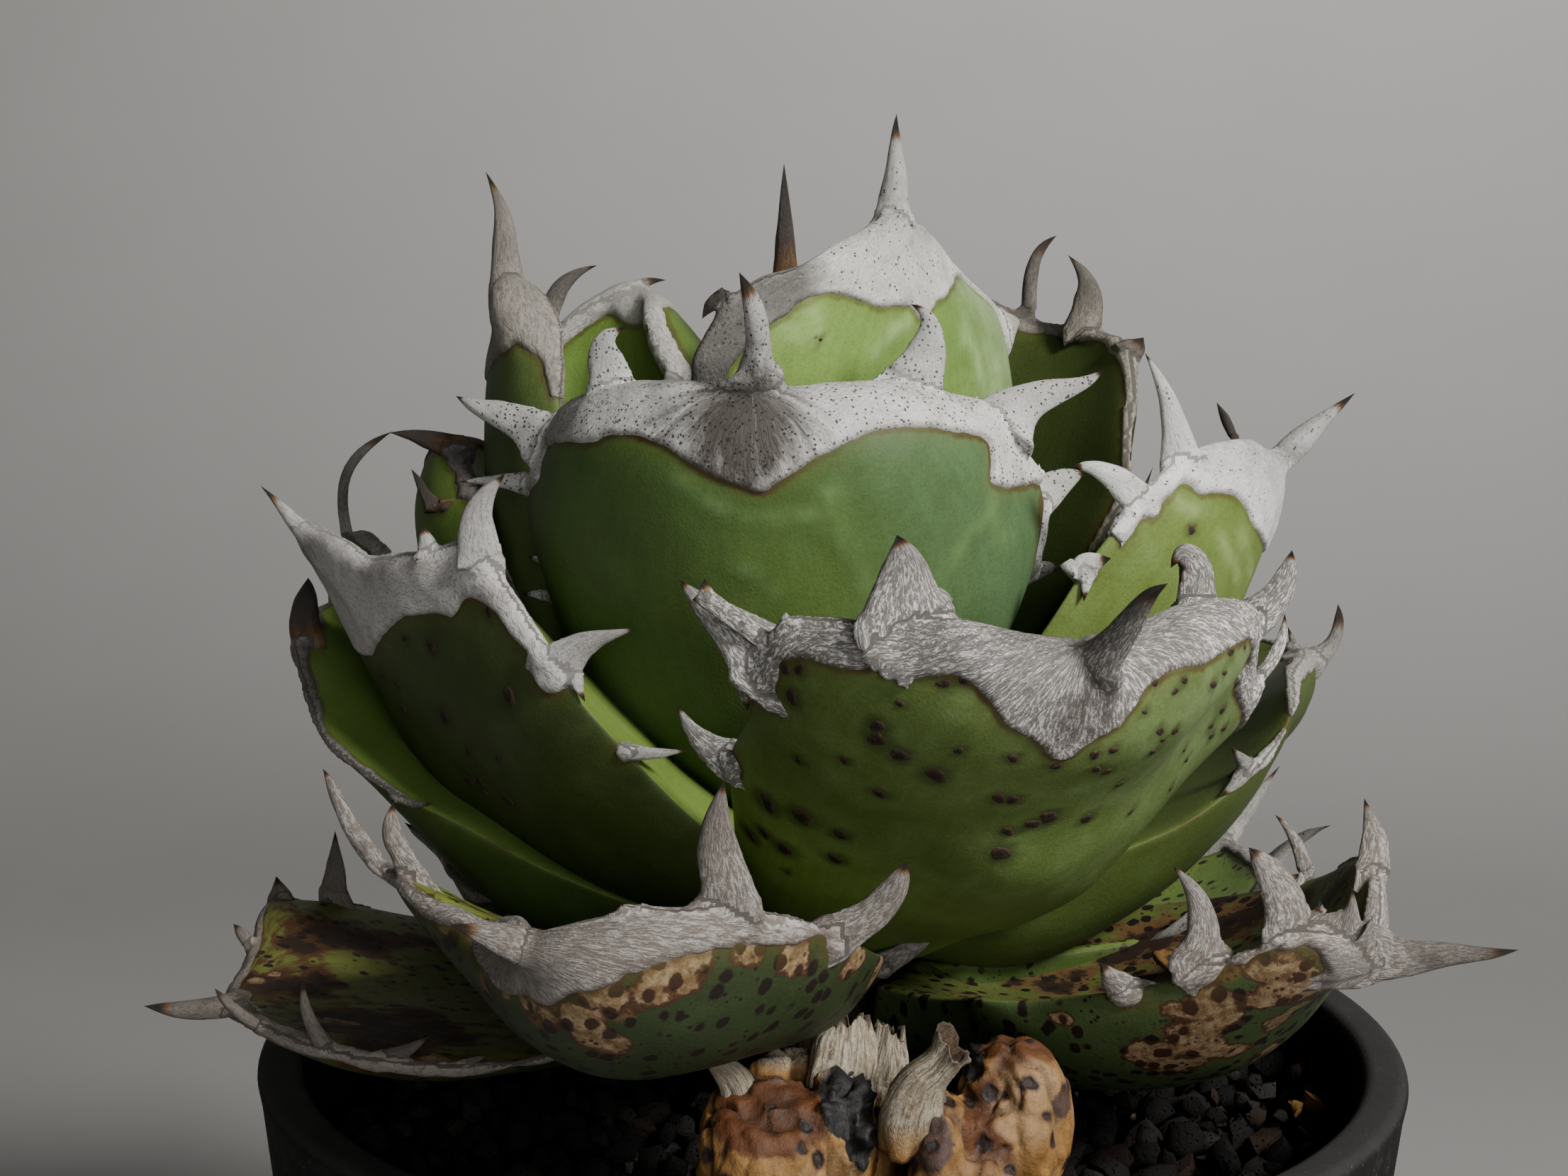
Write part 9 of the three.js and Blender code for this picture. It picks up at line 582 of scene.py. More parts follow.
-44.9,29.5,158.4,-48.9,20.8,157,-52.4,11.8,156.5,-55.5,2.6,156.7,-58.1,-6.7,157.6,-60.2,-16.1,159.2,-48.9,37.4,165.5,-52.5,29.8,163.3,-55.7,21.8,
161.8,-58.4,13.6,161,-60.8,5.2,160.7,-63,-3.3,161,-64.7,-11.9,161.8,-56.9,34.5,169.8,-59.5,28.1,167.7,-61.7,21.5,166.1,-63.5,14.7,165,-65,7.7,164.4,
-66.2,.6,164.2,-67,-6.5,164.6,-63.9,29.4,172.7,-65.4,24.7,170.9,-66.7,19.9,169.4,-67.7,15,168.3,-68.5,9.9,167.5,-69,4.8,167.1,-69.2,-.4,166.9,-69.2,
22.7,173.5,-69.8,20.2,172.5,-70.4,17.6,171.6,-70.8,14.9,170.8,-71.1,12.2,170.2,-71.2,9.4,169.8,-71.2,6.6,169.6,-72.3,14.8,172,-72.3,14.8,172,-72.3,
14.8,172,-72.3,14.8,172,-72.3,14.8,172,-72.3,14.8,172,-72.3,14.8,172],
TO=[.3,5.3,8.2,9,8.2,5.3,.3,.3,4.8,7.4,8.2,7.6,5.1,.3,.3,4.4,6.7,7.6,8.8,6.9,.3,.3,3.9,6.1,7.5,8.6,5.6,.3,.3,3.6,5.5,6.9,6.8,3.7,.3,.3,3.2,4.9,5.6,4.6,
1.9,.3,.3,2.9,4.5,4.8,2.9,1.2,.3,.3,2.3,3.5,3.8,2.4,.9,.3,.3,1.6,2.5,2.7,1.4,.3,.3,.3,1,1.5,1.6,.7,.3,.3,.3,.3,.3,.3,.3,.3,.3],
TI=[0,.8,1.2,1.3,1.2,.8,0,0,1,1.5,1.6,1.5,1,0,0,1.2,1.8,1.9,1.8,1.2,0,0,1.4,2,2.1,2,1.4,0,0,1.4,2.1,2.2,2.1,1.4,0,0,1.4,2,2.1,2,1.4,0,0,1.2,1.8,1.9,1.8,
1.2,0,0,1,1.5,1.6,1.5,1,0,0,.7,1.1,1.1,1.1,.7,0,0,.4,.6,.6,.6,.4,0,0,0,0,0,0,0,0],
teeth=[
('darkspine', [-69.98,8.93,168.58,2.15,.11,.7,-70.04,7.43,170.02,2.34,.11,.76,-70.38,7.43,171.36,2.2,.09,.62,-70.61,7.43,172.72,2.06,.07,.49,-70.64,7.43,174.08,
1.88,.06,.38,-70.48,7.43,175.45,1.64,.05,.3,-70.25,7.43,176.77,1.3,.03,.23,-70.11,7.43,178,.74,.02,.13,-70.07,7.43,179.16,0,0,0]),
('', [-69.9,4.58,167.93,.41,-.02,-.13,-69.38,1.94,167.96,.45,-.02,-.14,-69.18,1.74,167.34,.48,-.01,-.07,-68.97,1.49,166.72,.51,-0,-0,-68.69,1.21,166.14,
.49,.01,.04,-68.31,.92,165.62,.39,.01,.04,-67.88,.6,165.13,.25,0,.03,-67.44,.28,164.65,.13,0,.01,-66.99,-.06,164.16,0,0,0]),
('', [-53.46,-13.13,154.9,.45,-.07,-.44,-54.86,-18.81,155.69,.49,-.07,-.48,-54.13,-19.1,155.46,.43,-.07,-.48,-53.39,-19.47,155.26,.36,-.07,-.48,-52.63,
-19.89,155.09,.3,-.07,-.49,-51.85,-20.34,155.05,.23,-.07,-.46,-51.06,-20.81,155.19,.15,-.05,-.34,-50.27,-21.3,155.39,.08,-.03,-.17,-49.47,-21.81,
155.59,0,0,0]),
('', [-53.56,33.91,166.68,-4.13,-1.6,2.19,-53.62,35.98,168.09,-4.13,-1.6,2.19,-53.59,37.23,168.93,-3.34,-1.3,1.77,-53.45,38.45,169.74,-2.61,-1.01,1.38,
-53.21,39.64,170.51,-1.93,-.75,1.02,-52.85,40.79,171.24,-1.31,-.51,.7,-52.39,41.91,171.93,-.77,-.3,.41,-51.82,42.99,172.59,-.31,-.12,.17,-51.13,44.04,
173.21,0,0,0]),
('', [-39.16,35.23,158.39,-3.7,.77,2.28,-38.24,37.43,159.14,-3.7,.77,2.28,-37.75,38.84,159.66,-2.99,.62,1.85,-37.31,40.2,160.2,-2.33,.48,1.44,-36.93,41.51,
160.74,-1.73,.36,1.07,-36.59,42.79,161.3,-1.17,.24,.72,-36.32,44.02,161.86,-.69,.14,.42,-36.09,45.2,162.44,-.28,.06,.17,-35.91,46.35,163.02,0,0,0]),
('', [-29.53,31.33,152.36,-3.66,2.24,2.24,-28.04,33.29,152.83,-3.66,2.24,2.24,-27.2,34.36,153.1,-2.96,1.81,1.81,-26.39,35.38,153.39,-2.31,1.41,1.41,-25.61,
36.36,153.71,-1.71,1.04,1.04,-24.86,37.29,154.07,-1.16,.71,.71,-24.14,38.18,154.45,-.68,.42,.42,-23.46,39.03,154.86,-.28,.17,.17,-22.8,39.83,155.3,0,
0,0]),
],
band=None,
spots=[],
imp=[]),
'N3': dict(
G=[17.9,-4.6,138.8,13.9,-1,136.2,9.5,2.7,134.5,4.8,6.4,134,-0,9.9,134.5,-4.8,13.1,136.2,-9.3,16,138.8,28,1.8,142.7,23.2,6.4,139.2,17.8,11.2,137.1,11.9,
15.8,136.4,5.8,20.2,137.1,-.2,24.1,139.2,-6,27.4,142.7,37.3,7.1,147.2,31.8,12.9,142.9,25.5,18.8,140.2,18.4,24.5,139.3,11.1,29.6,140.2,3.7,34.2,142.9,
-3.5,37.8,147.2,44.6,12.1,151.8,38.9,19,147,32.1,25.8,144,24.3,32.2,143,16,37.9,144,7.5,42.7,147,-.7,46.2,151.8,49.7,17,156.4,44.3,24.7,151.5,37.4,
32.2,148.4,29.4,39,147.4,20.6,44.9,148.4,11.5,49.4,151.5,2.6,52.4,156.4,52.8,21.8,160.7,48,30,156.2,41.5,37.8,153.3,33.7,44.7,152.3,24.9,50.3,153.3,
15.6,54.4,156.2,6.5,56.7,160.7,53.9,27.4,164.6,49.9,35.3,160.7,44.2,42.8,158.3,37.1,49.2,157.5,28.9,54.3,158.3,20.2,57.7,160.7,11.5,59.3,164.6,53.2,
33.8,167.9,50.2,40.7,165,45.6,47.2,163.1,39.7,52.6,162.5,32.8,56.8,163.1,25.3,59.5,165,17.8,60.4,167.9,51.1,41,170.5,49.1,46.3,168.5,45.9,51.1,167.3,
41.5,55.1,166.9,36.4,58.2,167.3,30.9,60,168.5,25.3,60.5,170.5,47.9,49,172.1,46.9,51.9,171.1,45.1,54.5,170.5,42.8,56.8,170.3,40,58.4,170.5,36.9,59.3,
171.1,33.9,59.5,172.1,43.3,57.5,172,43.3,57.5,172,43.3,57.5,172,43.3,57.5,172,43.3,57.5,172,43.3,57.5,172,43.3,57.5,172],
TO=[0,5.3,8.2,9,8.2,5.3,0,0,5,7.8,8.5,7.8,5,0,0,4.8,7.4,8.1,7.4,4.8,0,0,4.5,7,7.7,7,4.5,0,0,4.3,6.7,7.3,6.7,4.3,0,0,4.1,6.4,7,6.4,4.1,0,0,3.9,6.1,6.7,
6.1,3.9,0,0,3.4,5.2,5.7,5.2,3.4,0,0,2.6,4,4.4,4,2.6,0,0,1.6,2.5,2.7,2.5,1.6,0,0,0,0,0,0,0,0],
TI=[0,.8,1.2,1.2,1.2,.8,0,0,1,1.5,1.6,1.5,1,0,0,1.2,1.8,1.9,1.8,1.2,0,0,1.3,2,2.1,2,1.3,0,0,1.4,2.1,2.2,2.1,1.4,0,0,1.4,2,2.2,2,1.4,0,0,1.3,1.9,2,1.9,
1.3,0,0,1.1,1.6,1.7,1.6,1.1,0,0,.8,1.1,1.2,1.1,.8,0,0,.4,.6,.7,.6,.4,0,0,0,0,0,0,0,0],
teeth=[
('spine', [41.59,55.2,165.49,-3.64,2.74,0,42.84,56.85,168.91,-3.64,2.74,0,43.89,58.2,171.77,-2.92,2.2,0,44.98,59.49,174.63,-2.26,1.71,0,46.1,60.72,177.52,-1.66,
1.25,0,47.25,61.89,180.42,-1.12,.85,0,48.44,63,183.33,-.65,.49,0,49.66,64.05,186.26,-.27,.2,0,50.92,65.05,189.21,0,0,0]),
('', [51.86,37.86,166.88,-1.03,3.62,1.31,52.37,37.16,169.22,-1.03,3.62,1.31,52.6,36.99,170.47,-.83,2.93,1.06,52.86,36.83,171.66,-.65,2.29,.83,53.17,36.67,
172.8,-.48,1.69,.61,53.51,36.53,173.88,-.33,1.15,.42,53.89,36.39,174.91,-.19,.67,.24,54.31,36.25,175.88,-.08,.28,.1,54.76,36.13,176.8,0,0,0]),
('', [52.15,25.26,160.6,.86,3.57,2.6,53.39,23.8,162.21,.86,3.57,2.6,53.98,22.97,162.99,.69,2.89,2.1,54.48,22.05,163.7,.54,2.25,1.64,54.89,21.06,164.34,.4,
1.67,1.21,55.2,19.98,164.91,.27,1.13,.82,55.41,18.83,165.42,.16,.66,.48,55.54,17.59,165.86,.07,.27,.2,55.57,16.28,166.23,0,0,0]),
('', [47.27,17.49,154,2.65,2.76,2.57,48.34,15.49,155.04,2.65,2.76,2.57,48.96,14.59,155.64,2.15,2.23,2.08,49.61,13.77,156.27,1.67,1.74,1.62,50.27,13.03,
156.93,1.24,1.29,1.2,50.96,12.37,157.61,.84,.88,.82,51.67,11.8,158.32,.49,.51,.48,52.4,11.3,159.06,.2,.21,.2,53.15,10.88,159.83,0,0,0]),
('', [41.97,12.94,149.72,2.93,2.12,2,42.89,10.81,150.64,2.93,2.12,2,43.16,9.97,150.99,2.37,1.72,1.62,43.36,9.17,151.4,1.85,1.34,1.26,43.5,8.4,151.85,1.37,
.99,.93,43.58,7.66,152.36,.93,.67,.64,43.58,6.95,152.91,.54,.39,.37,43.53,6.27,153.52,.22,.16,.15,43.4,5.63,154.19,0,0,0]),
('', [17.25,59.7,164.96,4.89,.59,2.28,16.16,60.28,167.14,4.89,.59,2.28,15.41,60.62,168.6,3.96,.48,1.85,14.89,60.88,170.13,3.09,.37,1.44,14.61,61.05,171.74,
2.28,.27,1.07,14.55,61.15,173.42,1.55,.19,.73,14.72,61.16,175.18,.91,.11,.42,15.12,61.09,177,.37,.04,.17,15.76,60.93,178.91,0,0,0]),
('', [10.36,57.36,160.95,2.76,1.43,2.16,8.66,58.15,162.61,2.76,1.43,2.16,7.63,58.85,163.93,2.24,1.16,1.75,6.66,59.6,165.19,1.74,.9,1.36,5.75,60.38,166.4,
1.29,.67,1.01,4.89,61.22,167.54,.88,.45,.69,4.09,62.1,168.62,.51,.27,.4,3.35,63.03,169.64,.21,.11,.16,2.66,64,170.6,0,0,0]),
('', [4.93,52.08,155.47,2.31,3.38,2.9,2.75,52.63,156.57,2.31,3.38,2.9,1.05,52.94,157.41,1.87,2.74,2.35,-.6,53.09,158.27,1.46,2.14,1.83,-2.21,53.07,159.15,
1.08,1.58,1.35,-3.79,52.89,160.05,.74,1.07,.92,-5.32,52.55,160.96,.43,.63,.54,-6.8,52.04,161.9,.18,.26,.22,-8.25,51.37,162.86,0,0,0]),
('', [.6,43.16,149.27,1.29,3.73,2.15,-1.71,43.43,150.19,1.29,3.73,2.15,-2.72,43.6,150.66,1.05,3.02,1.74,-3.7,43.7,151.14,.82,2.36,1.36,-4.65,43.74,151.62,
.6,1.74,1,-5.56,43.71,152.11,.41,1.18,.68,-6.43,43.61,152.61,.24,.69,.4,-7.26,43.45,153.11,.1,.28,.16,-8.06,43.22,153.62,0,0,0]),
],
band=None,
spots=[],
imp=[]),
'N4': dict(
G=[14.8,11.2,137.8,9.5,10.3,135.2,3.9,9.1,133.6,-1.9,7.8,133,-7.7,6.2,133.6,-13.2,4.6,135.2,-18.3,2.9,137.8,16,22.5,141.3,9.5,21.6,137.9,2.5,20.3,135.8,
-4.7,18.7,135.1,-11.8,16.8,135.8,-18.5,14.6,137.9,-24.7,12.3,141.3,17.5,32.6,145.4,9.8,32,141.2,1.4,30.7,138.6,-7.2,28.8,137.7,-15.7,26.4,138.6,-23.6,
23.6,141.2,-30.8,20.5,145.4,18.1,41,149.7,9.5,40.9,145,.1,39.9,142,-9.5,37.9,141.1,-18.8,35.1,142,-27.6,31.7,145,-35.3,27.7,149.7,17.5,47.8,153.9,8.4,
48.4,149.1,-1.4,47.8,146.1,-11.4,45.9,145.1,-21.2,42.8,146.1,-30.2,38.8,149.1,-37.9,34,153.9,15.7,53.2,157.9,6.7,54.5,153.4,-3.1,54.3,150.6,-13.1,
52.5,149.7,-22.7,49.4,150.6,-31.5,45,153.4,-38.8,39.6,157.9,12.2,57.4,161.5,3.8,59.2,157.7,-5.2,59.4,155.3,-14.4,57.9,154.5,-23.3,54.9,155.3,-31.2,
50.5,157.7,-37.7,44.9,161.5,7,60.8,164.5,-.1,62.7,161.6,-7.7,63.1,159.8,-15.5,62,159.1,-22.8,59.4,159.8,-29.4,55.4,161.6,-34.7,50.4,164.5,.2,63.7,
166.8,-4.9,65.4,164.9,-10.5,65.8,163.7,-16.2,65,163.2,-21.6,63,163.7,-26.3,60,164.9,-30.1,56.2,166.8,-7.7,66.2,168.2,-10.5,67.1,167.2,-13.6,67.4,
166.6,-16.7,67,166.4,-19.6,65.9,166.6,-22.2,64.2,167.2,-24.2,62,168.2,-16.9,67.9,168,-16.9,67.9,168,-16.9,67.9,168,-16.9,67.9,168,-16.9,67.9,168,
-16.9,67.9,168,-16.9,67.9,168],
TO=[0,5.3,8.2,9,8.2,5.3,0,0,5,7.8,8.5,7.8,5,0,0,4.8,7.4,8.1,7.4,4.8,0,0,4.5,7,7.7,7,4.5,0,0,4.3,6.7,7.3,6.7,4.3,0,0,4.1,6.4,7,6.4,4.1,0,0,3.9,6.1,6.7,
6.1,3.9,0,0,3.4,5.2,5.7,5.2,3.4,0,0,2.6,4,4.4,4,2.6,0,0,1.6,2.5,2.7,2.5,1.6,0,0,0,0,0,0,0,0],
TI=[0,.8,1.2,1.3,1.2,.8,0,0,1,1.5,1.6,1.5,1,0,0,1.2,1.8,1.9,1.8,1.2,0,0,1.3,2,2.1,2,1.3,0,0,1.4,2.1,2.2,2.1,1.4,0,0,1.4,2,2.2,2,1.4,0,0,1.3,1.9,2,1.9,
1.3,0,0,1.1,1.6,1.7,1.6,1.1,0,0,.8,1.1,1.2,1.1,.8,0,0,.4,.6,.7,.6,.4,0,0,0,0,0,0,0,0],
teeth=[
('spine', [-16.2,64.98,161.71,-5.27,-1.31,0,-16.73,67.1,165.06,-5.27,-1.31,0,-17.09,68.67,167.41,-4.24,-1.06,0,-17.44,70.38,169.67,-3.28,-.82,0,-17.76,72.22,
171.86,-2.41,-.6,0,-18.05,74.19,173.98,-1.63,-.41,0,-18.33,76.29,176.01,-.95,-.24,0,-18.58,78.53,177.97,-.39,-.1,0,-18.81,80.9,179.85,0,0,0]),
('', [6.36,60.39,162.04,-3.52,1.92,1.64,7.48,60.55,164.27,-3.52,1.92,1.64,8.2,60.68,166.04,-2.85,1.56,1.33,8.8,60.75,167.81,-2.22,1.21,1.04,9.27,60.76,
169.57,-1.64,.9,.77,9.61,60.7,171.33,-1.12,.61,.52,9.83,60.58,173.09,-.65,.36,.31,9.92,60.4,174.85,-.27,.15,.13,9.89,60.15,176.6,0,0,0]),
('', [13.3,53.82,156.97,-1.63,2.56,2.1,15.29,53.85,158.49,-1.63,2.56,2.1,17.03,53.69,159.65,-1.32,2.08,1.7,18.71,53.44,160.77,-1.03,1.62,1.32,20.32,53.09,
161.87,-.76,1.2,.98,21.87,52.66,162.94,-.52,.81,.67,23.36,52.13,163.97,-.3,.48,.39,24.78,51.51,164.97,-.12,.2,.16,26.13,50.8,165.95,0,0,0]),
('', [15.53,46.69,151.82,-.6,4.21,2.76,17.75,46.31,152.9,-.6,4.21,2.76,19.38,46.23,153.94,-.49,3.41,2.23,20.87,46.16,155.14,-.38,2.66,1.74,22.21,46.11,
156.5,-.28,1.96,1.29,23.41,46.08,158.02,-.19,1.34,.88,24.46,46.07,159.69,-.11,.78,.51,25.37,46.07,161.52,-.05,.32,.21,26.14,46.09,163.51,0,0,0]),
('', [15.82,39.42,147.54,.17,3.69,1.95,18.05,38.82,148.49,.17,3.69,1.95,19.22,38.48,148.99,.14,2.99,1.58,20.35,38.26,149.55,.11,2.33,1.23,21.44,38.16,
150.16,.08,1.72,.91,22.48,38.16,150.82,.05,1.17,.62,23.48,38.28,151.54,.03,.69,.36,24.44,38.51,152.3,.01,.28,.15,25.35,38.86,153.13,0,0,0]),
('', [-32.34,52.96,163.15,2.89,3.74,1.6,-33.15,52.58,165.48,2.89,3.74,1.6,-33.63,52.35,167.21,2.34,3.03,1.3,-33.96,52.09,168.93,1.83,2.36,1.01,-34.13,
51.82,170.63,1.35,1.74,.75,-34.14,51.53,172.32,.92,1.19,.51,-34,51.21,174,.54,.7,.3,-33.71,50.88,175.67,.22,.28,.12,-33.25,50.53,177.32,0,0,0]),
('', [-36.94,42.17,157.56,.56,3.78,2.58,-38.67,41.33,159.15,.56,3.78,2.58,-39.44,41.11,160.06,.45,3.06,2.09,-40.11,40.98,161.06,.35,2.38,1.63,-40.69,40.94,
162.14,.26,1.76,1.21,-41.18,40.99,163.3,.18,1.2,.82,-41.57,41.12,164.55,.1,.7,.48,-41.87,41.34,165.88,.04,.29,.2,-42.08,41.65,167.3,0,0,0]),
('', [-35.97,34.93,152.51,-.94,2.95,2.06,-37.77,33.58,153.61,-.94,2.95,2.06,-39.18,32.5,154.48,-.76,2.39,1.66,-40.61,31.64,155.48,-.6,1.86,1.3,-42.03,
31.02,156.6,-.44,1.38,.96,-43.45,30.63,157.85,-.3,.94,.65,-44.88,30.48,159.23,-.18,.55,.38,-46.31,30.56,160.73,-.07,.22,.16,-47.74,30.87,162.35,0,0,
0]),
('', [-33.04,28.37,148.15,-1.87,3.34,2.08,-34.75,26.81,149.11,-1.87,3.34,2.08,-35.63,26.21,149.64,-1.52,2.7,1.68,-36.56,25.75,150.2,-1.18,2.11,1.31,-37.55,
25.44,150.79,-.87,1.56,.97,-38.58,25.26,151.4,-.6,1.06,.66,-39.66,25.22,152.05,-.35,.62,.39,-40.8,25.32,152.73,-.14,.25,.16,-41.98,25.56,153.44,0,0,
0]),
],
band=None,
spots=[],
imp=[]),
'B1': dict(
G=[-21.2,9.4,127.4,-16.5,4.2,128,-11.9,-1,128.8,-7.2,-6.1,129.8,-2.5,-11.2,131.1,2.1,-16.1,132.6,6.7,-21,134.4,-36.4,-2.3,133.3,-29.7,-6.9,132.6,-22.8,
-11.5,132.5,-15.9,-15.9,133,-9,-20,134.2,-2.1,-24,136.2,4.8,-27.8,138.7,-47.3,-18.7,140,-38.8,-21.6,137.7,-29.9,-24.4,136.3,-20.9,-27,136.1,-12.1,
-29.3,136.6,-3.6,-31.3,138.1,4.5,-33,140.5,-50.6,-34.7,148.3,-41.9,-36.2,143.5,-32.5,-37.4,140.4,-22.6,-38.2,138.8,-12.9,-38.7,138.5,-3.8,-38.8,139.5,
4.7,-38.5,141.8,-50.2,-46.8,153.6,-41.8,-47.9,147.8,-32.4,-48.5,143.7,-22.5,-48.6,141.4,-12.7,-48.3,140.5,-3.5,-47.5,141.3,4.9,-46.2,143.8,-48.7,
-54.7,155.5,-40.7,-56.3,150.2,-31.6,-57.5,146.3,-22,-58,143.9,-12.7,-58,143,-3.9,-57.4,144.1,4.1,-56.1,147.2,-45.4,-59.4,154.8,-38.7,-62,150.9,-30.7,
-64.3,148.1,-22.4,-66.2,146.6,-14.1,-67.4,146.4,-6.2,-67.8,148.3,1,-67.3,152,-38.6,-62.7,152.8,-35,-66.2,150.8,-30.1,-69.6,149.7,-24.2,-72.7,149.5,
-18,-75.2,150.3,-12,-76.7,153,-6.7,-77.1,157.3,-35.4,-67.2,154.2,-33.5,-70.5,152.6,-30.7,-74,151.8,-27.3,-77.3,152,-23.5,-79.9,153.3,-19.8,-81.7,
155.8,-16.6,-82.4,159.4,-33.6,-73.6,155.7,-33,-75.7,154.4,-31.8,-77.8,153.8,-30.3,-79.9,154,-28.6,-81.6,154.9,-26.9,-82.7,156.5,-25.4,-83.1,158.6,
-31.9,-81,154.9,-31.9,-81,154.9,-31.9,-81,154.9,-31.9,-81,154.9,-31.9,-81,154.9,-31.9,-81,154.9,-31.9,-81,154.9],
TO=[.3,2.8,4.3,4.7,4.3,2.8,.3,.3,2.9,4.8,5.3,4.8,3.1,.3,.3,3,4.6,5.8,5.3,3.6,.3,.3,3.5,4.2,6.2,5.3,4.6,.3,.3,2.6,5,6.8,5.3,4.3,.3,.3,2.8,6.6,7.8,5.7,4,
.3,.3,3.4,7.3,8.4,6.2,3.6,.3,.3,3.3,6.7,7.7,5.8,2.9,.3,.3,2.9,5.7,6.3,4.9,3,.3,.3,2,3.1,3.4,3.1,2,.3,.3,.3,.3,.3,.3,.3,.3],
TI=[0,1,1.4,1.5,1.4,1,0,0,1.1,1.7,1.8,1.7,1.1,0,0,1.3,1.9,2,1.9,1.3,0,0,1.4,2,2.2,2,1.4,0,0,1.4,2.1,2.2,2.1,1.4,0,0,1.3,1.9,2.1,1.9,1.3,0,0,1.2,1.7,1.8,
1.7,1.2,0,0,.9,1.4,1.5,1.4,.9,0,0,.7,1,1,1,.7,0,0,.4,.5,.6,.5,.4,0,0,0,0,0,0,0,0],
teeth=[
('', [-44.87,-51.27,151.18,1,0,.01,-50.92,-50.5,155.12,1.08,0,.01,-52.18,-50.11,156.47,1.18,.03,.2,-53.38,-49.61,157.86,1.12,.04,.26,-54.5,-49.05,159.31,
.94,.03,.22,-55.47,-48.46,160.85,.8,.03,.22,-56.31,-47.83,162.47,.71,.04,.26,-57.15,-47.18,164.05,.48,.03,.22,-58.09,-46.5,165.5,0,0,0]),
('', [-43.46,-57.33,152.44,1.46,.06,.37,-47.04,-56.19,156.55,1.58,.06,.4,-47.56,-55.99,157.55,1.42,.04,.28,-48.1,-55.74,158.54,1.28,.03,.17,-48.62,-55.46,
159.52,1.17,.01,.08,-49.02,-55.16,160.55,1.04,0,.01,-49.18,-54.85,161.6,.78,-.01,-.04,-49.13,-54.52,162.63,.4,-.01,-.04,-48.96,-54.19,163.65,0,0,0]),
('spine', [-32.32,-74.34,153.04,.68,-.3,-2.01,-30.49,-80.96,154.96,.74,-.33,-2.19,-31.63,-81.73,155.71,.6,-.3,-2.01,-32.74,-82.74,156.5,.47,-.27,-1.8,-33.84,
-83.85,157.26,.35,-.23,-1.53,-34.92,-85.05,157.98,.24,-.18,-1.21,-35.97,-86.3,158.7,.14,-.13,-.85,-36.98,-87.61,159.45,.06,-.07,-.44,-37.95,-88.96,
160.23,0,0,0]),
('', [-22.24,-82.91,157.54,2.45,.03,.23,-21.29,-83.21,158.85,2.66,.04,.25,-21.47,-83.21,159.18,2.36,.03,.18,-21.66,-83.21,159.51,2.05,.02,.1,-21.82,-83.21,
159.82,1.72,.01,.04,-21.94,-83.21,160.06,1.32,0,.01,-22.02,-83.21,160.27,.89,0,0,-22.1,-83.21,160.46,.44,0,0,-22.17,-83.21,160.65,0,0,0]),
('', [-14.47,-80.26,156.32,3.42,-.08,-.52,-11.94,-80.53,158.99,3.72,-.08,-.57,-11.94,-80.63,160.9,3.07,-.07,-.44,-12.25,-80.75,162.85,2.59,-.06,-.41,
-12.68,-80.89,164.82,2.18,-.06,-.42,-12.92,-81.04,166.81,1.72,-.06,-.41,-12.92,-81.2,168.79,1.19,-.05,-.34,-12.69,-81.36,170.73,.62,-.03,-.2,-12.32,
-81.53,172.64,0,0,0]),
('', [-5.32,-71.39,151.54,1.85,-.26,-1.75,-1.53,-71.24,153.72,2.01,-.28,-1.9,-.1,-71.33,154.63,1.85,-.23,-1.52,1.34,-71.46,155.52,1.71,-.18,-1.17,2.67,
-71.6,156.6,1.56,-.13,-.88,3.82,-71.75,157.89,1.42,-.1,-.66,4.79,-71.91,159.32,1.24,-.07,-.48,5.48,-72.07,160.8,.79,-.04,-.28,5.92,-72.24,162.25,0,0,
0]),
('', [2.56,-21.07,134.91,1.21,-.17,-1.1,5.09,-23.74,135.63,1.32,-.18,-1.2,6.4,-23.84,136.42,1.18,-.16,-1.06,7.71,-23.96,137.21,1.04,-.14,-.92,8.99,-24.1,
138.05,.89,-.12,-.78,10.21,-24.25,138.96,.71,-.09,-.62,11.37,-24.41,139.94,.48,-.06,-.43,12.51,-24.57,140.94,.24,-.03,-.21,13.64,-24.74,141.93,0,0,0]),
],
band=[[.6,-1],[.74,-.93],[.806,-.86],[.835,-.79],[.864,-.74],[.938,-.56],[.97,-.16],[.962,.14],[.962,.3],[.958,.42],[.95,.49],[.942,.6],[.938,.71],[.917,
.78],[.942,.65],[.938,.71],[.925,.75],[.913,.8],[.888,.86],[.884,.85],[.884,.88],[.88,.91],[.868,.9],[.86,.9],[.843,.92],[.831,.96],[.819,.99],[.786,
.99]],
spots=[],
imp=[]),
'B3': dict(
G=[5.2,-19.7,131.8,6.5,-14.6,129.3,8.1,-9.1,127.8,10,-3.5,127.5,12.1,1.9,128.4,14.3,7.1,130.4,16.5,11.6,133.5,11.7,-27.8,133,14.3,-21.7,129.2,17.4,
-14.9,126.8,20.7,-7.9,126,24.1,-1,126.8,27.5,5.6,129.1,30.6,11.6,133,14.9,-34.9,135.2,19.6,-28.4,130.3,24.8,-21.1,127.2,30.1,-13.3,125.9,35.4,-5.4,
126.7,40.3,2.3,129.6,44.6,9.3,134.3,16.1,-39.1,136.6,23.1,-33.5,131.5,30.5,-26.9,128.4,37.9,-19.5,127.4,44.9,-11.8,128.7,51.1,-4.1,132.4,56.1,3.2,
138.1,18.1,-41.4,137.2,26.6,-37.4,132.7,35.3,-32.2,130.3,43.7,-26.2,130.2,51.4,-19.5,132.3,58,-12.7,136.4,63.2,-6,142.3,22.5,-43.4,138.1,31,-40.9,
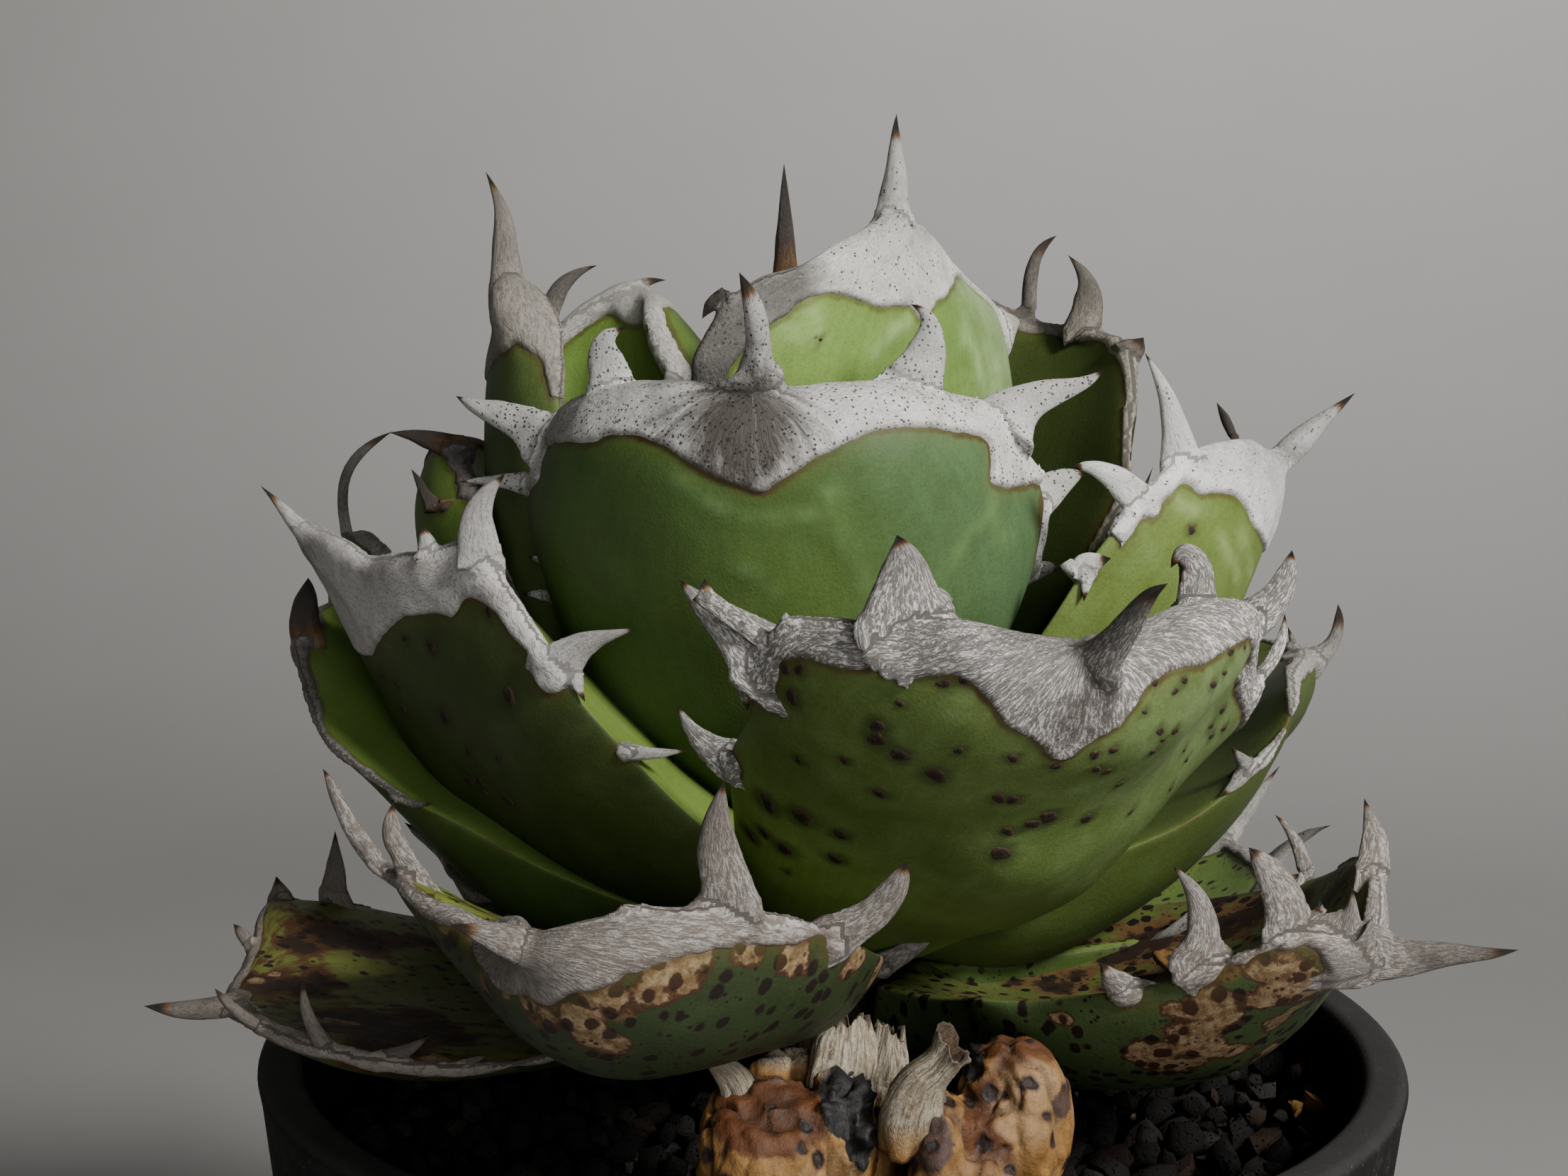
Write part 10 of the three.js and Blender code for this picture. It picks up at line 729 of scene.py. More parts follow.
134.6,39.6,-37.3,133.1,47.7,-32.6,133.8,54.8,-27.3,136.6,60.6,-21.5,141.2,64.8,-15.7,147.2,28.3,-46.3,139.6,35.8,-44.7,137.2,43.3,-42.1,136.5,50.3,
-38.5,137.6,56.3,-34.2,140.4,61.1,-29.5,144.5,64.3,-24.6,149.8,34.8,-49.4,141.9,40.8,-48.3,140.4,46.7,-46.3,140.1,52.2,-43.5,141,57,-40.2,143.1,60.9,
-36.4,146.3,63.4,-32.6,150.5,42.5,-52.3,145.6,46.3,-51.3,144.2,50.2,-49.7,143.6,54,-47.6,143.7,57.4,-45.1,144.7,60.3,-42.3,146.6,62.3,-39.5,149.2,
51.4,-54,149.1,52.8,-53.1,147.3,54.4,-51.9,146,56,-50.3,145.3,57.7,-48.6,145.4,59.3,-46.8,146.3,60.8,-45,147.8,57.6,-51.4,145.6,57.6,-51.4,145.6,57.6,
-51.4,145.6,57.6,-51.4,145.6,57.6,-51.4,145.6,57.6,-51.4,145.6,57.6,-51.4,145.6],
TO=[.3,5.9,9.2,10.1,9.2,5.9,.3,.3,5.2,7.8,8.7,8.1,5.3,.3,.3,4,5.8,6.7,7,4.7,.3,.3,3.1,5.5,6.5,6.2,4.1,.3,.3,3.2,5.5,6.2,5.4,3.3,.3,.3,3.3,5.2,5.3,4.3,
2.3,.3,.3,2.6,3.9,3.7,2.9,1.5,.3,.3,1.8,2.5,2.1,1.6,1.1,.3,.3,1.2,1.8,1.8,1.5,1.1,.3,.3,.7,1,1.1,1,.7,.3,.3,.3,.3,.3,.3,.3,.3],
TI=[0,.8,1.1,1.2,1.1,.8,0,0,1,1.5,1.6,1.5,1,0,0,1.3,1.8,2,1.8,1.3,0,0,1.4,2,2.2,2,1.4,0,0,1.4,2,2.2,2,1.4,0,0,1.2,1.8,1.9,1.8,1.2,0,0,1.1,1.5,1.6,1.5,
1.1,0,0,.8,1.2,1.3,1.2,.8,0,0,.6,.9,.9,.9,.6,0,0,.3,.5,.5,.5,.3,0,0,0,0,0,0,0,0],
teeth=[
('spine', [50.74,-51.72,145.35,-1.25,-.44,-2.95,58.36,-51.37,146.35,-1.36,-.48,-3.21,60.76,-51.18,145.99,-1.06,-.37,-2.5,63.22,-50.93,145.84,-.81,-.29,-1.93,
65.71,-50.65,145.97,-.64,-.22,-1.5,68.22,-50.35,146.12,-.48,-.17,-1.13,70.77,-50.03,146.11,-.29,-.12,-.82,73.32,-49.71,146.13,-.12,-.07,-.49,75.81,
-49.37,146.39,0,0,0]),
('', [36.2,-47.56,139.71,2.26,.06,.41,32.33,-48.26,140.89,2.46,.07,.44,31.78,-48.46,141.39,2.13,.05,.35,31.24,-48.71,141.9,1.8,.04,.25,30.69,-48.99,142.43,
1.48,.02,.16,30.17,-49.29,142.98,1.14,.01,.09,29.72,-49.6,143.59,.78,.01,.05,29.31,-49.93,144.22,.39,0,.03,28.9,-50.26,144.85,0,0,0]),
('', [42.41,-50.8,143.34,3.12,.25,1.7,39.53,-51.38,145.19,3.39,.28,1.85,39.7,-51.67,146.85,2.41,.26,1.75,39.84,-52.05,148.63,1.64,.25,1.66,39.7,-52.46,
150.53,1.14,.22,1.48,39.16,-52.91,152.42,.74,.18,1.19,38.3,-53.38,154.18,.41,.12,.82,37.15,-53.87,155.78,.18,.06,.42,35.85,-54.38,157.26,0,0,0]),
('', [48.28,-52.84,146.56,2.41,.13,.85,48.61,-53.91,149.42,2.62,.14,.92,48.56,-53.91,151.07,2.41,.15,1,48.33,-53.91,152.66,2.19,.16,1.05,47.74,-53.91,
154.14,1.92,.15,1.02,46.93,-53.91,155.54,1.6,.14,.93,46.07,-53.91,156.87,1.21,.12,.78,45.18,-53.91,158.08,.68,.07,.48,44.26,-53.91,159.13,0,0,0]),
('', [48.28,-52.84,146.56,.63,-.03,-.2,52.27,-53.9,152.04,.69,-.03,-.22,52.26,-53.9,152.21,.59,-.03,-.19,52.25,-53.9,152.39,.49,-.02,-.16,52.25,-53.9,
152.56,.39,-.02,-.13,52.24,-53.9,152.74,.29,-.01,-.09,52.23,-53.9,152.91,.2,-.01,-.06,52.23,-53.9,153.09,.1,-0,-.03,52.22,-53.9,153.26,0,0,0]),
('', [48.28,-52.84,146.56,3.49,-.14,-.91,56.45,-52.8,148.08,3.79,-.15,-.99,56.17,-52.8,148.71,2.87,-.16,-1.05,55.93,-52.8,149.42,1.99,-.16,-1.04,55.84,
-52.8,150.26,1.28,-.13,-.9,55.94,-52.8,151.25,.8,-.1,-.65,56.07,-52.8,152.33,.48,-.06,-.38,56.06,-52.8,153.45,.24,-.03,-.17,55.95,-52.8,154.58,0,0,0]),
('', [59.16,-8.19,137.73,.88,-.09,-.61,61.85,-4.12,142.29,.96,-.1,-.67,61.66,-3.83,143.57,.98,-.07,-.49,61.36,-3.45,144.79,.93,-.05,-.33,60.92,-3.03,
145.94,.83,-.03,-.18,60.36,-2.59,147.05,.72,-.01,-.04,59.72,-2.12,148.09,.55,.01,.06,58.96,-1.63,149.01,.31,.01,.07,58.09,-1.12,149.81,0,0,0]),
('', [61.93,-35.32,147.95,.98,-.32,-2.12,63.02,-33.02,150.25,1.06,-.34,-2.3,63.24,-32.73,151.57,1.18,-.29,-1.94,63.44,-32.35,152.86,1.26,-.24,-1.58,63.52,
-31.94,154.15,1.24,-.18,-1.22,63.41,-31.49,155.4,1.05,-.13,-.89,63.13,-31.02,156.61,.71,-.09,-.6,62.83,-30.53,157.81,.34,-.05,-.31,62.56,-30.02,
159.03,0,0,0]),
],
band=[[.876,-1],[.892,-1],[.905,-1],[.921,-1],[.933,-.96],[.942,-.98],[.954,-1],[.962,-1],[.97,-1],[.97,-.94],[.974,-.77],[.97,-.44],[.946,-.05],[.94,.25],
[.9,.6],[.8,.85],[.62,.98]],
spots=[],
imp=[]),
'B2': dict(
G=[-7.9,18,129.1,-8.1,12.4,127.5,-8.5,6.6,126.8,-9,.7,127,-9.7,-5,128.2,-10.4,-10.4,130.1,-11.3,-15.5,132.9,-23.4,21.9,127.8,-22.3,14.9,126,-21.2,7.7,
125.2,-20.3,.5,125.5,-19.5,-6.6,126.9,-18.8,-13.5,129.3,-18.3,-19.9,132.7,-39.9,22.3,127.6,-36.8,14.4,125.5,-33.7,6.2,124.6,-30.6,-2.1,124.8,-27.6,
-10.2,126.2,-24.7,-18.1,128.9,-22.1,-25.6,132.6,-54.5,18.8,128.7,-49.6,10.6,126.2,-44.6,2.1,125,-39.5,-6.4,124.8,-34.4,-14.9,125.9,-29.4,-23.1,128.3,
-24.5,-31,131.9,-64.9,13.7,132,-59.2,5.5,128.6,-53.2,-3,126.4,-47,-11.5,125.5,-40.7,-19.9,126,-34.3,-28.2,127.8,-28,-36.1,130.8,-71.6,8.7,134.3,-65.9,
.5,130.5,-59.8,-8,127.9,-53.4,-16.4,126.6,-46.9,-24.9,126.5,-40.2,-33.1,127.7,-33.4,-41.1,130.2,-74.8,3.7,135.6,-70,-4.4,131.9,-64.7,-12.5,129.3,
-59.2,-20.8,127.9,-53.4,-28.9,127.6,-47.5,-37,128.4,-41.5,-44.7,130.3,-75.3,-2.1,135,-71.9,-9.4,132.2,-68.2,-16.7,130.3,-64.3,-24.1,129.2,-60.2,-31.4,
129,-55.9,-38.7,129.7,-51.4,-45.7,131.1,-74.5,-9.2,134.1,-72.8,-14.8,132.3,-70.9,-20.5,131.1,-68.7,-26.3,130.5,-66.4,-32,130.5,-64,-37.6,131.1,-61.5,
-43.1,132.3,-74.1,-17.7,133,-73.6,-20.9,132.1,-73,-24.2,131.6,-72.2,-27.4,131.4,-71.3,-30.7,131.6,-70.2,-33.8,132.2,-69.1,-36.9,133.1,-73.9,-27.8,
131.9,-73.9,-27.8,131.9,-73.9,-27.8,131.9,-73.9,-27.8,131.9,-73.9,-27.8,131.9,-73.9,-27.8,131.9,-73.9,-27.8,131.9],
TO=[.3,4.3,6.7,7.4,6.7,4.3,.3,.3,3.9,6,6.5,6,3.9,.3,.3,3.4,5.2,5.8,5.2,3.4,.3,.3,3,4.6,5,4.6,3,.3,.3,2.6,4,4.4,3.9,2.3,.3,.3,2.2,3.4,3.7,2.8,1.6,.3,.3,
1.9,2.9,3.1,2.5,1.5,.3,.3,1.5,2.3,2.4,2.1,1.2,.3,.3,1,1.6,1.5,1.2,.6,.3,.3,.6,.9,.8,.3,.3,.3,.3,.3,.3,.3,.3,.3,.3],
TI=[0,.8,1.1,1.2,1.1,.8,0,0,1,1.4,1.5,1.4,1,0,0,1.2,1.7,1.8,1.7,1.2,0,0,1.3,1.9,2,1.9,1.3,0,0,1.4,2,2.2,2,1.4,0,0,1.4,2.1,2.2,2.1,1.4,0,0,1.3,1.9,2.1,
1.9,1.3,0,0,1.1,1.6,1.7,1.6,1.1,0,0,.8,1.2,1.3,1.2,.8,0,0,.4,.6,.7,.6,.4,0,0,0,0,0,0,0,0],
teeth=[
('spine', [-68.04,-33.91,131.32,.21,-.21,-1.39,-71.98,-32.09,133.3,.22,-.23,-1.51,-73.57,-32.09,132.98,.17,-.22,-1.44,-75.16,-32.09,132.71,.11,-.2,-1.34,-76.75,
-32.09,132.56,.06,-.18,-1.2,-78.34,-32.09,132.53,.01,-.16,-1.05,-79.92,-32.09,132.6,-.01,-.12,-.82,-81.46,-32.09,132.75,-.01,-.07,-.45,-82.99,-32.09,
132.95,0,0,0]),
('', [-73.58,-13.97,132.86,.88,.06,.42,-74.88,-10.87,134.08,.95,.07,.46,-75.23,-10.67,134.45,.87,.07,.44,-75.6,-10.42,134.81,.79,.06,.43,-75.97,-10.14,
135.15,.71,.06,.41,-76.35,-9.84,135.48,.59,.05,.37,-76.72,-9.53,135.77,.41,.04,.26,-77.11,-9.2,136.03,.21,.02,.13,-77.5,-8.87,136.29,0,0,0]),
('', [-71.03,.47,133,2.47,.04,.24,-74.03,5.35,133.15,2.68,.04,.26,-74.21,5.55,133.93,2.37,.03,.22,-74.4,5.8,134.69,2.07,.03,.19,-74.6,6.08,135.43,1.75,.02,
.16,-74.79,6.38,136.15,1.38,.02,.12,-74.96,6.69,136.84,.94,.01,.08,-75.12,7.02,137.5,.47,.01,.04,-75.29,7.35,138.17,0,0,0]),
('', [-65.03,6.44,130.91,2.06,0,.01,-68.33,11.39,134.19,2.24,0,.02,-68.28,11.59,135.48,1.95,0,.02,-68.24,11.84,136.75,1.65,0,.03,-68.2,12.12,138.02,1.34,0,
.03,-68.2,12.41,139.27,1.03,0,.03,-68.23,12.73,140.52,.69,0,.02,-68.28,13.05,141.76,.35,0,.01,-68.33,13.39,143,0,0,0]),
('', [-60.03,-40.78,131.09,1.27,.03,.23,-58.44,-44.43,131.67,1.38,.04,.25,-59.09,-44.63,132.86,1.22,.03,.17,-59.72,-44.88,134.08,1.05,.01,.09,-60.26,
-45.16,135.35,.88,0,.02,-60.67,-45.45,136.69,.75,-0,-.02,-60.92,-45.77,138.08,.58,-0,-.03,-60.95,-46.09,139.48,.32,-0,-.02,-60.84,-46.43,140.89,0,0,
0]),
('', [-66.42,-37.99,132.12,.53,.1,.64,-66.59,-39.69,132.64,.57,.1,.7,-67.52,-39.88,133.31,.55,.09,.63,-68.44,-40.13,134,.53,.08,.57,-69.31,-40.41,134.73,
.51,.08,.51,-70.12,-40.71,135.56,.49,.07,.46,-70.85,-41.02,136.46,.44,.06,.4,-71.51,-41.35,137.39,.28,.04,.24,-72.08,-41.69,138.35,0,0,0]),
('', [-55.48,-41.43,130.38,1.12,-.1,-.66,-52.98,-45.52,131.08,1.22,-.11,-.71,-51.97,-45.71,131.47,1.07,-.09,-.61,-50.95,-45.96,131.89,.93,-.08,-.5,-49.94,
-46.24,132.33,.78,-.06,-.42,-48.97,-46.54,132.88,.63,-.05,-.35,-48.06,-46.85,133.53,.43,-.04,-.25,-47.18,-47.18,134.24,.22,-.02,-.12,-46.3,-47.52,
134.94,0,0,0]),
('', [-46.9,-40.58,129.3,.56,-.06,-.4,-43.51,-45.15,130.47,.61,-.07,-.44,-42.95,-45.34,130.74,.52,-.06,-.37,-42.39,-45.59,131.03,.44,-.05,-.31,-41.82,
-45.87,131.34,.35,-.04,-.25,-41.25,-46.17,131.65,.26,-.03,-.19,-40.68,-46.48,131.96,.17,-.02,-.12,-40.12,-46.81,132.28,.09,-.01,-.06,-39.55,-47.15,
132.6,0,0,0]),
],
band=None,
spots=[],
imp=[]),
'N5': dict(
G=[17.1,-8.3,130.9,13.6,-4.2,128.2,10,.2,126.6,6.3,4.9,126,2.7,9.7,126.6,-.8,14.3,128.2,-3.9,18.6,130.9,27.6,-4.3,131.2,23.5,.5,127.8,19.1,5.8,125.8,
14.6,11.4,125.1,10.3,17.1,125.8,6.2,22.7,127.8,2.5,27.9,131.2,37.5,-.9,131.6,32.7,4.7,127.5,27.6,10.9,125.1,22.4,17.5,124.2,17.3,24.1,125.1,12.5,30.6,
127.5,8.2,36.6,131.6,45.8,2.7,132.1,40.8,9,127.5,35.3,15.9,124.7,29.6,23.1,123.7,24,30.4,124.7,18.6,37.4,127.5,13.7,43.8,132.1,52.4,6.6,132.8,47.5,
13.4,128,42.1,20.7,125,36.3,28.3,123.9,30.3,35.8,125,24.5,42.9,128,19.1,49.2,132.8,57.2,10.9,133.8,53,17.9,129,47.9,25.4,126,42.2,33,125,36.2,40.3,
126,30.2,47.1,129,24.4,52.9,133.8,60.3,16.1,134.7,56.8,22.8,130.3,52.5,29.9,127.6,47.4,37,126.7,41.7,43.7,127.6,35.9,49.6,130.3,30.2,54.6,134.7,61.8,
22.3,135.4,59.3,28.2,131.9,55.8,34.3,129.7,51.6,40.3,128.9,46.8,45.9,129.7,41.7,50.7,131.9,36.6,54.5,135.4,61.9,29.4,135.7,60.3,33.9,133.2,57.9,38.5,
131.7,54.9,42.9,131.1,51.4,46.9,131.7,47.5,50.3,133.2,43.5,53,135.7,60.9,37.3,135.4,60.1,39.8,134.1,58.9,42.3,133.3,57.2,44.7,133,55.3,46.9,133.3,
53.1,48.7,134.1,50.9,50.1,135.4,58.3,45.6,134,58.3,45.6,134,58.3,45.6,134,58.3,45.6,134,58.3,45.6,134,58.3,45.6,134,58.3,45.6,134],
TO=[0,5.3,8.2,9,8.2,5.3,0,0,5,7.8,8.5,7.8,5,0,0,4.8,7.4,8.1,7.4,4.8,0,0,4.5,7,7.7,7,4.5,0,0,4.3,6.7,7.3,6.7,4.3,0,0,4.1,6.4,7,6.4,4.1,0,0,3.9,6.1,6.7,
6.1,3.9,0,0,3.4,5.2,5.8,5.2,3.4,0,0,2.6,4,4.4,4,2.6,0,0,1.6,2.5,2.7,2.5,1.6,0,0,0,0,0,0,0,0],
TI=[0,.9,1.3,1.4,1.3,.9,0,0,1,1.5,1.6,1.5,1,0,0,1.2,1.8,1.9,1.8,1.2,0,0,1.3,2,2.1,2,1.3,0,0,1.4,2.1,2.2,2.1,1.4,0,0,1.4,2,2.2,2,1.4,0,0,1.3,1.9,2,1.9,
1.3,0,0,1.1,1.6,1.7,1.6,1.1,0,0,.8,1.1,1.2,1.1,.8,0,0,.4,.6,.7,.6,.4,0,0,0,0,0,0,0,0],
teeth=[
('spine', [54.24,42.38,129.64,-3.26,4.17,0,56.9,44.46,131.79,-3.26,4.17,0,58.89,46.01,133.43,-2.62,3.35,0,60.87,47.55,135.09,-2.03,2.6,0,62.82,49.08,136.78,
-1.49,1.91,0,64.76,50.6,138.5,-1.01,1.29,0,66.69,52.1,140.26,-.59,.75,0,68.6,53.59,142.04,-.24,.31,0,70.49,55.07,143.86,0,0,0]),
('', [60.37,23.14,133.44,.4,3.81,.28,61.82,22.84,135.46,.4,3.81,.28,62.98,22.57,137.03,.33,3.08,.23,64.13,22.08,138.48,.25,2.41,.18,65.27,21.37,139.82,.19,
1.78,.13,66.4,20.45,141.05,.13,1.21,.09,67.52,19.32,142.17,.07,.71,.05,68.63,17.97,143.17,.03,.29,.02,69.73,16.4,144.06,0,0,0]),
('', [57.59,14.88,132.78,2.62,4.74,.84,59.16,13.73,134.34,2.62,4.74,.84,59.93,13.24,135.07,2.12,3.84,.68,60.71,12.79,135.76,1.65,2.99,.53,61.5,12.39,136.4,
1.22,2.21,.39,62.3,12.03,136.99,.83,1.51,.27,63.11,11.72,137.55,.49,.88,.16,63.94,11.46,138.06,.2,.36,.06,64.77,11.24,138.52,0,0,0]),
('', [50.01,7.62,131.35,3.8,2.51,.51,51.08,5.75,132.64,3.8,2.51,.51,52.07,4.53,133.6,3.08,2.03,.41,52.99,3.32,134.51,2.4,1.58,.32,53.83,2.12,135.37,1.77,
1.17,.24,54.6,.92,136.18,1.21,.8,.16,55.28,-.27,136.94,.71,.47,.09,55.89,-1.45,137.65,.29,.19,.04,56.43,-2.63,138.31,0,0,0]),
('', [44.41,4.43,130.76,3.86,1.9,.31,45.28,2.46,132.03,3.86,1.9,.31,45.64,1.55,132.67,3.12,1.54,.25,46.04,.76,133.39,2.44,1.2,.19,46.49,.1,134.2,1.8,.89,
.14,46.99,-.43,135.1,1.23,.6,.1,47.54,-.85,136.08,.72,.35,.06,48.13,-1.13,137.14,.29,.14,.02,48.78,-1.29,138.29,0,0,0]),
('', [35.36,53.08,133.37,4.48,-.38,.4,35.32,54.65,135.31,4.48,-.38,.4,35.18,55.61,136.43,3.63,-.31,.33,34.9,56.59,137.47,2.83,-.24,.26,34.49,57.6,138.42,
2.09,-.18,.19,33.94,58.62,139.28,1.42,-.12,.13,33.26,59.66,140.05,.83,-.07,.08,32.45,60.71,140.73,.34,-.03,.03,31.5,61.79,141.33,0,0,0]),
('', [26.6,51.64,132.54,4.33,1.72,.74,25.64,53.42,134.01,4.33,1.72,.74,24.9,54.75,135.07,3.51,1.39,.6,23.99,56,136,2.74,1.08,.47,22.92,57.17,136.8,2.02,.8,
.35,21.68,58.26,137.48,1.38,.55,.24,20.28,59.27,138.04,.81,.32,.14,18.71,60.2,138.47,.33,.13,.06,16.98,61.06,138.78,0,0,0]),
('', [21.23,48.2,131.63,3.24,2.67,.56,19.74,49.74,132.93,3.24,2.67,.56,18.7,51.05,134.08,2.62,2.16,.45,17.94,52.4,135.38,2.04,1.68,.35,17.47,53.78,136.85,
1.51,1.24,.26,17.29,55.21,138.47,1.03,.85,.18,17.4,56.67,140.25,.6,.5,.1,17.79,58.18,142.19,.25,.2,.04,18.48,59.72,144.28,0,0,0]),
('', [14.99,41.96,130.76,2.45,2.9,.27,13.29,43.28,132.03,2.45,2.9,.27,12.61,43.98,132.59,1.98,2.35,.22,11.99,44.7,133.1,1.55,1.83,.17,11.4,45.46,133.57,
1.14,1.36,.13,10.87,46.24,133.99,.78,.92,.09,10.38,47.06,134.36,.46,.54,.05,9.93,47.9,134.69,.19,.22,.02,9.54,48.78,134.97,0,0,0]),
],
band=None,
spots=[],
imp=[]),
'N6': dict(
G=[18.2,5.1,129.9,12.9,5.9,127.2,7.3,6.9,125.6,1.4,7.9,125,-4.5,8.9,125.6,-10.1,10,127.2,-15.4,11,129.9,24.3,16.7,130.8,17.8,17.7,127.4,10.8,18.8,125.2,
3.5,20.1,124.5,-3.7,21.4,125.2,-10.7,22.7,127.4,-17.1,24,130.8,30.2,27.2,132,22.6,28.6,127.8,14.2,30,125.2,5.6,31.5,124.3,-3.1,33.1,125.2,-11.4,34.5,
127.8,-19.1,35.9,132,34.6,36.7,133.5,26.3,38.5,128.6,17.1,40.4,125.6,7.4,42.1,124.6,-2.2,43.8,125.6,-11.5,45.2,128.6,-20,46.3,133.5,37.3,45.2,135.2,
28.7,47.6,130,19.2,49.8,126.9,9.1,51.8,125.8,-1,53.4,126.9,-10.7,54.5,130,-19.6,55.2,135.2,38.2,52.6,137.1,29.9,55.6,132.1,20.6,58.3,129,10.6,60.4,
127.9,.6,61.8,129,-9,62.5,132.1,-17.9,62.5,137.1,37,59.4,139,29.5,62.8,134.5,21,65.6,131.7,11.9,67.6,130.8,2.7,68.8,131.7,-6.3,69.1,134.5,-14.5,68.4,
139,33.8,65.8,140.6,27.6,69.1,137,20.6,71.7,134.8,13,73.6,134,5.2,74.5,134.8,-2.3,74.4,137,-9.3,73.4,140.6,28.9,71.9,141.7,24.5,74.6,139.2,19.3,76.7,
137.7,13.8,78.1,137.1,8.1,78.7,137.7,2.5,78.5,139.2,-2.6,77.5,141.7,22.5,77.7,142.1,20.1,79.3,140.8,17.4,80.5,140,14.3,81.2,139.7,11.2,81.5,140,8.2,
81.4,140.8,5.4,80.7,142.1,14.6,82.7,141,14.6,82.7,141,14.6,82.7,141,14.6,82.7,141,14.6,82.7,141,14.6,82.7,141,14.6,82.7,141],
TO=[0,5.3,8.2,9,8.2,5.3,0,0,5,7.8,8.5,7.8,5,0,0,4.8,7.4,8.1,7.4,4.8,0,0,4.5,7,7.7,7,4.5,0,0,4.3,6.7,7.3,6.7,4.3,0,0,4.1,6.4,7,6.4,4.1,0,0,3.9,6.1,6.7,
6.1,3.9,0,0,3.4,5.2,5.7,5.2,3.4,0,0,2.6,4,4.4,4,2.6,0,0,1.6,2.5,2.7,2.5,1.6,0,0,0,0,0,0,0,0],
TI=[0,.8,1.2,1.3,1.2,.8,0,0,1,1.5,1.6,1.5,1,0,0,1.2,1.8,1.9,1.8,1.2,0,0,1.3,2,2.1,2,1.3,0,0,1.4,2.1,2.2,2.1,1.4,0,0,1.4,2,2.2,2,1.4,0,0,1.3,1.9,2,1.9,
1.3,0,0,1.1,1.6,1.7,1.6,1.1,0,0,.8,1.1,1.2,1.1,.8,0,0,.4,.6,.7,.6,.4,0,0,0,0,0,0,0,0],
teeth=[
('spine', [13.71,77.77,135.82,-5.78,1.02,0,14.26,80.85,138.31,-5.78,1.02,0,14.72,83.43,140.43,-4.65,.82,0,15.21,85.97,142.59,-3.6,.64,0,15.71,88.49,144.78,
-2.65,.47,0,16.23,90.96,147.01,-1.79,.32,0,16.76,93.41,149.28,-1.04,.18,0,17.32,95.82,151.58,-.43,.08,0,17.89,98.2,153.92,0,0,0]),
('', [30.86,67.8,138.94,-3.27,4.26,.84,32.04,68.28,141.09,-3.27,4.26,.84,32.9,68.69,142.84,-2.65,3.45,.68,33.59,69.1,144.59,-2.07,2.69,.53,34.13,69.51,
146.35,-1.53,1.99,.39,34.51,69.92,148.12,-1.04,1.35,.27,34.73,70.33,149.91,-.61,.79,.16,34.79,70.74,151.7,-.25,.32,.06,34.7,71.15,153.5,0,0,0]),
('', [36.14,53.59,135.85,-.25,4.76,1.3,38.16,53.31,137.29,-.25,4.76,1.3,39.28,53.19,138.15,-.2,3.85,1.05,40.31,53.02,139.03,-.16,3.01,.82,41.25,52.8,
139.94,-.12,2.22,.61,42.12,52.53,140.88,-.08,1.51,.41,42.9,52.22,141.84,-.05,.89,.24,43.59,51.86,142.82,-.02,.36,.1,44.21,51.44,143.84,0,0,0]),
('', [35.07,45.15,133.72,.88,3.64,.82,37.09,44.38,134.98,.88,3.64,.82,38.87,44.12,136.09,.71,2.95,.66,40.62,43.93,137.13,.56,2.3,.52,42.35,43.8,138.11,.41,
1.7,.38,44.05,43.74,139.03,.28,1.16,.26,45.72,43.74,139.88,.16,.68,.15,47.37,43.8,140.67,.07,.28,.06,48.99,43.92,141.4,0,0,0]),
('', [31.96,35.96,131.93,1.49,3.49,.58,33.89,34.94,133.15,1.49,3.49,.58,34.71,34.45,133.68,1.21,2.82,.47,35.51,34.04,134.21,.94,2.2,.36,36.3,33.68,134.75,
.7,1.63,.27,37.07,33.4,135.29,.47,1.11,.18,37.83,33.18,135.83,.28,.65,.11,38.57,33.02,136.38,.11,.27,.04,39.29,32.93,136.92,0,0,0]),
('', [-9.6,71.2,138.2,3.48,2.96,.95,-10.88,72.08,140.16,3.48,2.96,.95,-11.42,72.75,141.44,2.82,2.4,.77,-11.84,73.33,142.76,2.2,1.87,.6,-12.14,73.84,144.14,
1.62,1.38,.45,-12.34,74.27,145.56,1.1,.94,.3,-12.42,74.61,147.03,.65,.55,.18,-12.39,74.88,148.54,.27,.23,.07,-12.24,75.06,150.11,0,0,0]),
('', [-14.39,65.28,136.57,2.22,3.68,1.18,-16.23,65.88,138.14,2.22,3.68,1.18,-17.6,66.4,139.37,1.79,2.98,.95,-18.88,66.92,140.6,1.4,2.32,.74,-20.07,67.47,
141.81,1.03,1.72,.55,-21.17,68.03,143.02,.7,1.17,.37,-22.18,68.62,144.23,.41,.68,.22,-23.11,69.21,145.42,.17,.28,.09,-23.94,69.83,146.61,0,0,0]),
('', [-17.67,52.78,133.38,.3,3.9,.8,-19.83,52.69,134.62,.3,3.9,.8,-21.47,52.74,135.61,.25,3.16,.65,-23.04,52.57,136.56,.19,2.46,.51,-24.55,52.2,137.48,.14,
1.82,.38,-25.99,51.62,138.37,.1,1.24,.26,-27.37,50.83,139.22,.06,.73,.15,-28.69,49.83,140.04,.02,.3,.06,-29.94,48.63,140.82,0,0,0]),
('', [-17.72,44.49,131.89,-.27,4.76,.72,-19.89,44.18,133.11,-.27,4.76,.72,-20.86,44.09,133.64,-.22,3.85,.58,-21.82,43.94,134.1,-.17,3,.45,-22.76,43.72,
134.48,-.13,2.22,.33,-23.69,43.42,134.8,-.09,1.51,.23,-24.6,43.07,135.04,-.05,.88,.13,-25.5,42.64,135.21,-.02,.36,.05,-26.38,42.14,135.31,0,0,0]),
],
band=None,
spots=[],
imp=[]),
'N7': dict(
G=[8.7,16.9,130.4,4.5,13.5,127.7,-.1,10,126.1,-4.8,6.4,125.5,-9.6,2.8,126.1,-14.2,-.6,127.7,-18.6,-3.7,130.4,4.7,28.2,131,-.3,24.2,127.6,-5.8,19.8,
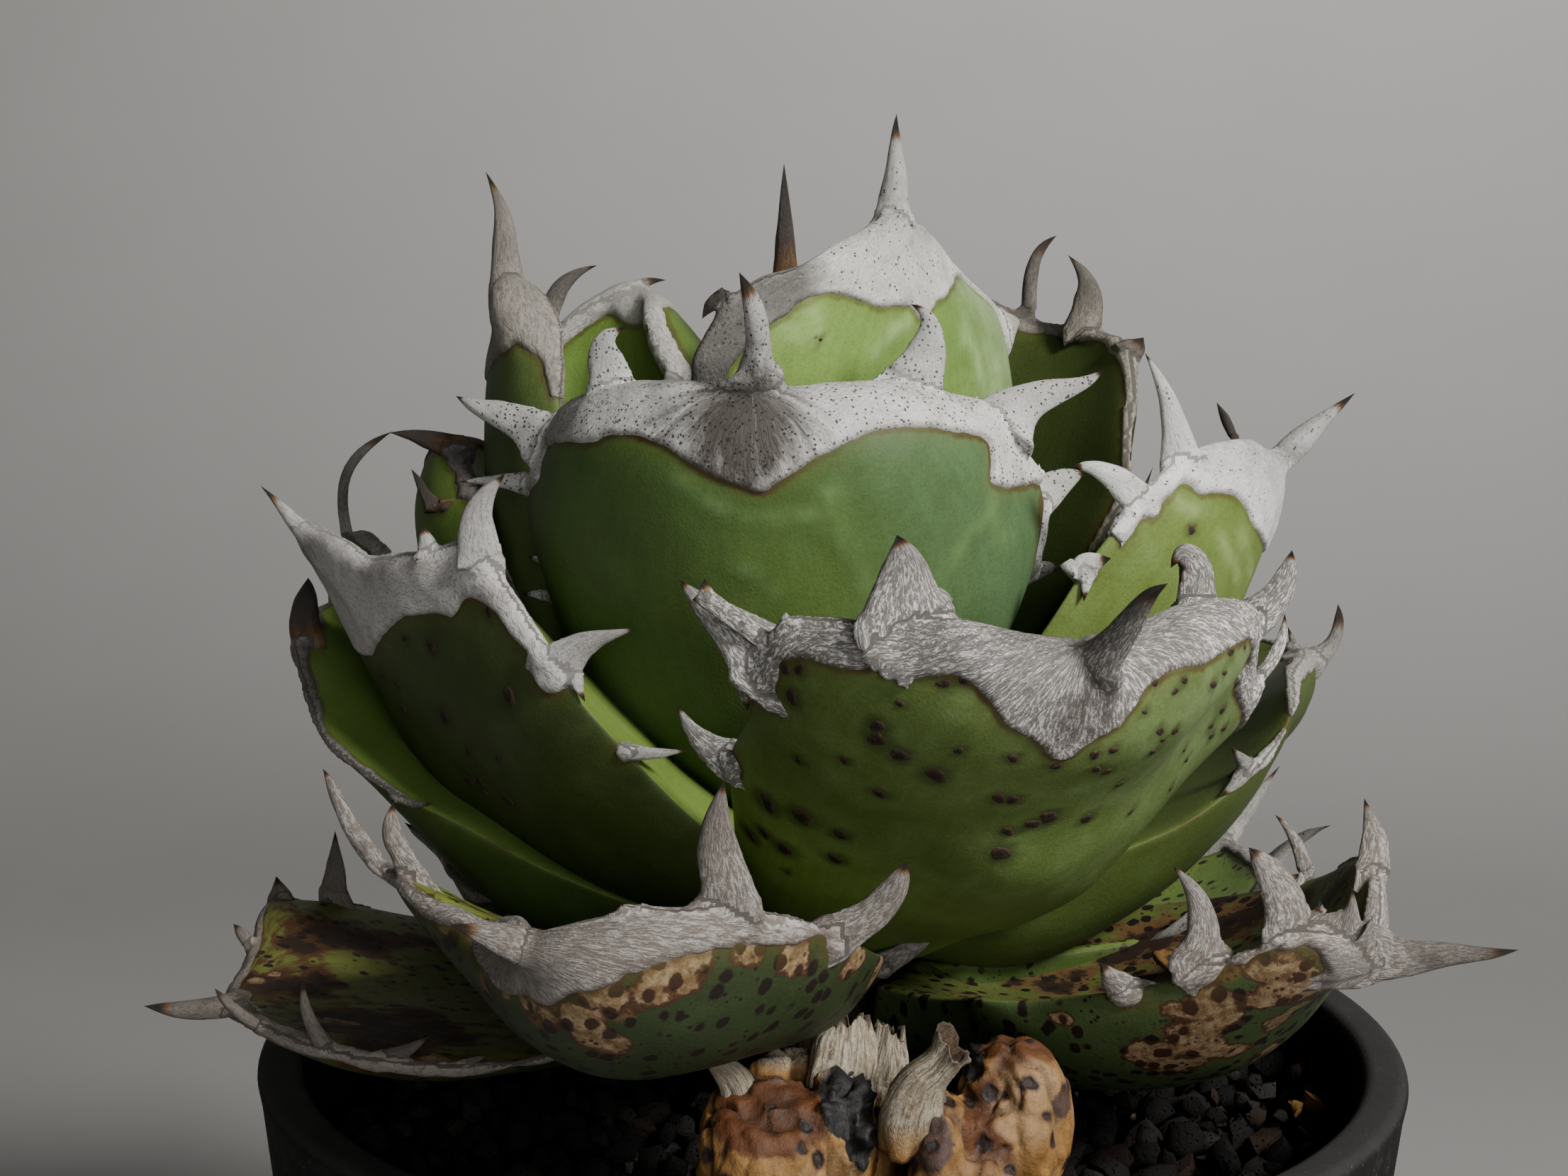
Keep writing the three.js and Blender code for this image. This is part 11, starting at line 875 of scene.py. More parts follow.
125.5,-11.6,15.4,124.8,-17.5,11.1,125.5,-23.1,7,127.6,-28.4,3.3,131,1.3,38.8,131.7,-4.7,34.1,127.5,-11.2,29.1,125,-18,23.9,124.1,-24.9,18.7,125,-31.5,
13.9,127.5,-37.7,9.5,131.7,-2.3,47.8,132.6,-9,42.9,127.9,-16.3,37.4,124.9,-23.9,31.7,124,-31.5,26,124.9,-38.7,20.5,127.9,-45.3,15.4,132.6,-6.4,54.9,
133.7,-13.6,50.2,128.7,-21.4,44.8,125.6,-29.3,38.9,124.6,-37.2,32.9,125.6,-44.5,26.9,128.7,-51,21.2,133.7,-10.8,60.1,135.1,-18.3,56,130.1,-26.2,51,
127.1,-34.2,45.3,126,-41.8,39.2,127.1,-48.8,33,130.1,-54.8,26.9,135.1,-16.1,63.4,136.4,-23.4,60.2,132,-30.9,55.9,129.2,-38.3,50.8,128.3,-45.3,45.1,
129.2,-51.4,39.1,132,-56.5,33,136.4,-22.6,65.2,137.5,-28.9,62.9,133.9,-35.4,59.5,131.7,-41.7,55.3,131,-47.5,50.4,131.7,-52.5,45.1,133.9,-56.4,39.7,
137.5,-30,65.6,138.2,-34.8,64.1,135.7,-39.6,61.8,134.2,-44.3,58.8,133.6,-48.5,55.1,134.2,-52,51.1,135.7,-54.7,46.9,138.2,-38.2,64.7,138.2,-40.9,64,
136.9,-43.5,62.8,136.1,-46.1,61.2,135.8,-48.4,59.2,136.1,-50.3,56.9,136.9,-51.7,54.6,138.2,-46.9,62.3,137,-46.9,62.3,137,-46.9,62.3,137,-46.9,62.3,
137,-46.9,62.3,137,-46.9,62.3,137,-46.9,62.3,137],
TO=[0,5.3,8.2,9,8.2,5.3,0,0,5,7.8,8.5,7.8,5,0,0,4.8,7.4,8.1,7.4,4.8,0,0,4.5,7,7.7,7,4.5,0,0,4.3,6.7,7.3,6.7,4.3,0,0,4.1,6.4,7,6.4,4.1,0,0,3.9,6.1,6.7,
6.1,3.9,0,0,3.4,5.2,5.7,5.2,3.4,0,0,2.6,4,4.4,4,2.6,0,0,1.6,2.5,2.7,2.5,1.6,0,0,0,0,0,0,0,0],
TI=[0,.8,1.2,1.3,1.2,.8,0,0,1,1.5,1.6,1.5,1,0,0,1.2,1.8,1.9,1.8,1.2,0,0,1.3,2,2.1,2,1.3,0,0,1.4,2.1,2.2,2.1,1.4,0,0,1.4,2,2.2,2,1.4,0,0,1.3,1.9,2,1.9,
1.3,0,0,1.1,1.6,1.7,1.6,1.1,0,0,.8,1.1,1.2,1.1,.8,0,0,.4,.6,.7,.6,.4,0,0,0,0,0,0,0,0],
teeth=[
('spine', [-43.93,58.3,132.18,-4.63,-3.49,0,-45.87,60.87,134.56,-4.63,-3.49,0,-47.4,62.92,136.33,-3.72,-2.81,0,-48.96,65.09,137.97,-2.88,-2.17,0,-50.56,67.36,
139.47,-2.12,-1.6,0,-52.2,69.73,140.82,-1.43,-1.08,0,-53.88,72.21,142.04,-.83,-.63,0,-55.59,74.8,143.11,-.34,-.26,0,-57.34,77.5,144.05,0,0,0]),
('', [-21.22,63.36,135.24,-4.54,.96,.7,-20.62,64.8,137.2,-4.54,.96,.7,-20.24,65.45,138.07,-3.68,.78,.57,-19.81,66.11,138.87,-2.87,.61,.44,-19.32,66.75,
139.61,-2.12,.45,.33,-18.79,67.39,140.29,-1.44,.3,.22,-18.2,68.02,140.9,-.85,.18,.13,-17.56,68.65,141.45,-.35,.07,.05,-16.87,69.28,141.93,0,0,0]),
('', [-13.29,59.56,133.88,-3.61,2.73,.96,-11.84,60.96,135.35,-3.61,2.73,.96,-11.02,61.79,136.23,-2.92,2.21,.78,-10.38,62.69,137.12,-2.28,1.72,.61,-9.92,
63.67,138.03,-1.69,1.27,.45,-9.65,64.73,138.97,-1.15,.87,.31,-9.55,65.86,139.92,-.67,.51,.18,-9.64,67.07,140.9,-.28,.21,.07,-9.91,68.35,141.89,0,0,0]),
('', [-8.12,53.64,132.38,-2.36,3.49,.7,-6.23,54.66,133.65,-2.36,3.49,.7,-5.32,55.03,134.22,-1.91,2.83,.57,-4.42,55.34,134.76,-1.49,2.2,.44,-3.54,55.61,
135.3,-1.1,1.63,.33,-2.68,55.84,135.82,-.75,1.11,.22,-1.84,56.01,136.33,-.44,.65,.13,-1.02,56.14,136.83,-.18,.27,.05,-.21,56.22,137.32,0,0,0]),
('', [-3.74,45.67,131.15,-2.03,4.54,.52,-1.72,46.43,132.4,-2.03,4.54,.52,-.76,47.03,133.08,-1.64,3.67,.42,.08,47.8,133.77,-1.28,2.87,.33,.8,48.72,134.46,
-.95,2.12,.24,1.4,49.81,135.16,-.64,1.44,.16,1.88,51.06,135.86,-.38,.84,.1,2.24,52.47,136.58,-.15,.35,.04,2.47,54.04,137.3,0,0,0]),
('', [-54.94,39.95,135.46,.71,5.19,.68,-56.38,39.88,137.51,.71,5.19,.68,-57.06,40.09,138.67,.58,4.2,.55,-57.61,40.4,139.88,.45,3.27,.43,-58.01,40.8,141.14,
.33,2.42,.32,-58.27,41.31,142.46,.23,1.65,.21,-58.39,41.91,143.82,.13,.96,.13,-58.36,42.62,145.24,.05,.4,.05,-58.2,43.42,146.7,0,0,0]),
('', [-54.2,30.94,134.22,-.89,3.34,.73,-55.96,30.12,135.79,-.89,3.34,.73,-56.86,29.8,136.6,-.72,2.7,.59,-57.7,29.43,137.39,-.56,2.11,.46,-58.47,29,138.15,
-.42,1.56,.34,-59.18,28.51,138.88,-.28,1.06,.23,-59.83,27.97,139.59,-.17,.62,.14,-60.41,27.36,140.26,-.07,.25,.06,-60.93,26.7,140.91,0,0,0]),
('', [-48.99,22.2,132.29,-3.23,3.76,.8,-50.48,20.65,133.57,-3.23,3.76,.8,-51.29,19.48,134.4,-2.61,3.05,.65,-51.93,18.25,135.25,-2.04,2.38,.51,-52.38,16.96,
136.13,-1.51,1.76,.37,-52.66,15.61,137.03,-1.03,1.19,.25,-52.76,14.19,137.95,-.6,.7,.15,-52.68,12.71,138.9,-.25,.29,.06,-52.43,11.17,139.87,0,0,0]),
('', [-41.9,15.38,131.02,-3.76,3.05,.47,-43.17,13.63,132.27,-3.76,3.05,.47,-44.02,12.79,132.98,-3.04,2.47,.38,-44.85,11.99,133.66,-2.37,1.93,.3,-45.65,
11.21,134.32,-1.75,1.43,.22,-46.43,10.47,134.95,-1.19,.97,.15,-47.17,9.75,135.55,-.7,.57,.09,-47.89,9.07,136.13,-.29,.23,.04,-48.59,8.42,136.69,0,0,
0]),
],
band=None,
spots=[],
imp=[]),
}


# Corky and brown patches on the old leaves: centres and radii in millimetres.
PATCHES = {
"B1": {"tan": [[-24.7,-84.8,151.9,2.6],[-26.7,-83.5,149.9,1.9],[-25.6,-82.6,147.8,2],[-23.7,-81.4,146,1.5],[-31.4,-80.5,
150.1,1.5],[-29.5,-81.8,149,1.2],[-18.7,-84.8,154,1.9],[-19.2,-84.2,151.8,1.9],[-16.3,-83.6,153,1.7],[-16.9,
-84.3,155.4,1.9],[-37.1,-70.1,149.7,1.2],[-34.3,-76.7,149.6,1.1],[-42.5,-63.5,152.6,1.1],[-33.4,-73.3,155.6,
1.5],[-35.2,-15.3,137.7,2.2],[-37.2,-62.1,152.6,.8],[-27.4,-82.7,157.7,1],[-9.9,-80.3,155.4,1.6],[-5.5,-76.3,
153.8,1.9],[1.3,-66.7,150.6,2.2],[3.6,-55.7,145.2,1.9],[-14.8,-83.3,155.6,1.5]],
"brn": [[-39.6,-57.3,152.6,1.1],[-36.5,-16.4,138.2,1.9],[-33.2,-72.5,155.4,1],[-37.5,-57.3,151.7,.8],[-26.2,-83,
158.3,1],[-25,-83.1,158.7,.7],[-49.2,-53.2,155.3,.8],[-31,-80.7,149.4,1.5],[-28.5,-82.6,149.5,1.5],[-22.5,
-84.2,150.5,1.4],[-37.1,-69.4,148.1,1.5]]},
"B3": {"tan": [[49.2,-53.7,144.7,2.6],[52.4,-51.6,142.5,2.4],[47.6,-52.1,141.7,2.2],[45.8,-53.6,144.9,1.5],[41.7,-51.4,
140.2,2.2],[38.5,-50.4,139.3,1.7],[40.1,-48.4,135.9,2.2],[36.8,-45.3,132.3,2.5],[39,-44.1,130.9,2.7],[35.1,
-45.7,132.9,1.8],[41.8,-46.3,133.5,2.2],[43.6,-50.3,138.6,1.8],[50.3,-46.3,137.2,2],[51.6,-47.6,139,2],[50.2,
-38.5,130.7,1.8],[25.8,-44.8,136.6,1.1],[44.8,-44.4,132.5,1.8]],
"brn": [[40.1,-.9,131.3,3.1],[43.9,-.2,132.6,3.1],[44.6,-9.2,131.8,2.5],[37.6,-1.9,130.5,2.1],[33.5,3.4,131,1.6],
[27.8,-6.3,128.7,2],[31.7,-5.6,129,2],[23.7,-6.7,128.6,1.3],[29.2,-9.4,128.7,2],[52.8,-3.2,136.1,3.6],[56.2,
-4.3,138.1,3.1],[58.7,-12.2,140,2.5],[60.4,-25.1,145.6,2.9],[39.5,-10.6,130.2,2],[51.9,4,136.7,2.1],[42.9,
-52.9,144.8,1.1],[35.6,-11.7,129.5,1.5]]},
"B2": {"brn": [[-66.2,-2.3,133.1,4.1],[-62.2,-1.6,131.8,4.1],[-68.5,-9.6,133.5,2.2],[-66.8,-22.4,132.4,3.1],[-70.4,-23.8,
132.9,2.4],[-57.2,-33.2,131.4,4],[-52.4,-37.7,131.3,3.6],[-49.1,-31.9,130.3,2.7],[-60.6,-32.6,131.8,2],[-51.7,
-26.6,130.2,2],[-53.2,-44.9,131.7,3.2],[-64.7,-19.2,132.1,2.1],[-55.3,4.4,130,1.9],[-45.3,-36.2,130.5,2],
[-49.6,-44.4,131.4,1.9],[-73.4,-21.4,132.7,1.4]],
"tan": [[-61,-34.2,132,1.5],[-58.5,-34.1,131.6,1.3],[-46.2,-44.8,131,1.3],[-71.6,-22.9,132.9,1],[-69.9,-20.1,133.1,
.9]]},
"T1": {"brn": [[-3.1,-32.9,212.9,.6]]},
"M2": {"brn": [[-35,-36.3,178.2,.8]]},
"R1": {"brn": [[41.6,-27.5,191.1,.7],[38.3,-29.4,186.8,.4]]},
}
for _n, _w in (("B1", dict(inner=0.5)), ("B2", dict(wide=0.45, inner=0.4)), ("B3", dict(inner=0.6)), ("H", dict(wide=0.8)), ("K", dict(wide=0.6)), ("D", dict(wide=0.45)), ("J", dict(wide=0.7)), ("TR", dict(wide=0.55)), ("R2", dict(wide=0.6))):
    LEAVES[_n].update(_w)


# ------------------------------------------------------------ small tools
def hash3(i, j, k, seed):
    n = (i * 374761393 + j * 668265263 + k * 1440662683 + seed * 974634777) & 0xFFFFFFFF
    n = ((n ^ (n >> 13)) * 1274126177) & 0xFFFFFFFF
    n = ((n ^ (n >> 15)) * 2246822519) & 0xFFFFFFFF
    return ((n ^ (n >> 16)) & 0xFFFF) / 65535.0


def vnoise(p, size, seed=0):
    """Smooth noise from -1 to 1 at points p, with features of that size."""
    q = np.asarray(p, float) / size
    i = np.floor(q).astype(np.int64)
    f = q - i
    f = f * f * (3 - 2 * f)
    out = 0.0
    for a in (0, 1):
        for b in (0, 1):
            for c in (0, 1):
                w = (f[..., 0] if a else 1 - f[..., 0]) * (f[..., 1] if b else 1 - f[..., 1]) * (f[..., 2] if c else 1 - f[..., 2])
                out = out + w * hash3(i[..., 0] + a, i[..., 1] + b, i[..., 2] + c, seed)
    return 2 * out - 1


def fbm(p, size, seed=0, octaves=3, gain=0.5):
    out, amp, tot = 0.0, 1.0, 0.0
    for o in range(octaves):
        out = out + amp * vnoise(p, size / 2 ** o, seed + 17 * o)
        tot += amp
        amp *= gain
    return out / tot


def smoothstep(x, a=0.0, b=1.0):
    t = np.clip((np.asarray(x, float) - a) / (b - a), 0, 1)
    return t * t * (3 - 2 * t)


def unit(v):
    return v / np.maximum(np.linalg.norm(v, axis=-1), 1e-9)[..., None]


def tree(points):
    t = KDTree(len(points))
    for i, p in enumerate(points.tolist()):
        t.insert(p, i)
    t.balance()
    return t


def nearest(t, points):
    n = len(points)
    idx, dist = np.zeros(n, int), np.zeros(n)
    find = t.find
    for k, p in enumerate(points.tolist()):
        _, i, d = find(p)
        idx[k], dist[k] = i, d
    return idx, dist


def make_mesh(name, verts, faces, attrs=None, smooth=True):
    """verts in mm; faces as an (n, 4) or (n, 3) array, or a list of them."""
    me = bpy.data.meshes.new(name)
    groups = faces if isinstance(faces, list) else [faces]
    groups = [np.asarray(g, np.int64) for g in groups if len(g)]
    nv = len(verts)
    me.vertices.add(nv)
    me.vertices.foreach_set("co", (np.asarray(verts, float) * MM).astype(np.float32).ravel())
    loops = np.concatenate([g.ravel() for g in groups])
    sizes = np.concatenate([np.full(len(g), g.shape[1], np.int64) for g in groups])
    starts = np.concatenate([[0], np.cumsum(sizes)[:-1]])
    me.loops.add(len(loops))
    me.loops.foreach_set("vertex_index", loops.astype(np.int32))
    me.polygons.add(len(sizes))
    me.polygons.foreach_set("loop_start", starts.astype(np.int32))
    me.polygons.foreach_set("loop_total", sizes.astype(np.int32))
    me.update(calc_edges=True)
    me.validate()
    if attrs:
        for k, v in attrs.items():
            a = me.attributes.new(k, "FLOAT", "POINT")
            if len(me.vertices) == len(v):
                a.data.foreach_set("value", np.asarray(v, np.float32))
    me.polygons.foreach_set("use_smooth", np.full(len(me.polygons), smooth))
    me.update()
    return me


# every piece added below is clamped to the CAD model's box
BOX_LO = np.array([-0.08299, -0.08899, 0.00001], np.float32)
BOX_HI = np.array([0.07579, 0.09819, 0.23899], np.float32)


def add_piece(name, me, nodes, material):
    co = np.empty(len(me.vertices) * 3, np.float32)
    me.vertices.foreach_get("co", co)
    me.vertices.foreach_set("co", np.clip(co.reshape(-1, 3), BOX_LO, BOX_HI).ravel())
    me.update()
    ob = bpy.data.objects.new(name, me)
    scene.collection.objects.link(ob)
    me.materials.clear()
    me.materials.append(material)
    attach(ob, "root")
    if nodes:
        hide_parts(*nodes)
    return ob


def mesh_arrays(me):
    v = np.zeros(len(me.vertices) * 3, np.float32)
    me.vertices.foreach_get("co", v)
    me.calc_loop_triangles()
    t = np.zeros(len(me.loop_triangles) * 3, np.int32)
    me.loop_triangles.foreach_get("vertices", t)
    return v.reshape(-1, 3).astype(float), t.reshape(-1, 3)


def remesh(verts, faces, voxel, smooth_steps, decimate=None):
    """One closed skin round closed solids that may run through each other. Units: mm, kept as they are."""
    me = bpy.data.meshes.new("tmp")
    groups = faces if isinstance(faces, list) else [faces]
    polys = [tuple(int(i) for i in f) for g in groups for f in np.asarray(g)]
    me.from_pydata([tuple(v) for v in np.asarray(verts, float).tolist()], [], polys)
    me.update()
    ob = bpy.data.objects.new("tmp", me)
    scene.collection.objects.link(ob)
    m = ob.modifiers.new("r", "REMESH")
    m.mode, m.voxel_size, m.adaptivity = "VOXEL", voxel, 0.0
    if smooth_steps:
        s = ob.modifiers.new("s", "SMOOTH")
        s.factor, s.iterations = 0.5, smooth_steps
    if decimate:
        dm = ob.modifiers.new("d", "DECIMATE")
        dm.ratio = decimate
    dg = bpy.context.evaluated_depsgraph_get()
    dg.update()
    ev = ob.evaluated_get(dg)
    res = bpy.data.meshes.new_from_object(ev)
    v = np.zeros(len(res.vertices) * 3, np.float32)
    res.vertices.foreach_get("co", v)
    sizes = np.zeros(len(res.polygons), np.int32)
    res.polygons.foreach_get("loop_total", sizes)
    li = np.zeros(len(res.loops), np.int32)
    res.loops.foreach_get("vertex_index", li)
    starts = np.concatenate([[0], np.cumsum(sizes)[:-1]])
    out = []
    for k in (3, 4):
        sel = starts[sizes == k]
        if len(sel):
            out.append(np.stack([li[sel + j] for j in range(k)], -1))
    bpy.data.objects.remove(ob)
    bpy.data.meshes.remove(me)
    bpy.data.meshes.remove(res)
    return v.reshape(-1, 3).astype(float), out


def vert_normals(P, closed_ring=True):
    """Normals of a (nu, nr) ring grid, pointing out for the leaf's winding."""
    du = np.gradient(P, axis=0)
    dr = np.roll(P, -1, 1) - np.roll(P, 1, 1)
    return unit(np.cross(dr, du))


# ---------------------------------------------------------- leaf surfaces
NU, NS = 11, 7
EDGE = 1.0


def samp(G, a, b):
    def w(f):
        return np.stack([-.5 * f + f * f - .5 * f ** 3, 1 - 2.5 * f * f + 1.5 * f ** 3,
                         .5 * f + 2 * f * f - 1.5 * f ** 3, -.5 * f * f + .5 * f ** 3], -1)
    n, m = G.shape[:2]
    Gp = np.concatenate([2 * G[:1] - G[1:2], G, 2 * G[-1:] - G[-2:-1]], 0)
    Gp = np.concatenate([2 * Gp[:, :1] - Gp[:, 1:2], Gp, 2 * Gp[:, -1:] - Gp[:, -2:-1]], 1)
    ia = np.clip(np.floor(a).astype(int), 0, n - 2)
    ib = np.clip(np.floor(b).astype(int), 0, m - 2)
    wa, wb, out = w(a - ia), w(b - ib), 0
    for i in range(4):
        for j in range(4):
            k = wa[..., i] * wb[..., j]
            v = Gp[ia + i, ib + j]
            out = out + (k[..., None] * v if v.ndim > k.ndim else k * v)
    return out


def evals(d, u, s):
    """Middle, outward normal, back and inner face of a leaf at (u, s)."""
    a, b, h = (1 - (1 - u) ** (1 / 1.6)) * (NU - 1), (s + 1) / 2 * (NS - 1), .02
    M = samp(d["G"], a, b)
    du = samp(d["G"], np.clip(a + h, 0, NU - 1), b) - samp(d["G"], np.clip(a - h, 0, NU - 1), b)
    ds = samp(d["G"], a, np.clip(b + h, 0, NS - 1)) - samp(d["G"], a, np.clip(b - h, 0, NS - 1))
    N = unit(np.cross(ds, du))
    q = np.sqrt(np.clip(1 - np.abs(s) ** 14, 0, 1)) * np.sqrt(np.clip(1 - u ** 30, 0, 1))
    to = (EDGE + samp(d["TO"], a, b)) * q
    ti = (EDGE + samp(d["TI"], a, b)) * q
    return M, N, M + N * to[..., None], M - N * ti[..., None]


def catmull(pts, per):
    """Smooth curve through pts, per points to each span."""
    p = np.concatenate([2 * pts[:1] - pts[1:2], pts, 2 * pts[-1:] - pts[-2:-1]])
    t = np.linspace(0, 1, per, endpoint=False)[:, None]
    out = []
    for i in range(len(pts) - 1):
        a, b, c, d = p[i], p[i + 1], p[i + 2], p[i + 3]
        out.append(.5 * (2 * b + (c - a) * t + (2 * a - 5 * b + 4 * c - d) * t * t + (3 * b - a - 3 * c + d) * t ** 3))
    return np.concatenate(out + [pts[-1:]])


def inside(poly, q):
    """Even-odd test of points q in a closed polygon."""
    x, y = q[:, 0], q[:, 1]
    c = np.zeros(len(q), bool)
    a, b = poly, np.roll(poly, -1, 0)
    for (x0, y0), (x1, y1) in zip(a, b):
        if y0 == y1:
            continue
        m = ((y0 > y) != (y1 > y)) & (x < (x1 - x0) * (y - y0) / (y1 - y0) + x0)
        c ^= m
    return c


for name, d in LEAVES.items():
    for k, dim in (("G", 3), ("TO", 0), ("TI", 0)):
        a = np.array(d[k], float)
        d[k] = a.reshape(NU, NS, 3) if dim else a.reshape(NU, NS)
    d["teeth"] = [(kind, np.array(st, float).reshape(-1, 6)) for kind, st in d["teeth"]]


# ------------------------------------------------------------- node helper
class Nodes:
    """Short spellings for building one node material."""

    def __init__(self, name):
        self.mat = bpy.data.materials.new(name)
        self.mat.use_nodes = True
        self.t = self.mat.node_tree
        self.t.nodes.clear()
        self.out = self.t.nodes.new("ShaderNodeOutputMaterial")
        self.b = self.t.nodes.new("ShaderNodeBsdfPrincipled")
        self.t.links.new(self.b.outputs[0], self.out.inputs[0])
        self.co = None

    def put(self, sock, v):
        if isinstance(v, bpy.types.NodeSocket):
            self.t.links.new(v, sock)
        elif sock.type == "RGBA" and len(v) == 3:
            sock.default_value = (*v, 1)
        else:
            sock.default_value = v

    def node(self, kind, **props):
        n = self.t.nodes.new(kind)
        for k, v in props.items():
            setattr(n, k, v)
        return n

    def pos(self):
        """Place on the object in millimetres."""
        if self.co is None:
            c = self.node("ShaderNodeTexCoord")
            self.co = self.vmul(c.outputs["Object"], (1000, 1000, 1000))
        return self.co

    def attr(self, name, vector=False):
        a = self.node("ShaderNodeAttribute", attribute_type="GEOMETRY", attribute_name=name)
        return a.outputs["Vector" if vector else "Fac"]

    def vmul(self, v, m):
        n = self.node("ShaderNodeVectorMath", operation="MULTIPLY")
        self.put(n.inputs[0], v)
        self.put(n.inputs[1], m)
        return n.outputs[0]

    def vadd(self, v, m):
        n = self.node("ShaderNodeVectorMath", operation="ADD")
        self.put(n.inputs[0], v)
        self.put(n.inputs[1], m)
        return n.outputs[0]

    def vscale(self, v, k):
        n = self.node("ShaderNodeVectorMath", operation="SCALE")
        self.put(n.inputs[0], v)
        self.put(n.inputs["Scale"], k)
        return n.outputs[0]

    def math(self, op, a, b=0.0, c=None, clamp=False):
        n = self.node("ShaderNodeMath", operation=op, use_clamp=clamp)
        self.put(n.inputs[0], a)
        self.put(n.inputs[1], b)
        if c is not None:
            self.put(n.inputs[2], c)
        return n.outputs[0]

    def mul(self, a, b):
        return self.math("MULTIPLY", a, b)

    def add(self, a, b):
        return self.math("ADD", a, b)

    def sub(self, a, b):
        return self.math("SUBTRACT", a, b)

    def max(self, a, b):
        return self.math("MAXIMUM", a, b)

    def step(self, v, a, b, c=0.0, d=1.0):
        """Smooth step of v from a..b to c..d."""
        n = self.node("ShaderNodeMapRange", interpolation_type="SMOOTHSTEP")
        if a > b:
            a, b, c, d = b, a, d, c
        for k, x in zip(("Value", "From Min", "From Max", "To Min", "To Max"), (v, a, b, c, d)):
            self.put(n.inputs[k], x)
        return n.outputs[0]

    def line(self, v, a, b, c=0.0, d=1.0):
        n = self.node("ShaderNodeMapRange")
        for k, x in zip(("Value", "From Min", "From Max", "To Min", "To Max"), (v, a, b, c, d)):
            self.put(n.inputs[k], x)
        return n.outputs[0]

    def mix(self, f, a, b, blend="MIX"):
        n = self.node("ShaderNodeMix", data_type="RGBA", blend_type=blend, clamp_factor=True)
        self.put(n.inputs[0], f)
        self.put(n.inputs[6], a)
        self.put(n.inputs[7], b)
        return n.outputs[2]

    def noise(self, v, size, detail=2.0, rough=0.5, dist=0.0, color=False, kind=None):
        n = self.node("ShaderNodeTexNoise", noise_dimensions="3D")
        if kind:
            n.noise_type = kind
        self.put(n.inputs["Vector"], v)
        n.inputs["Scale"].default_value = 1.0 / size
        n.inputs["Detail"].default_value = detail
        n.inputs["Roughness"].default_value = rough
        n.inputs["Distortion"].default_value = dist
        return n.outputs["Color" if color else "Fac"]

    def cells(self, v, size, feature="F1", out="Distance", random=1.0):
        n = self.node("ShaderNodeTexVoronoi", voronoi_dimensions="3D", feature=feature)
        self.put(n.inputs["Vector"], v)
        n.inputs["Scale"].default_value = 1.0 / size
        n.inputs["Randomness"].default_value = random
        return n.outputs[out]

    def bump(self, height, mm, normal=None):
        n = self.node("ShaderNodeBump")
        self.put(n.inputs["Height"], height)
        n.inputs["Distance"].default_value = mm * 0.001
        n.inputs["Strength"].default_value = 1.0
        if normal is not None:
            self.put(n.inputs["Normal"], normal)
        return n.outputs[0]

    def done(self, color, rough, normal=None, spec=0.4, **fixed):
        self.put(self.b.inputs["Base Color"], color)
        self.put(self.b.inputs["Roughness"], rough)
        if normal is not None:
            self.put(self.b.inputs["Normal"], normal)
        self.b.inputs["Specular IOR Level"].default_value = spec
        for k, v in fixed.items():
            s = self.b.inputs[k.replace("_", " ")]
            if s.type == "RGBA" and len(v) == 3:
                v = (*v, 1)
            s.default_value = v
        return self.mat


def lin(r, g, b, k=1.0):
    """A screen colour (0 to 255) as linear light, times k."""
    out = []
    for c in (r, g, b):
        c /= 255.0
        out.append(k * (c / 12.92 if c <= 0.04045 else ((c + 0.055) / 1.055) ** 2.4))
    return tuple(out)


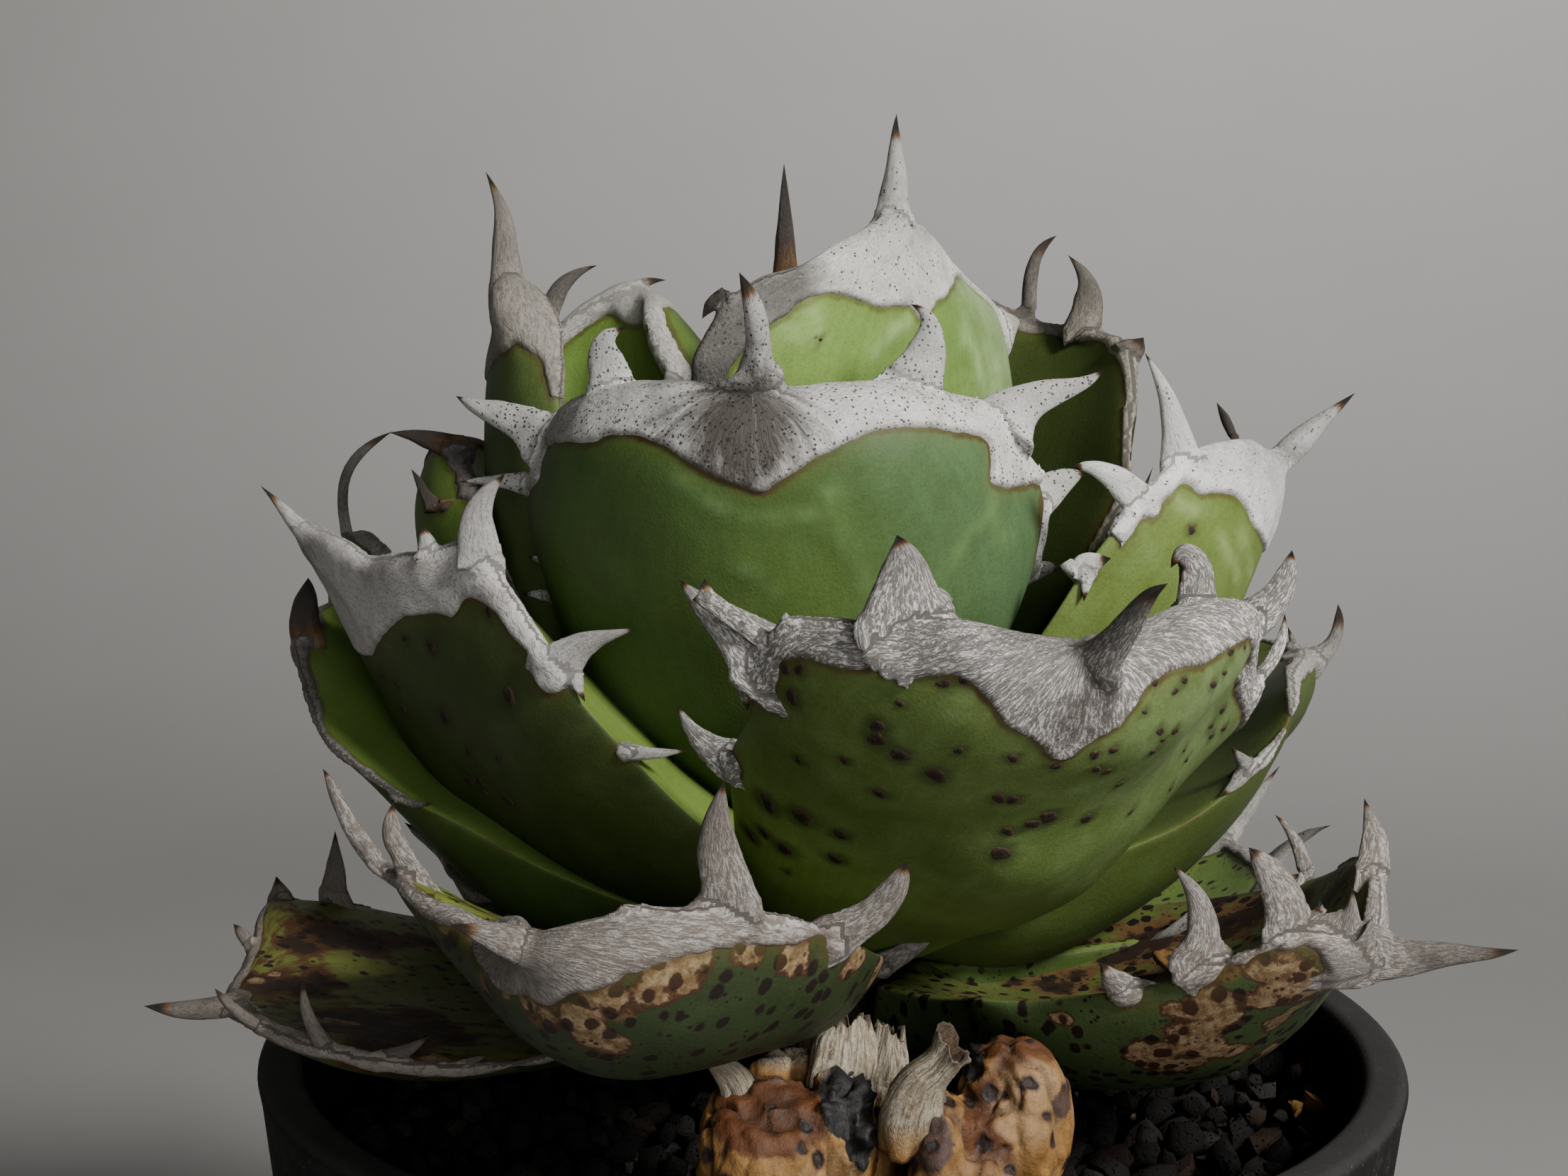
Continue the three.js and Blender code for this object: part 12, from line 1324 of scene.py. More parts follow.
# -------------------------------------------------------------- materials
def leaf_material(name, green, young, bloom, brown=(0.10, 0.055, 0.02), grain=1.0, streak=0.0, rough=0.58):
    """Waxy green skin: fine pits, soft mottling, a blue-grey bloom, brown blemishes and a thin rusty line below the cork."""
    n = Nodes(name)
    p = n.pos()
    big = n.noise(p, 26, 3, 0.55, 0.4)
    mid = n.noise(n.vadd(p, (31, 7, 5)), 5.5, 4, 0.6, 0.3)
    fine = n.noise(p, 0.45, 3, 0.65)
    pits = n.cells(n.vadd(p, n.vscale(n.noise(p, 0.8, 1, 0.5, 0, True), 0.35)), 0.30)
    c = n.mix(n.step(n.add(n.attr("yel"), n.mul(n.sub(big, 0.5), 0.5)), 0.1, 0.9), green, young)
    # bloom: the waxy bloom, partly painted light where its mask grows towards the lit right side
    c = n.mix(n.mul(n.step(n.add(n.attr("bloom"), n.mul(n.sub(mid, 0.5), 0.75)), 0.15, 1.0), 0.9), c, bloom)
    # lengthwise veins, very faint
    f = n.attr("fib", True)
    vein = n.noise(n.vmul(f, (1.0, 1.0, 0.06)), 1.1, 2, 0.6)
    c = n.mix(n.step(vein, 0.3, 0.75, 0.0, 0.16), c, n.mix(0.5, green, (0.005, 0.012, 0.003)))
    tone = n.add(n.line(mid, 0.2, 0.8, 0.84, 1.16), n.line(fine, 0.25, 0.75, -0.13 * grain, 0.13 * grain))
    tone = n.add(tone, n.step(pits, 0.0, 0.5, -0.16 * grain, 0.06 * grain))
    c = n.mix(1.0, c, n.cmb(tone), "MULTIPLY")
    # pale pressed lines
    imp = n.mul(n.attr("imp"), n.step(n.noise(p, 3.0, 2), 0.25, 0.7, 0.25, 1.0))
    c = n.mix(n.mul(imp, 0.8), c, n.mix(1.0, n.mix(0.45, bloom, young), (1.35, 1.35, 1.35), "MULTIPLY"))
    # brown blemishes
    blot = n.noise(n.vmul(f, (1.0, 1.0, 0.40)), 2.5, 6, 0.72, 0.6)
    bw = n.add(blot, n.mul(n.sub(n.attr("brn"), 0.5), 0.9))
    bm = n.step(bw, 0.50, 0.72)
    core = n.step(n.add(bw, n.mul(n.sub(n.noise(p, 1.1, 3, 0.6), 0.5), 0.5)), 0.78, 0.98)
    c = n.mix(n.mul(n.step(bw, 0.40, 0.60), 0.35), c, n.mix(0.5, c, brown))
    c = n.mix(bm, c, n.mix(core, brown, (0.022, 0.012, 0.007)))
    tv = n.add(n.attr("tan"), n.mul(n.mul(n.sub(n.noise(n.vadd(p, (2, 4, 8)), 2.0, 5, 0.72), 0.5), 1.1), n.step(n.attr("tan"), 0.02, 0.25)))
    tan = n.step(tv, 0.42, 0.50)
    tc = n.mix(n.step(n.noise(p, 1.2, 4, 0.7), 0.35, 0.7), (0.12, 0.068, 0.03), (0.27, 0.195, 0.11))
    tc = n.mix(n.step(n.noise(n.vadd(p, (9, 2, 4)), 2.6, 4, 0.7), 0.54, 0.66, 0.0, 0.85), tc, (0.075, 0.032, 0.013))
    rim = n.mul(n.step(tv, 0.30, 0.42), n.step(tv, 0.66, 0.50))
    c = n.mix(tan, c, tc)
    c = n.mix(n.mul(rim, 0.9), c, (0.042, 0.015, 0.007))
    # dark specks scattered over old skin
    wob = n.vscale(n.noise(p, 2.0, 2, 0.5, 0, True), 1.1)
    off = n.mul(n.sub(1.0, n.attr("dots")), 0.25)
    dots = n.step(n.add(n.cells(n.vadd(n.vadd(n.vmul(p, (1.0, 1.0, 0.8)), wob), (5, 9, 1)), 2.4), off), 0.40, 0.30)
    small = n.step(n.add(n.cells(n.vadd(p, (1, 2, 6)), 1.2), off), 0.27, 0.19)
    dots = n.math("MAXIMUM", dots, n.mul(small, n.step(mid, 0.42, 0.60)))
    c = n.mix(n.mul(dots, n.step(n.attr("dots"), 0.05, 0.5)), c, n.mix(tan, (0.010, 0.006, 0.004), (0.032, 0.014, 0.007)))
    # halo of the round scabs, and the rusty line under the cork
    c = n.mix(n.mul(n.attr("halo"), 0.65), c, (0.022, 0.03, 0.008))
    bd = n.attr("bd")
    edge = n.add(bd, n.mul(n.sub(n.noise(p, 1.6, 3), 0.5), 0.9))
    line = n.mul(n.step(edge, -0.85, -0.2), n.line(n.noise(n.vadd(p, (3, 3, 9)), 6, 2), 0.3, 0.6, 0.45, 1.0))
    c = n.mix(n.mul(line, n.attr("rust")), c, (0.05, 0.02, 0.009))
    c = n.mix(n.mul(n.step(edge, -2.6, -0.4), n.mul(n.attr("rust"), 0.25)), c, (0.10, 0.10, 0.02))
    h = n.add(n.mul(pits, 0.55), n.mul(fine, 0.7))
    r = n.add(n.line(fine, 0.3, 0.7, rough - 0.05, rough + 0.07), n.mul(bm, 0.1))
    return n.done(c, r, n.bump(h, 0.035), 0.24, Coat_Weight=0.03, Coat_Roughness=0.45)


def cork_material(name, white, brown, speck=0.3, stroke=0.4, silky=0.0, dark=(0.018, 0.012, 0.009), amber=(0.20, 0.09, 0.025), gain=1.0):
    """Dry cork: pale skin with dark pores, short woody strokes along the fibres, stains, and dark tips."""
    n = Nodes(name)
    p = n.pos()
    f = n.attr("fib", True)
    fw = n.vadd(f, n.vscale(n.vadd(n.noise(p, 2.4, 2, 0.5, 0, True), (-0.5, -0.5, -0.5)), 1.1))
    strokes = n.noise(n.vmul(fw, (1.0, 1.0, 0.32)), 0.32, 4, 0.76)
    hair = n.noise(n.vmul(fw, (1.0, 1.0, 0.07)), 0.30, 3, 0.7)
    patch = n.noise(n.vadd(p, (11, 3, 8)), 7.5, 4, 0.6, 0.5)
    fine = n.noise(p, 0.5, 3, 0.7)
    c = n.mix(n.step(patch, 0.40, 0.72, 0.0, 0.85), white, n.mix(0.5, white, n.mix(0.5, brown, (0.30, 0.27, 0.23))))
    # strokes
    sk = n.add(n.mul(n.attr("wood"), 1.0), stroke)
    sm = n.step(n.add(strokes, n.mul(n.sub(sk, 0.5), 0.36)), 0.47, 0.60)
    c = n.mix(n.mul(sm, n.line(sk, 0, 1, 0.40, 1.0)), c, brown)
    if silky:
        c = n.mix(n.step(hair, 0.38, 0.68, 0.0, silky), c, n.mix(0.35, brown, (0.16, 0.14, 0.13)))
    # stains
    st = n.add(n.attr("stain"), n.mul(n.sub(n.noise(n.vmul(fw, (1, 1, 0.5)), 2.2, 6, 0.75, 0.6), 0.5), 1.5))
    stm = n.mul(n.step(st, 0.25, 1.0), n.step(n.attr("stain"), 0.03, 0.35))
    c = n.mix(n.mul(stm, 0.93), c, n.mix(n.step(strokes, 0.42, 0.6), (0.022, 0.017, 0.013), (0.075, 0.058, 0.045)))
    # pores
    v = n.cells(n.vadd(p, n.vscale(n.noise(p, 0.7, 1, 0.5, 0, True), 0.35)), 0.56)
    pick = n.noise(n.vadd(p, (2, 5, 9)), 1.0, 1)
    dens = n.add(n.mul(n.noise(n.vadd(p, (8, 1, 3)), 6.0, 2), 0.5), speck - 0.25)
    pore = n.mul(n.step(v, 0.34, 0.20), n.step(n.add(pick, n.sub(dens, 0.5)), 0.36, 0.46))
    c = n.mix(n.mul(pore, 0.9), c, (0.02, 0.017, 0.014))
    c = n.mix(1.0, c, n.cmb(n.line(fine, 0.2, 0.8, 0.88 * gain, 1.10 * gain)), "MULTIPLY")
    # tips
    tip = n.attr("tip")
    tn = n.add(tip, n.mul(n.sub(n.noise(n.vmul(fw, (1, 1, 0.3)), 0.8, 3, 0.6), 0.5), 0.45))
    c = n.mix(n.step(tn, 0.30, 0.62), c, n.mix(n.step(tn, 0.45, 0.8), amber, dark))
    # painted shade: darker brown towards the cork's edge, where it meets the skin
    c = n.mix(n.mul(n.step(n.attr("edge"), 0.9, 0.15), 0.45), c, brown)
    # dark teeth and dirt, and painted shade over the left side of the top front leaf's cork
    c = n.mix(n.mul(n.attr("shade"), 0.85), c, (0.05, 0.042, 0.035))
    h = n.add(n.mul(strokes, 1.3), n.mul(fine, 0.6))
    r = n.sub(0.86, n.mul(n.step(tn, 0.35, 0.8), 0.38))
    return n.done(c, r, n.bump(h, 0.24), 0.3)


def _cmb(self, v):
    n = self.node("ShaderNodeCombineColor")
    for i in range(3):
        self.put(n.inputs[i], v)
    return n.outputs[0]


Nodes.cmb = _cmb


def scab_material():
    n = Nodes("scab")
    p = n.pos()
    e = n.attr("edge")
    nz = n.noise(p, 0.7, 4, 0.7)
    c = n.mix(n.step(n.add(e, n.mul(n.sub(nz, 0.5), 0.5)), 0.15, 0.8), (0.045, 0.024, 0.014), (0.012, 0.008, 0.007))
    c = n.mix(n.step(n.noise(n.vadd(p, (4, 4, 4)), 0.5, 3, 0.7), 0.55, 0.75, 0, 0.8), c, (0.13, 0.07, 0.03))
    return n.done(c, n.line(nz, 0.3, 0.7, 0.55, 0.85), n.bump(n.add(nz, n.noise(p, 0.3, 2)), 0.12), 0.3)


# ---------------------------------------------------------- leaves: looks
NODE = dict(T0="leaf_bud", T1="leaf_top_front", TR="leaf_top_back_right", TL="leaf_top_left", H="leaf_top_back_left",
            U1="leaf_upper_front", R1="leaf_upper_right", N1="leaf_upper_back_right", J="leaf_upper_left",
            M1="leaf_middle_front_right", M2="leaf_middle_front_left", N2="leaf_middle_back", R2="leaf_middle_right",
            K="leaf_middle_back_left", D="leaf_middle_left", N3="leaf_lower_back_right", N4="leaf_lower_back_left",
            B1="leaf_bottom_front_left", B3="leaf_bottom_right", B2="leaf_bottom_left", N5="leaf_bottom_back_right",
            N6="leaf_bottom_back", N7="leaf_bottom_back_left")
FRONT = set("T1 U1 R1 TL M1 M2 R2 B1 B3 B2 D".split())
def _g(k, **kw):
    return {a: tuple(k * x for x in c) for a, c in kw.items()}


GREENS = dict(
    base=_g(1.5, green=(0.030, 0.052, 0.010), young=(0.075, 0.125, 0.020), bloom=(0.075, 0.110, 0.050)),
    T1=_g(1.40, green=(0.085, 0.140, 0.032), young=(0.125, 0.195, 0.045), bloom=(0.165, 0.225, 0.115)),
    U1=_g(1.6, green=(0.030, 0.054, 0.013), young=(0.066, 0.104, 0.024), bloom=(0.046, 0.080, 0.035)),
    M1=_g(1.85, green=(0.042, 0.062, 0.013), young=(0.080, 0.115, 0.020), bloom=(0.080, 0.108, 0.050)),
    M2=_g(1.5, green=(0.022, 0.032, 0.007), young=(0.080, 0.120, 0.022), bloom=(0.050, 0.066, 0.034)),
    R1=_g(1.5, green=(0.060, 0.090, 0.018), young=(0.100, 0.140, 0.026), bloom=(0.110, 0.145, 0.070)),
    R2=_g(0.8, green=(0.036, 0.056, 0.010), young=(0.085, 0.125, 0.022), bloom=(0.080, 0.110, 0.050)),
    # TR: greens darkened as painted shade, for a leaf lying in shadow behind the top front leaf
    TR=_g(0.72, green=(0.018, 0.028, 0.006), young=(0.040, 0.058, 0.010), bloom=(0.040, 0.055, 0.020)),
    TL=_g(1.5, green=(0.030, 0.045, 0.014), young=(0.085, 0.125, 0.025), bloom=(0.060, 0.080, 0.040)),
    B1=_g(1.45, green=(0.015, 0.023, 0.007), young=(0.080, 0.100, 0.016), bloom=(0.027, 0.040, 0.018)),
    B2=_g(1.5, green=(0.035, 0.050, 0.010), young=(0.075, 0.085, 0.016), bloom=(0.040, 0.055, 0.022), brown=(0.042, 0.019, 0.007)),
    B3=_g(1.5, green=(0.026, 0.040, 0.012), young=(0.070, 0.088, 0.018), bloom=(0.040, 0.058, 0.026)),
)
TOOTH_DARK = dict(M1=(0.62, 0.0), TR=(0.7, 0.55), R2=(0.5, 0.35), B3=(0.75, 0.15), K=(0.8, 0.7), D=(1.0, 0.55), J=(1.0, 1.0), B2=(0.3, 0.45), H=(0.45, 0.35), R1=(0.5, 0.05), N3=(0.7, 0.4), N4=(0.7, 0.4), TL=(0.2, 0.5))
CORKS = dict(
    base=dict(white=(0.46, 0.44, 0.41), brown=(0.12, 0.10, 0.08), speck=0.25, stroke=0.50),
    U1=dict(white=(0.66, 0.65, 0.62), brown=(0.17, 0.145, 0.12), speck=0.50, stroke=0.24),
    T1=dict(white=(0.68, 0.67, 0.62), brown=(0.22, 0.18, 0.13), speck=0.36, stroke=0.30, amber=(0.26, 0.13, 0.04)),
    M1=dict(white=(0.74, 0.72, 0.69), brown=(0.075, 0.058, 0.045), speck=0.16, stroke=0.70),
    M2=dict(white=(0.50, 0.48, 0.46), brown=(0.13, 0.11, 0.095), speck=0.12, stroke=0.40),
    R1=dict(white=(0.70, 0.69, 0.67), brown=(0.20, 0.17, 0.14), speck=0.34, stroke=0.30),
    B1=dict(white=(0.385, 0.365, 0.335), brown=(0.095, 0.070, 0.052), speck=0.12, stroke=0.62, silky=0.6),
    TL=dict(white=(0.30, 0.275, 0.24), brown=(0.13, 0.11, 0.09), speck=0.10, stroke=0.45, silky=0.5, amber=(0.24, 0.15, 0.05)),
    B2=dict(white=(0.24, 0.21, 0.18), brown=(0.09, 0.07, 0.055), speck=0.10, stroke=0.45, silky=0.4),
    B3=dict(white=(0.48, 0.455, 0.42), brown=(0.115, 0.085, 0.065), speck=0.12, stroke=0.65),
    TR=dict(white=(0.30, 0.27, 0.23), brown=(0.10, 0.085, 0.07), speck=0.10, stroke=0.5),
    H=dict(white=(0.58, 0.56, 0.52), brown=(0.20, 0.17, 0.13), speck=0.2, stroke=0.45),
    K=dict(white=(0.40, 0.38, 0.35), brown=(0.10, 0.09, 0.08), speck=0.1, stroke=0.45),
    J=dict(white=(0.16, 0.14, 0.13), brown=(0.05, 0.04, 0.035), speck=0.10, stroke=0.45),
    D=dict(white=(0.20, 0.18, 0.165), brown=(0.06, 0.05, 0.04), speck=0.10, stroke=0.45),
    T0=dict(white=(0.13, 0.085, 0.06), brown=(0.04, 0.028, 0.02), speck=0.0, stroke=0.5, silky=0.6),
)


def polyline_distance(pts, line):
    """Distance of each point to a 3-D polyline."""
    a, b = line[:-1], line[1:]
    ab = b - a
    l2 = np.maximum((ab * ab).sum(-1), 1e-9)
    out = np.full(len(pts), 1e9)
    for i in range(0, len(pts), 4000):
        q = pts[i:i + 4000, None, :]
        t = np.clip(((q - a) * ab).sum(-1) / l2, 0, 1)
        dv = q - (a + t[..., None] * ab)
        out[i:i + 4000] = np.sqrt((dv * dv).sum(-1)).min(1)
    return out


def ring_grid(d, rows, cols, inner_every=1, start=0.0):
    """Closed rings round the leaf from base to tip. Returns points, u, s and which columns are the back (outer) face."""
    k = np.linspace(start, 1, rows)
    u = 1 - (1 - k) ** 1.3
    u[-1] = 0.9985
    t = np.linspace(-1, 1, cols)
    s = 1.5 * t - 0.5 * t ** 3
    U, S = np.meshgrid(u, s, indexing="ij")
    _, _, O, I = evals(d, U, S)
    back = np.arange(cols)[::-1][1:-1][::inner_every]
    P = np.concatenate([O, I[:, back]], 1)
    SS = np.concatenate([S, S[:, back]], 1)
    UU = np.concatenate([U, U[:, back]], 1)
    outer = np.concatenate([np.ones(cols, bool), np.zeros(len(back), bool)])
    return P, UU, SS, outer


def ring_faces(nu, nr, flip=False):
    i, j = np.meshgrid(np.arange(nu - 1), np.arange(nr), indexing="ij")
    a = i * nr + j
    b = i * nr + (j + 1) % nr
    c = (i + 1) * nr + (j + 1) % nr
    e = (i + 1) * nr + j
    q = np.stack([a, b, c, e], -1).reshape(-1, 4)
    return q[:, ::-1] if flip else q


def undulate(d, P, N, name):
    """The skin's slight unevenness, the same for the green skin and its cork."""
    seed = sum(ord(ch) for ch in name)
    return P + N * (0.30 * vnoise(P + seed, 13.0, seed) + 0.12 * vnoise(P - seed, 5.0, seed + 3))[..., None]


def margin_run(P, outer):
    """For each ring point: distance over the face from the left margin, and from the right margin."""
    nc = int(outer.sum())
    seg = np.linalg.norm(np.roll(P, -1, 1) - P, axis=-1)
    run = np.concatenate([np.zeros((len(P), 1)), np.cumsum(seg, 1)], 1)
    tot = run[:, -1]
    at = run[:, :-1]
    right = at[:, nc - 1][:, None]
    dl = np.minimum(at, tot[:, None] - at)
    dr = np.abs(at - right)
    return dl, dr


def cork_field(name, d, P, U, S, outer):
    """Signed distance in mm to the edge of the cork: positive inside it."""
    dl, dr = margin_run(P, outer)
    nu, nr = U.shape
    nc = int(outer.sum())
    flat = P.reshape(-1, 3)
    tip = P[-1].mean(0)
    length = np.linalg.norm(np.diff(P[:, nc // 2], axis=0), axis=1).sum()
    u1 = U[:, :1]
    wide = d.get("wide", 1.0)
    wm = wide * (2.4 + 2.8 * smoothstep(u1, 0.6, 0.97)) * smoothstep(u1, d.get("from", 0.42), d.get("from", 0.42) + 0.08) - 0.6
    wob = 0.7 * vnoise(P + 50, 4.0, 5) + 0.4 * vnoise(P + 90, 1.6, 6)
    rt = np.linalg.norm(P - tip, axis=-1)
    base = np.maximum(wm - dl, wm - dr)
    base = np.maximum(base, wide * 8.0 - rt) + wob
    if d["band"] is not None:
        pts = catmull(np.array(d["band"], float), 5)
        bu, bs = np.clip(pts[:, 0], 0, 0.998), np.clip(pts[:, 1], -1, 1)
        _, _, line, _ = evals(d, bu, bs)
        bu = pts[:, 0]
        dist = polyline_distance(flat, line).reshape(nu, nr)
        poly = np.concatenate([np.stack([bu, pts[:, 1]], -1), [[bu[-1], 1.3], [1.3, 1.3], [1.3, -1.3], [bu[0], -1.3]]])
        ins = inside(poly, np.stack([U.ravel(), S.ravel()], -1)).reshape(nu, nr)
        tr = np.where(ins, dist, -dist) + 0.22 * vnoise(P + 70, 1.1, 8)
        out = np.where(outer[None, :], tr, -5.0)
    else:
        out = np.where(outer[None, :], base, -5.0)
    # pads round the tooth roots
    for kind, st in d["teeth"]:
        c, w = st[1, :3], np.linalg.norm(st[1, 3:])
        r = np.linalg.norm(P - c, axis=-1)
        pad = (w * 0.62 + 0.25) - r + 0.4 * wob
        out = np.where(outer[None, :], np.maximum(out, pad), out)
    # the inner face carries a narrow strip along the same margins
    wl, wr = out[:, 0][:, None], out[:, nc - 1][:, None]
    cap = d.get("inner", 1.5) + 2.5 * smoothstep(u1, 0.82, 0.98)
    inn = np.maximum(np.minimum(wl, cap) - dl, np.minimum(wr, cap) - dr)
    inn = np.maximum(inn, np.minimum(wide * 6.0, 6.0) - rt) + 0.35 * wob
    return np.where(outer[None, :], out, inn)


def tooth_grid(st, kind, stations, around, ridge=0.05, seed=0):
    """A tooth lofted through its traced stations. Returns points and the fibre frame."""
    c0, w0 = st[:, :3], st[:, 3:]
    per = max(2, int(math.ceil((stations - 1) / (len(st) - 1))))
    c = catmull(c0, per)
    w = catmull(w0, per)
    n = len(c)
    wl = np.maximum(np.linalg.norm(w, axis=-1), 0.0)
    ax = unit(np.gradient(c, axis=0))
    wd = w0 / np.maximum(np.linalg.norm(w0, axis=-1), 1e-6)[:, None]
    wd[-1] = wd[-2]
    wd = unit(catmull(wd, per))
    wd = unit(wd - ax * (wd * ax).sum(-1)[:, None])
    cd = unit(np.cross(ax, wd))
    h = np.minimum(0.85 * wl, (0.6 + 0.42 * wl) if "spine" in kind else (0.50 + 0.17 * wl))
    tip = np.linspace(0, 1, n)
    h = h * (0.40 + 0.60 * smoothstep(tip, 0.0, 0.32))
    wl = np.maximum(wl, 0.05 * (1 - tip))
    h = np.maximum(h, 0.05 * (1 - tip))
    th = np.linspace(0, 2 * np.pi, around, endpoint=False)
    ct, sn = np.cos(th), np.sin(th)
    lens = np.sign(sn) * np.abs(sn) ** 1.25
    T, A = np.meshgrid(tip, th, indexing="ij")
    key = np.stack([3.0 * np.cos(A), 3.0 * np.sin(A), 5 * T + seed * 3.1], -1)
    k = 1 + ridge * (1.2 * vnoise(key, 0.7, seed + 1) + 1.6 * vnoise(key, 2.2, seed + 2)) * np.minimum(1, 6 * (1 - T))
    X = c[:, None, :] + (wd[:, None, :] * (wl[:, None] * ct)[..., None] + cd[:, None, :] * (h[:, None] * lens)[..., None]) * k[..., None]
    run = np.concatenate([[0], np.cumsum(np.linalg.norm(np.diff(c, axis=0), axis=1))])
    w_root = max(wl.max(), 1.0)
    fib = np.stack([np.broadcast_to(ct * w_root, X.shape[:2]), np.broadcast_to(sn * w_root * 0.6, X.shape[:2]),
                    np.broadcast_to(run[:, None], X.shape[:2])], -1) + np.array([37.0 * (seed % 9), 11.0 * (seed % 5), 0])
    return X, fib, T, run[-1], (c, wd, cd, wl, h, run, w_root, np.array([37.0 * (seed % 9), 11.0 * (seed % 5), 0.0]))


def tooth_coords(p, fr):
    """Fibre coordinates and the place along a tooth for points p on its skin."""
    c, wd, cd, wl, h, run, w_root, off = fr
    a, ab = c[:-1], c[1:] - c[:-1]
    l2 = np.maximum((ab * ab).sum(-1), 1e-9)
    t = np.clip(((p[:, None, :] - a) * ab).sum(-1) / l2, 0, 1)
    dv = p[:, None, :] - (a + t[..., None] * ab)
    i = (dv * dv).sum(-1).argmin(1)
    r = np.arange(len(p))
    tt, dd = t[r, i], dv[r, i]

    def at(q):
        return q[i] + (q[i + 1] - q[i]) * (tt[:, None] if q.ndim > 1 else tt)
    x = (dd * at(wd)).sum(-1) / np.maximum(at(wl), 0.25) * w_root
    y = (dd * at(cd)).sum(-1) / np.maximum(at(h), 0.25) * w_root * 0.6
    z = at(run)
    return np.stack([x, y, z], -1) + off, z / max(run[-1], 1e-6)


def loft_solid(X):
    """Closed quads and fans round a (stations, around) grid, both ends closed."""
    n, m = X.shape[:2]
    v = np.concatenate([X.reshape(-1, 3), [X[0].mean(0)], [X[-1].mean(0)]])
    q = ring_faces(n, m)
    j = np.arange(m)
    lo = np.stack([np.full(m, n * m), (j + 1) % m, j], -1)
    hi = np.stack([np.full(m, n * m + 1), (n - 1) * m + j, (n - 1) * m + (j + 1) % m], -1)
    return v, q, np.concatenate([lo, hi])


def turned_out(v, q, t):
    """Flips the faces if the solid is inside out."""
    vol = 0.0
    for tri in (t, q[:, [0, 1, 2]], q[:, [0, 2, 3]]):
        a, b, c = v[tri[:, 0]], v[tri[:, 1]], v[tri[:, 2]]
        vol += (a * np.cross(b, c)).sum()
    return (q, t) if vol > 0 else (q[:, ::-1], t[:, ::-1])


def build_leaf(name, d):
    node = NODE[name]
    fine = name in FRONT
    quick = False
    cell = (1.3 if quick else 0.85) if fine else 1.6
    lenL = np.linalg.norm(np.diff(d["G"][:, 3], axis=0), axis=1).sum()
    widL = max(np.linalg.norm(np.diff(d["G"][i], axis=0), axis=1).sum() for i in range(NU))
    rows = int(np.clip(lenL / cell * 1.25, 24, 150))
    cols = int(np.clip(widL / cell * 1.35, 18, 130))
    rows, cols = int(rows * 0.8), 2 * int(cols * 0.4) + 1
    P, U, S, outer = ring_grid(d, rows, cols, 2)
    N = vert_normals(P)
    mid = P.reshape(-1, 3).mean(0)
    # normals must point away from the middle surface
    M = samp(d["G"], (1 - (1 - U) ** (1 / 1.6)) * (NU - 1), (S + 1) / 2 * (NS - 1))
    sgn = np.sign(((P - M) * N).sum(-1).mean())
    N = N * sgn
    P = undulate(d, P, N, name)
    # lines pressed in by older leaves
    imp = np.zeros(P.shape[:2])
    for ln in d["imp"]:
        ln = catmull(np.array(ln, float), 4)
        _, _, L3, _ = evals(d, np.clip(ln[:, 0], 0, 0.998), np.clip(ln[:, 1], -1, 1))
        r = polyline_distance(P.reshape(-1, 3), L3).reshape(imp.shape)
        imp = np.maximum(imp, np.exp(-(r / 1.0) ** 2))
    P = P + N * (0.16 * imp * outer[None, :])[..., None]
    bd = cork_field(name, d, P, U, S, outer)
    halo = np.zeros(P.shape[:2])
    scabs = []
    for (su, ss, sr) in d["spots"]:
        sr = 1.42 * sr
        _, n1, o1, _ = evals(d, np.array([su]), np.array([ss]))
        r = np.linalg.norm(P - o1[0], axis=-1)
        halo = np.maximum(halo, smoothstep(2.1 - r / max(sr, 0.5), 0, 1) * outer[None, :])
        scabs.append((su, ss, sr))
    looks = leaf_looks(name, d, P, U, S, outer)
    wL = widL / 2
    fib = np.stack([S * wL, np.where(outer[None, :], 0.0, 40.0) * np.ones_like(S), U * lenL], -1)
    nr = P.shape[1]
    v = np.concatenate([P.reshape(-1, 3), [P[0].mean(0)], [P[-1].mean(0)]])
    q = ring_faces(rows, nr)
    j = np.arange(nr)
    t = np.concatenate([np.stack([np.full(nr, rows * nr), (j + 1) % nr, j], -1),
                        np.stack([np.full(nr, rows * nr + 1), (rows - 1) * nr + j, (rows - 1) * nr + (j + 1) % nr], -1)])
    q, t = turned_out(v, q, t)

    def ext(a):
        a = a.reshape(-1, *a.shape[2:])
        return np.concatenate([a, a[:1], a[-1:]])

    attrs = dict(bd=ext(bd), imp=ext(imp), halo=ext(halo), **{k: ext(np.broadcast_to(x, P.shape[:2]).astype(float)) for k, x in looks.items()})
    me = make_mesh(node + "_skin", v, [q, t], attrs)
    fa = me.attributes.new("fib", "FLOAT_VECTOR", "POINT")
    fa.data.foreach_set("vector", ext(fib).astype(np.float32).ravel())
    g = GREENS.get(name, GREENS["base"])
    add_piece(node + "_skin", me, [node], leaf_material("skin_" + node, **g))
    if scabs:
        add_scabs(name, d, scabs)
    build_cork(name, d, P, N, sgn, lenL, wL)


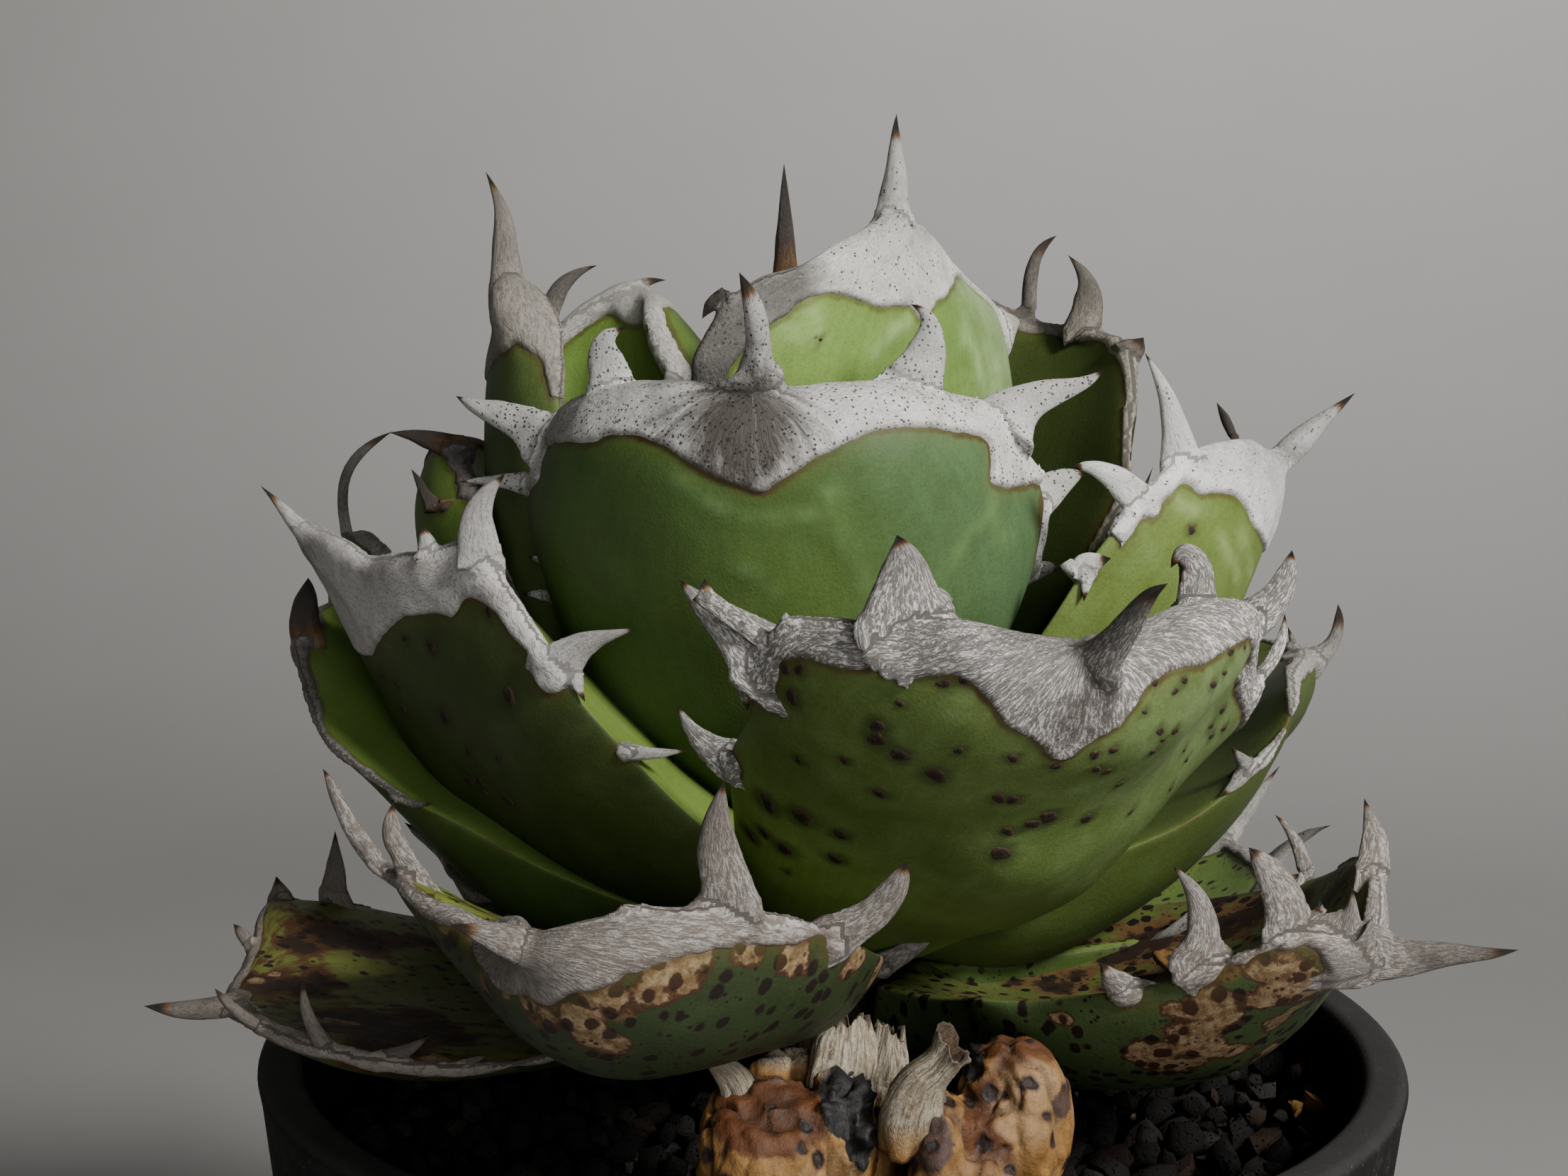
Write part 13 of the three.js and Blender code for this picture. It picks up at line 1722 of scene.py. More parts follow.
def add_scabs(name, d, scabs):
    """Round corky scabs: low domes that follow the skin."""
    rng = np.random.default_rng(7)
    V, Q, T, E = [], [], [], []
    base = 0
    for su, ss, sr in scabs:
        _, n1, o1, _ = evals(d, np.array([su]), np.array([ss]))
        _, _, ou, _ = evals(d, np.array([su + 0.01]), np.array([ss]))
        e1 = unit((ou - o1)[0])
        e2 = np.cross(n1[0], e1)
        m, rings = 18, 5
        th = np.linspace(0, 2 * np.pi, m, endpoint=False)
        wob = 1 + 0.16 * np.sin(2 * th + rng.uniform(0, 6)) + 0.10 * np.sin(3 * th + rng.uniform(0, 6)) + 0.06 * np.sin(7 * th + rng.uniform(0, 6))
        # local lengths of the surface's own directions
        _, _, a1, _ = evals(d, np.array([su + 0.005]), np.array([ss]))
        _, _, b1, _ = evals(d, np.array([su]), np.array([min(ss + 0.01, 0.999)]))
        lu = np.linalg.norm(a1 - o1) / 0.005
        ls = np.linalg.norm(b1 - o1) / (min(ss + 0.01, 0.999) - ss)
        rr = np.linspace(0, 1, rings + 1)[1:]
        R, A = np.meshgrid(rr, th, indexing="ij")
        W = np.broadcast_to(wob, A.shape)
        uu = np.clip(su + R * W * sr * np.cos(A) / lu, 0, 0.998)
        sv = np.clip(ss + R * W * sr * np.sin(A) / ls, -0.999, 0.999)
        _, nn, oo, _ = evals(d, uu, sv)
        oo = undulate(d, oo, nn, name)
        _, cn, co, _ = evals(d, np.array([su]), np.array([ss]))
        co = undulate(d, co, cn, name)
        hgt = 0.16 * (1 - R ** 2.5) - 0.02 - 0.3 * (R > 0.99)
        p = oo + nn * hgt[..., None]
        v = np.concatenate([p.reshape(-1, 3), co + cn * 0.15, (co - cn * 0.35)])
        i, j = np.meshgrid(np.arange(rings - 1), np.arange(m), indexing="ij")
        q = np.stack([i * m + j, i * m + (j + 1) % m, (i + 1) * m + (j + 1) % m, (i + 1) * m + j], -1).reshape(-1, 4)
        jj = np.arange(m)
        t = np.concatenate([np.stack([np.full(m, rings * m), (jj + 1) % m, jj], -1),
                            np.stack([np.full(m, rings * m + 1), (rings - 1) * m + jj, (rings - 1) * m + (jj + 1) % m], -1)])
        q, t = turned_out(v - v.mean(0), q, t)
        V.append(v)
        Q.append(q + base)
        T.append(t + base)
        E.append(np.concatenate([1 - R.ravel(), [1.0, 0.0]]))
        base += len(v)
    me = make_mesh(NODE[name] + "_scabs", np.concatenate(V), [np.concatenate(Q), np.concatenate(T)], dict(edge=np.concatenate(E)))
    add_piece(NODE[name] + "_scabs", me, [NODE[name]], MATS["scab"])


def build_cork(name, d, Pb, Nb, sgn, lenL, wL):
    node = NODE[name]
    fine = name in FRONT or name == "T0"
    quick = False
    voxel = (0.8 if quick else 0.46) if fine else (1.2 if quick else 0.85)
    cell = 0.5 if fine else 0.9
    if quick:
        cell *= 1.6
    rows = int(np.clip(lenL / cell * 1.25, 30, 260))
    cols = int(np.clip(2 * wL / cell * 1.35, 20, 260))
    P, U, S, outer = ring_grid(d, rows, cols, 1)
    N = vert_normals(P) * sgn
    P = undulate(d, P, N, name)
    bd = cork_field(name, d, P, U, S, outer)
    nr = P.shape[1]
    deep = 0.5
    keep = bd > -deep
    H = -0.62 + 1.02 * smoothstep(bd, -0.36, 0.36)
    H = H + 0.10 * vnoise(P, 1.2, 21) * smoothstep(bd, 0, 1) + 0.28 * vnoise(P, 4.0, 22) * smoothstep(bd, 0.3, 2.0) + 0.10 * smoothstep(bd, 0.0, 0.5) * smoothstep(bd, 1.2, 0.4)
    for kind, st in d["teeth"]:
        k = 2 if "spine" in kind else 1
        c, w = st[k, :3], max(np.linalg.norm(st[k, 3:]), 1.0)
        r = np.linalg.norm(P - c, axis=-1) / (w * 1.25 + 0.5)
        H = H + (0.9 if "spine" in kind else 0.25) * np.exp(-r ** 2) * smoothstep(bd, 0, 1)
    top = P + N * H[..., None]
    bot = P - N * 1.15
    ti = np.arange(rows * nr).reshape(rows, nr)
    i, j = np.meshgrid(np.arange(rows - 1), np.arange(nr), indexing="ij")
    cells = np.stack([ti[i, j], ti[i, (j + 1) % nr], ti[i + 1, (j + 1) % nr], ti[i + 1, j]], -1).reshape(-1, 4)
    ok = keep.ravel()[cells].all(1)
    cells = cells[ok]
    parts_v, parts_f, src_p, src_f, src_a = [], [], [], [], []
    base = 0
    seed = sum(ord(ch) for ch in name)
    if len(cells):
        nv = rows * nr
        e = np.concatenate([cells[:, [0, 1]], cells[:, [1, 2]], cells[:, [2, 3]], cells[:, [3, 0]]])
        key = np.minimum(e[:, 0], e[:, 1]) * nv + np.maximum(e[:, 0], e[:, 1])
        uq, inv, cnt = np.unique(key, return_inverse=True, return_counts=True)
        bnd = e[cnt[inv] == 1]
        walls = np.stack([bnd[:, 1], bnd[:, 0], bnd[:, 0] + nv, bnd[:, 1] + nv], -1)
        q = np.concatenate([cells, cells[:, ::-1] + nv, walls])
        v = np.concatenate([top.reshape(-1, 3), bot.reshape(-1, 3)])
        used = np.unique(q)
        rm = np.full(2 * nv, -1)
        rm[used] = np.arange(len(used))
        parts_v.append(v[used])
        parts_f.append(rm[q])
        base += len(used)
        sel = np.unique(cells)
        band_sel = sel
        src_p.append(top.reshape(-1, 3)[sel])
        src_f.append(np.stack([S.ravel()[sel] * wL, np.where(outer[None, :], 0.0, 40.0).repeat(rows, 0).ravel()[sel], U.ravel()[sel] * lenL], -1))
        src_a.append(np.stack([np.zeros(len(sel)), bd.ravel()[sel], U.ravel()[sel], S.ravel()[sel], np.zeros(len(sel))], -1))
    lofts, frames = [], []
    src_k = [np.full(sum(len(x) for x in src_p), -1)]
    for k, (kind, st) in enumerate(d["teeth"]):
        sta, ar = (27, 16) if fine else (17, 10)
        X, fb, T, run, fr = tooth_grid(st, kind, sta, ar, 0.06, seed + 7 * k)
        frames.append(fr)
        src_k.append(np.full(X.shape[0] * X.shape[1], k))
        v, q, t = loft_solid(X)
        q, t = turned_out(v - v.mean(0), q, t)
        parts_v.append(v)
        parts_f.append(np.concatenate([q]) + base)
        parts_f.append(np.asarray(t) + base)
        base += len(v)
        src_p.append(X.reshape(-1, 3))
        src_f.append(fb.reshape(-1, 3))
        spine = 1.0 if "spine" in kind else 0.0
        dark = 1.0 if "dark" in kind else 0.8 if kind == "brown" else TOOTH_DARK.get(name, (0.3, 0.12))[0 if spine else 1]
        src_a.append(np.stack([T.ravel(), np.full(T.size, 3.0), np.full(T.size, 1.0 + spine), np.full(T.size, dark), np.full(T.size, run)], -1))
        # the sharp loft that stays visible past the root
        Xs = c_shrink(X, T)
        v2, q2, t2 = loft_solid(Xs)
        q2, t2 = turned_out(v2 - v2.mean(0), q2, t2)
        lofts.append((v2, q2, t2))
    quads = np.concatenate([f for f in parts_f if f.shape[1] == 4])
    tris = [f for f in parts_f if f.shape[1] == 3]
    tris = np.concatenate(tris) if tris else np.zeros((0, 3), int)
    v, faces = remesh(np.concatenate(parts_v), [quads, tris], voxel, 2)
    allv, allf, off = [v], {4: [], 3: []}, len(v)
    for f in faces:
        allf[f.shape[1]].append(f)
    for v2, q2, t2 in lofts:
        allv.append(v2)
        allf[4].append(q2 + off)
        allf[3].append(t2 + off)
        off += len(v2)
    V = np.concatenate(allv)
    F = [np.concatenate(allf[k]) for k in (4, 3) if allf[k]]
    SP, SF, SA = np.concatenate(src_p), np.concatenate(src_f), np.concatenate(src_a)
    on_tooth = SA[:, 4] > 0
    it, dt = nearest(tree(SP[on_tooth]), V)
    if (~on_tooth).any():
        ib, db = nearest(tree(SP[~on_tooth]), V)
        use_t = (db > 0.65) & (dt < db)
    else:
        ib, use_t = np.zeros(len(V), int), np.ones(len(V), bool)
    pt, pb = np.where(on_tooth)[0], np.where(~on_tooth)[0]
    idx = np.where(use_t, pt[it], pb[ib] if len(pb) else pt[it])
    fib, at = SF[idx].copy(), SA[idx].copy()
    SK = np.concatenate(src_k)
    which = SK[idx]
    if len(pb):
        near_b = which < 0
        g = band_sel[ib[near_b]]
        gi, gj = g // nr, g % nr
        off = V[near_b] - top.reshape(-1, 3)[g]
        for axis, (A, B) in enumerate((((gi, (gj + 1) % nr), (gi, (gj - 1) % nr)), ((np.minimum(gi + 1, rows - 1), gj), (np.maximum(gi - 1, 0), gj)))):
            gv = P[A] - P[B]
            w = (off * gv).sum(-1) / np.maximum((gv * gv).sum(-1), 1e-6)
            w = np.clip(w, -0.6, 0.6)
            fib[near_b, 0] += w * (S[A] - S[B]) * wL
            fib[near_b, 2] += w * (U[A] - U[B]) * lenL
    for k, fr in enumerate(frames):
        m = which == k
        if m.any():
            fib[m], al = tooth_coords(V[m], fr)
            at[m, 0] = al
    along, edge = at[:, 0], at[:, 1]
    is_t = at[:, 2] >= 1.0 - 1e-9
    is_t &= at[:, 4] > 0
    spine = is_t & (at[:, 2] > 1.5)
    dark = np.where(is_t, at[:, 3], 0.0)
    run = np.maximum(at[:, 4], 1.0)
    left = run * (1 - along)
    tipmm = np.where(spine, d.get("tipmm", 5.0), d.get("toothtip", 2.2)) * (1 + 0.5 * dark)
    tip = np.where(is_t, smoothstep(1.0 - left / tipmm, 0, 1), 0.0)
    tip = np.maximum(tip, np.where(is_t & (dark > 0.9), 0.4 + 0.6 * along, 0.0))
    stain, shade, wood = cork_looks(name, d, V, along, is_t, spine, dark)
    me = make_mesh(node + "_cork", V, F, dict(edge=edge, tip=tip, stain=stain, shade=shade, wood=wood))
    fa = me.attributes.new("fib", "FLOAT_VECTOR", "POINT")
    fa.data.foreach_set("vector", fib.astype(np.float32).ravel())
    add_piece(node + "_cork", me, [node], cork_material("cork_" + node, **CORKS.get(name, CORKS["base"])))


def c_shrink(X, T):
    c = X.mean(1, keepdims=True)
    k = (0.90 + 0.10 * smoothstep(T, 0.25, 0.6))[..., None]
    return c + (X - c) * k


def point_on(d, u, s):
    _, _, o, _ = evals(d, np.array([u], float), np.array([s], float))
    return o[0]


def leaf_looks(name, d, P, U, S, outer):
    """Where each leaf is bloomed, yellow, browned, dotted or tanned. The bloom also carries painted light, paler
    towards the lit right side.
    """
    z = np.zeros(P.shape[:2])
    o = outer[None, :] * np.ones_like(z)
    # painted light: by default the bloom grows paler towards +X, the lit right side
    lit = np.clip(0.5 + 0.012 * P[..., 0], 0, 1)
    out = dict(bloom=0.25 + 0.3 * lit, yel=0.35 + 0 * z, brn=0 * z, tan=0 * z, dots=0 * z, rust=0.6 + 0 * z)
    if name == "U1":
        # painted light: U1's bloom grows towards its lit right side
        out["bloom"] = smoothstep(S, -0.3, 0.9) * 0.85 + 0.15 * (1 - U)
        out["yel"] = 0.25 + 0.5 * np.exp(-((S - 0.1) / 0.35) ** 2 - ((U - 0.62) / 0.2) ** 2)
        out["rust"] = 0.9 + 0 * z
    elif name == "T1":
        # painted light: T1's bloom grows towards its lit right side
        out["bloom"] = smoothstep(S, 0.0, 0.9) * 0.8
        out["yel"] = 0.5 - 0.3 * S
    elif name == "M1":
        # painted light: M1's bloom grows towards its lit right side
        out["bloom"] = 0.30 + 0.35 * smoothstep(S, -0.2, 0.8) * smoothstep(U, 0.4, 0.8)
        out["yel"] = 0.15 + 0.7 * smoothstep(U, 0.6, 0.25)
        out["dots"] = 0.0 + z
        out["rust"] = 1.0 + 0 * z
    elif name in ("M2", "D", "K", "N1", "N2", "N3", "N4"):
        out["bloom"] = 0.25 + 0 * z
        out["yel"] = 0.15 + 0.75 * (1 - o)
    elif name in ("R1", "R2"):
        out["bloom"] = 0.3 + 0 * z
        out["yel"] = 0.45 + 0.3 * (1 - o)
    elif name in ("B1", "B2", "B3", "N5", "N6", "N7"):
        out["bloom"] = 0.2 + 0 * z
        out["yel"] = 0.1 + 0.8 * (1 - o)
        out["brn"] = np.where(o > 0.5, 0.20, 0.30) + 0.15 * smoothstep(U, 0.5, 0.95)
        out["dots"] = 0.65 + 0 * z
        if name == "B2":
            out["brn"] = out["brn"] + 0.10
        if name == "B1":
            out["brn"] = out["brn"] - 0.10 * o
            out["dots"] = 1.0 + 0 * z
        if name == "B3":
            out["brn"] = out["brn"] + 0.16 * (1 - o)
            out["yel"] = 0.1 + 0.45 * (1 - o)
            out["dots"] = 1.0 + 0 * z
    for kind, lst in PATCHES.get(name, {}).items():
        a = z.copy()
        for x, y, zz, r in lst:
            a = np.maximum(a, 1.25 - np.linalg.norm(P - np.array([x, y, zz]), axis=-1) / (r * 1.5))
        a = np.clip(a + 0.30 * vnoise(P, 2.4, 61) + 0.22 * vnoise(P, 1.1, 62), 0, 1) * smoothstep(a, -0.4, 0.1)
        if kind == "brn":
            out["brn"] = out["brn"] + 0.75 * a
        else:
            out[kind] = np.maximum(out[kind], a)
    if name in ("H", "K", "TR", "J"):
        out["yel"] = 0.5 + 0.5 * (1 - o)
        out["bloom"] = 0.15 + 0 * z
    return out


def cork_looks(name, d, V, along, is_t, spine, dark):
    """Stain, dark marks with painted shade, and woodiness of the cork at points V."""
    z = np.zeros(len(V))
    stain, shade, wood = z.copy(), z.copy(), z.copy()
    for u, s, r, k in STAINS.get(name, []):
        c = point_on(d, u, s)
        rr = np.linalg.norm(V - c, axis=1) / r
        stain = np.maximum(stain, k * np.exp(-rr ** 2))
    shade = np.maximum(shade, np.where(is_t, dark * smoothstep(along, 0.12, 0.6), 0))
    fl = 0.5 + 0.5 * vnoise(V, 6.0, 41) + 0.35 * vnoise(V, 2.0, 42)
    shade = np.clip(shade * (0.75 + 0.5 * fl) + 0.16 * np.clip(fl - 0.35, 0, 1), 0, 1)
    if name in PALE_BAND:
        shade = np.where(is_t, shade, 0.6 * shade)
    # dark spots: real dirt on U1, painted shade on T1
    for (x, y, z_, r, k) in DIRT_AND_PAINTED_SHADE.get(name, []):
        shade = np.maximum(shade, k * smoothstep(1.4 - np.linalg.norm(V - np.array([x, y, z_]), axis=1) / r, 0, 0.8))
    return stain, shade, wood


PALE_BAND = ("U1", "T1", "R1", "M1", "B1")
# Dark spots on the cork (centre, radius, strength): T1's are painted shade where its left side turns from the light;
# U1's is dirt on its left tooth.
DIRT_AND_PAINTED_SHADE = {
    "T1": [(-16.0, -34.0, 214.0, 9.5, 1.0), (-9.0, -33.0, 219.0, 6.0, 0.95)],
    "U1": [(-38.0, -34.0, 206.0, 9.0, 0.62)],
}
STAINS = {
    "U1": [(0.965, -0.05, 9.0, 1.15), (0.92, -0.02, 7.5, 0.95), (0.93, -0.40, 5.0, 0.65), (0.94, 0.30, 4.5, 0.55), (0.80, -0.93, 5.0, 0.6)],
    "M1": [(0.94, 0.02, 6.0, 0.75), (0.97, -0.3, 3.0, 0.3)],
    "M2": [(0.97, 0.0, 5.0, 0.6)],
    "R1": [(0.97, 0.1, 3.5, 0.4)],
    "B1": [(0.97, 0.1, 4.0, 0.35)],
}
MATS = dict(scab=scab_material())
for name, d in LEAVES.items():
    build_leaf(name, d)


# --------------------------------------------------------------------- pot
POT_H, RIM_R, BASE_R, WALL, FLOOR, ROUND = 120.0, 75.0, 61.5, 5.7, 6.0, 1.6


def pot_material():
    """Matt charcoal clay: fine grain, faint turning rings, a little pale dust and lime on the outside."""
    n = Nodes("pot_clay")
    p = n.pos()
    grain = n.noise(p, 0.45, 4, 0.75)
    cloud = n.noise(p, 17, 4, 0.6, 0.5)
    rings = n.noise(n.vmul(p, (0.02, 0.02, 1.0)), 1.3, 3, 0.6)
    dust = n.noise(n.vadd(p, (9, 4, 1)), 5.5, 6, 0.7)
    c = n.mix(n.step(cloud, 0.3, 0.75), (0.0105, 0.0100, 0.0098), (0.0200, 0.0190, 0.0182))
    c = n.mix(n.step(dust, 0.52, 0.78, 0.0, 0.55), c, (0.055, 0.052, 0.048))
    speck = n.cells(n.vadd(p, n.vscale(n.noise(p, 1.0, 1, 0.5, 0, True), 0.4)), 1.5)
    c = n.mix(n.mul(n.step(speck, 0.14, 0.06), 0.6), c, (0.11, 0.10, 0.09))
    # lighter over the top of the rim
    rim_top = n.attr("rim")
    c = n.mix(n.mul(n.step(n.add(rim_top, n.mul(n.sub(grain, 0.5), 0.6)), 0.4, 1.0), 0.5), c, (0.050, 0.048, 0.046))
    h = n.add(n.mul(grain, 1.0), n.add(n.mul(rings, 0.9), n.mul(dust, 0.8)))
    r = n.line(dust, 0.3, 0.7, 0.60, 0.82)
    return n.done(c, r, n.bump(h, 0.14), 0.05)


def pot_profile():
    out = []
    def outer(z):
        return BASE_R + (RIM_R - BASE_R) * (z / POT_H)
    def arc(cx, cz, r, a0, a1, k):
        return [(cx + r * math.cos(a), cz + r * math.sin(a)) for a in np.linspace(math.radians(a0), math.radians(a1), k)]
    out += [(0.0, 0.0)] + [(x, 0.0) for x in (20.0, 40.0, 56.0)]
    out += arc(outer(2.0) - 2.0, 2.0, 2.0, -90, 0, 6)
    out += [(outer(z), z) for z in np.linspace(6, POT_H - 4, 28)]
    out += arc(RIM_R - ROUND, POT_H - ROUND, ROUND, 0, 90, 8)
    out += arc(RIM_R - WALL + ROUND, POT_H - ROUND, ROUND, 90, 180, 8)
    out += [(outer(z) - WALL, z) for z in np.linspace(POT_H - 4, FLOOR + 3, 20)]
    out += arc(outer(FLOOR + 2.0) - WALL - 2.0, FLOOR + 2.0, 2.0, 0, -90, 5)
    out += [(x, FLOOR) for x in (48.0, 34.0, 18.0)] + [(0.0, FLOOR)]
    return np.array(out)


def build_pot():
    prof = pot_profile()
    m = 168
    a = np.linspace(0, 2 * np.pi, m, endpoint=False)
    mid = prof[1:-1]
    V = np.stack([mid[:, :1] * np.cos(a), mid[:, :1] * np.sin(a), np.broadcast_to(mid[:, 1:], (len(mid), m))], -1)
    v = np.concatenate([V.reshape(-1, 3), [[0, 0, 0.0]], [[0, 0, FLOOR]]])
    q = ring_faces(len(mid), m)
    j = np.arange(m)
    k = len(mid) * m
    t = np.concatenate([np.stack([np.full(m, k), (j + 1) % m, j], -1), np.stack([np.full(m, k + 1), k - m + j, k - m + (j + 1) % m], -1)])
    q, t = turned_out(v, q, t)
    me = make_mesh("tmp_pot", v, [q, t])
    ob = bpy.data.objects.new("tmp_pot", me)
    scene.collection.objects.link(ob)
    cv, cq, ct, off = [], [], [], 0
    for i in range(6):
        b = 2 * math.pi * (i + 0.5) / 6
        cx, cy = 34.0 * math.cos(b), 34.0 * math.sin(b)
        g = np.linspace(0, 2 * np.pi, 32, endpoint=False)
        ringv = [np.stack([cx + 4.5 * np.cos(g), cy + 4.5 * np.sin(g), np.full(32, z)], -1) for z in (-3.0, FLOOR + 3.0)]
        X = np.stack(ringv)
        vv, qq, tt = loft_solid(X)
        qq, tt = turned_out(vv - vv.mean(0), qq, tt)
        cv.append(vv)
        cq.append(qq + off)
        ct.append(tt + off)
        off += len(vv)
    cm = make_mesh("tmp_holes", np.concatenate(cv), [np.concatenate(cq), np.concatenate(ct)], smooth=False)
    co = bpy.data.objects.new("tmp_holes", cm)
    scene.collection.objects.link(co)
    md = ob.modifiers.new("b", "BOOLEAN")
    md.operation, md.object, md.solver = "DIFFERENCE", co, "EXACT"
    dg = bpy.context.evaluated_depsgraph_get()
    dg.update()
    res = bpy.data.meshes.new_from_object(ob.evaluated_get(dg))
    bpy.data.objects.remove(ob)
    bpy.data.objects.remove(co)
    res.name = "pot_body"
    cov = np.zeros(len(res.vertices) * 3, np.float32)
    res.vertices.foreach_get("co", cov)
    cov = cov.reshape(-1, 3) / MM
    rim = smoothstep(cov[:, 2], POT_H - 2.2, POT_H - 0.2)
    at = res.attributes.new("rim", "FLOAT", "POINT")
    at.data.foreach_set("value", rim.astype(np.float32))
    res.polygons.foreach_set("use_smooth", [True] * len(res.polygons))
    res.set_sharp_from_angle(angle=math.radians(40))
    add_piece("pot_body", res, ["pot"], pot_material())


build_pot()


# ------------------------------------------------------------------ gravel
def ico(sub):
    import bmesh
    bm = bmesh.new()
    bmesh.ops.create_icosphere(bm, subdivisions=sub, radius=1.0)
    v = np.array([x.co[:] for x in bm.verts])
    f = np.array([[x.index for x in p.verts] for p in bm.faces])
    bm.free()
    return v, f


def gravel_material():
    """Rough lava grains: porous, near black to dark grey, a few brown or tan, dust on their tops."""
    n = Nodes("lava")
    p = n.pos()
    t = n.attr("tone")
    fine = n.noise(p, 0.55, 5, 0.75)
    pores = n.cells(n.vadd(p, n.vscale(n.noise(p, 0.8, 2, 0.5, 0, True), 0.5)), 0.75)
    c = n.mix(t, (0.0070, 0.0066, 0.0064), (0.026, 0.024, 0.0215))
    c = n.mix(n.step(n.attr("red"), 0.93, 0.99), c, (0.024, 0.015, 0.011))
    c = n.mix(n.step(n.attr("pale"), 0.5, 0.6), c, (0.27, 0.15, 0.045))
    c = n.mix(n.step(fine, 0.50, 0.80, 0.0, 0.5), c, n.mix(0.5, c, (0.065, 0.060, 0.054)))
    c = n.mix(n.step(pores, 0.30, 0.05, 0.0, 0.75), c, (0.003, 0.003, 0.003))
    h = n.add(n.mul(fine, 1.2), n.mul(n.step(pores, 0.0, 0.35), 1.4))
    return n.done(c, n.line(fine, 0.3, 0.7, 0.82, 0.98), n.bump(h, 0.34), 0.06)


def build_gravel():
    mat = gravel_material()
    rng = np.random.default_rng(11)
    grains = []
    cell = {}

    def free(x, y, z, r, tight):
        i, j = int(x // 6), int(y // 6)
        for a in (-1, 0, 1):
            for b in (-1, 0, 1):
                for (px, py, pz, pr) in cell.get((i + a, j + b), ()):
                    if (x - px) ** 2 + (y - py) ** 2 + (z - pz) ** 2 < (tight * (r + pr)) ** 2:
                        return False
        return True

    for layer, (z0, dz, rmin, rmax, tries, tight) in enumerate(((106.4, 0.6, 2.2, 3.3, 5200, 0.84), (108.3, 0.8, 2.4, 4.3, 7000, 0.80), (110.2, 1.0, 1.1, 3.2, 1500, 0.86))):
        for _ in range(tries):
            rr = rmin + (rmax - rmin) * rng.random() ** 1.4
            a, R = rng.uniform(0, 2 * math.pi), math.sqrt(rng.random()) * 68.6
            if R + rr > 67.6 or R < 9.5 + rr:
                continue
            x, y = R * math.cos(a), R * math.sin(a)
            mound = 0.7 * math.exp(-((R - 55) / 16) ** 2)
            z = z0 + rng.uniform(-dz, dz) + mound
            if z + rr > 112.6:
                z = 112.6 - rr
            if free(x, y, z, rr, tight):
                cell.setdefault((int(x // 6), int(y // 6)), []).append((x, y, z, rr))
                grains.append((x, y, z, rr, layer))
    G = np.array(grains)
    seen = (G[:, 1] < -22) & (G[:, 4] > 0) & (np.hypot(G[:, 0], G[:, 1]) > 34)
    for tag, sel, sub in (("gravel_front", seen, 2), ("gravel_rest", ~seen, 1)):
        g = G[sel]
        d, f = ico(sub)
        k = len(g)
        ax = rng.normal(size=(k, 4))
        ax /= np.linalg.norm(ax, axis=1)[:, None]
        w, x, y, z = ax.T
        R = np.stack([np.stack([1 - 2 * (y * y + z * z), 2 * (x * y - z * w), 2 * (x * z + y * w)], -1),
                      np.stack([2 * (x * y + z * w), 1 - 2 * (x * x + z * z), 2 * (y * z - x * w)], -1),
                      np.stack([2 * (x * z - y * w), 2 * (y * z + x * w), 1 - 2 * (x * x + y * y)], -1)], 1)
        st = np.stack([rng.uniform(0.95, 1.2, k), rng.uniform(0.8, 1.05, k), rng.uniform(0.62, 0.9, k)], -1)
        D = np.broadcast_to(d, (k, len(d), 3))
        off = rng.uniform(-50, 50, (k, 1, 3))
        nz = 0.36 * vnoise(D + off, 0.95, 1) + 0.34 * vnoise(D + off, 0.42, 2) + 0.18 * vnoise(D + off, 0.2, 3)
        # flat broken faces
        cut = np.ones((k, len(d)))
        for c in range(5):
            nrm = unit(rng.normal(size=(k, 1, 3)))
            h = rng.uniform(0.74, 1.02, (k, 1))
            dp = (D * nrm).sum(-1)
            cut = np.minimum(cut, np.where(dp > 0.05, h / np.maximum(dp, 0.05), 9))
        L = D * (np.minimum(cut, 1.05) * (1 + nz))[..., None] * st[:, None, :]
        P = np.einsum("kij,kvj->kvi", R, L) * (g[:, 3] * 1.06)[:, None, None] + g[:, None, :3]
        F = (f[None] + (np.arange(k) * len(d))[:, None, None]).reshape(-1, 3)
        P = P.reshape(-1, 3)
        rad = np.hypot(P[:, 0], P[:, 1])
        lim = np.minimum(1, 68.0 / np.maximum(rad, 1))
        P[:, :2] *= lim[:, None]
        P[:, 2] = np.clip(P[:, 2], 104.3, 112.95)
        tone = np.repeat(rng.random(k) ** 1.6, len(d))
        red = np.repeat(rng.random(k), len(d))
        pale = np.repeat(((np.hypot(g[:, 0] - 62, g[:, 1] + 3) < 2.6) & (rng.random(k) > 0.4)), len(d)).astype(float)
        me = make_mesh(tag, P, F, dict(tone=tone, red=red, pale=pale))
        me.set_sharp_from_angle(angle=math.radians(52))
        add_piece(tag, me, ["gravel"], mat)


build_gravel()


# --------------------------------------------------- withered leaf bases
def creases(p, size, seed, width=0.28):
    """Valleys that wander over a surface: 0 on the plain skin, 1 at the bottom of a fold."""
    return np.clip(1 - np.abs(vnoise(p, size, seed)) / width, 0, 1) ** 1.6


def lump(c, r, turn, seed, power=2.3, fold=1.0, sub=5):
    d, f = ico(sub)
    k = 1.0 / (np.abs(d) ** power).sum(1) ** (1.0 / power)
    p = d * k[:, None] * np.array(r, float)
    q = p + np.array([7.0 * seed, 3.0, 1.0])
    w = np.stack([q[:, 0], q[:, 1], q[:, 2] * 0.45], -1) + 1.3 * np.stack([vnoise(q, 5, seed + 1), vnoise(q, 5, seed + 2), vnoise(q, 5, seed + 3)], -1)
    disp = 1.1 * vnoise(q, 8.5, seed) - fold * (1.6 * creases(w, 7.0, seed + 4, 0.22) + 0.5 * creases(w, 3.4, seed + 5, 0.22))
    p = p + d * disp[:, None]
    a = math.radians(turn)
    R = np.array([[math.cos(a), -math.sin(a), 0], [math.sin(a), math.cos(a), 0], [0, 0, 1]])
    return p @ R.T + np.array(c, float), f


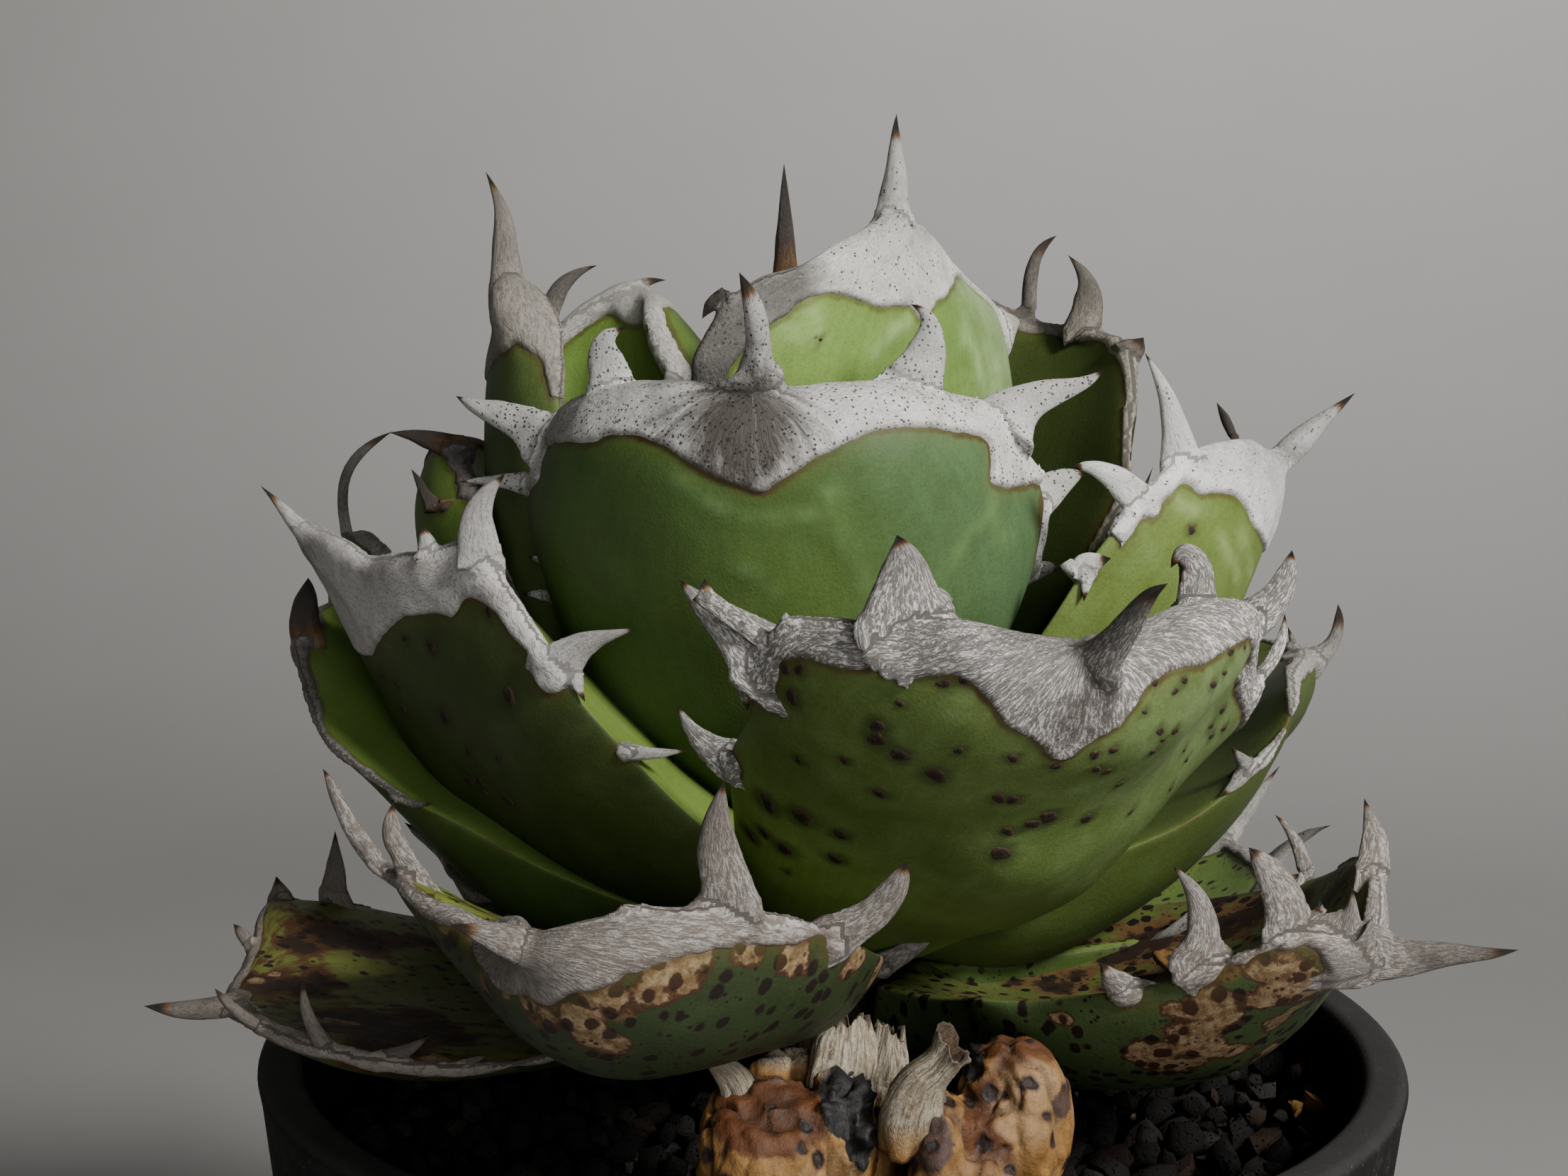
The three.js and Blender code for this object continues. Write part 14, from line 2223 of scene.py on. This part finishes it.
def tube(path, radii, seed, wall=0.55, ragged=1.2, tear=0.0, around=44, up=34, flat=1.0, turn=0.0):
    """A papery tube, open at its top, with a torn rim. Closed as one skin with a real wall."""
    path = np.array(path, float)
    c = catmull(path, max(2, up // (len(path) - 1)))
    r = catmull(np.array(radii, float)[:, None], max(2, up // (len(path) - 1)))[:, 0]
    n = len(c)
    ax = unit(np.gradient(c, axis=0))
    ref = np.array([math.cos(math.radians(turn)), math.sin(math.radians(turn)), 0.15])
    e1 = unit(ref[None] - ax * (ax @ ref)[:, None])
    e2 = np.cross(ax, e1)
    th = np.linspace(0, 2 * np.pi, around, endpoint=False)
    T, A = np.meshgrid(np.linspace(0, 1, n), th, indexing="ij")
    key = np.stack([2.2 * np.cos(A), 2.2 * np.sin(A), 2.0 * T + seed], -1)
    key2 = np.stack([4.5 * np.cos(A), 4.5 * np.sin(A), 1.2 * T + seed], -1)
    k = 1 + 0.26 * vnoise(key, 1.5, seed) + 0.10 * vnoise(key2, 0.8, seed + 1) - 0.16 * creases(key2, 1.1, seed + 2) + 0.08 * vnoise(key2 * np.array([1, 1, 3.0]), 0.7, seed + 3)
    rag = ragged * (1.2 * vnoise(key * 1.3, 0.9, seed + 5) + 0.35 * vnoise(key * 2.2, 0.9, seed + 6) - 0.2 * creases(key2, 1.6, seed + 8)) * smoothstep(T, 0.6, 1.0)
    rag = rag + tear * np.cos(A) * smoothstep(T, 0.6, 1.0)
    O = c[:, None, :] + (e1[:, None, :] * np.cos(A)[..., None] + e2[:, None, :] * (flat * np.sin(A))[..., None]) * (r[:, None] * k)[..., None] + ax[:, None, :] * rag[..., None]
    m = int(n * 0.30)
    kin = k[m:] * (1 - wall / np.maximum(r[m:, None], 1.0)) * (1 - 0.15 * smoothstep(1 - T[m:], 0.0, 0.7))
    I = c[m:, None, :] + (e1[m:, None, :] * np.cos(A[m:])[..., None] + e2[m:, None, :] * (flat * np.sin(A[m:]))[..., None]) * (r[m:, None] * kin)[..., None] + ax[m:, None, :] * (rag[m:] - 0.15)[..., None]
    X = np.concatenate([O, I[::-1]], 0)
    v, q, t = loft_solid(X)
    q, t = turned_out(v - v.mean(0), q, t)
    ins = np.concatenate([np.zeros(O.shape[0] * around), np.ones(I.shape[0] * around), [0.0, 1.0]])
    up_ = np.concatenate([T.ravel(), T[m:][::-1].ravel(), [0.0, T[m, 0]]])
    fb = np.concatenate([np.stack([A * 3.0, 0 * A, T * 12], -1).reshape(-1, 3), np.stack([A[m:] * 3.0, 0 * A[m:] + 9, T[m:] * 12], -1)[::-1].reshape(-1, 3), np.zeros((2, 3))])
    return v, q, t, ins, up_, fb


def withered_material():
    """Dead leaf skin: ochre to rust, black scabs, purple-brown patches, painted shade in the folds, and pale straw
    where it is only fibre.
    """
    n = Nodes("withered")
    p = n.pos()
    w1 = n.noise(p, 6.0, 5, 0.62, 0.5)
    w2 = n.noise(n.vadd(p, (7, 7, 2)), 2.2, 5, 0.68, 0.4)
    fine = n.noise(p, 0.5, 4, 0.7)
    c = n.mix(n.step(w1, 0.34, 0.66), (0.150, 0.070, 0.014), (0.290, 0.155, 0.045))
    c = n.mix(n.step(n.add(n.mul(w2, 0.8), n.mul(n.attr("orange"), 0.55)), 0.54, 0.80), c, (0.085, 0.028, 0.006))
    c = n.mix(n.step(n.add(n.mul(w1, 0.7), n.mul(n.attr("tanned"), 0.6)), 0.62, 0.92), c, (0.245, 0.145, 0.062))
    c = n.mix(n.step(n.add(n.mul(w2, 0.6), n.mul(n.attr("purple"), 0.7)), 0.55, 0.85), c, (0.060, 0.036, 0.027))
    # painted shade: darker at the bottoms of the folds
    c = n.mix(n.mul(n.attr("painted_fold_shade"), 0.92), c, (0.026, 0.011, 0.005))
    dots = n.cells(n.vadd(p, n.vscale(n.noise(p, 2.0, 2, 0.5, 0, True), 1.2)), 3.4)
    c = n.mix(n.mul(n.step(dots, 0.44, 0.28), 0.55), c, (0.075, 0.022, 0.007))
    c = n.mix(n.mul(n.step(dots, 0.33, 0.24), 0.95), c, (0.012, 0.006, 0.004))
    small = n.cells(n.vadd(p, (3, 1, 8)), 1.3)
    c = n.mix(n.mul(n.step(small, 0.16, 0.08), n.step(w1, 0.45, 0.6)), c, (0.04, 0.015, 0.008))
    c = n.mix(n.step(n.add(n.mul(n.sub(w2, 0.5), 1.5), n.attr("black")), 0.46, 0.60), c, n.mix(n.step(fine, 0.60, 0.82), (0.005, 0.0042, 0.0038), (0.028, 0.021, 0.016)))
    f = n.attr("fib", True)
    fw = n.vadd(f, n.vscale(n.noise(p, 1.5, 2, 0.5, 0, True), 0.6))
    hair = n.noise(n.vmul(fw, (1.0, 1.0, 0.09)), 0.30, 4, 0.75)
    straw = n.mix(n.step(hair, 0.36, 0.66), (0.42, 0.37, 0.28), (0.13, 0.098, 0.062))
    straw = n.mix(n.step(w2, 0.50, 0.72, 0.0, 0.75), straw, (0.27, 0.19, 0.11))
    straw = n.mix(n.mul(n.attr("hollow"), 0.95), straw, n.mix(n.step(fine, 0.4, 0.7), (0.035, 0.018, 0.009), (0.12, 0.065, 0.03)))
    c = n.mix(n.attr("straw"), c, straw)
    c = n.mix(1.0, c, n.cmb(n.line(fine, 0.25, 0.75, 0.82, 1.14)), "MULTIPLY")
    h = n.add(n.mul(w2, 0.6), n.add(n.mul(fine, 0.5), n.mul(n.mul(hair, n.attr("straw")), 1.2)))
    h = n.sub(h, n.mul(n.step(dots, 0.26, 0.12), 0.5))
    r = n.sub(n.line(w2, 0.3, 0.7, 0.50, 0.78), n.mul(n.attr("straw"), -0.12))
    return n.done(c, r, n.bump(h, 0.32), 0.4)


def build_withered(name, node, lumps, tubes, paint):
    vs, fs, off = [], [], 0
    for args in lumps:
        v, f = lump(*args)
        vs.append(v)
        fs.append(f + off)
        off += len(v)
    v, faces = remesh(np.concatenate(vs), [np.concatenate(fs)], 0.42, 1)
    # fine wrinkles over the joined skin
    me = make_mesh("t", v, faces)
    nn = np.zeros(len(v) * 3, np.float32)
    me.vertices.foreach_get("normal", nn)
    nn = nn.reshape(-1, 3)
    bpy.data.meshes.remove(me)
    q = np.stack([v[:, 0], v[:, 1], v[:, 2] * 0.5], -1)
    q = q + 1.1 * np.stack([vnoise(v, 3.5, 41), vnoise(v, 3.5, 42), vnoise(v, 3.5, 43)], -1)
    cr = creases(q, 4.2, 31, 0.26)
    cr2 = creases(q, 1.9, 35, 0.30)
    v = v + nn * (0.35 * vnoise(v, 3.1, 36) + 0.22 * vnoise(v, 1.5, 33) - 0.85 * cr - 0.28 * cr2)[:, None]
    attrs = paint(v)
    # painted shade in the folds, from the same creases that dent the skin
    attrs["painted_fold_shade"] = np.clip(0.75 * cr + 0.25 * cr2, 0, 1)
    attrs["straw"] = attrs.get("straw", np.zeros(len(v)))
    attrs["hollow"] = np.zeros(len(v))
    black = attrs["black"]
    v = v + nn * ((1.2 * np.clip(vnoise(v, 1.0, 77), 0, 1) + 0.9 * vnoise(v, 2.0, 78)) * smoothstep(black, 0.2, 0.8))[:, None]
    fib = v * np.array([1.0, 1.0, 1.0])
    V, F4, F3, o = [v], [f for f in faces if f.shape[1] == 4], [f for f in faces if f.shape[1] == 3], len(v)
    fibs = [fib]
    for spec in tubes:
        tv, q4, t3, ins, up_, fb = tube(**spec)
        V.append(tv)
        F4.append(q4 + o)
        F3.append(t3 + o)
        o += len(tv)
        k = len(tv)
        base = smoothstep(up_, 0.0, 0.35)
        for key in attrs:
            val = dict(straw=np.clip(base * 1.1, 0, 1), hollow=ins * smoothstep(up_, 0.2, 0.6) + (1 - ins) * smoothstep(up_, 0.93, 1.0) * 0.35, purple=0.4 * (1 - base)).get(key, np.zeros(k))
            attrs[key] = np.concatenate([attrs[key], val])
        fibs.append(fb)
    V = np.concatenate(V)
    me = make_mesh(name, V, [np.concatenate(F4)] + ([np.concatenate(F3)] if F3 else []), attrs)
    fa = me.attributes.new("fib", "FLOAT_VECTOR", "POINT")
    fa.data.foreach_set("vector", np.concatenate(fibs).astype(np.float32).ravel())
    add_piece(name, me, [node], MATS["withered"])


def near(v, c, r):
    return smoothstep(1.35 - np.linalg.norm((v - np.array(c, float)) / np.array(r, float), axis=1), 0, 0.7)


def paint_left(v):
    return dict(orange=near(v, (-8, -62, 131), (7, 9, 3.5)) + 0.25, tanned=near(v, (-1, -63, 124), (5, 9, 4)) * 0.8,
                purple=near(v, (-12, -62, 121), (7, 9, 3)) * 0.9, black=near(v, (0.6, -60, 132), (3.2, 8, 3.6)) + near(v, (2.2, -62, 127.5), (1.7, 8, 3.5)),
                straw=near(v, (-6.2, -53, 134.2), (4.5, 6, 1.6)))


def paint_right(v):
    return dict(orange=near(v, (16, -60, 129), (3, 9, 5)) * 0.8 + near(v, (19.5, -52, 136.5), (6, 9, 2.2)) * 0.7 + 0.1, tanned=near(v, (21, -56, 131), (5, 9, 5)) + near(v, (14, -62, 123.5), (7, 9, 3)) * 0.8,
                purple=near(v, (8.6, -63, 128.5), (3.6, 8, 3.5)) * 1.0 + near(v, (24.5, -54, 130.5), (2.0, 6, 2.0)) * 0.8, black=near(v, (14, -54, 135.5), (2, 7, 3)) * 0.8,
                straw=np.zeros(len(v)))


MATS["withered"] = withered_material()
build_withered("withered_left", "withered_leaf_left",
               [((-7.2, -55.5, 122.5), (8.8, 8.5, 10.2), 8, 3, 2.5, 0.8),
                ((-0.6, -53.5, 124.0), (4.6, 8.0, 10.6), -12, 8, 2.3, 0.9),
                ((0.4, -55.6, 126.5), (3.2, 4.4, 7.0), 14, 5, 2.2, 1.4),
                ((-5.6, -48.8, 131.3), (5.0, 2.6, 3.6), 12, 6, 2.2, 0.8),
                ((0.0, -45.0, 120.5), (9.5, 9.0, 8.0), 20, 9, 2.2, 1.0)],
               [dict(path=[(-0.2, -51.5, 127), (0.0, -52.0, 131), (0.3, -51.5, 135.0), (0.6, -50.8, 138.2)], radii=[3.6, 3.9, 3.4, 2.4], seed=4, flat=0.62, ragged=1.3, turn=10),
                dict(path=[(4.6, -49.5, 128), (5.0, -49.6, 132), (5.6, -48.8, 136.4)], radii=[2.9, 2.9, 1.9], seed=9, flat=0.6, ragged=1.2, turn=-20),
                dict(path=[(-11.0, -54.0, 128.5), (-11.6, -55.0, 132.2), (-13.6, -56.0, 134.9), (-15.5, -57.0, 136.9)], radii=[2.2, 1.9, 1.2, 0.35], seed=2, flat=0.55, ragged=0.3, around=28, turn=40)],
               paint_left)
build_withered("withered_right", "withered_leaf_right",
               [((19.4, -52.5, 126.6), (6.2, 7.2, 10.4), -18, 12, 2.4, 0.7),
                ((14.2, -57.0, 121.8), (6.6, 6.6, 9.4), 10, 15, 2.3, 1.1),
                ((10.6, -57.6, 123.0), (3.6, 5.6, 9.6), 0, 18, 2.3, 1.0),
                ((17.0, -46.5, 120.5), (8.0, 8.0, 8.2), 0, 21, 2.2, 1.0)],
               [dict(path=[(7.8, -58.0, 126.5), (8.0, -59.4, 131.0), (8.9, -60.6, 134.9), (11.0, -61.6, 137.6), (12.0, -62.0, 139.2)], radii=[3.4, 3.3, 2.6, 2.2, 2.75], seed=7, flat=0.85, ragged=0.7, tear=-0.6, turn=5)],
               paint_right)


def build_dead_tip():
    v, f = ico(4)
    p = v * np.array([5.2, 3.4, 1.5])
    p[:, 2] += 1.1 * (v[:, 0] ** 2) + 0.5 * vnoise(p, 3.0, 4)
    p = p + v * (0.45 * vnoise(p, 2.2, 5) - 0.35 * creases(p, 1.8, 6))[:, None]
    p = p + np.array([45.2, -16.0, 134.0])
    z = np.zeros(len(p))
    # painted shade in the creases of the dead tip
    me = make_mesh("dead_tip", p, f, dict(orange=z + 0.25, tanned=z + 0.55, purple=z, black=z - 0.4, painted_fold_shade=creases(p, 1.8, 6) * 0.7, straw=z, hollow=z))
    fa = me.attributes.new("fib", "FLOAT_VECTOR", "POINT")
    fa.data.foreach_set("vector", p.astype(np.float32).ravel())
    add_piece("dead_tip", me, ["dead_leaf_tip"], MATS["withered"])


build_dead_tip()


# --------------------------------------- hidden solids keep their own shape
def earth_material(name, a, b):
    n = Nodes(name)
    p = n.pos()
    crumbs = n.cells(n.vadd(p, n.vscale(n.noise(p, 2, 2, 0.5, 0, True), 1.0)), 1.6)
    nz = n.noise(p, 3.0, 5, 0.7)
    c = n.mix(n.step(nz, 0.3, 0.7), a, b)
    c = n.mix(n.step(crumbs, 0.25, 0.05, 0, 0.6), c, tuple(x * 0.3 for x in a))
    return n.done(c, n.line(nz, 0.3, 0.7, 0.85, 0.97), n.bump(n.add(nz, crumbs), 0.6), 0.2)


for nd, mt in (("soil", earth_material("earth", (0.030, 0.021, 0.014), (0.060, 0.042, 0.028))),
               ("stem", earth_material("old_stem", (0.10, 0.075, 0.045), (0.20, 0.15, 0.09)))):
    ob = bpy.data.objects[nd]
    for k in range(max(1, len(ob.material_slots))):
        if len(ob.material_slots) == 0:
            ob.data.materials.append(mt)
        else:
            ob.material_slots[k].material = mt


# ---------------------------------------------------------------- the stage
def stage_and_light():
    n = Nodes("stage")
    nz = n.noise(n.pos(), 60, 3, 0.5)
    m = n.done(n.mix(nz, (0.31, 0.305, 0.297), (0.33, 0.325, 0.317)), 0.9, None, 0.2)
    prof = [(0.0, 0.0), (0.30, 0.0), (0.55, 0.0)] + [(0.55 + 0.65 * math.sin(a), 0.65 - 0.65 * math.cos(a)) for a in np.linspace(0.05, math.pi / 2, 24)] + [(1.2, 2.2)]
    m_ = 96
    v = [(0, 0, 0)]
    for r, z in prof[1:]:
        for k in range(m_):
            a = 2 * math.pi * k / m_
            v.append((r * math.cos(a), r * math.sin(a), z))
    f = [(0, 1 + k, 1 + (k + 1) % m_) for k in range(m_)]
    for i in range(len(prof) - 2):
        for k in range(m_):
            a, b = 1 + i * m_ + k, 1 + i * m_ + (k + 1) % m_
            f.append((a, a + m_, b + m_, b))
    me = bpy.data.meshes.new("floor")
    me.from_pydata(v, [], f)
    me.polygons.foreach_set("use_smooth", [True] * len(me.polygons))
    me.materials.append(m)
    ob = bpy.data.objects.new("floor", me)
    scene.collection.objects.link(ob)
    ob.location = (0, 0, -0.0002)

    def area(name, az, el, dist, size, power, color, aim, spread):
        li = bpy.data.lights.new(name, "AREA")
        li.shape, li.size, li.energy, li.color = "DISK", size, power, color
        li.spread = math.radians(spread)
        o = bpy.data.objects.new(name, li)
        scene.collection.objects.link(o)
        a, e = math.radians(az), math.radians(el)
        at = Vector((math.sin(a) * math.cos(e), -math.cos(a) * math.cos(e), math.sin(e))) * dist + Vector((0, 0, 0.15))
        o.location = at
        o.rotation_mode = "QUATERNION"
        o.rotation_quaternion = (at - Vector(aim)).to_track_quat("Z", "Y")

    area("key", 44, 36, 1.05, 0.26, 9.0, (1.0, 0.985, 0.96), (0.02, 0, 0.17), 130)
    area("wall", 150, 68, 1.15, 0.5, 9.0, (1.0, 0.99, 0.97), (0.35, 1.2, 0.80), 120)
    area("fill", 12, 14, 0.95, 0.5, 0.50, (0.95, 0.98, 1.0), (0, 0, 0.15), 60)
    w = bpy.data.worlds.new("air")
    w.use_nodes = True
    w.node_tree.nodes["Background"].inputs[0].default_value = (0.9, 0.95, 1.0, 1)
    w.node_tree.nodes["Background"].inputs[1].default_value = 0.028
    scene.world = w


stage_and_light()
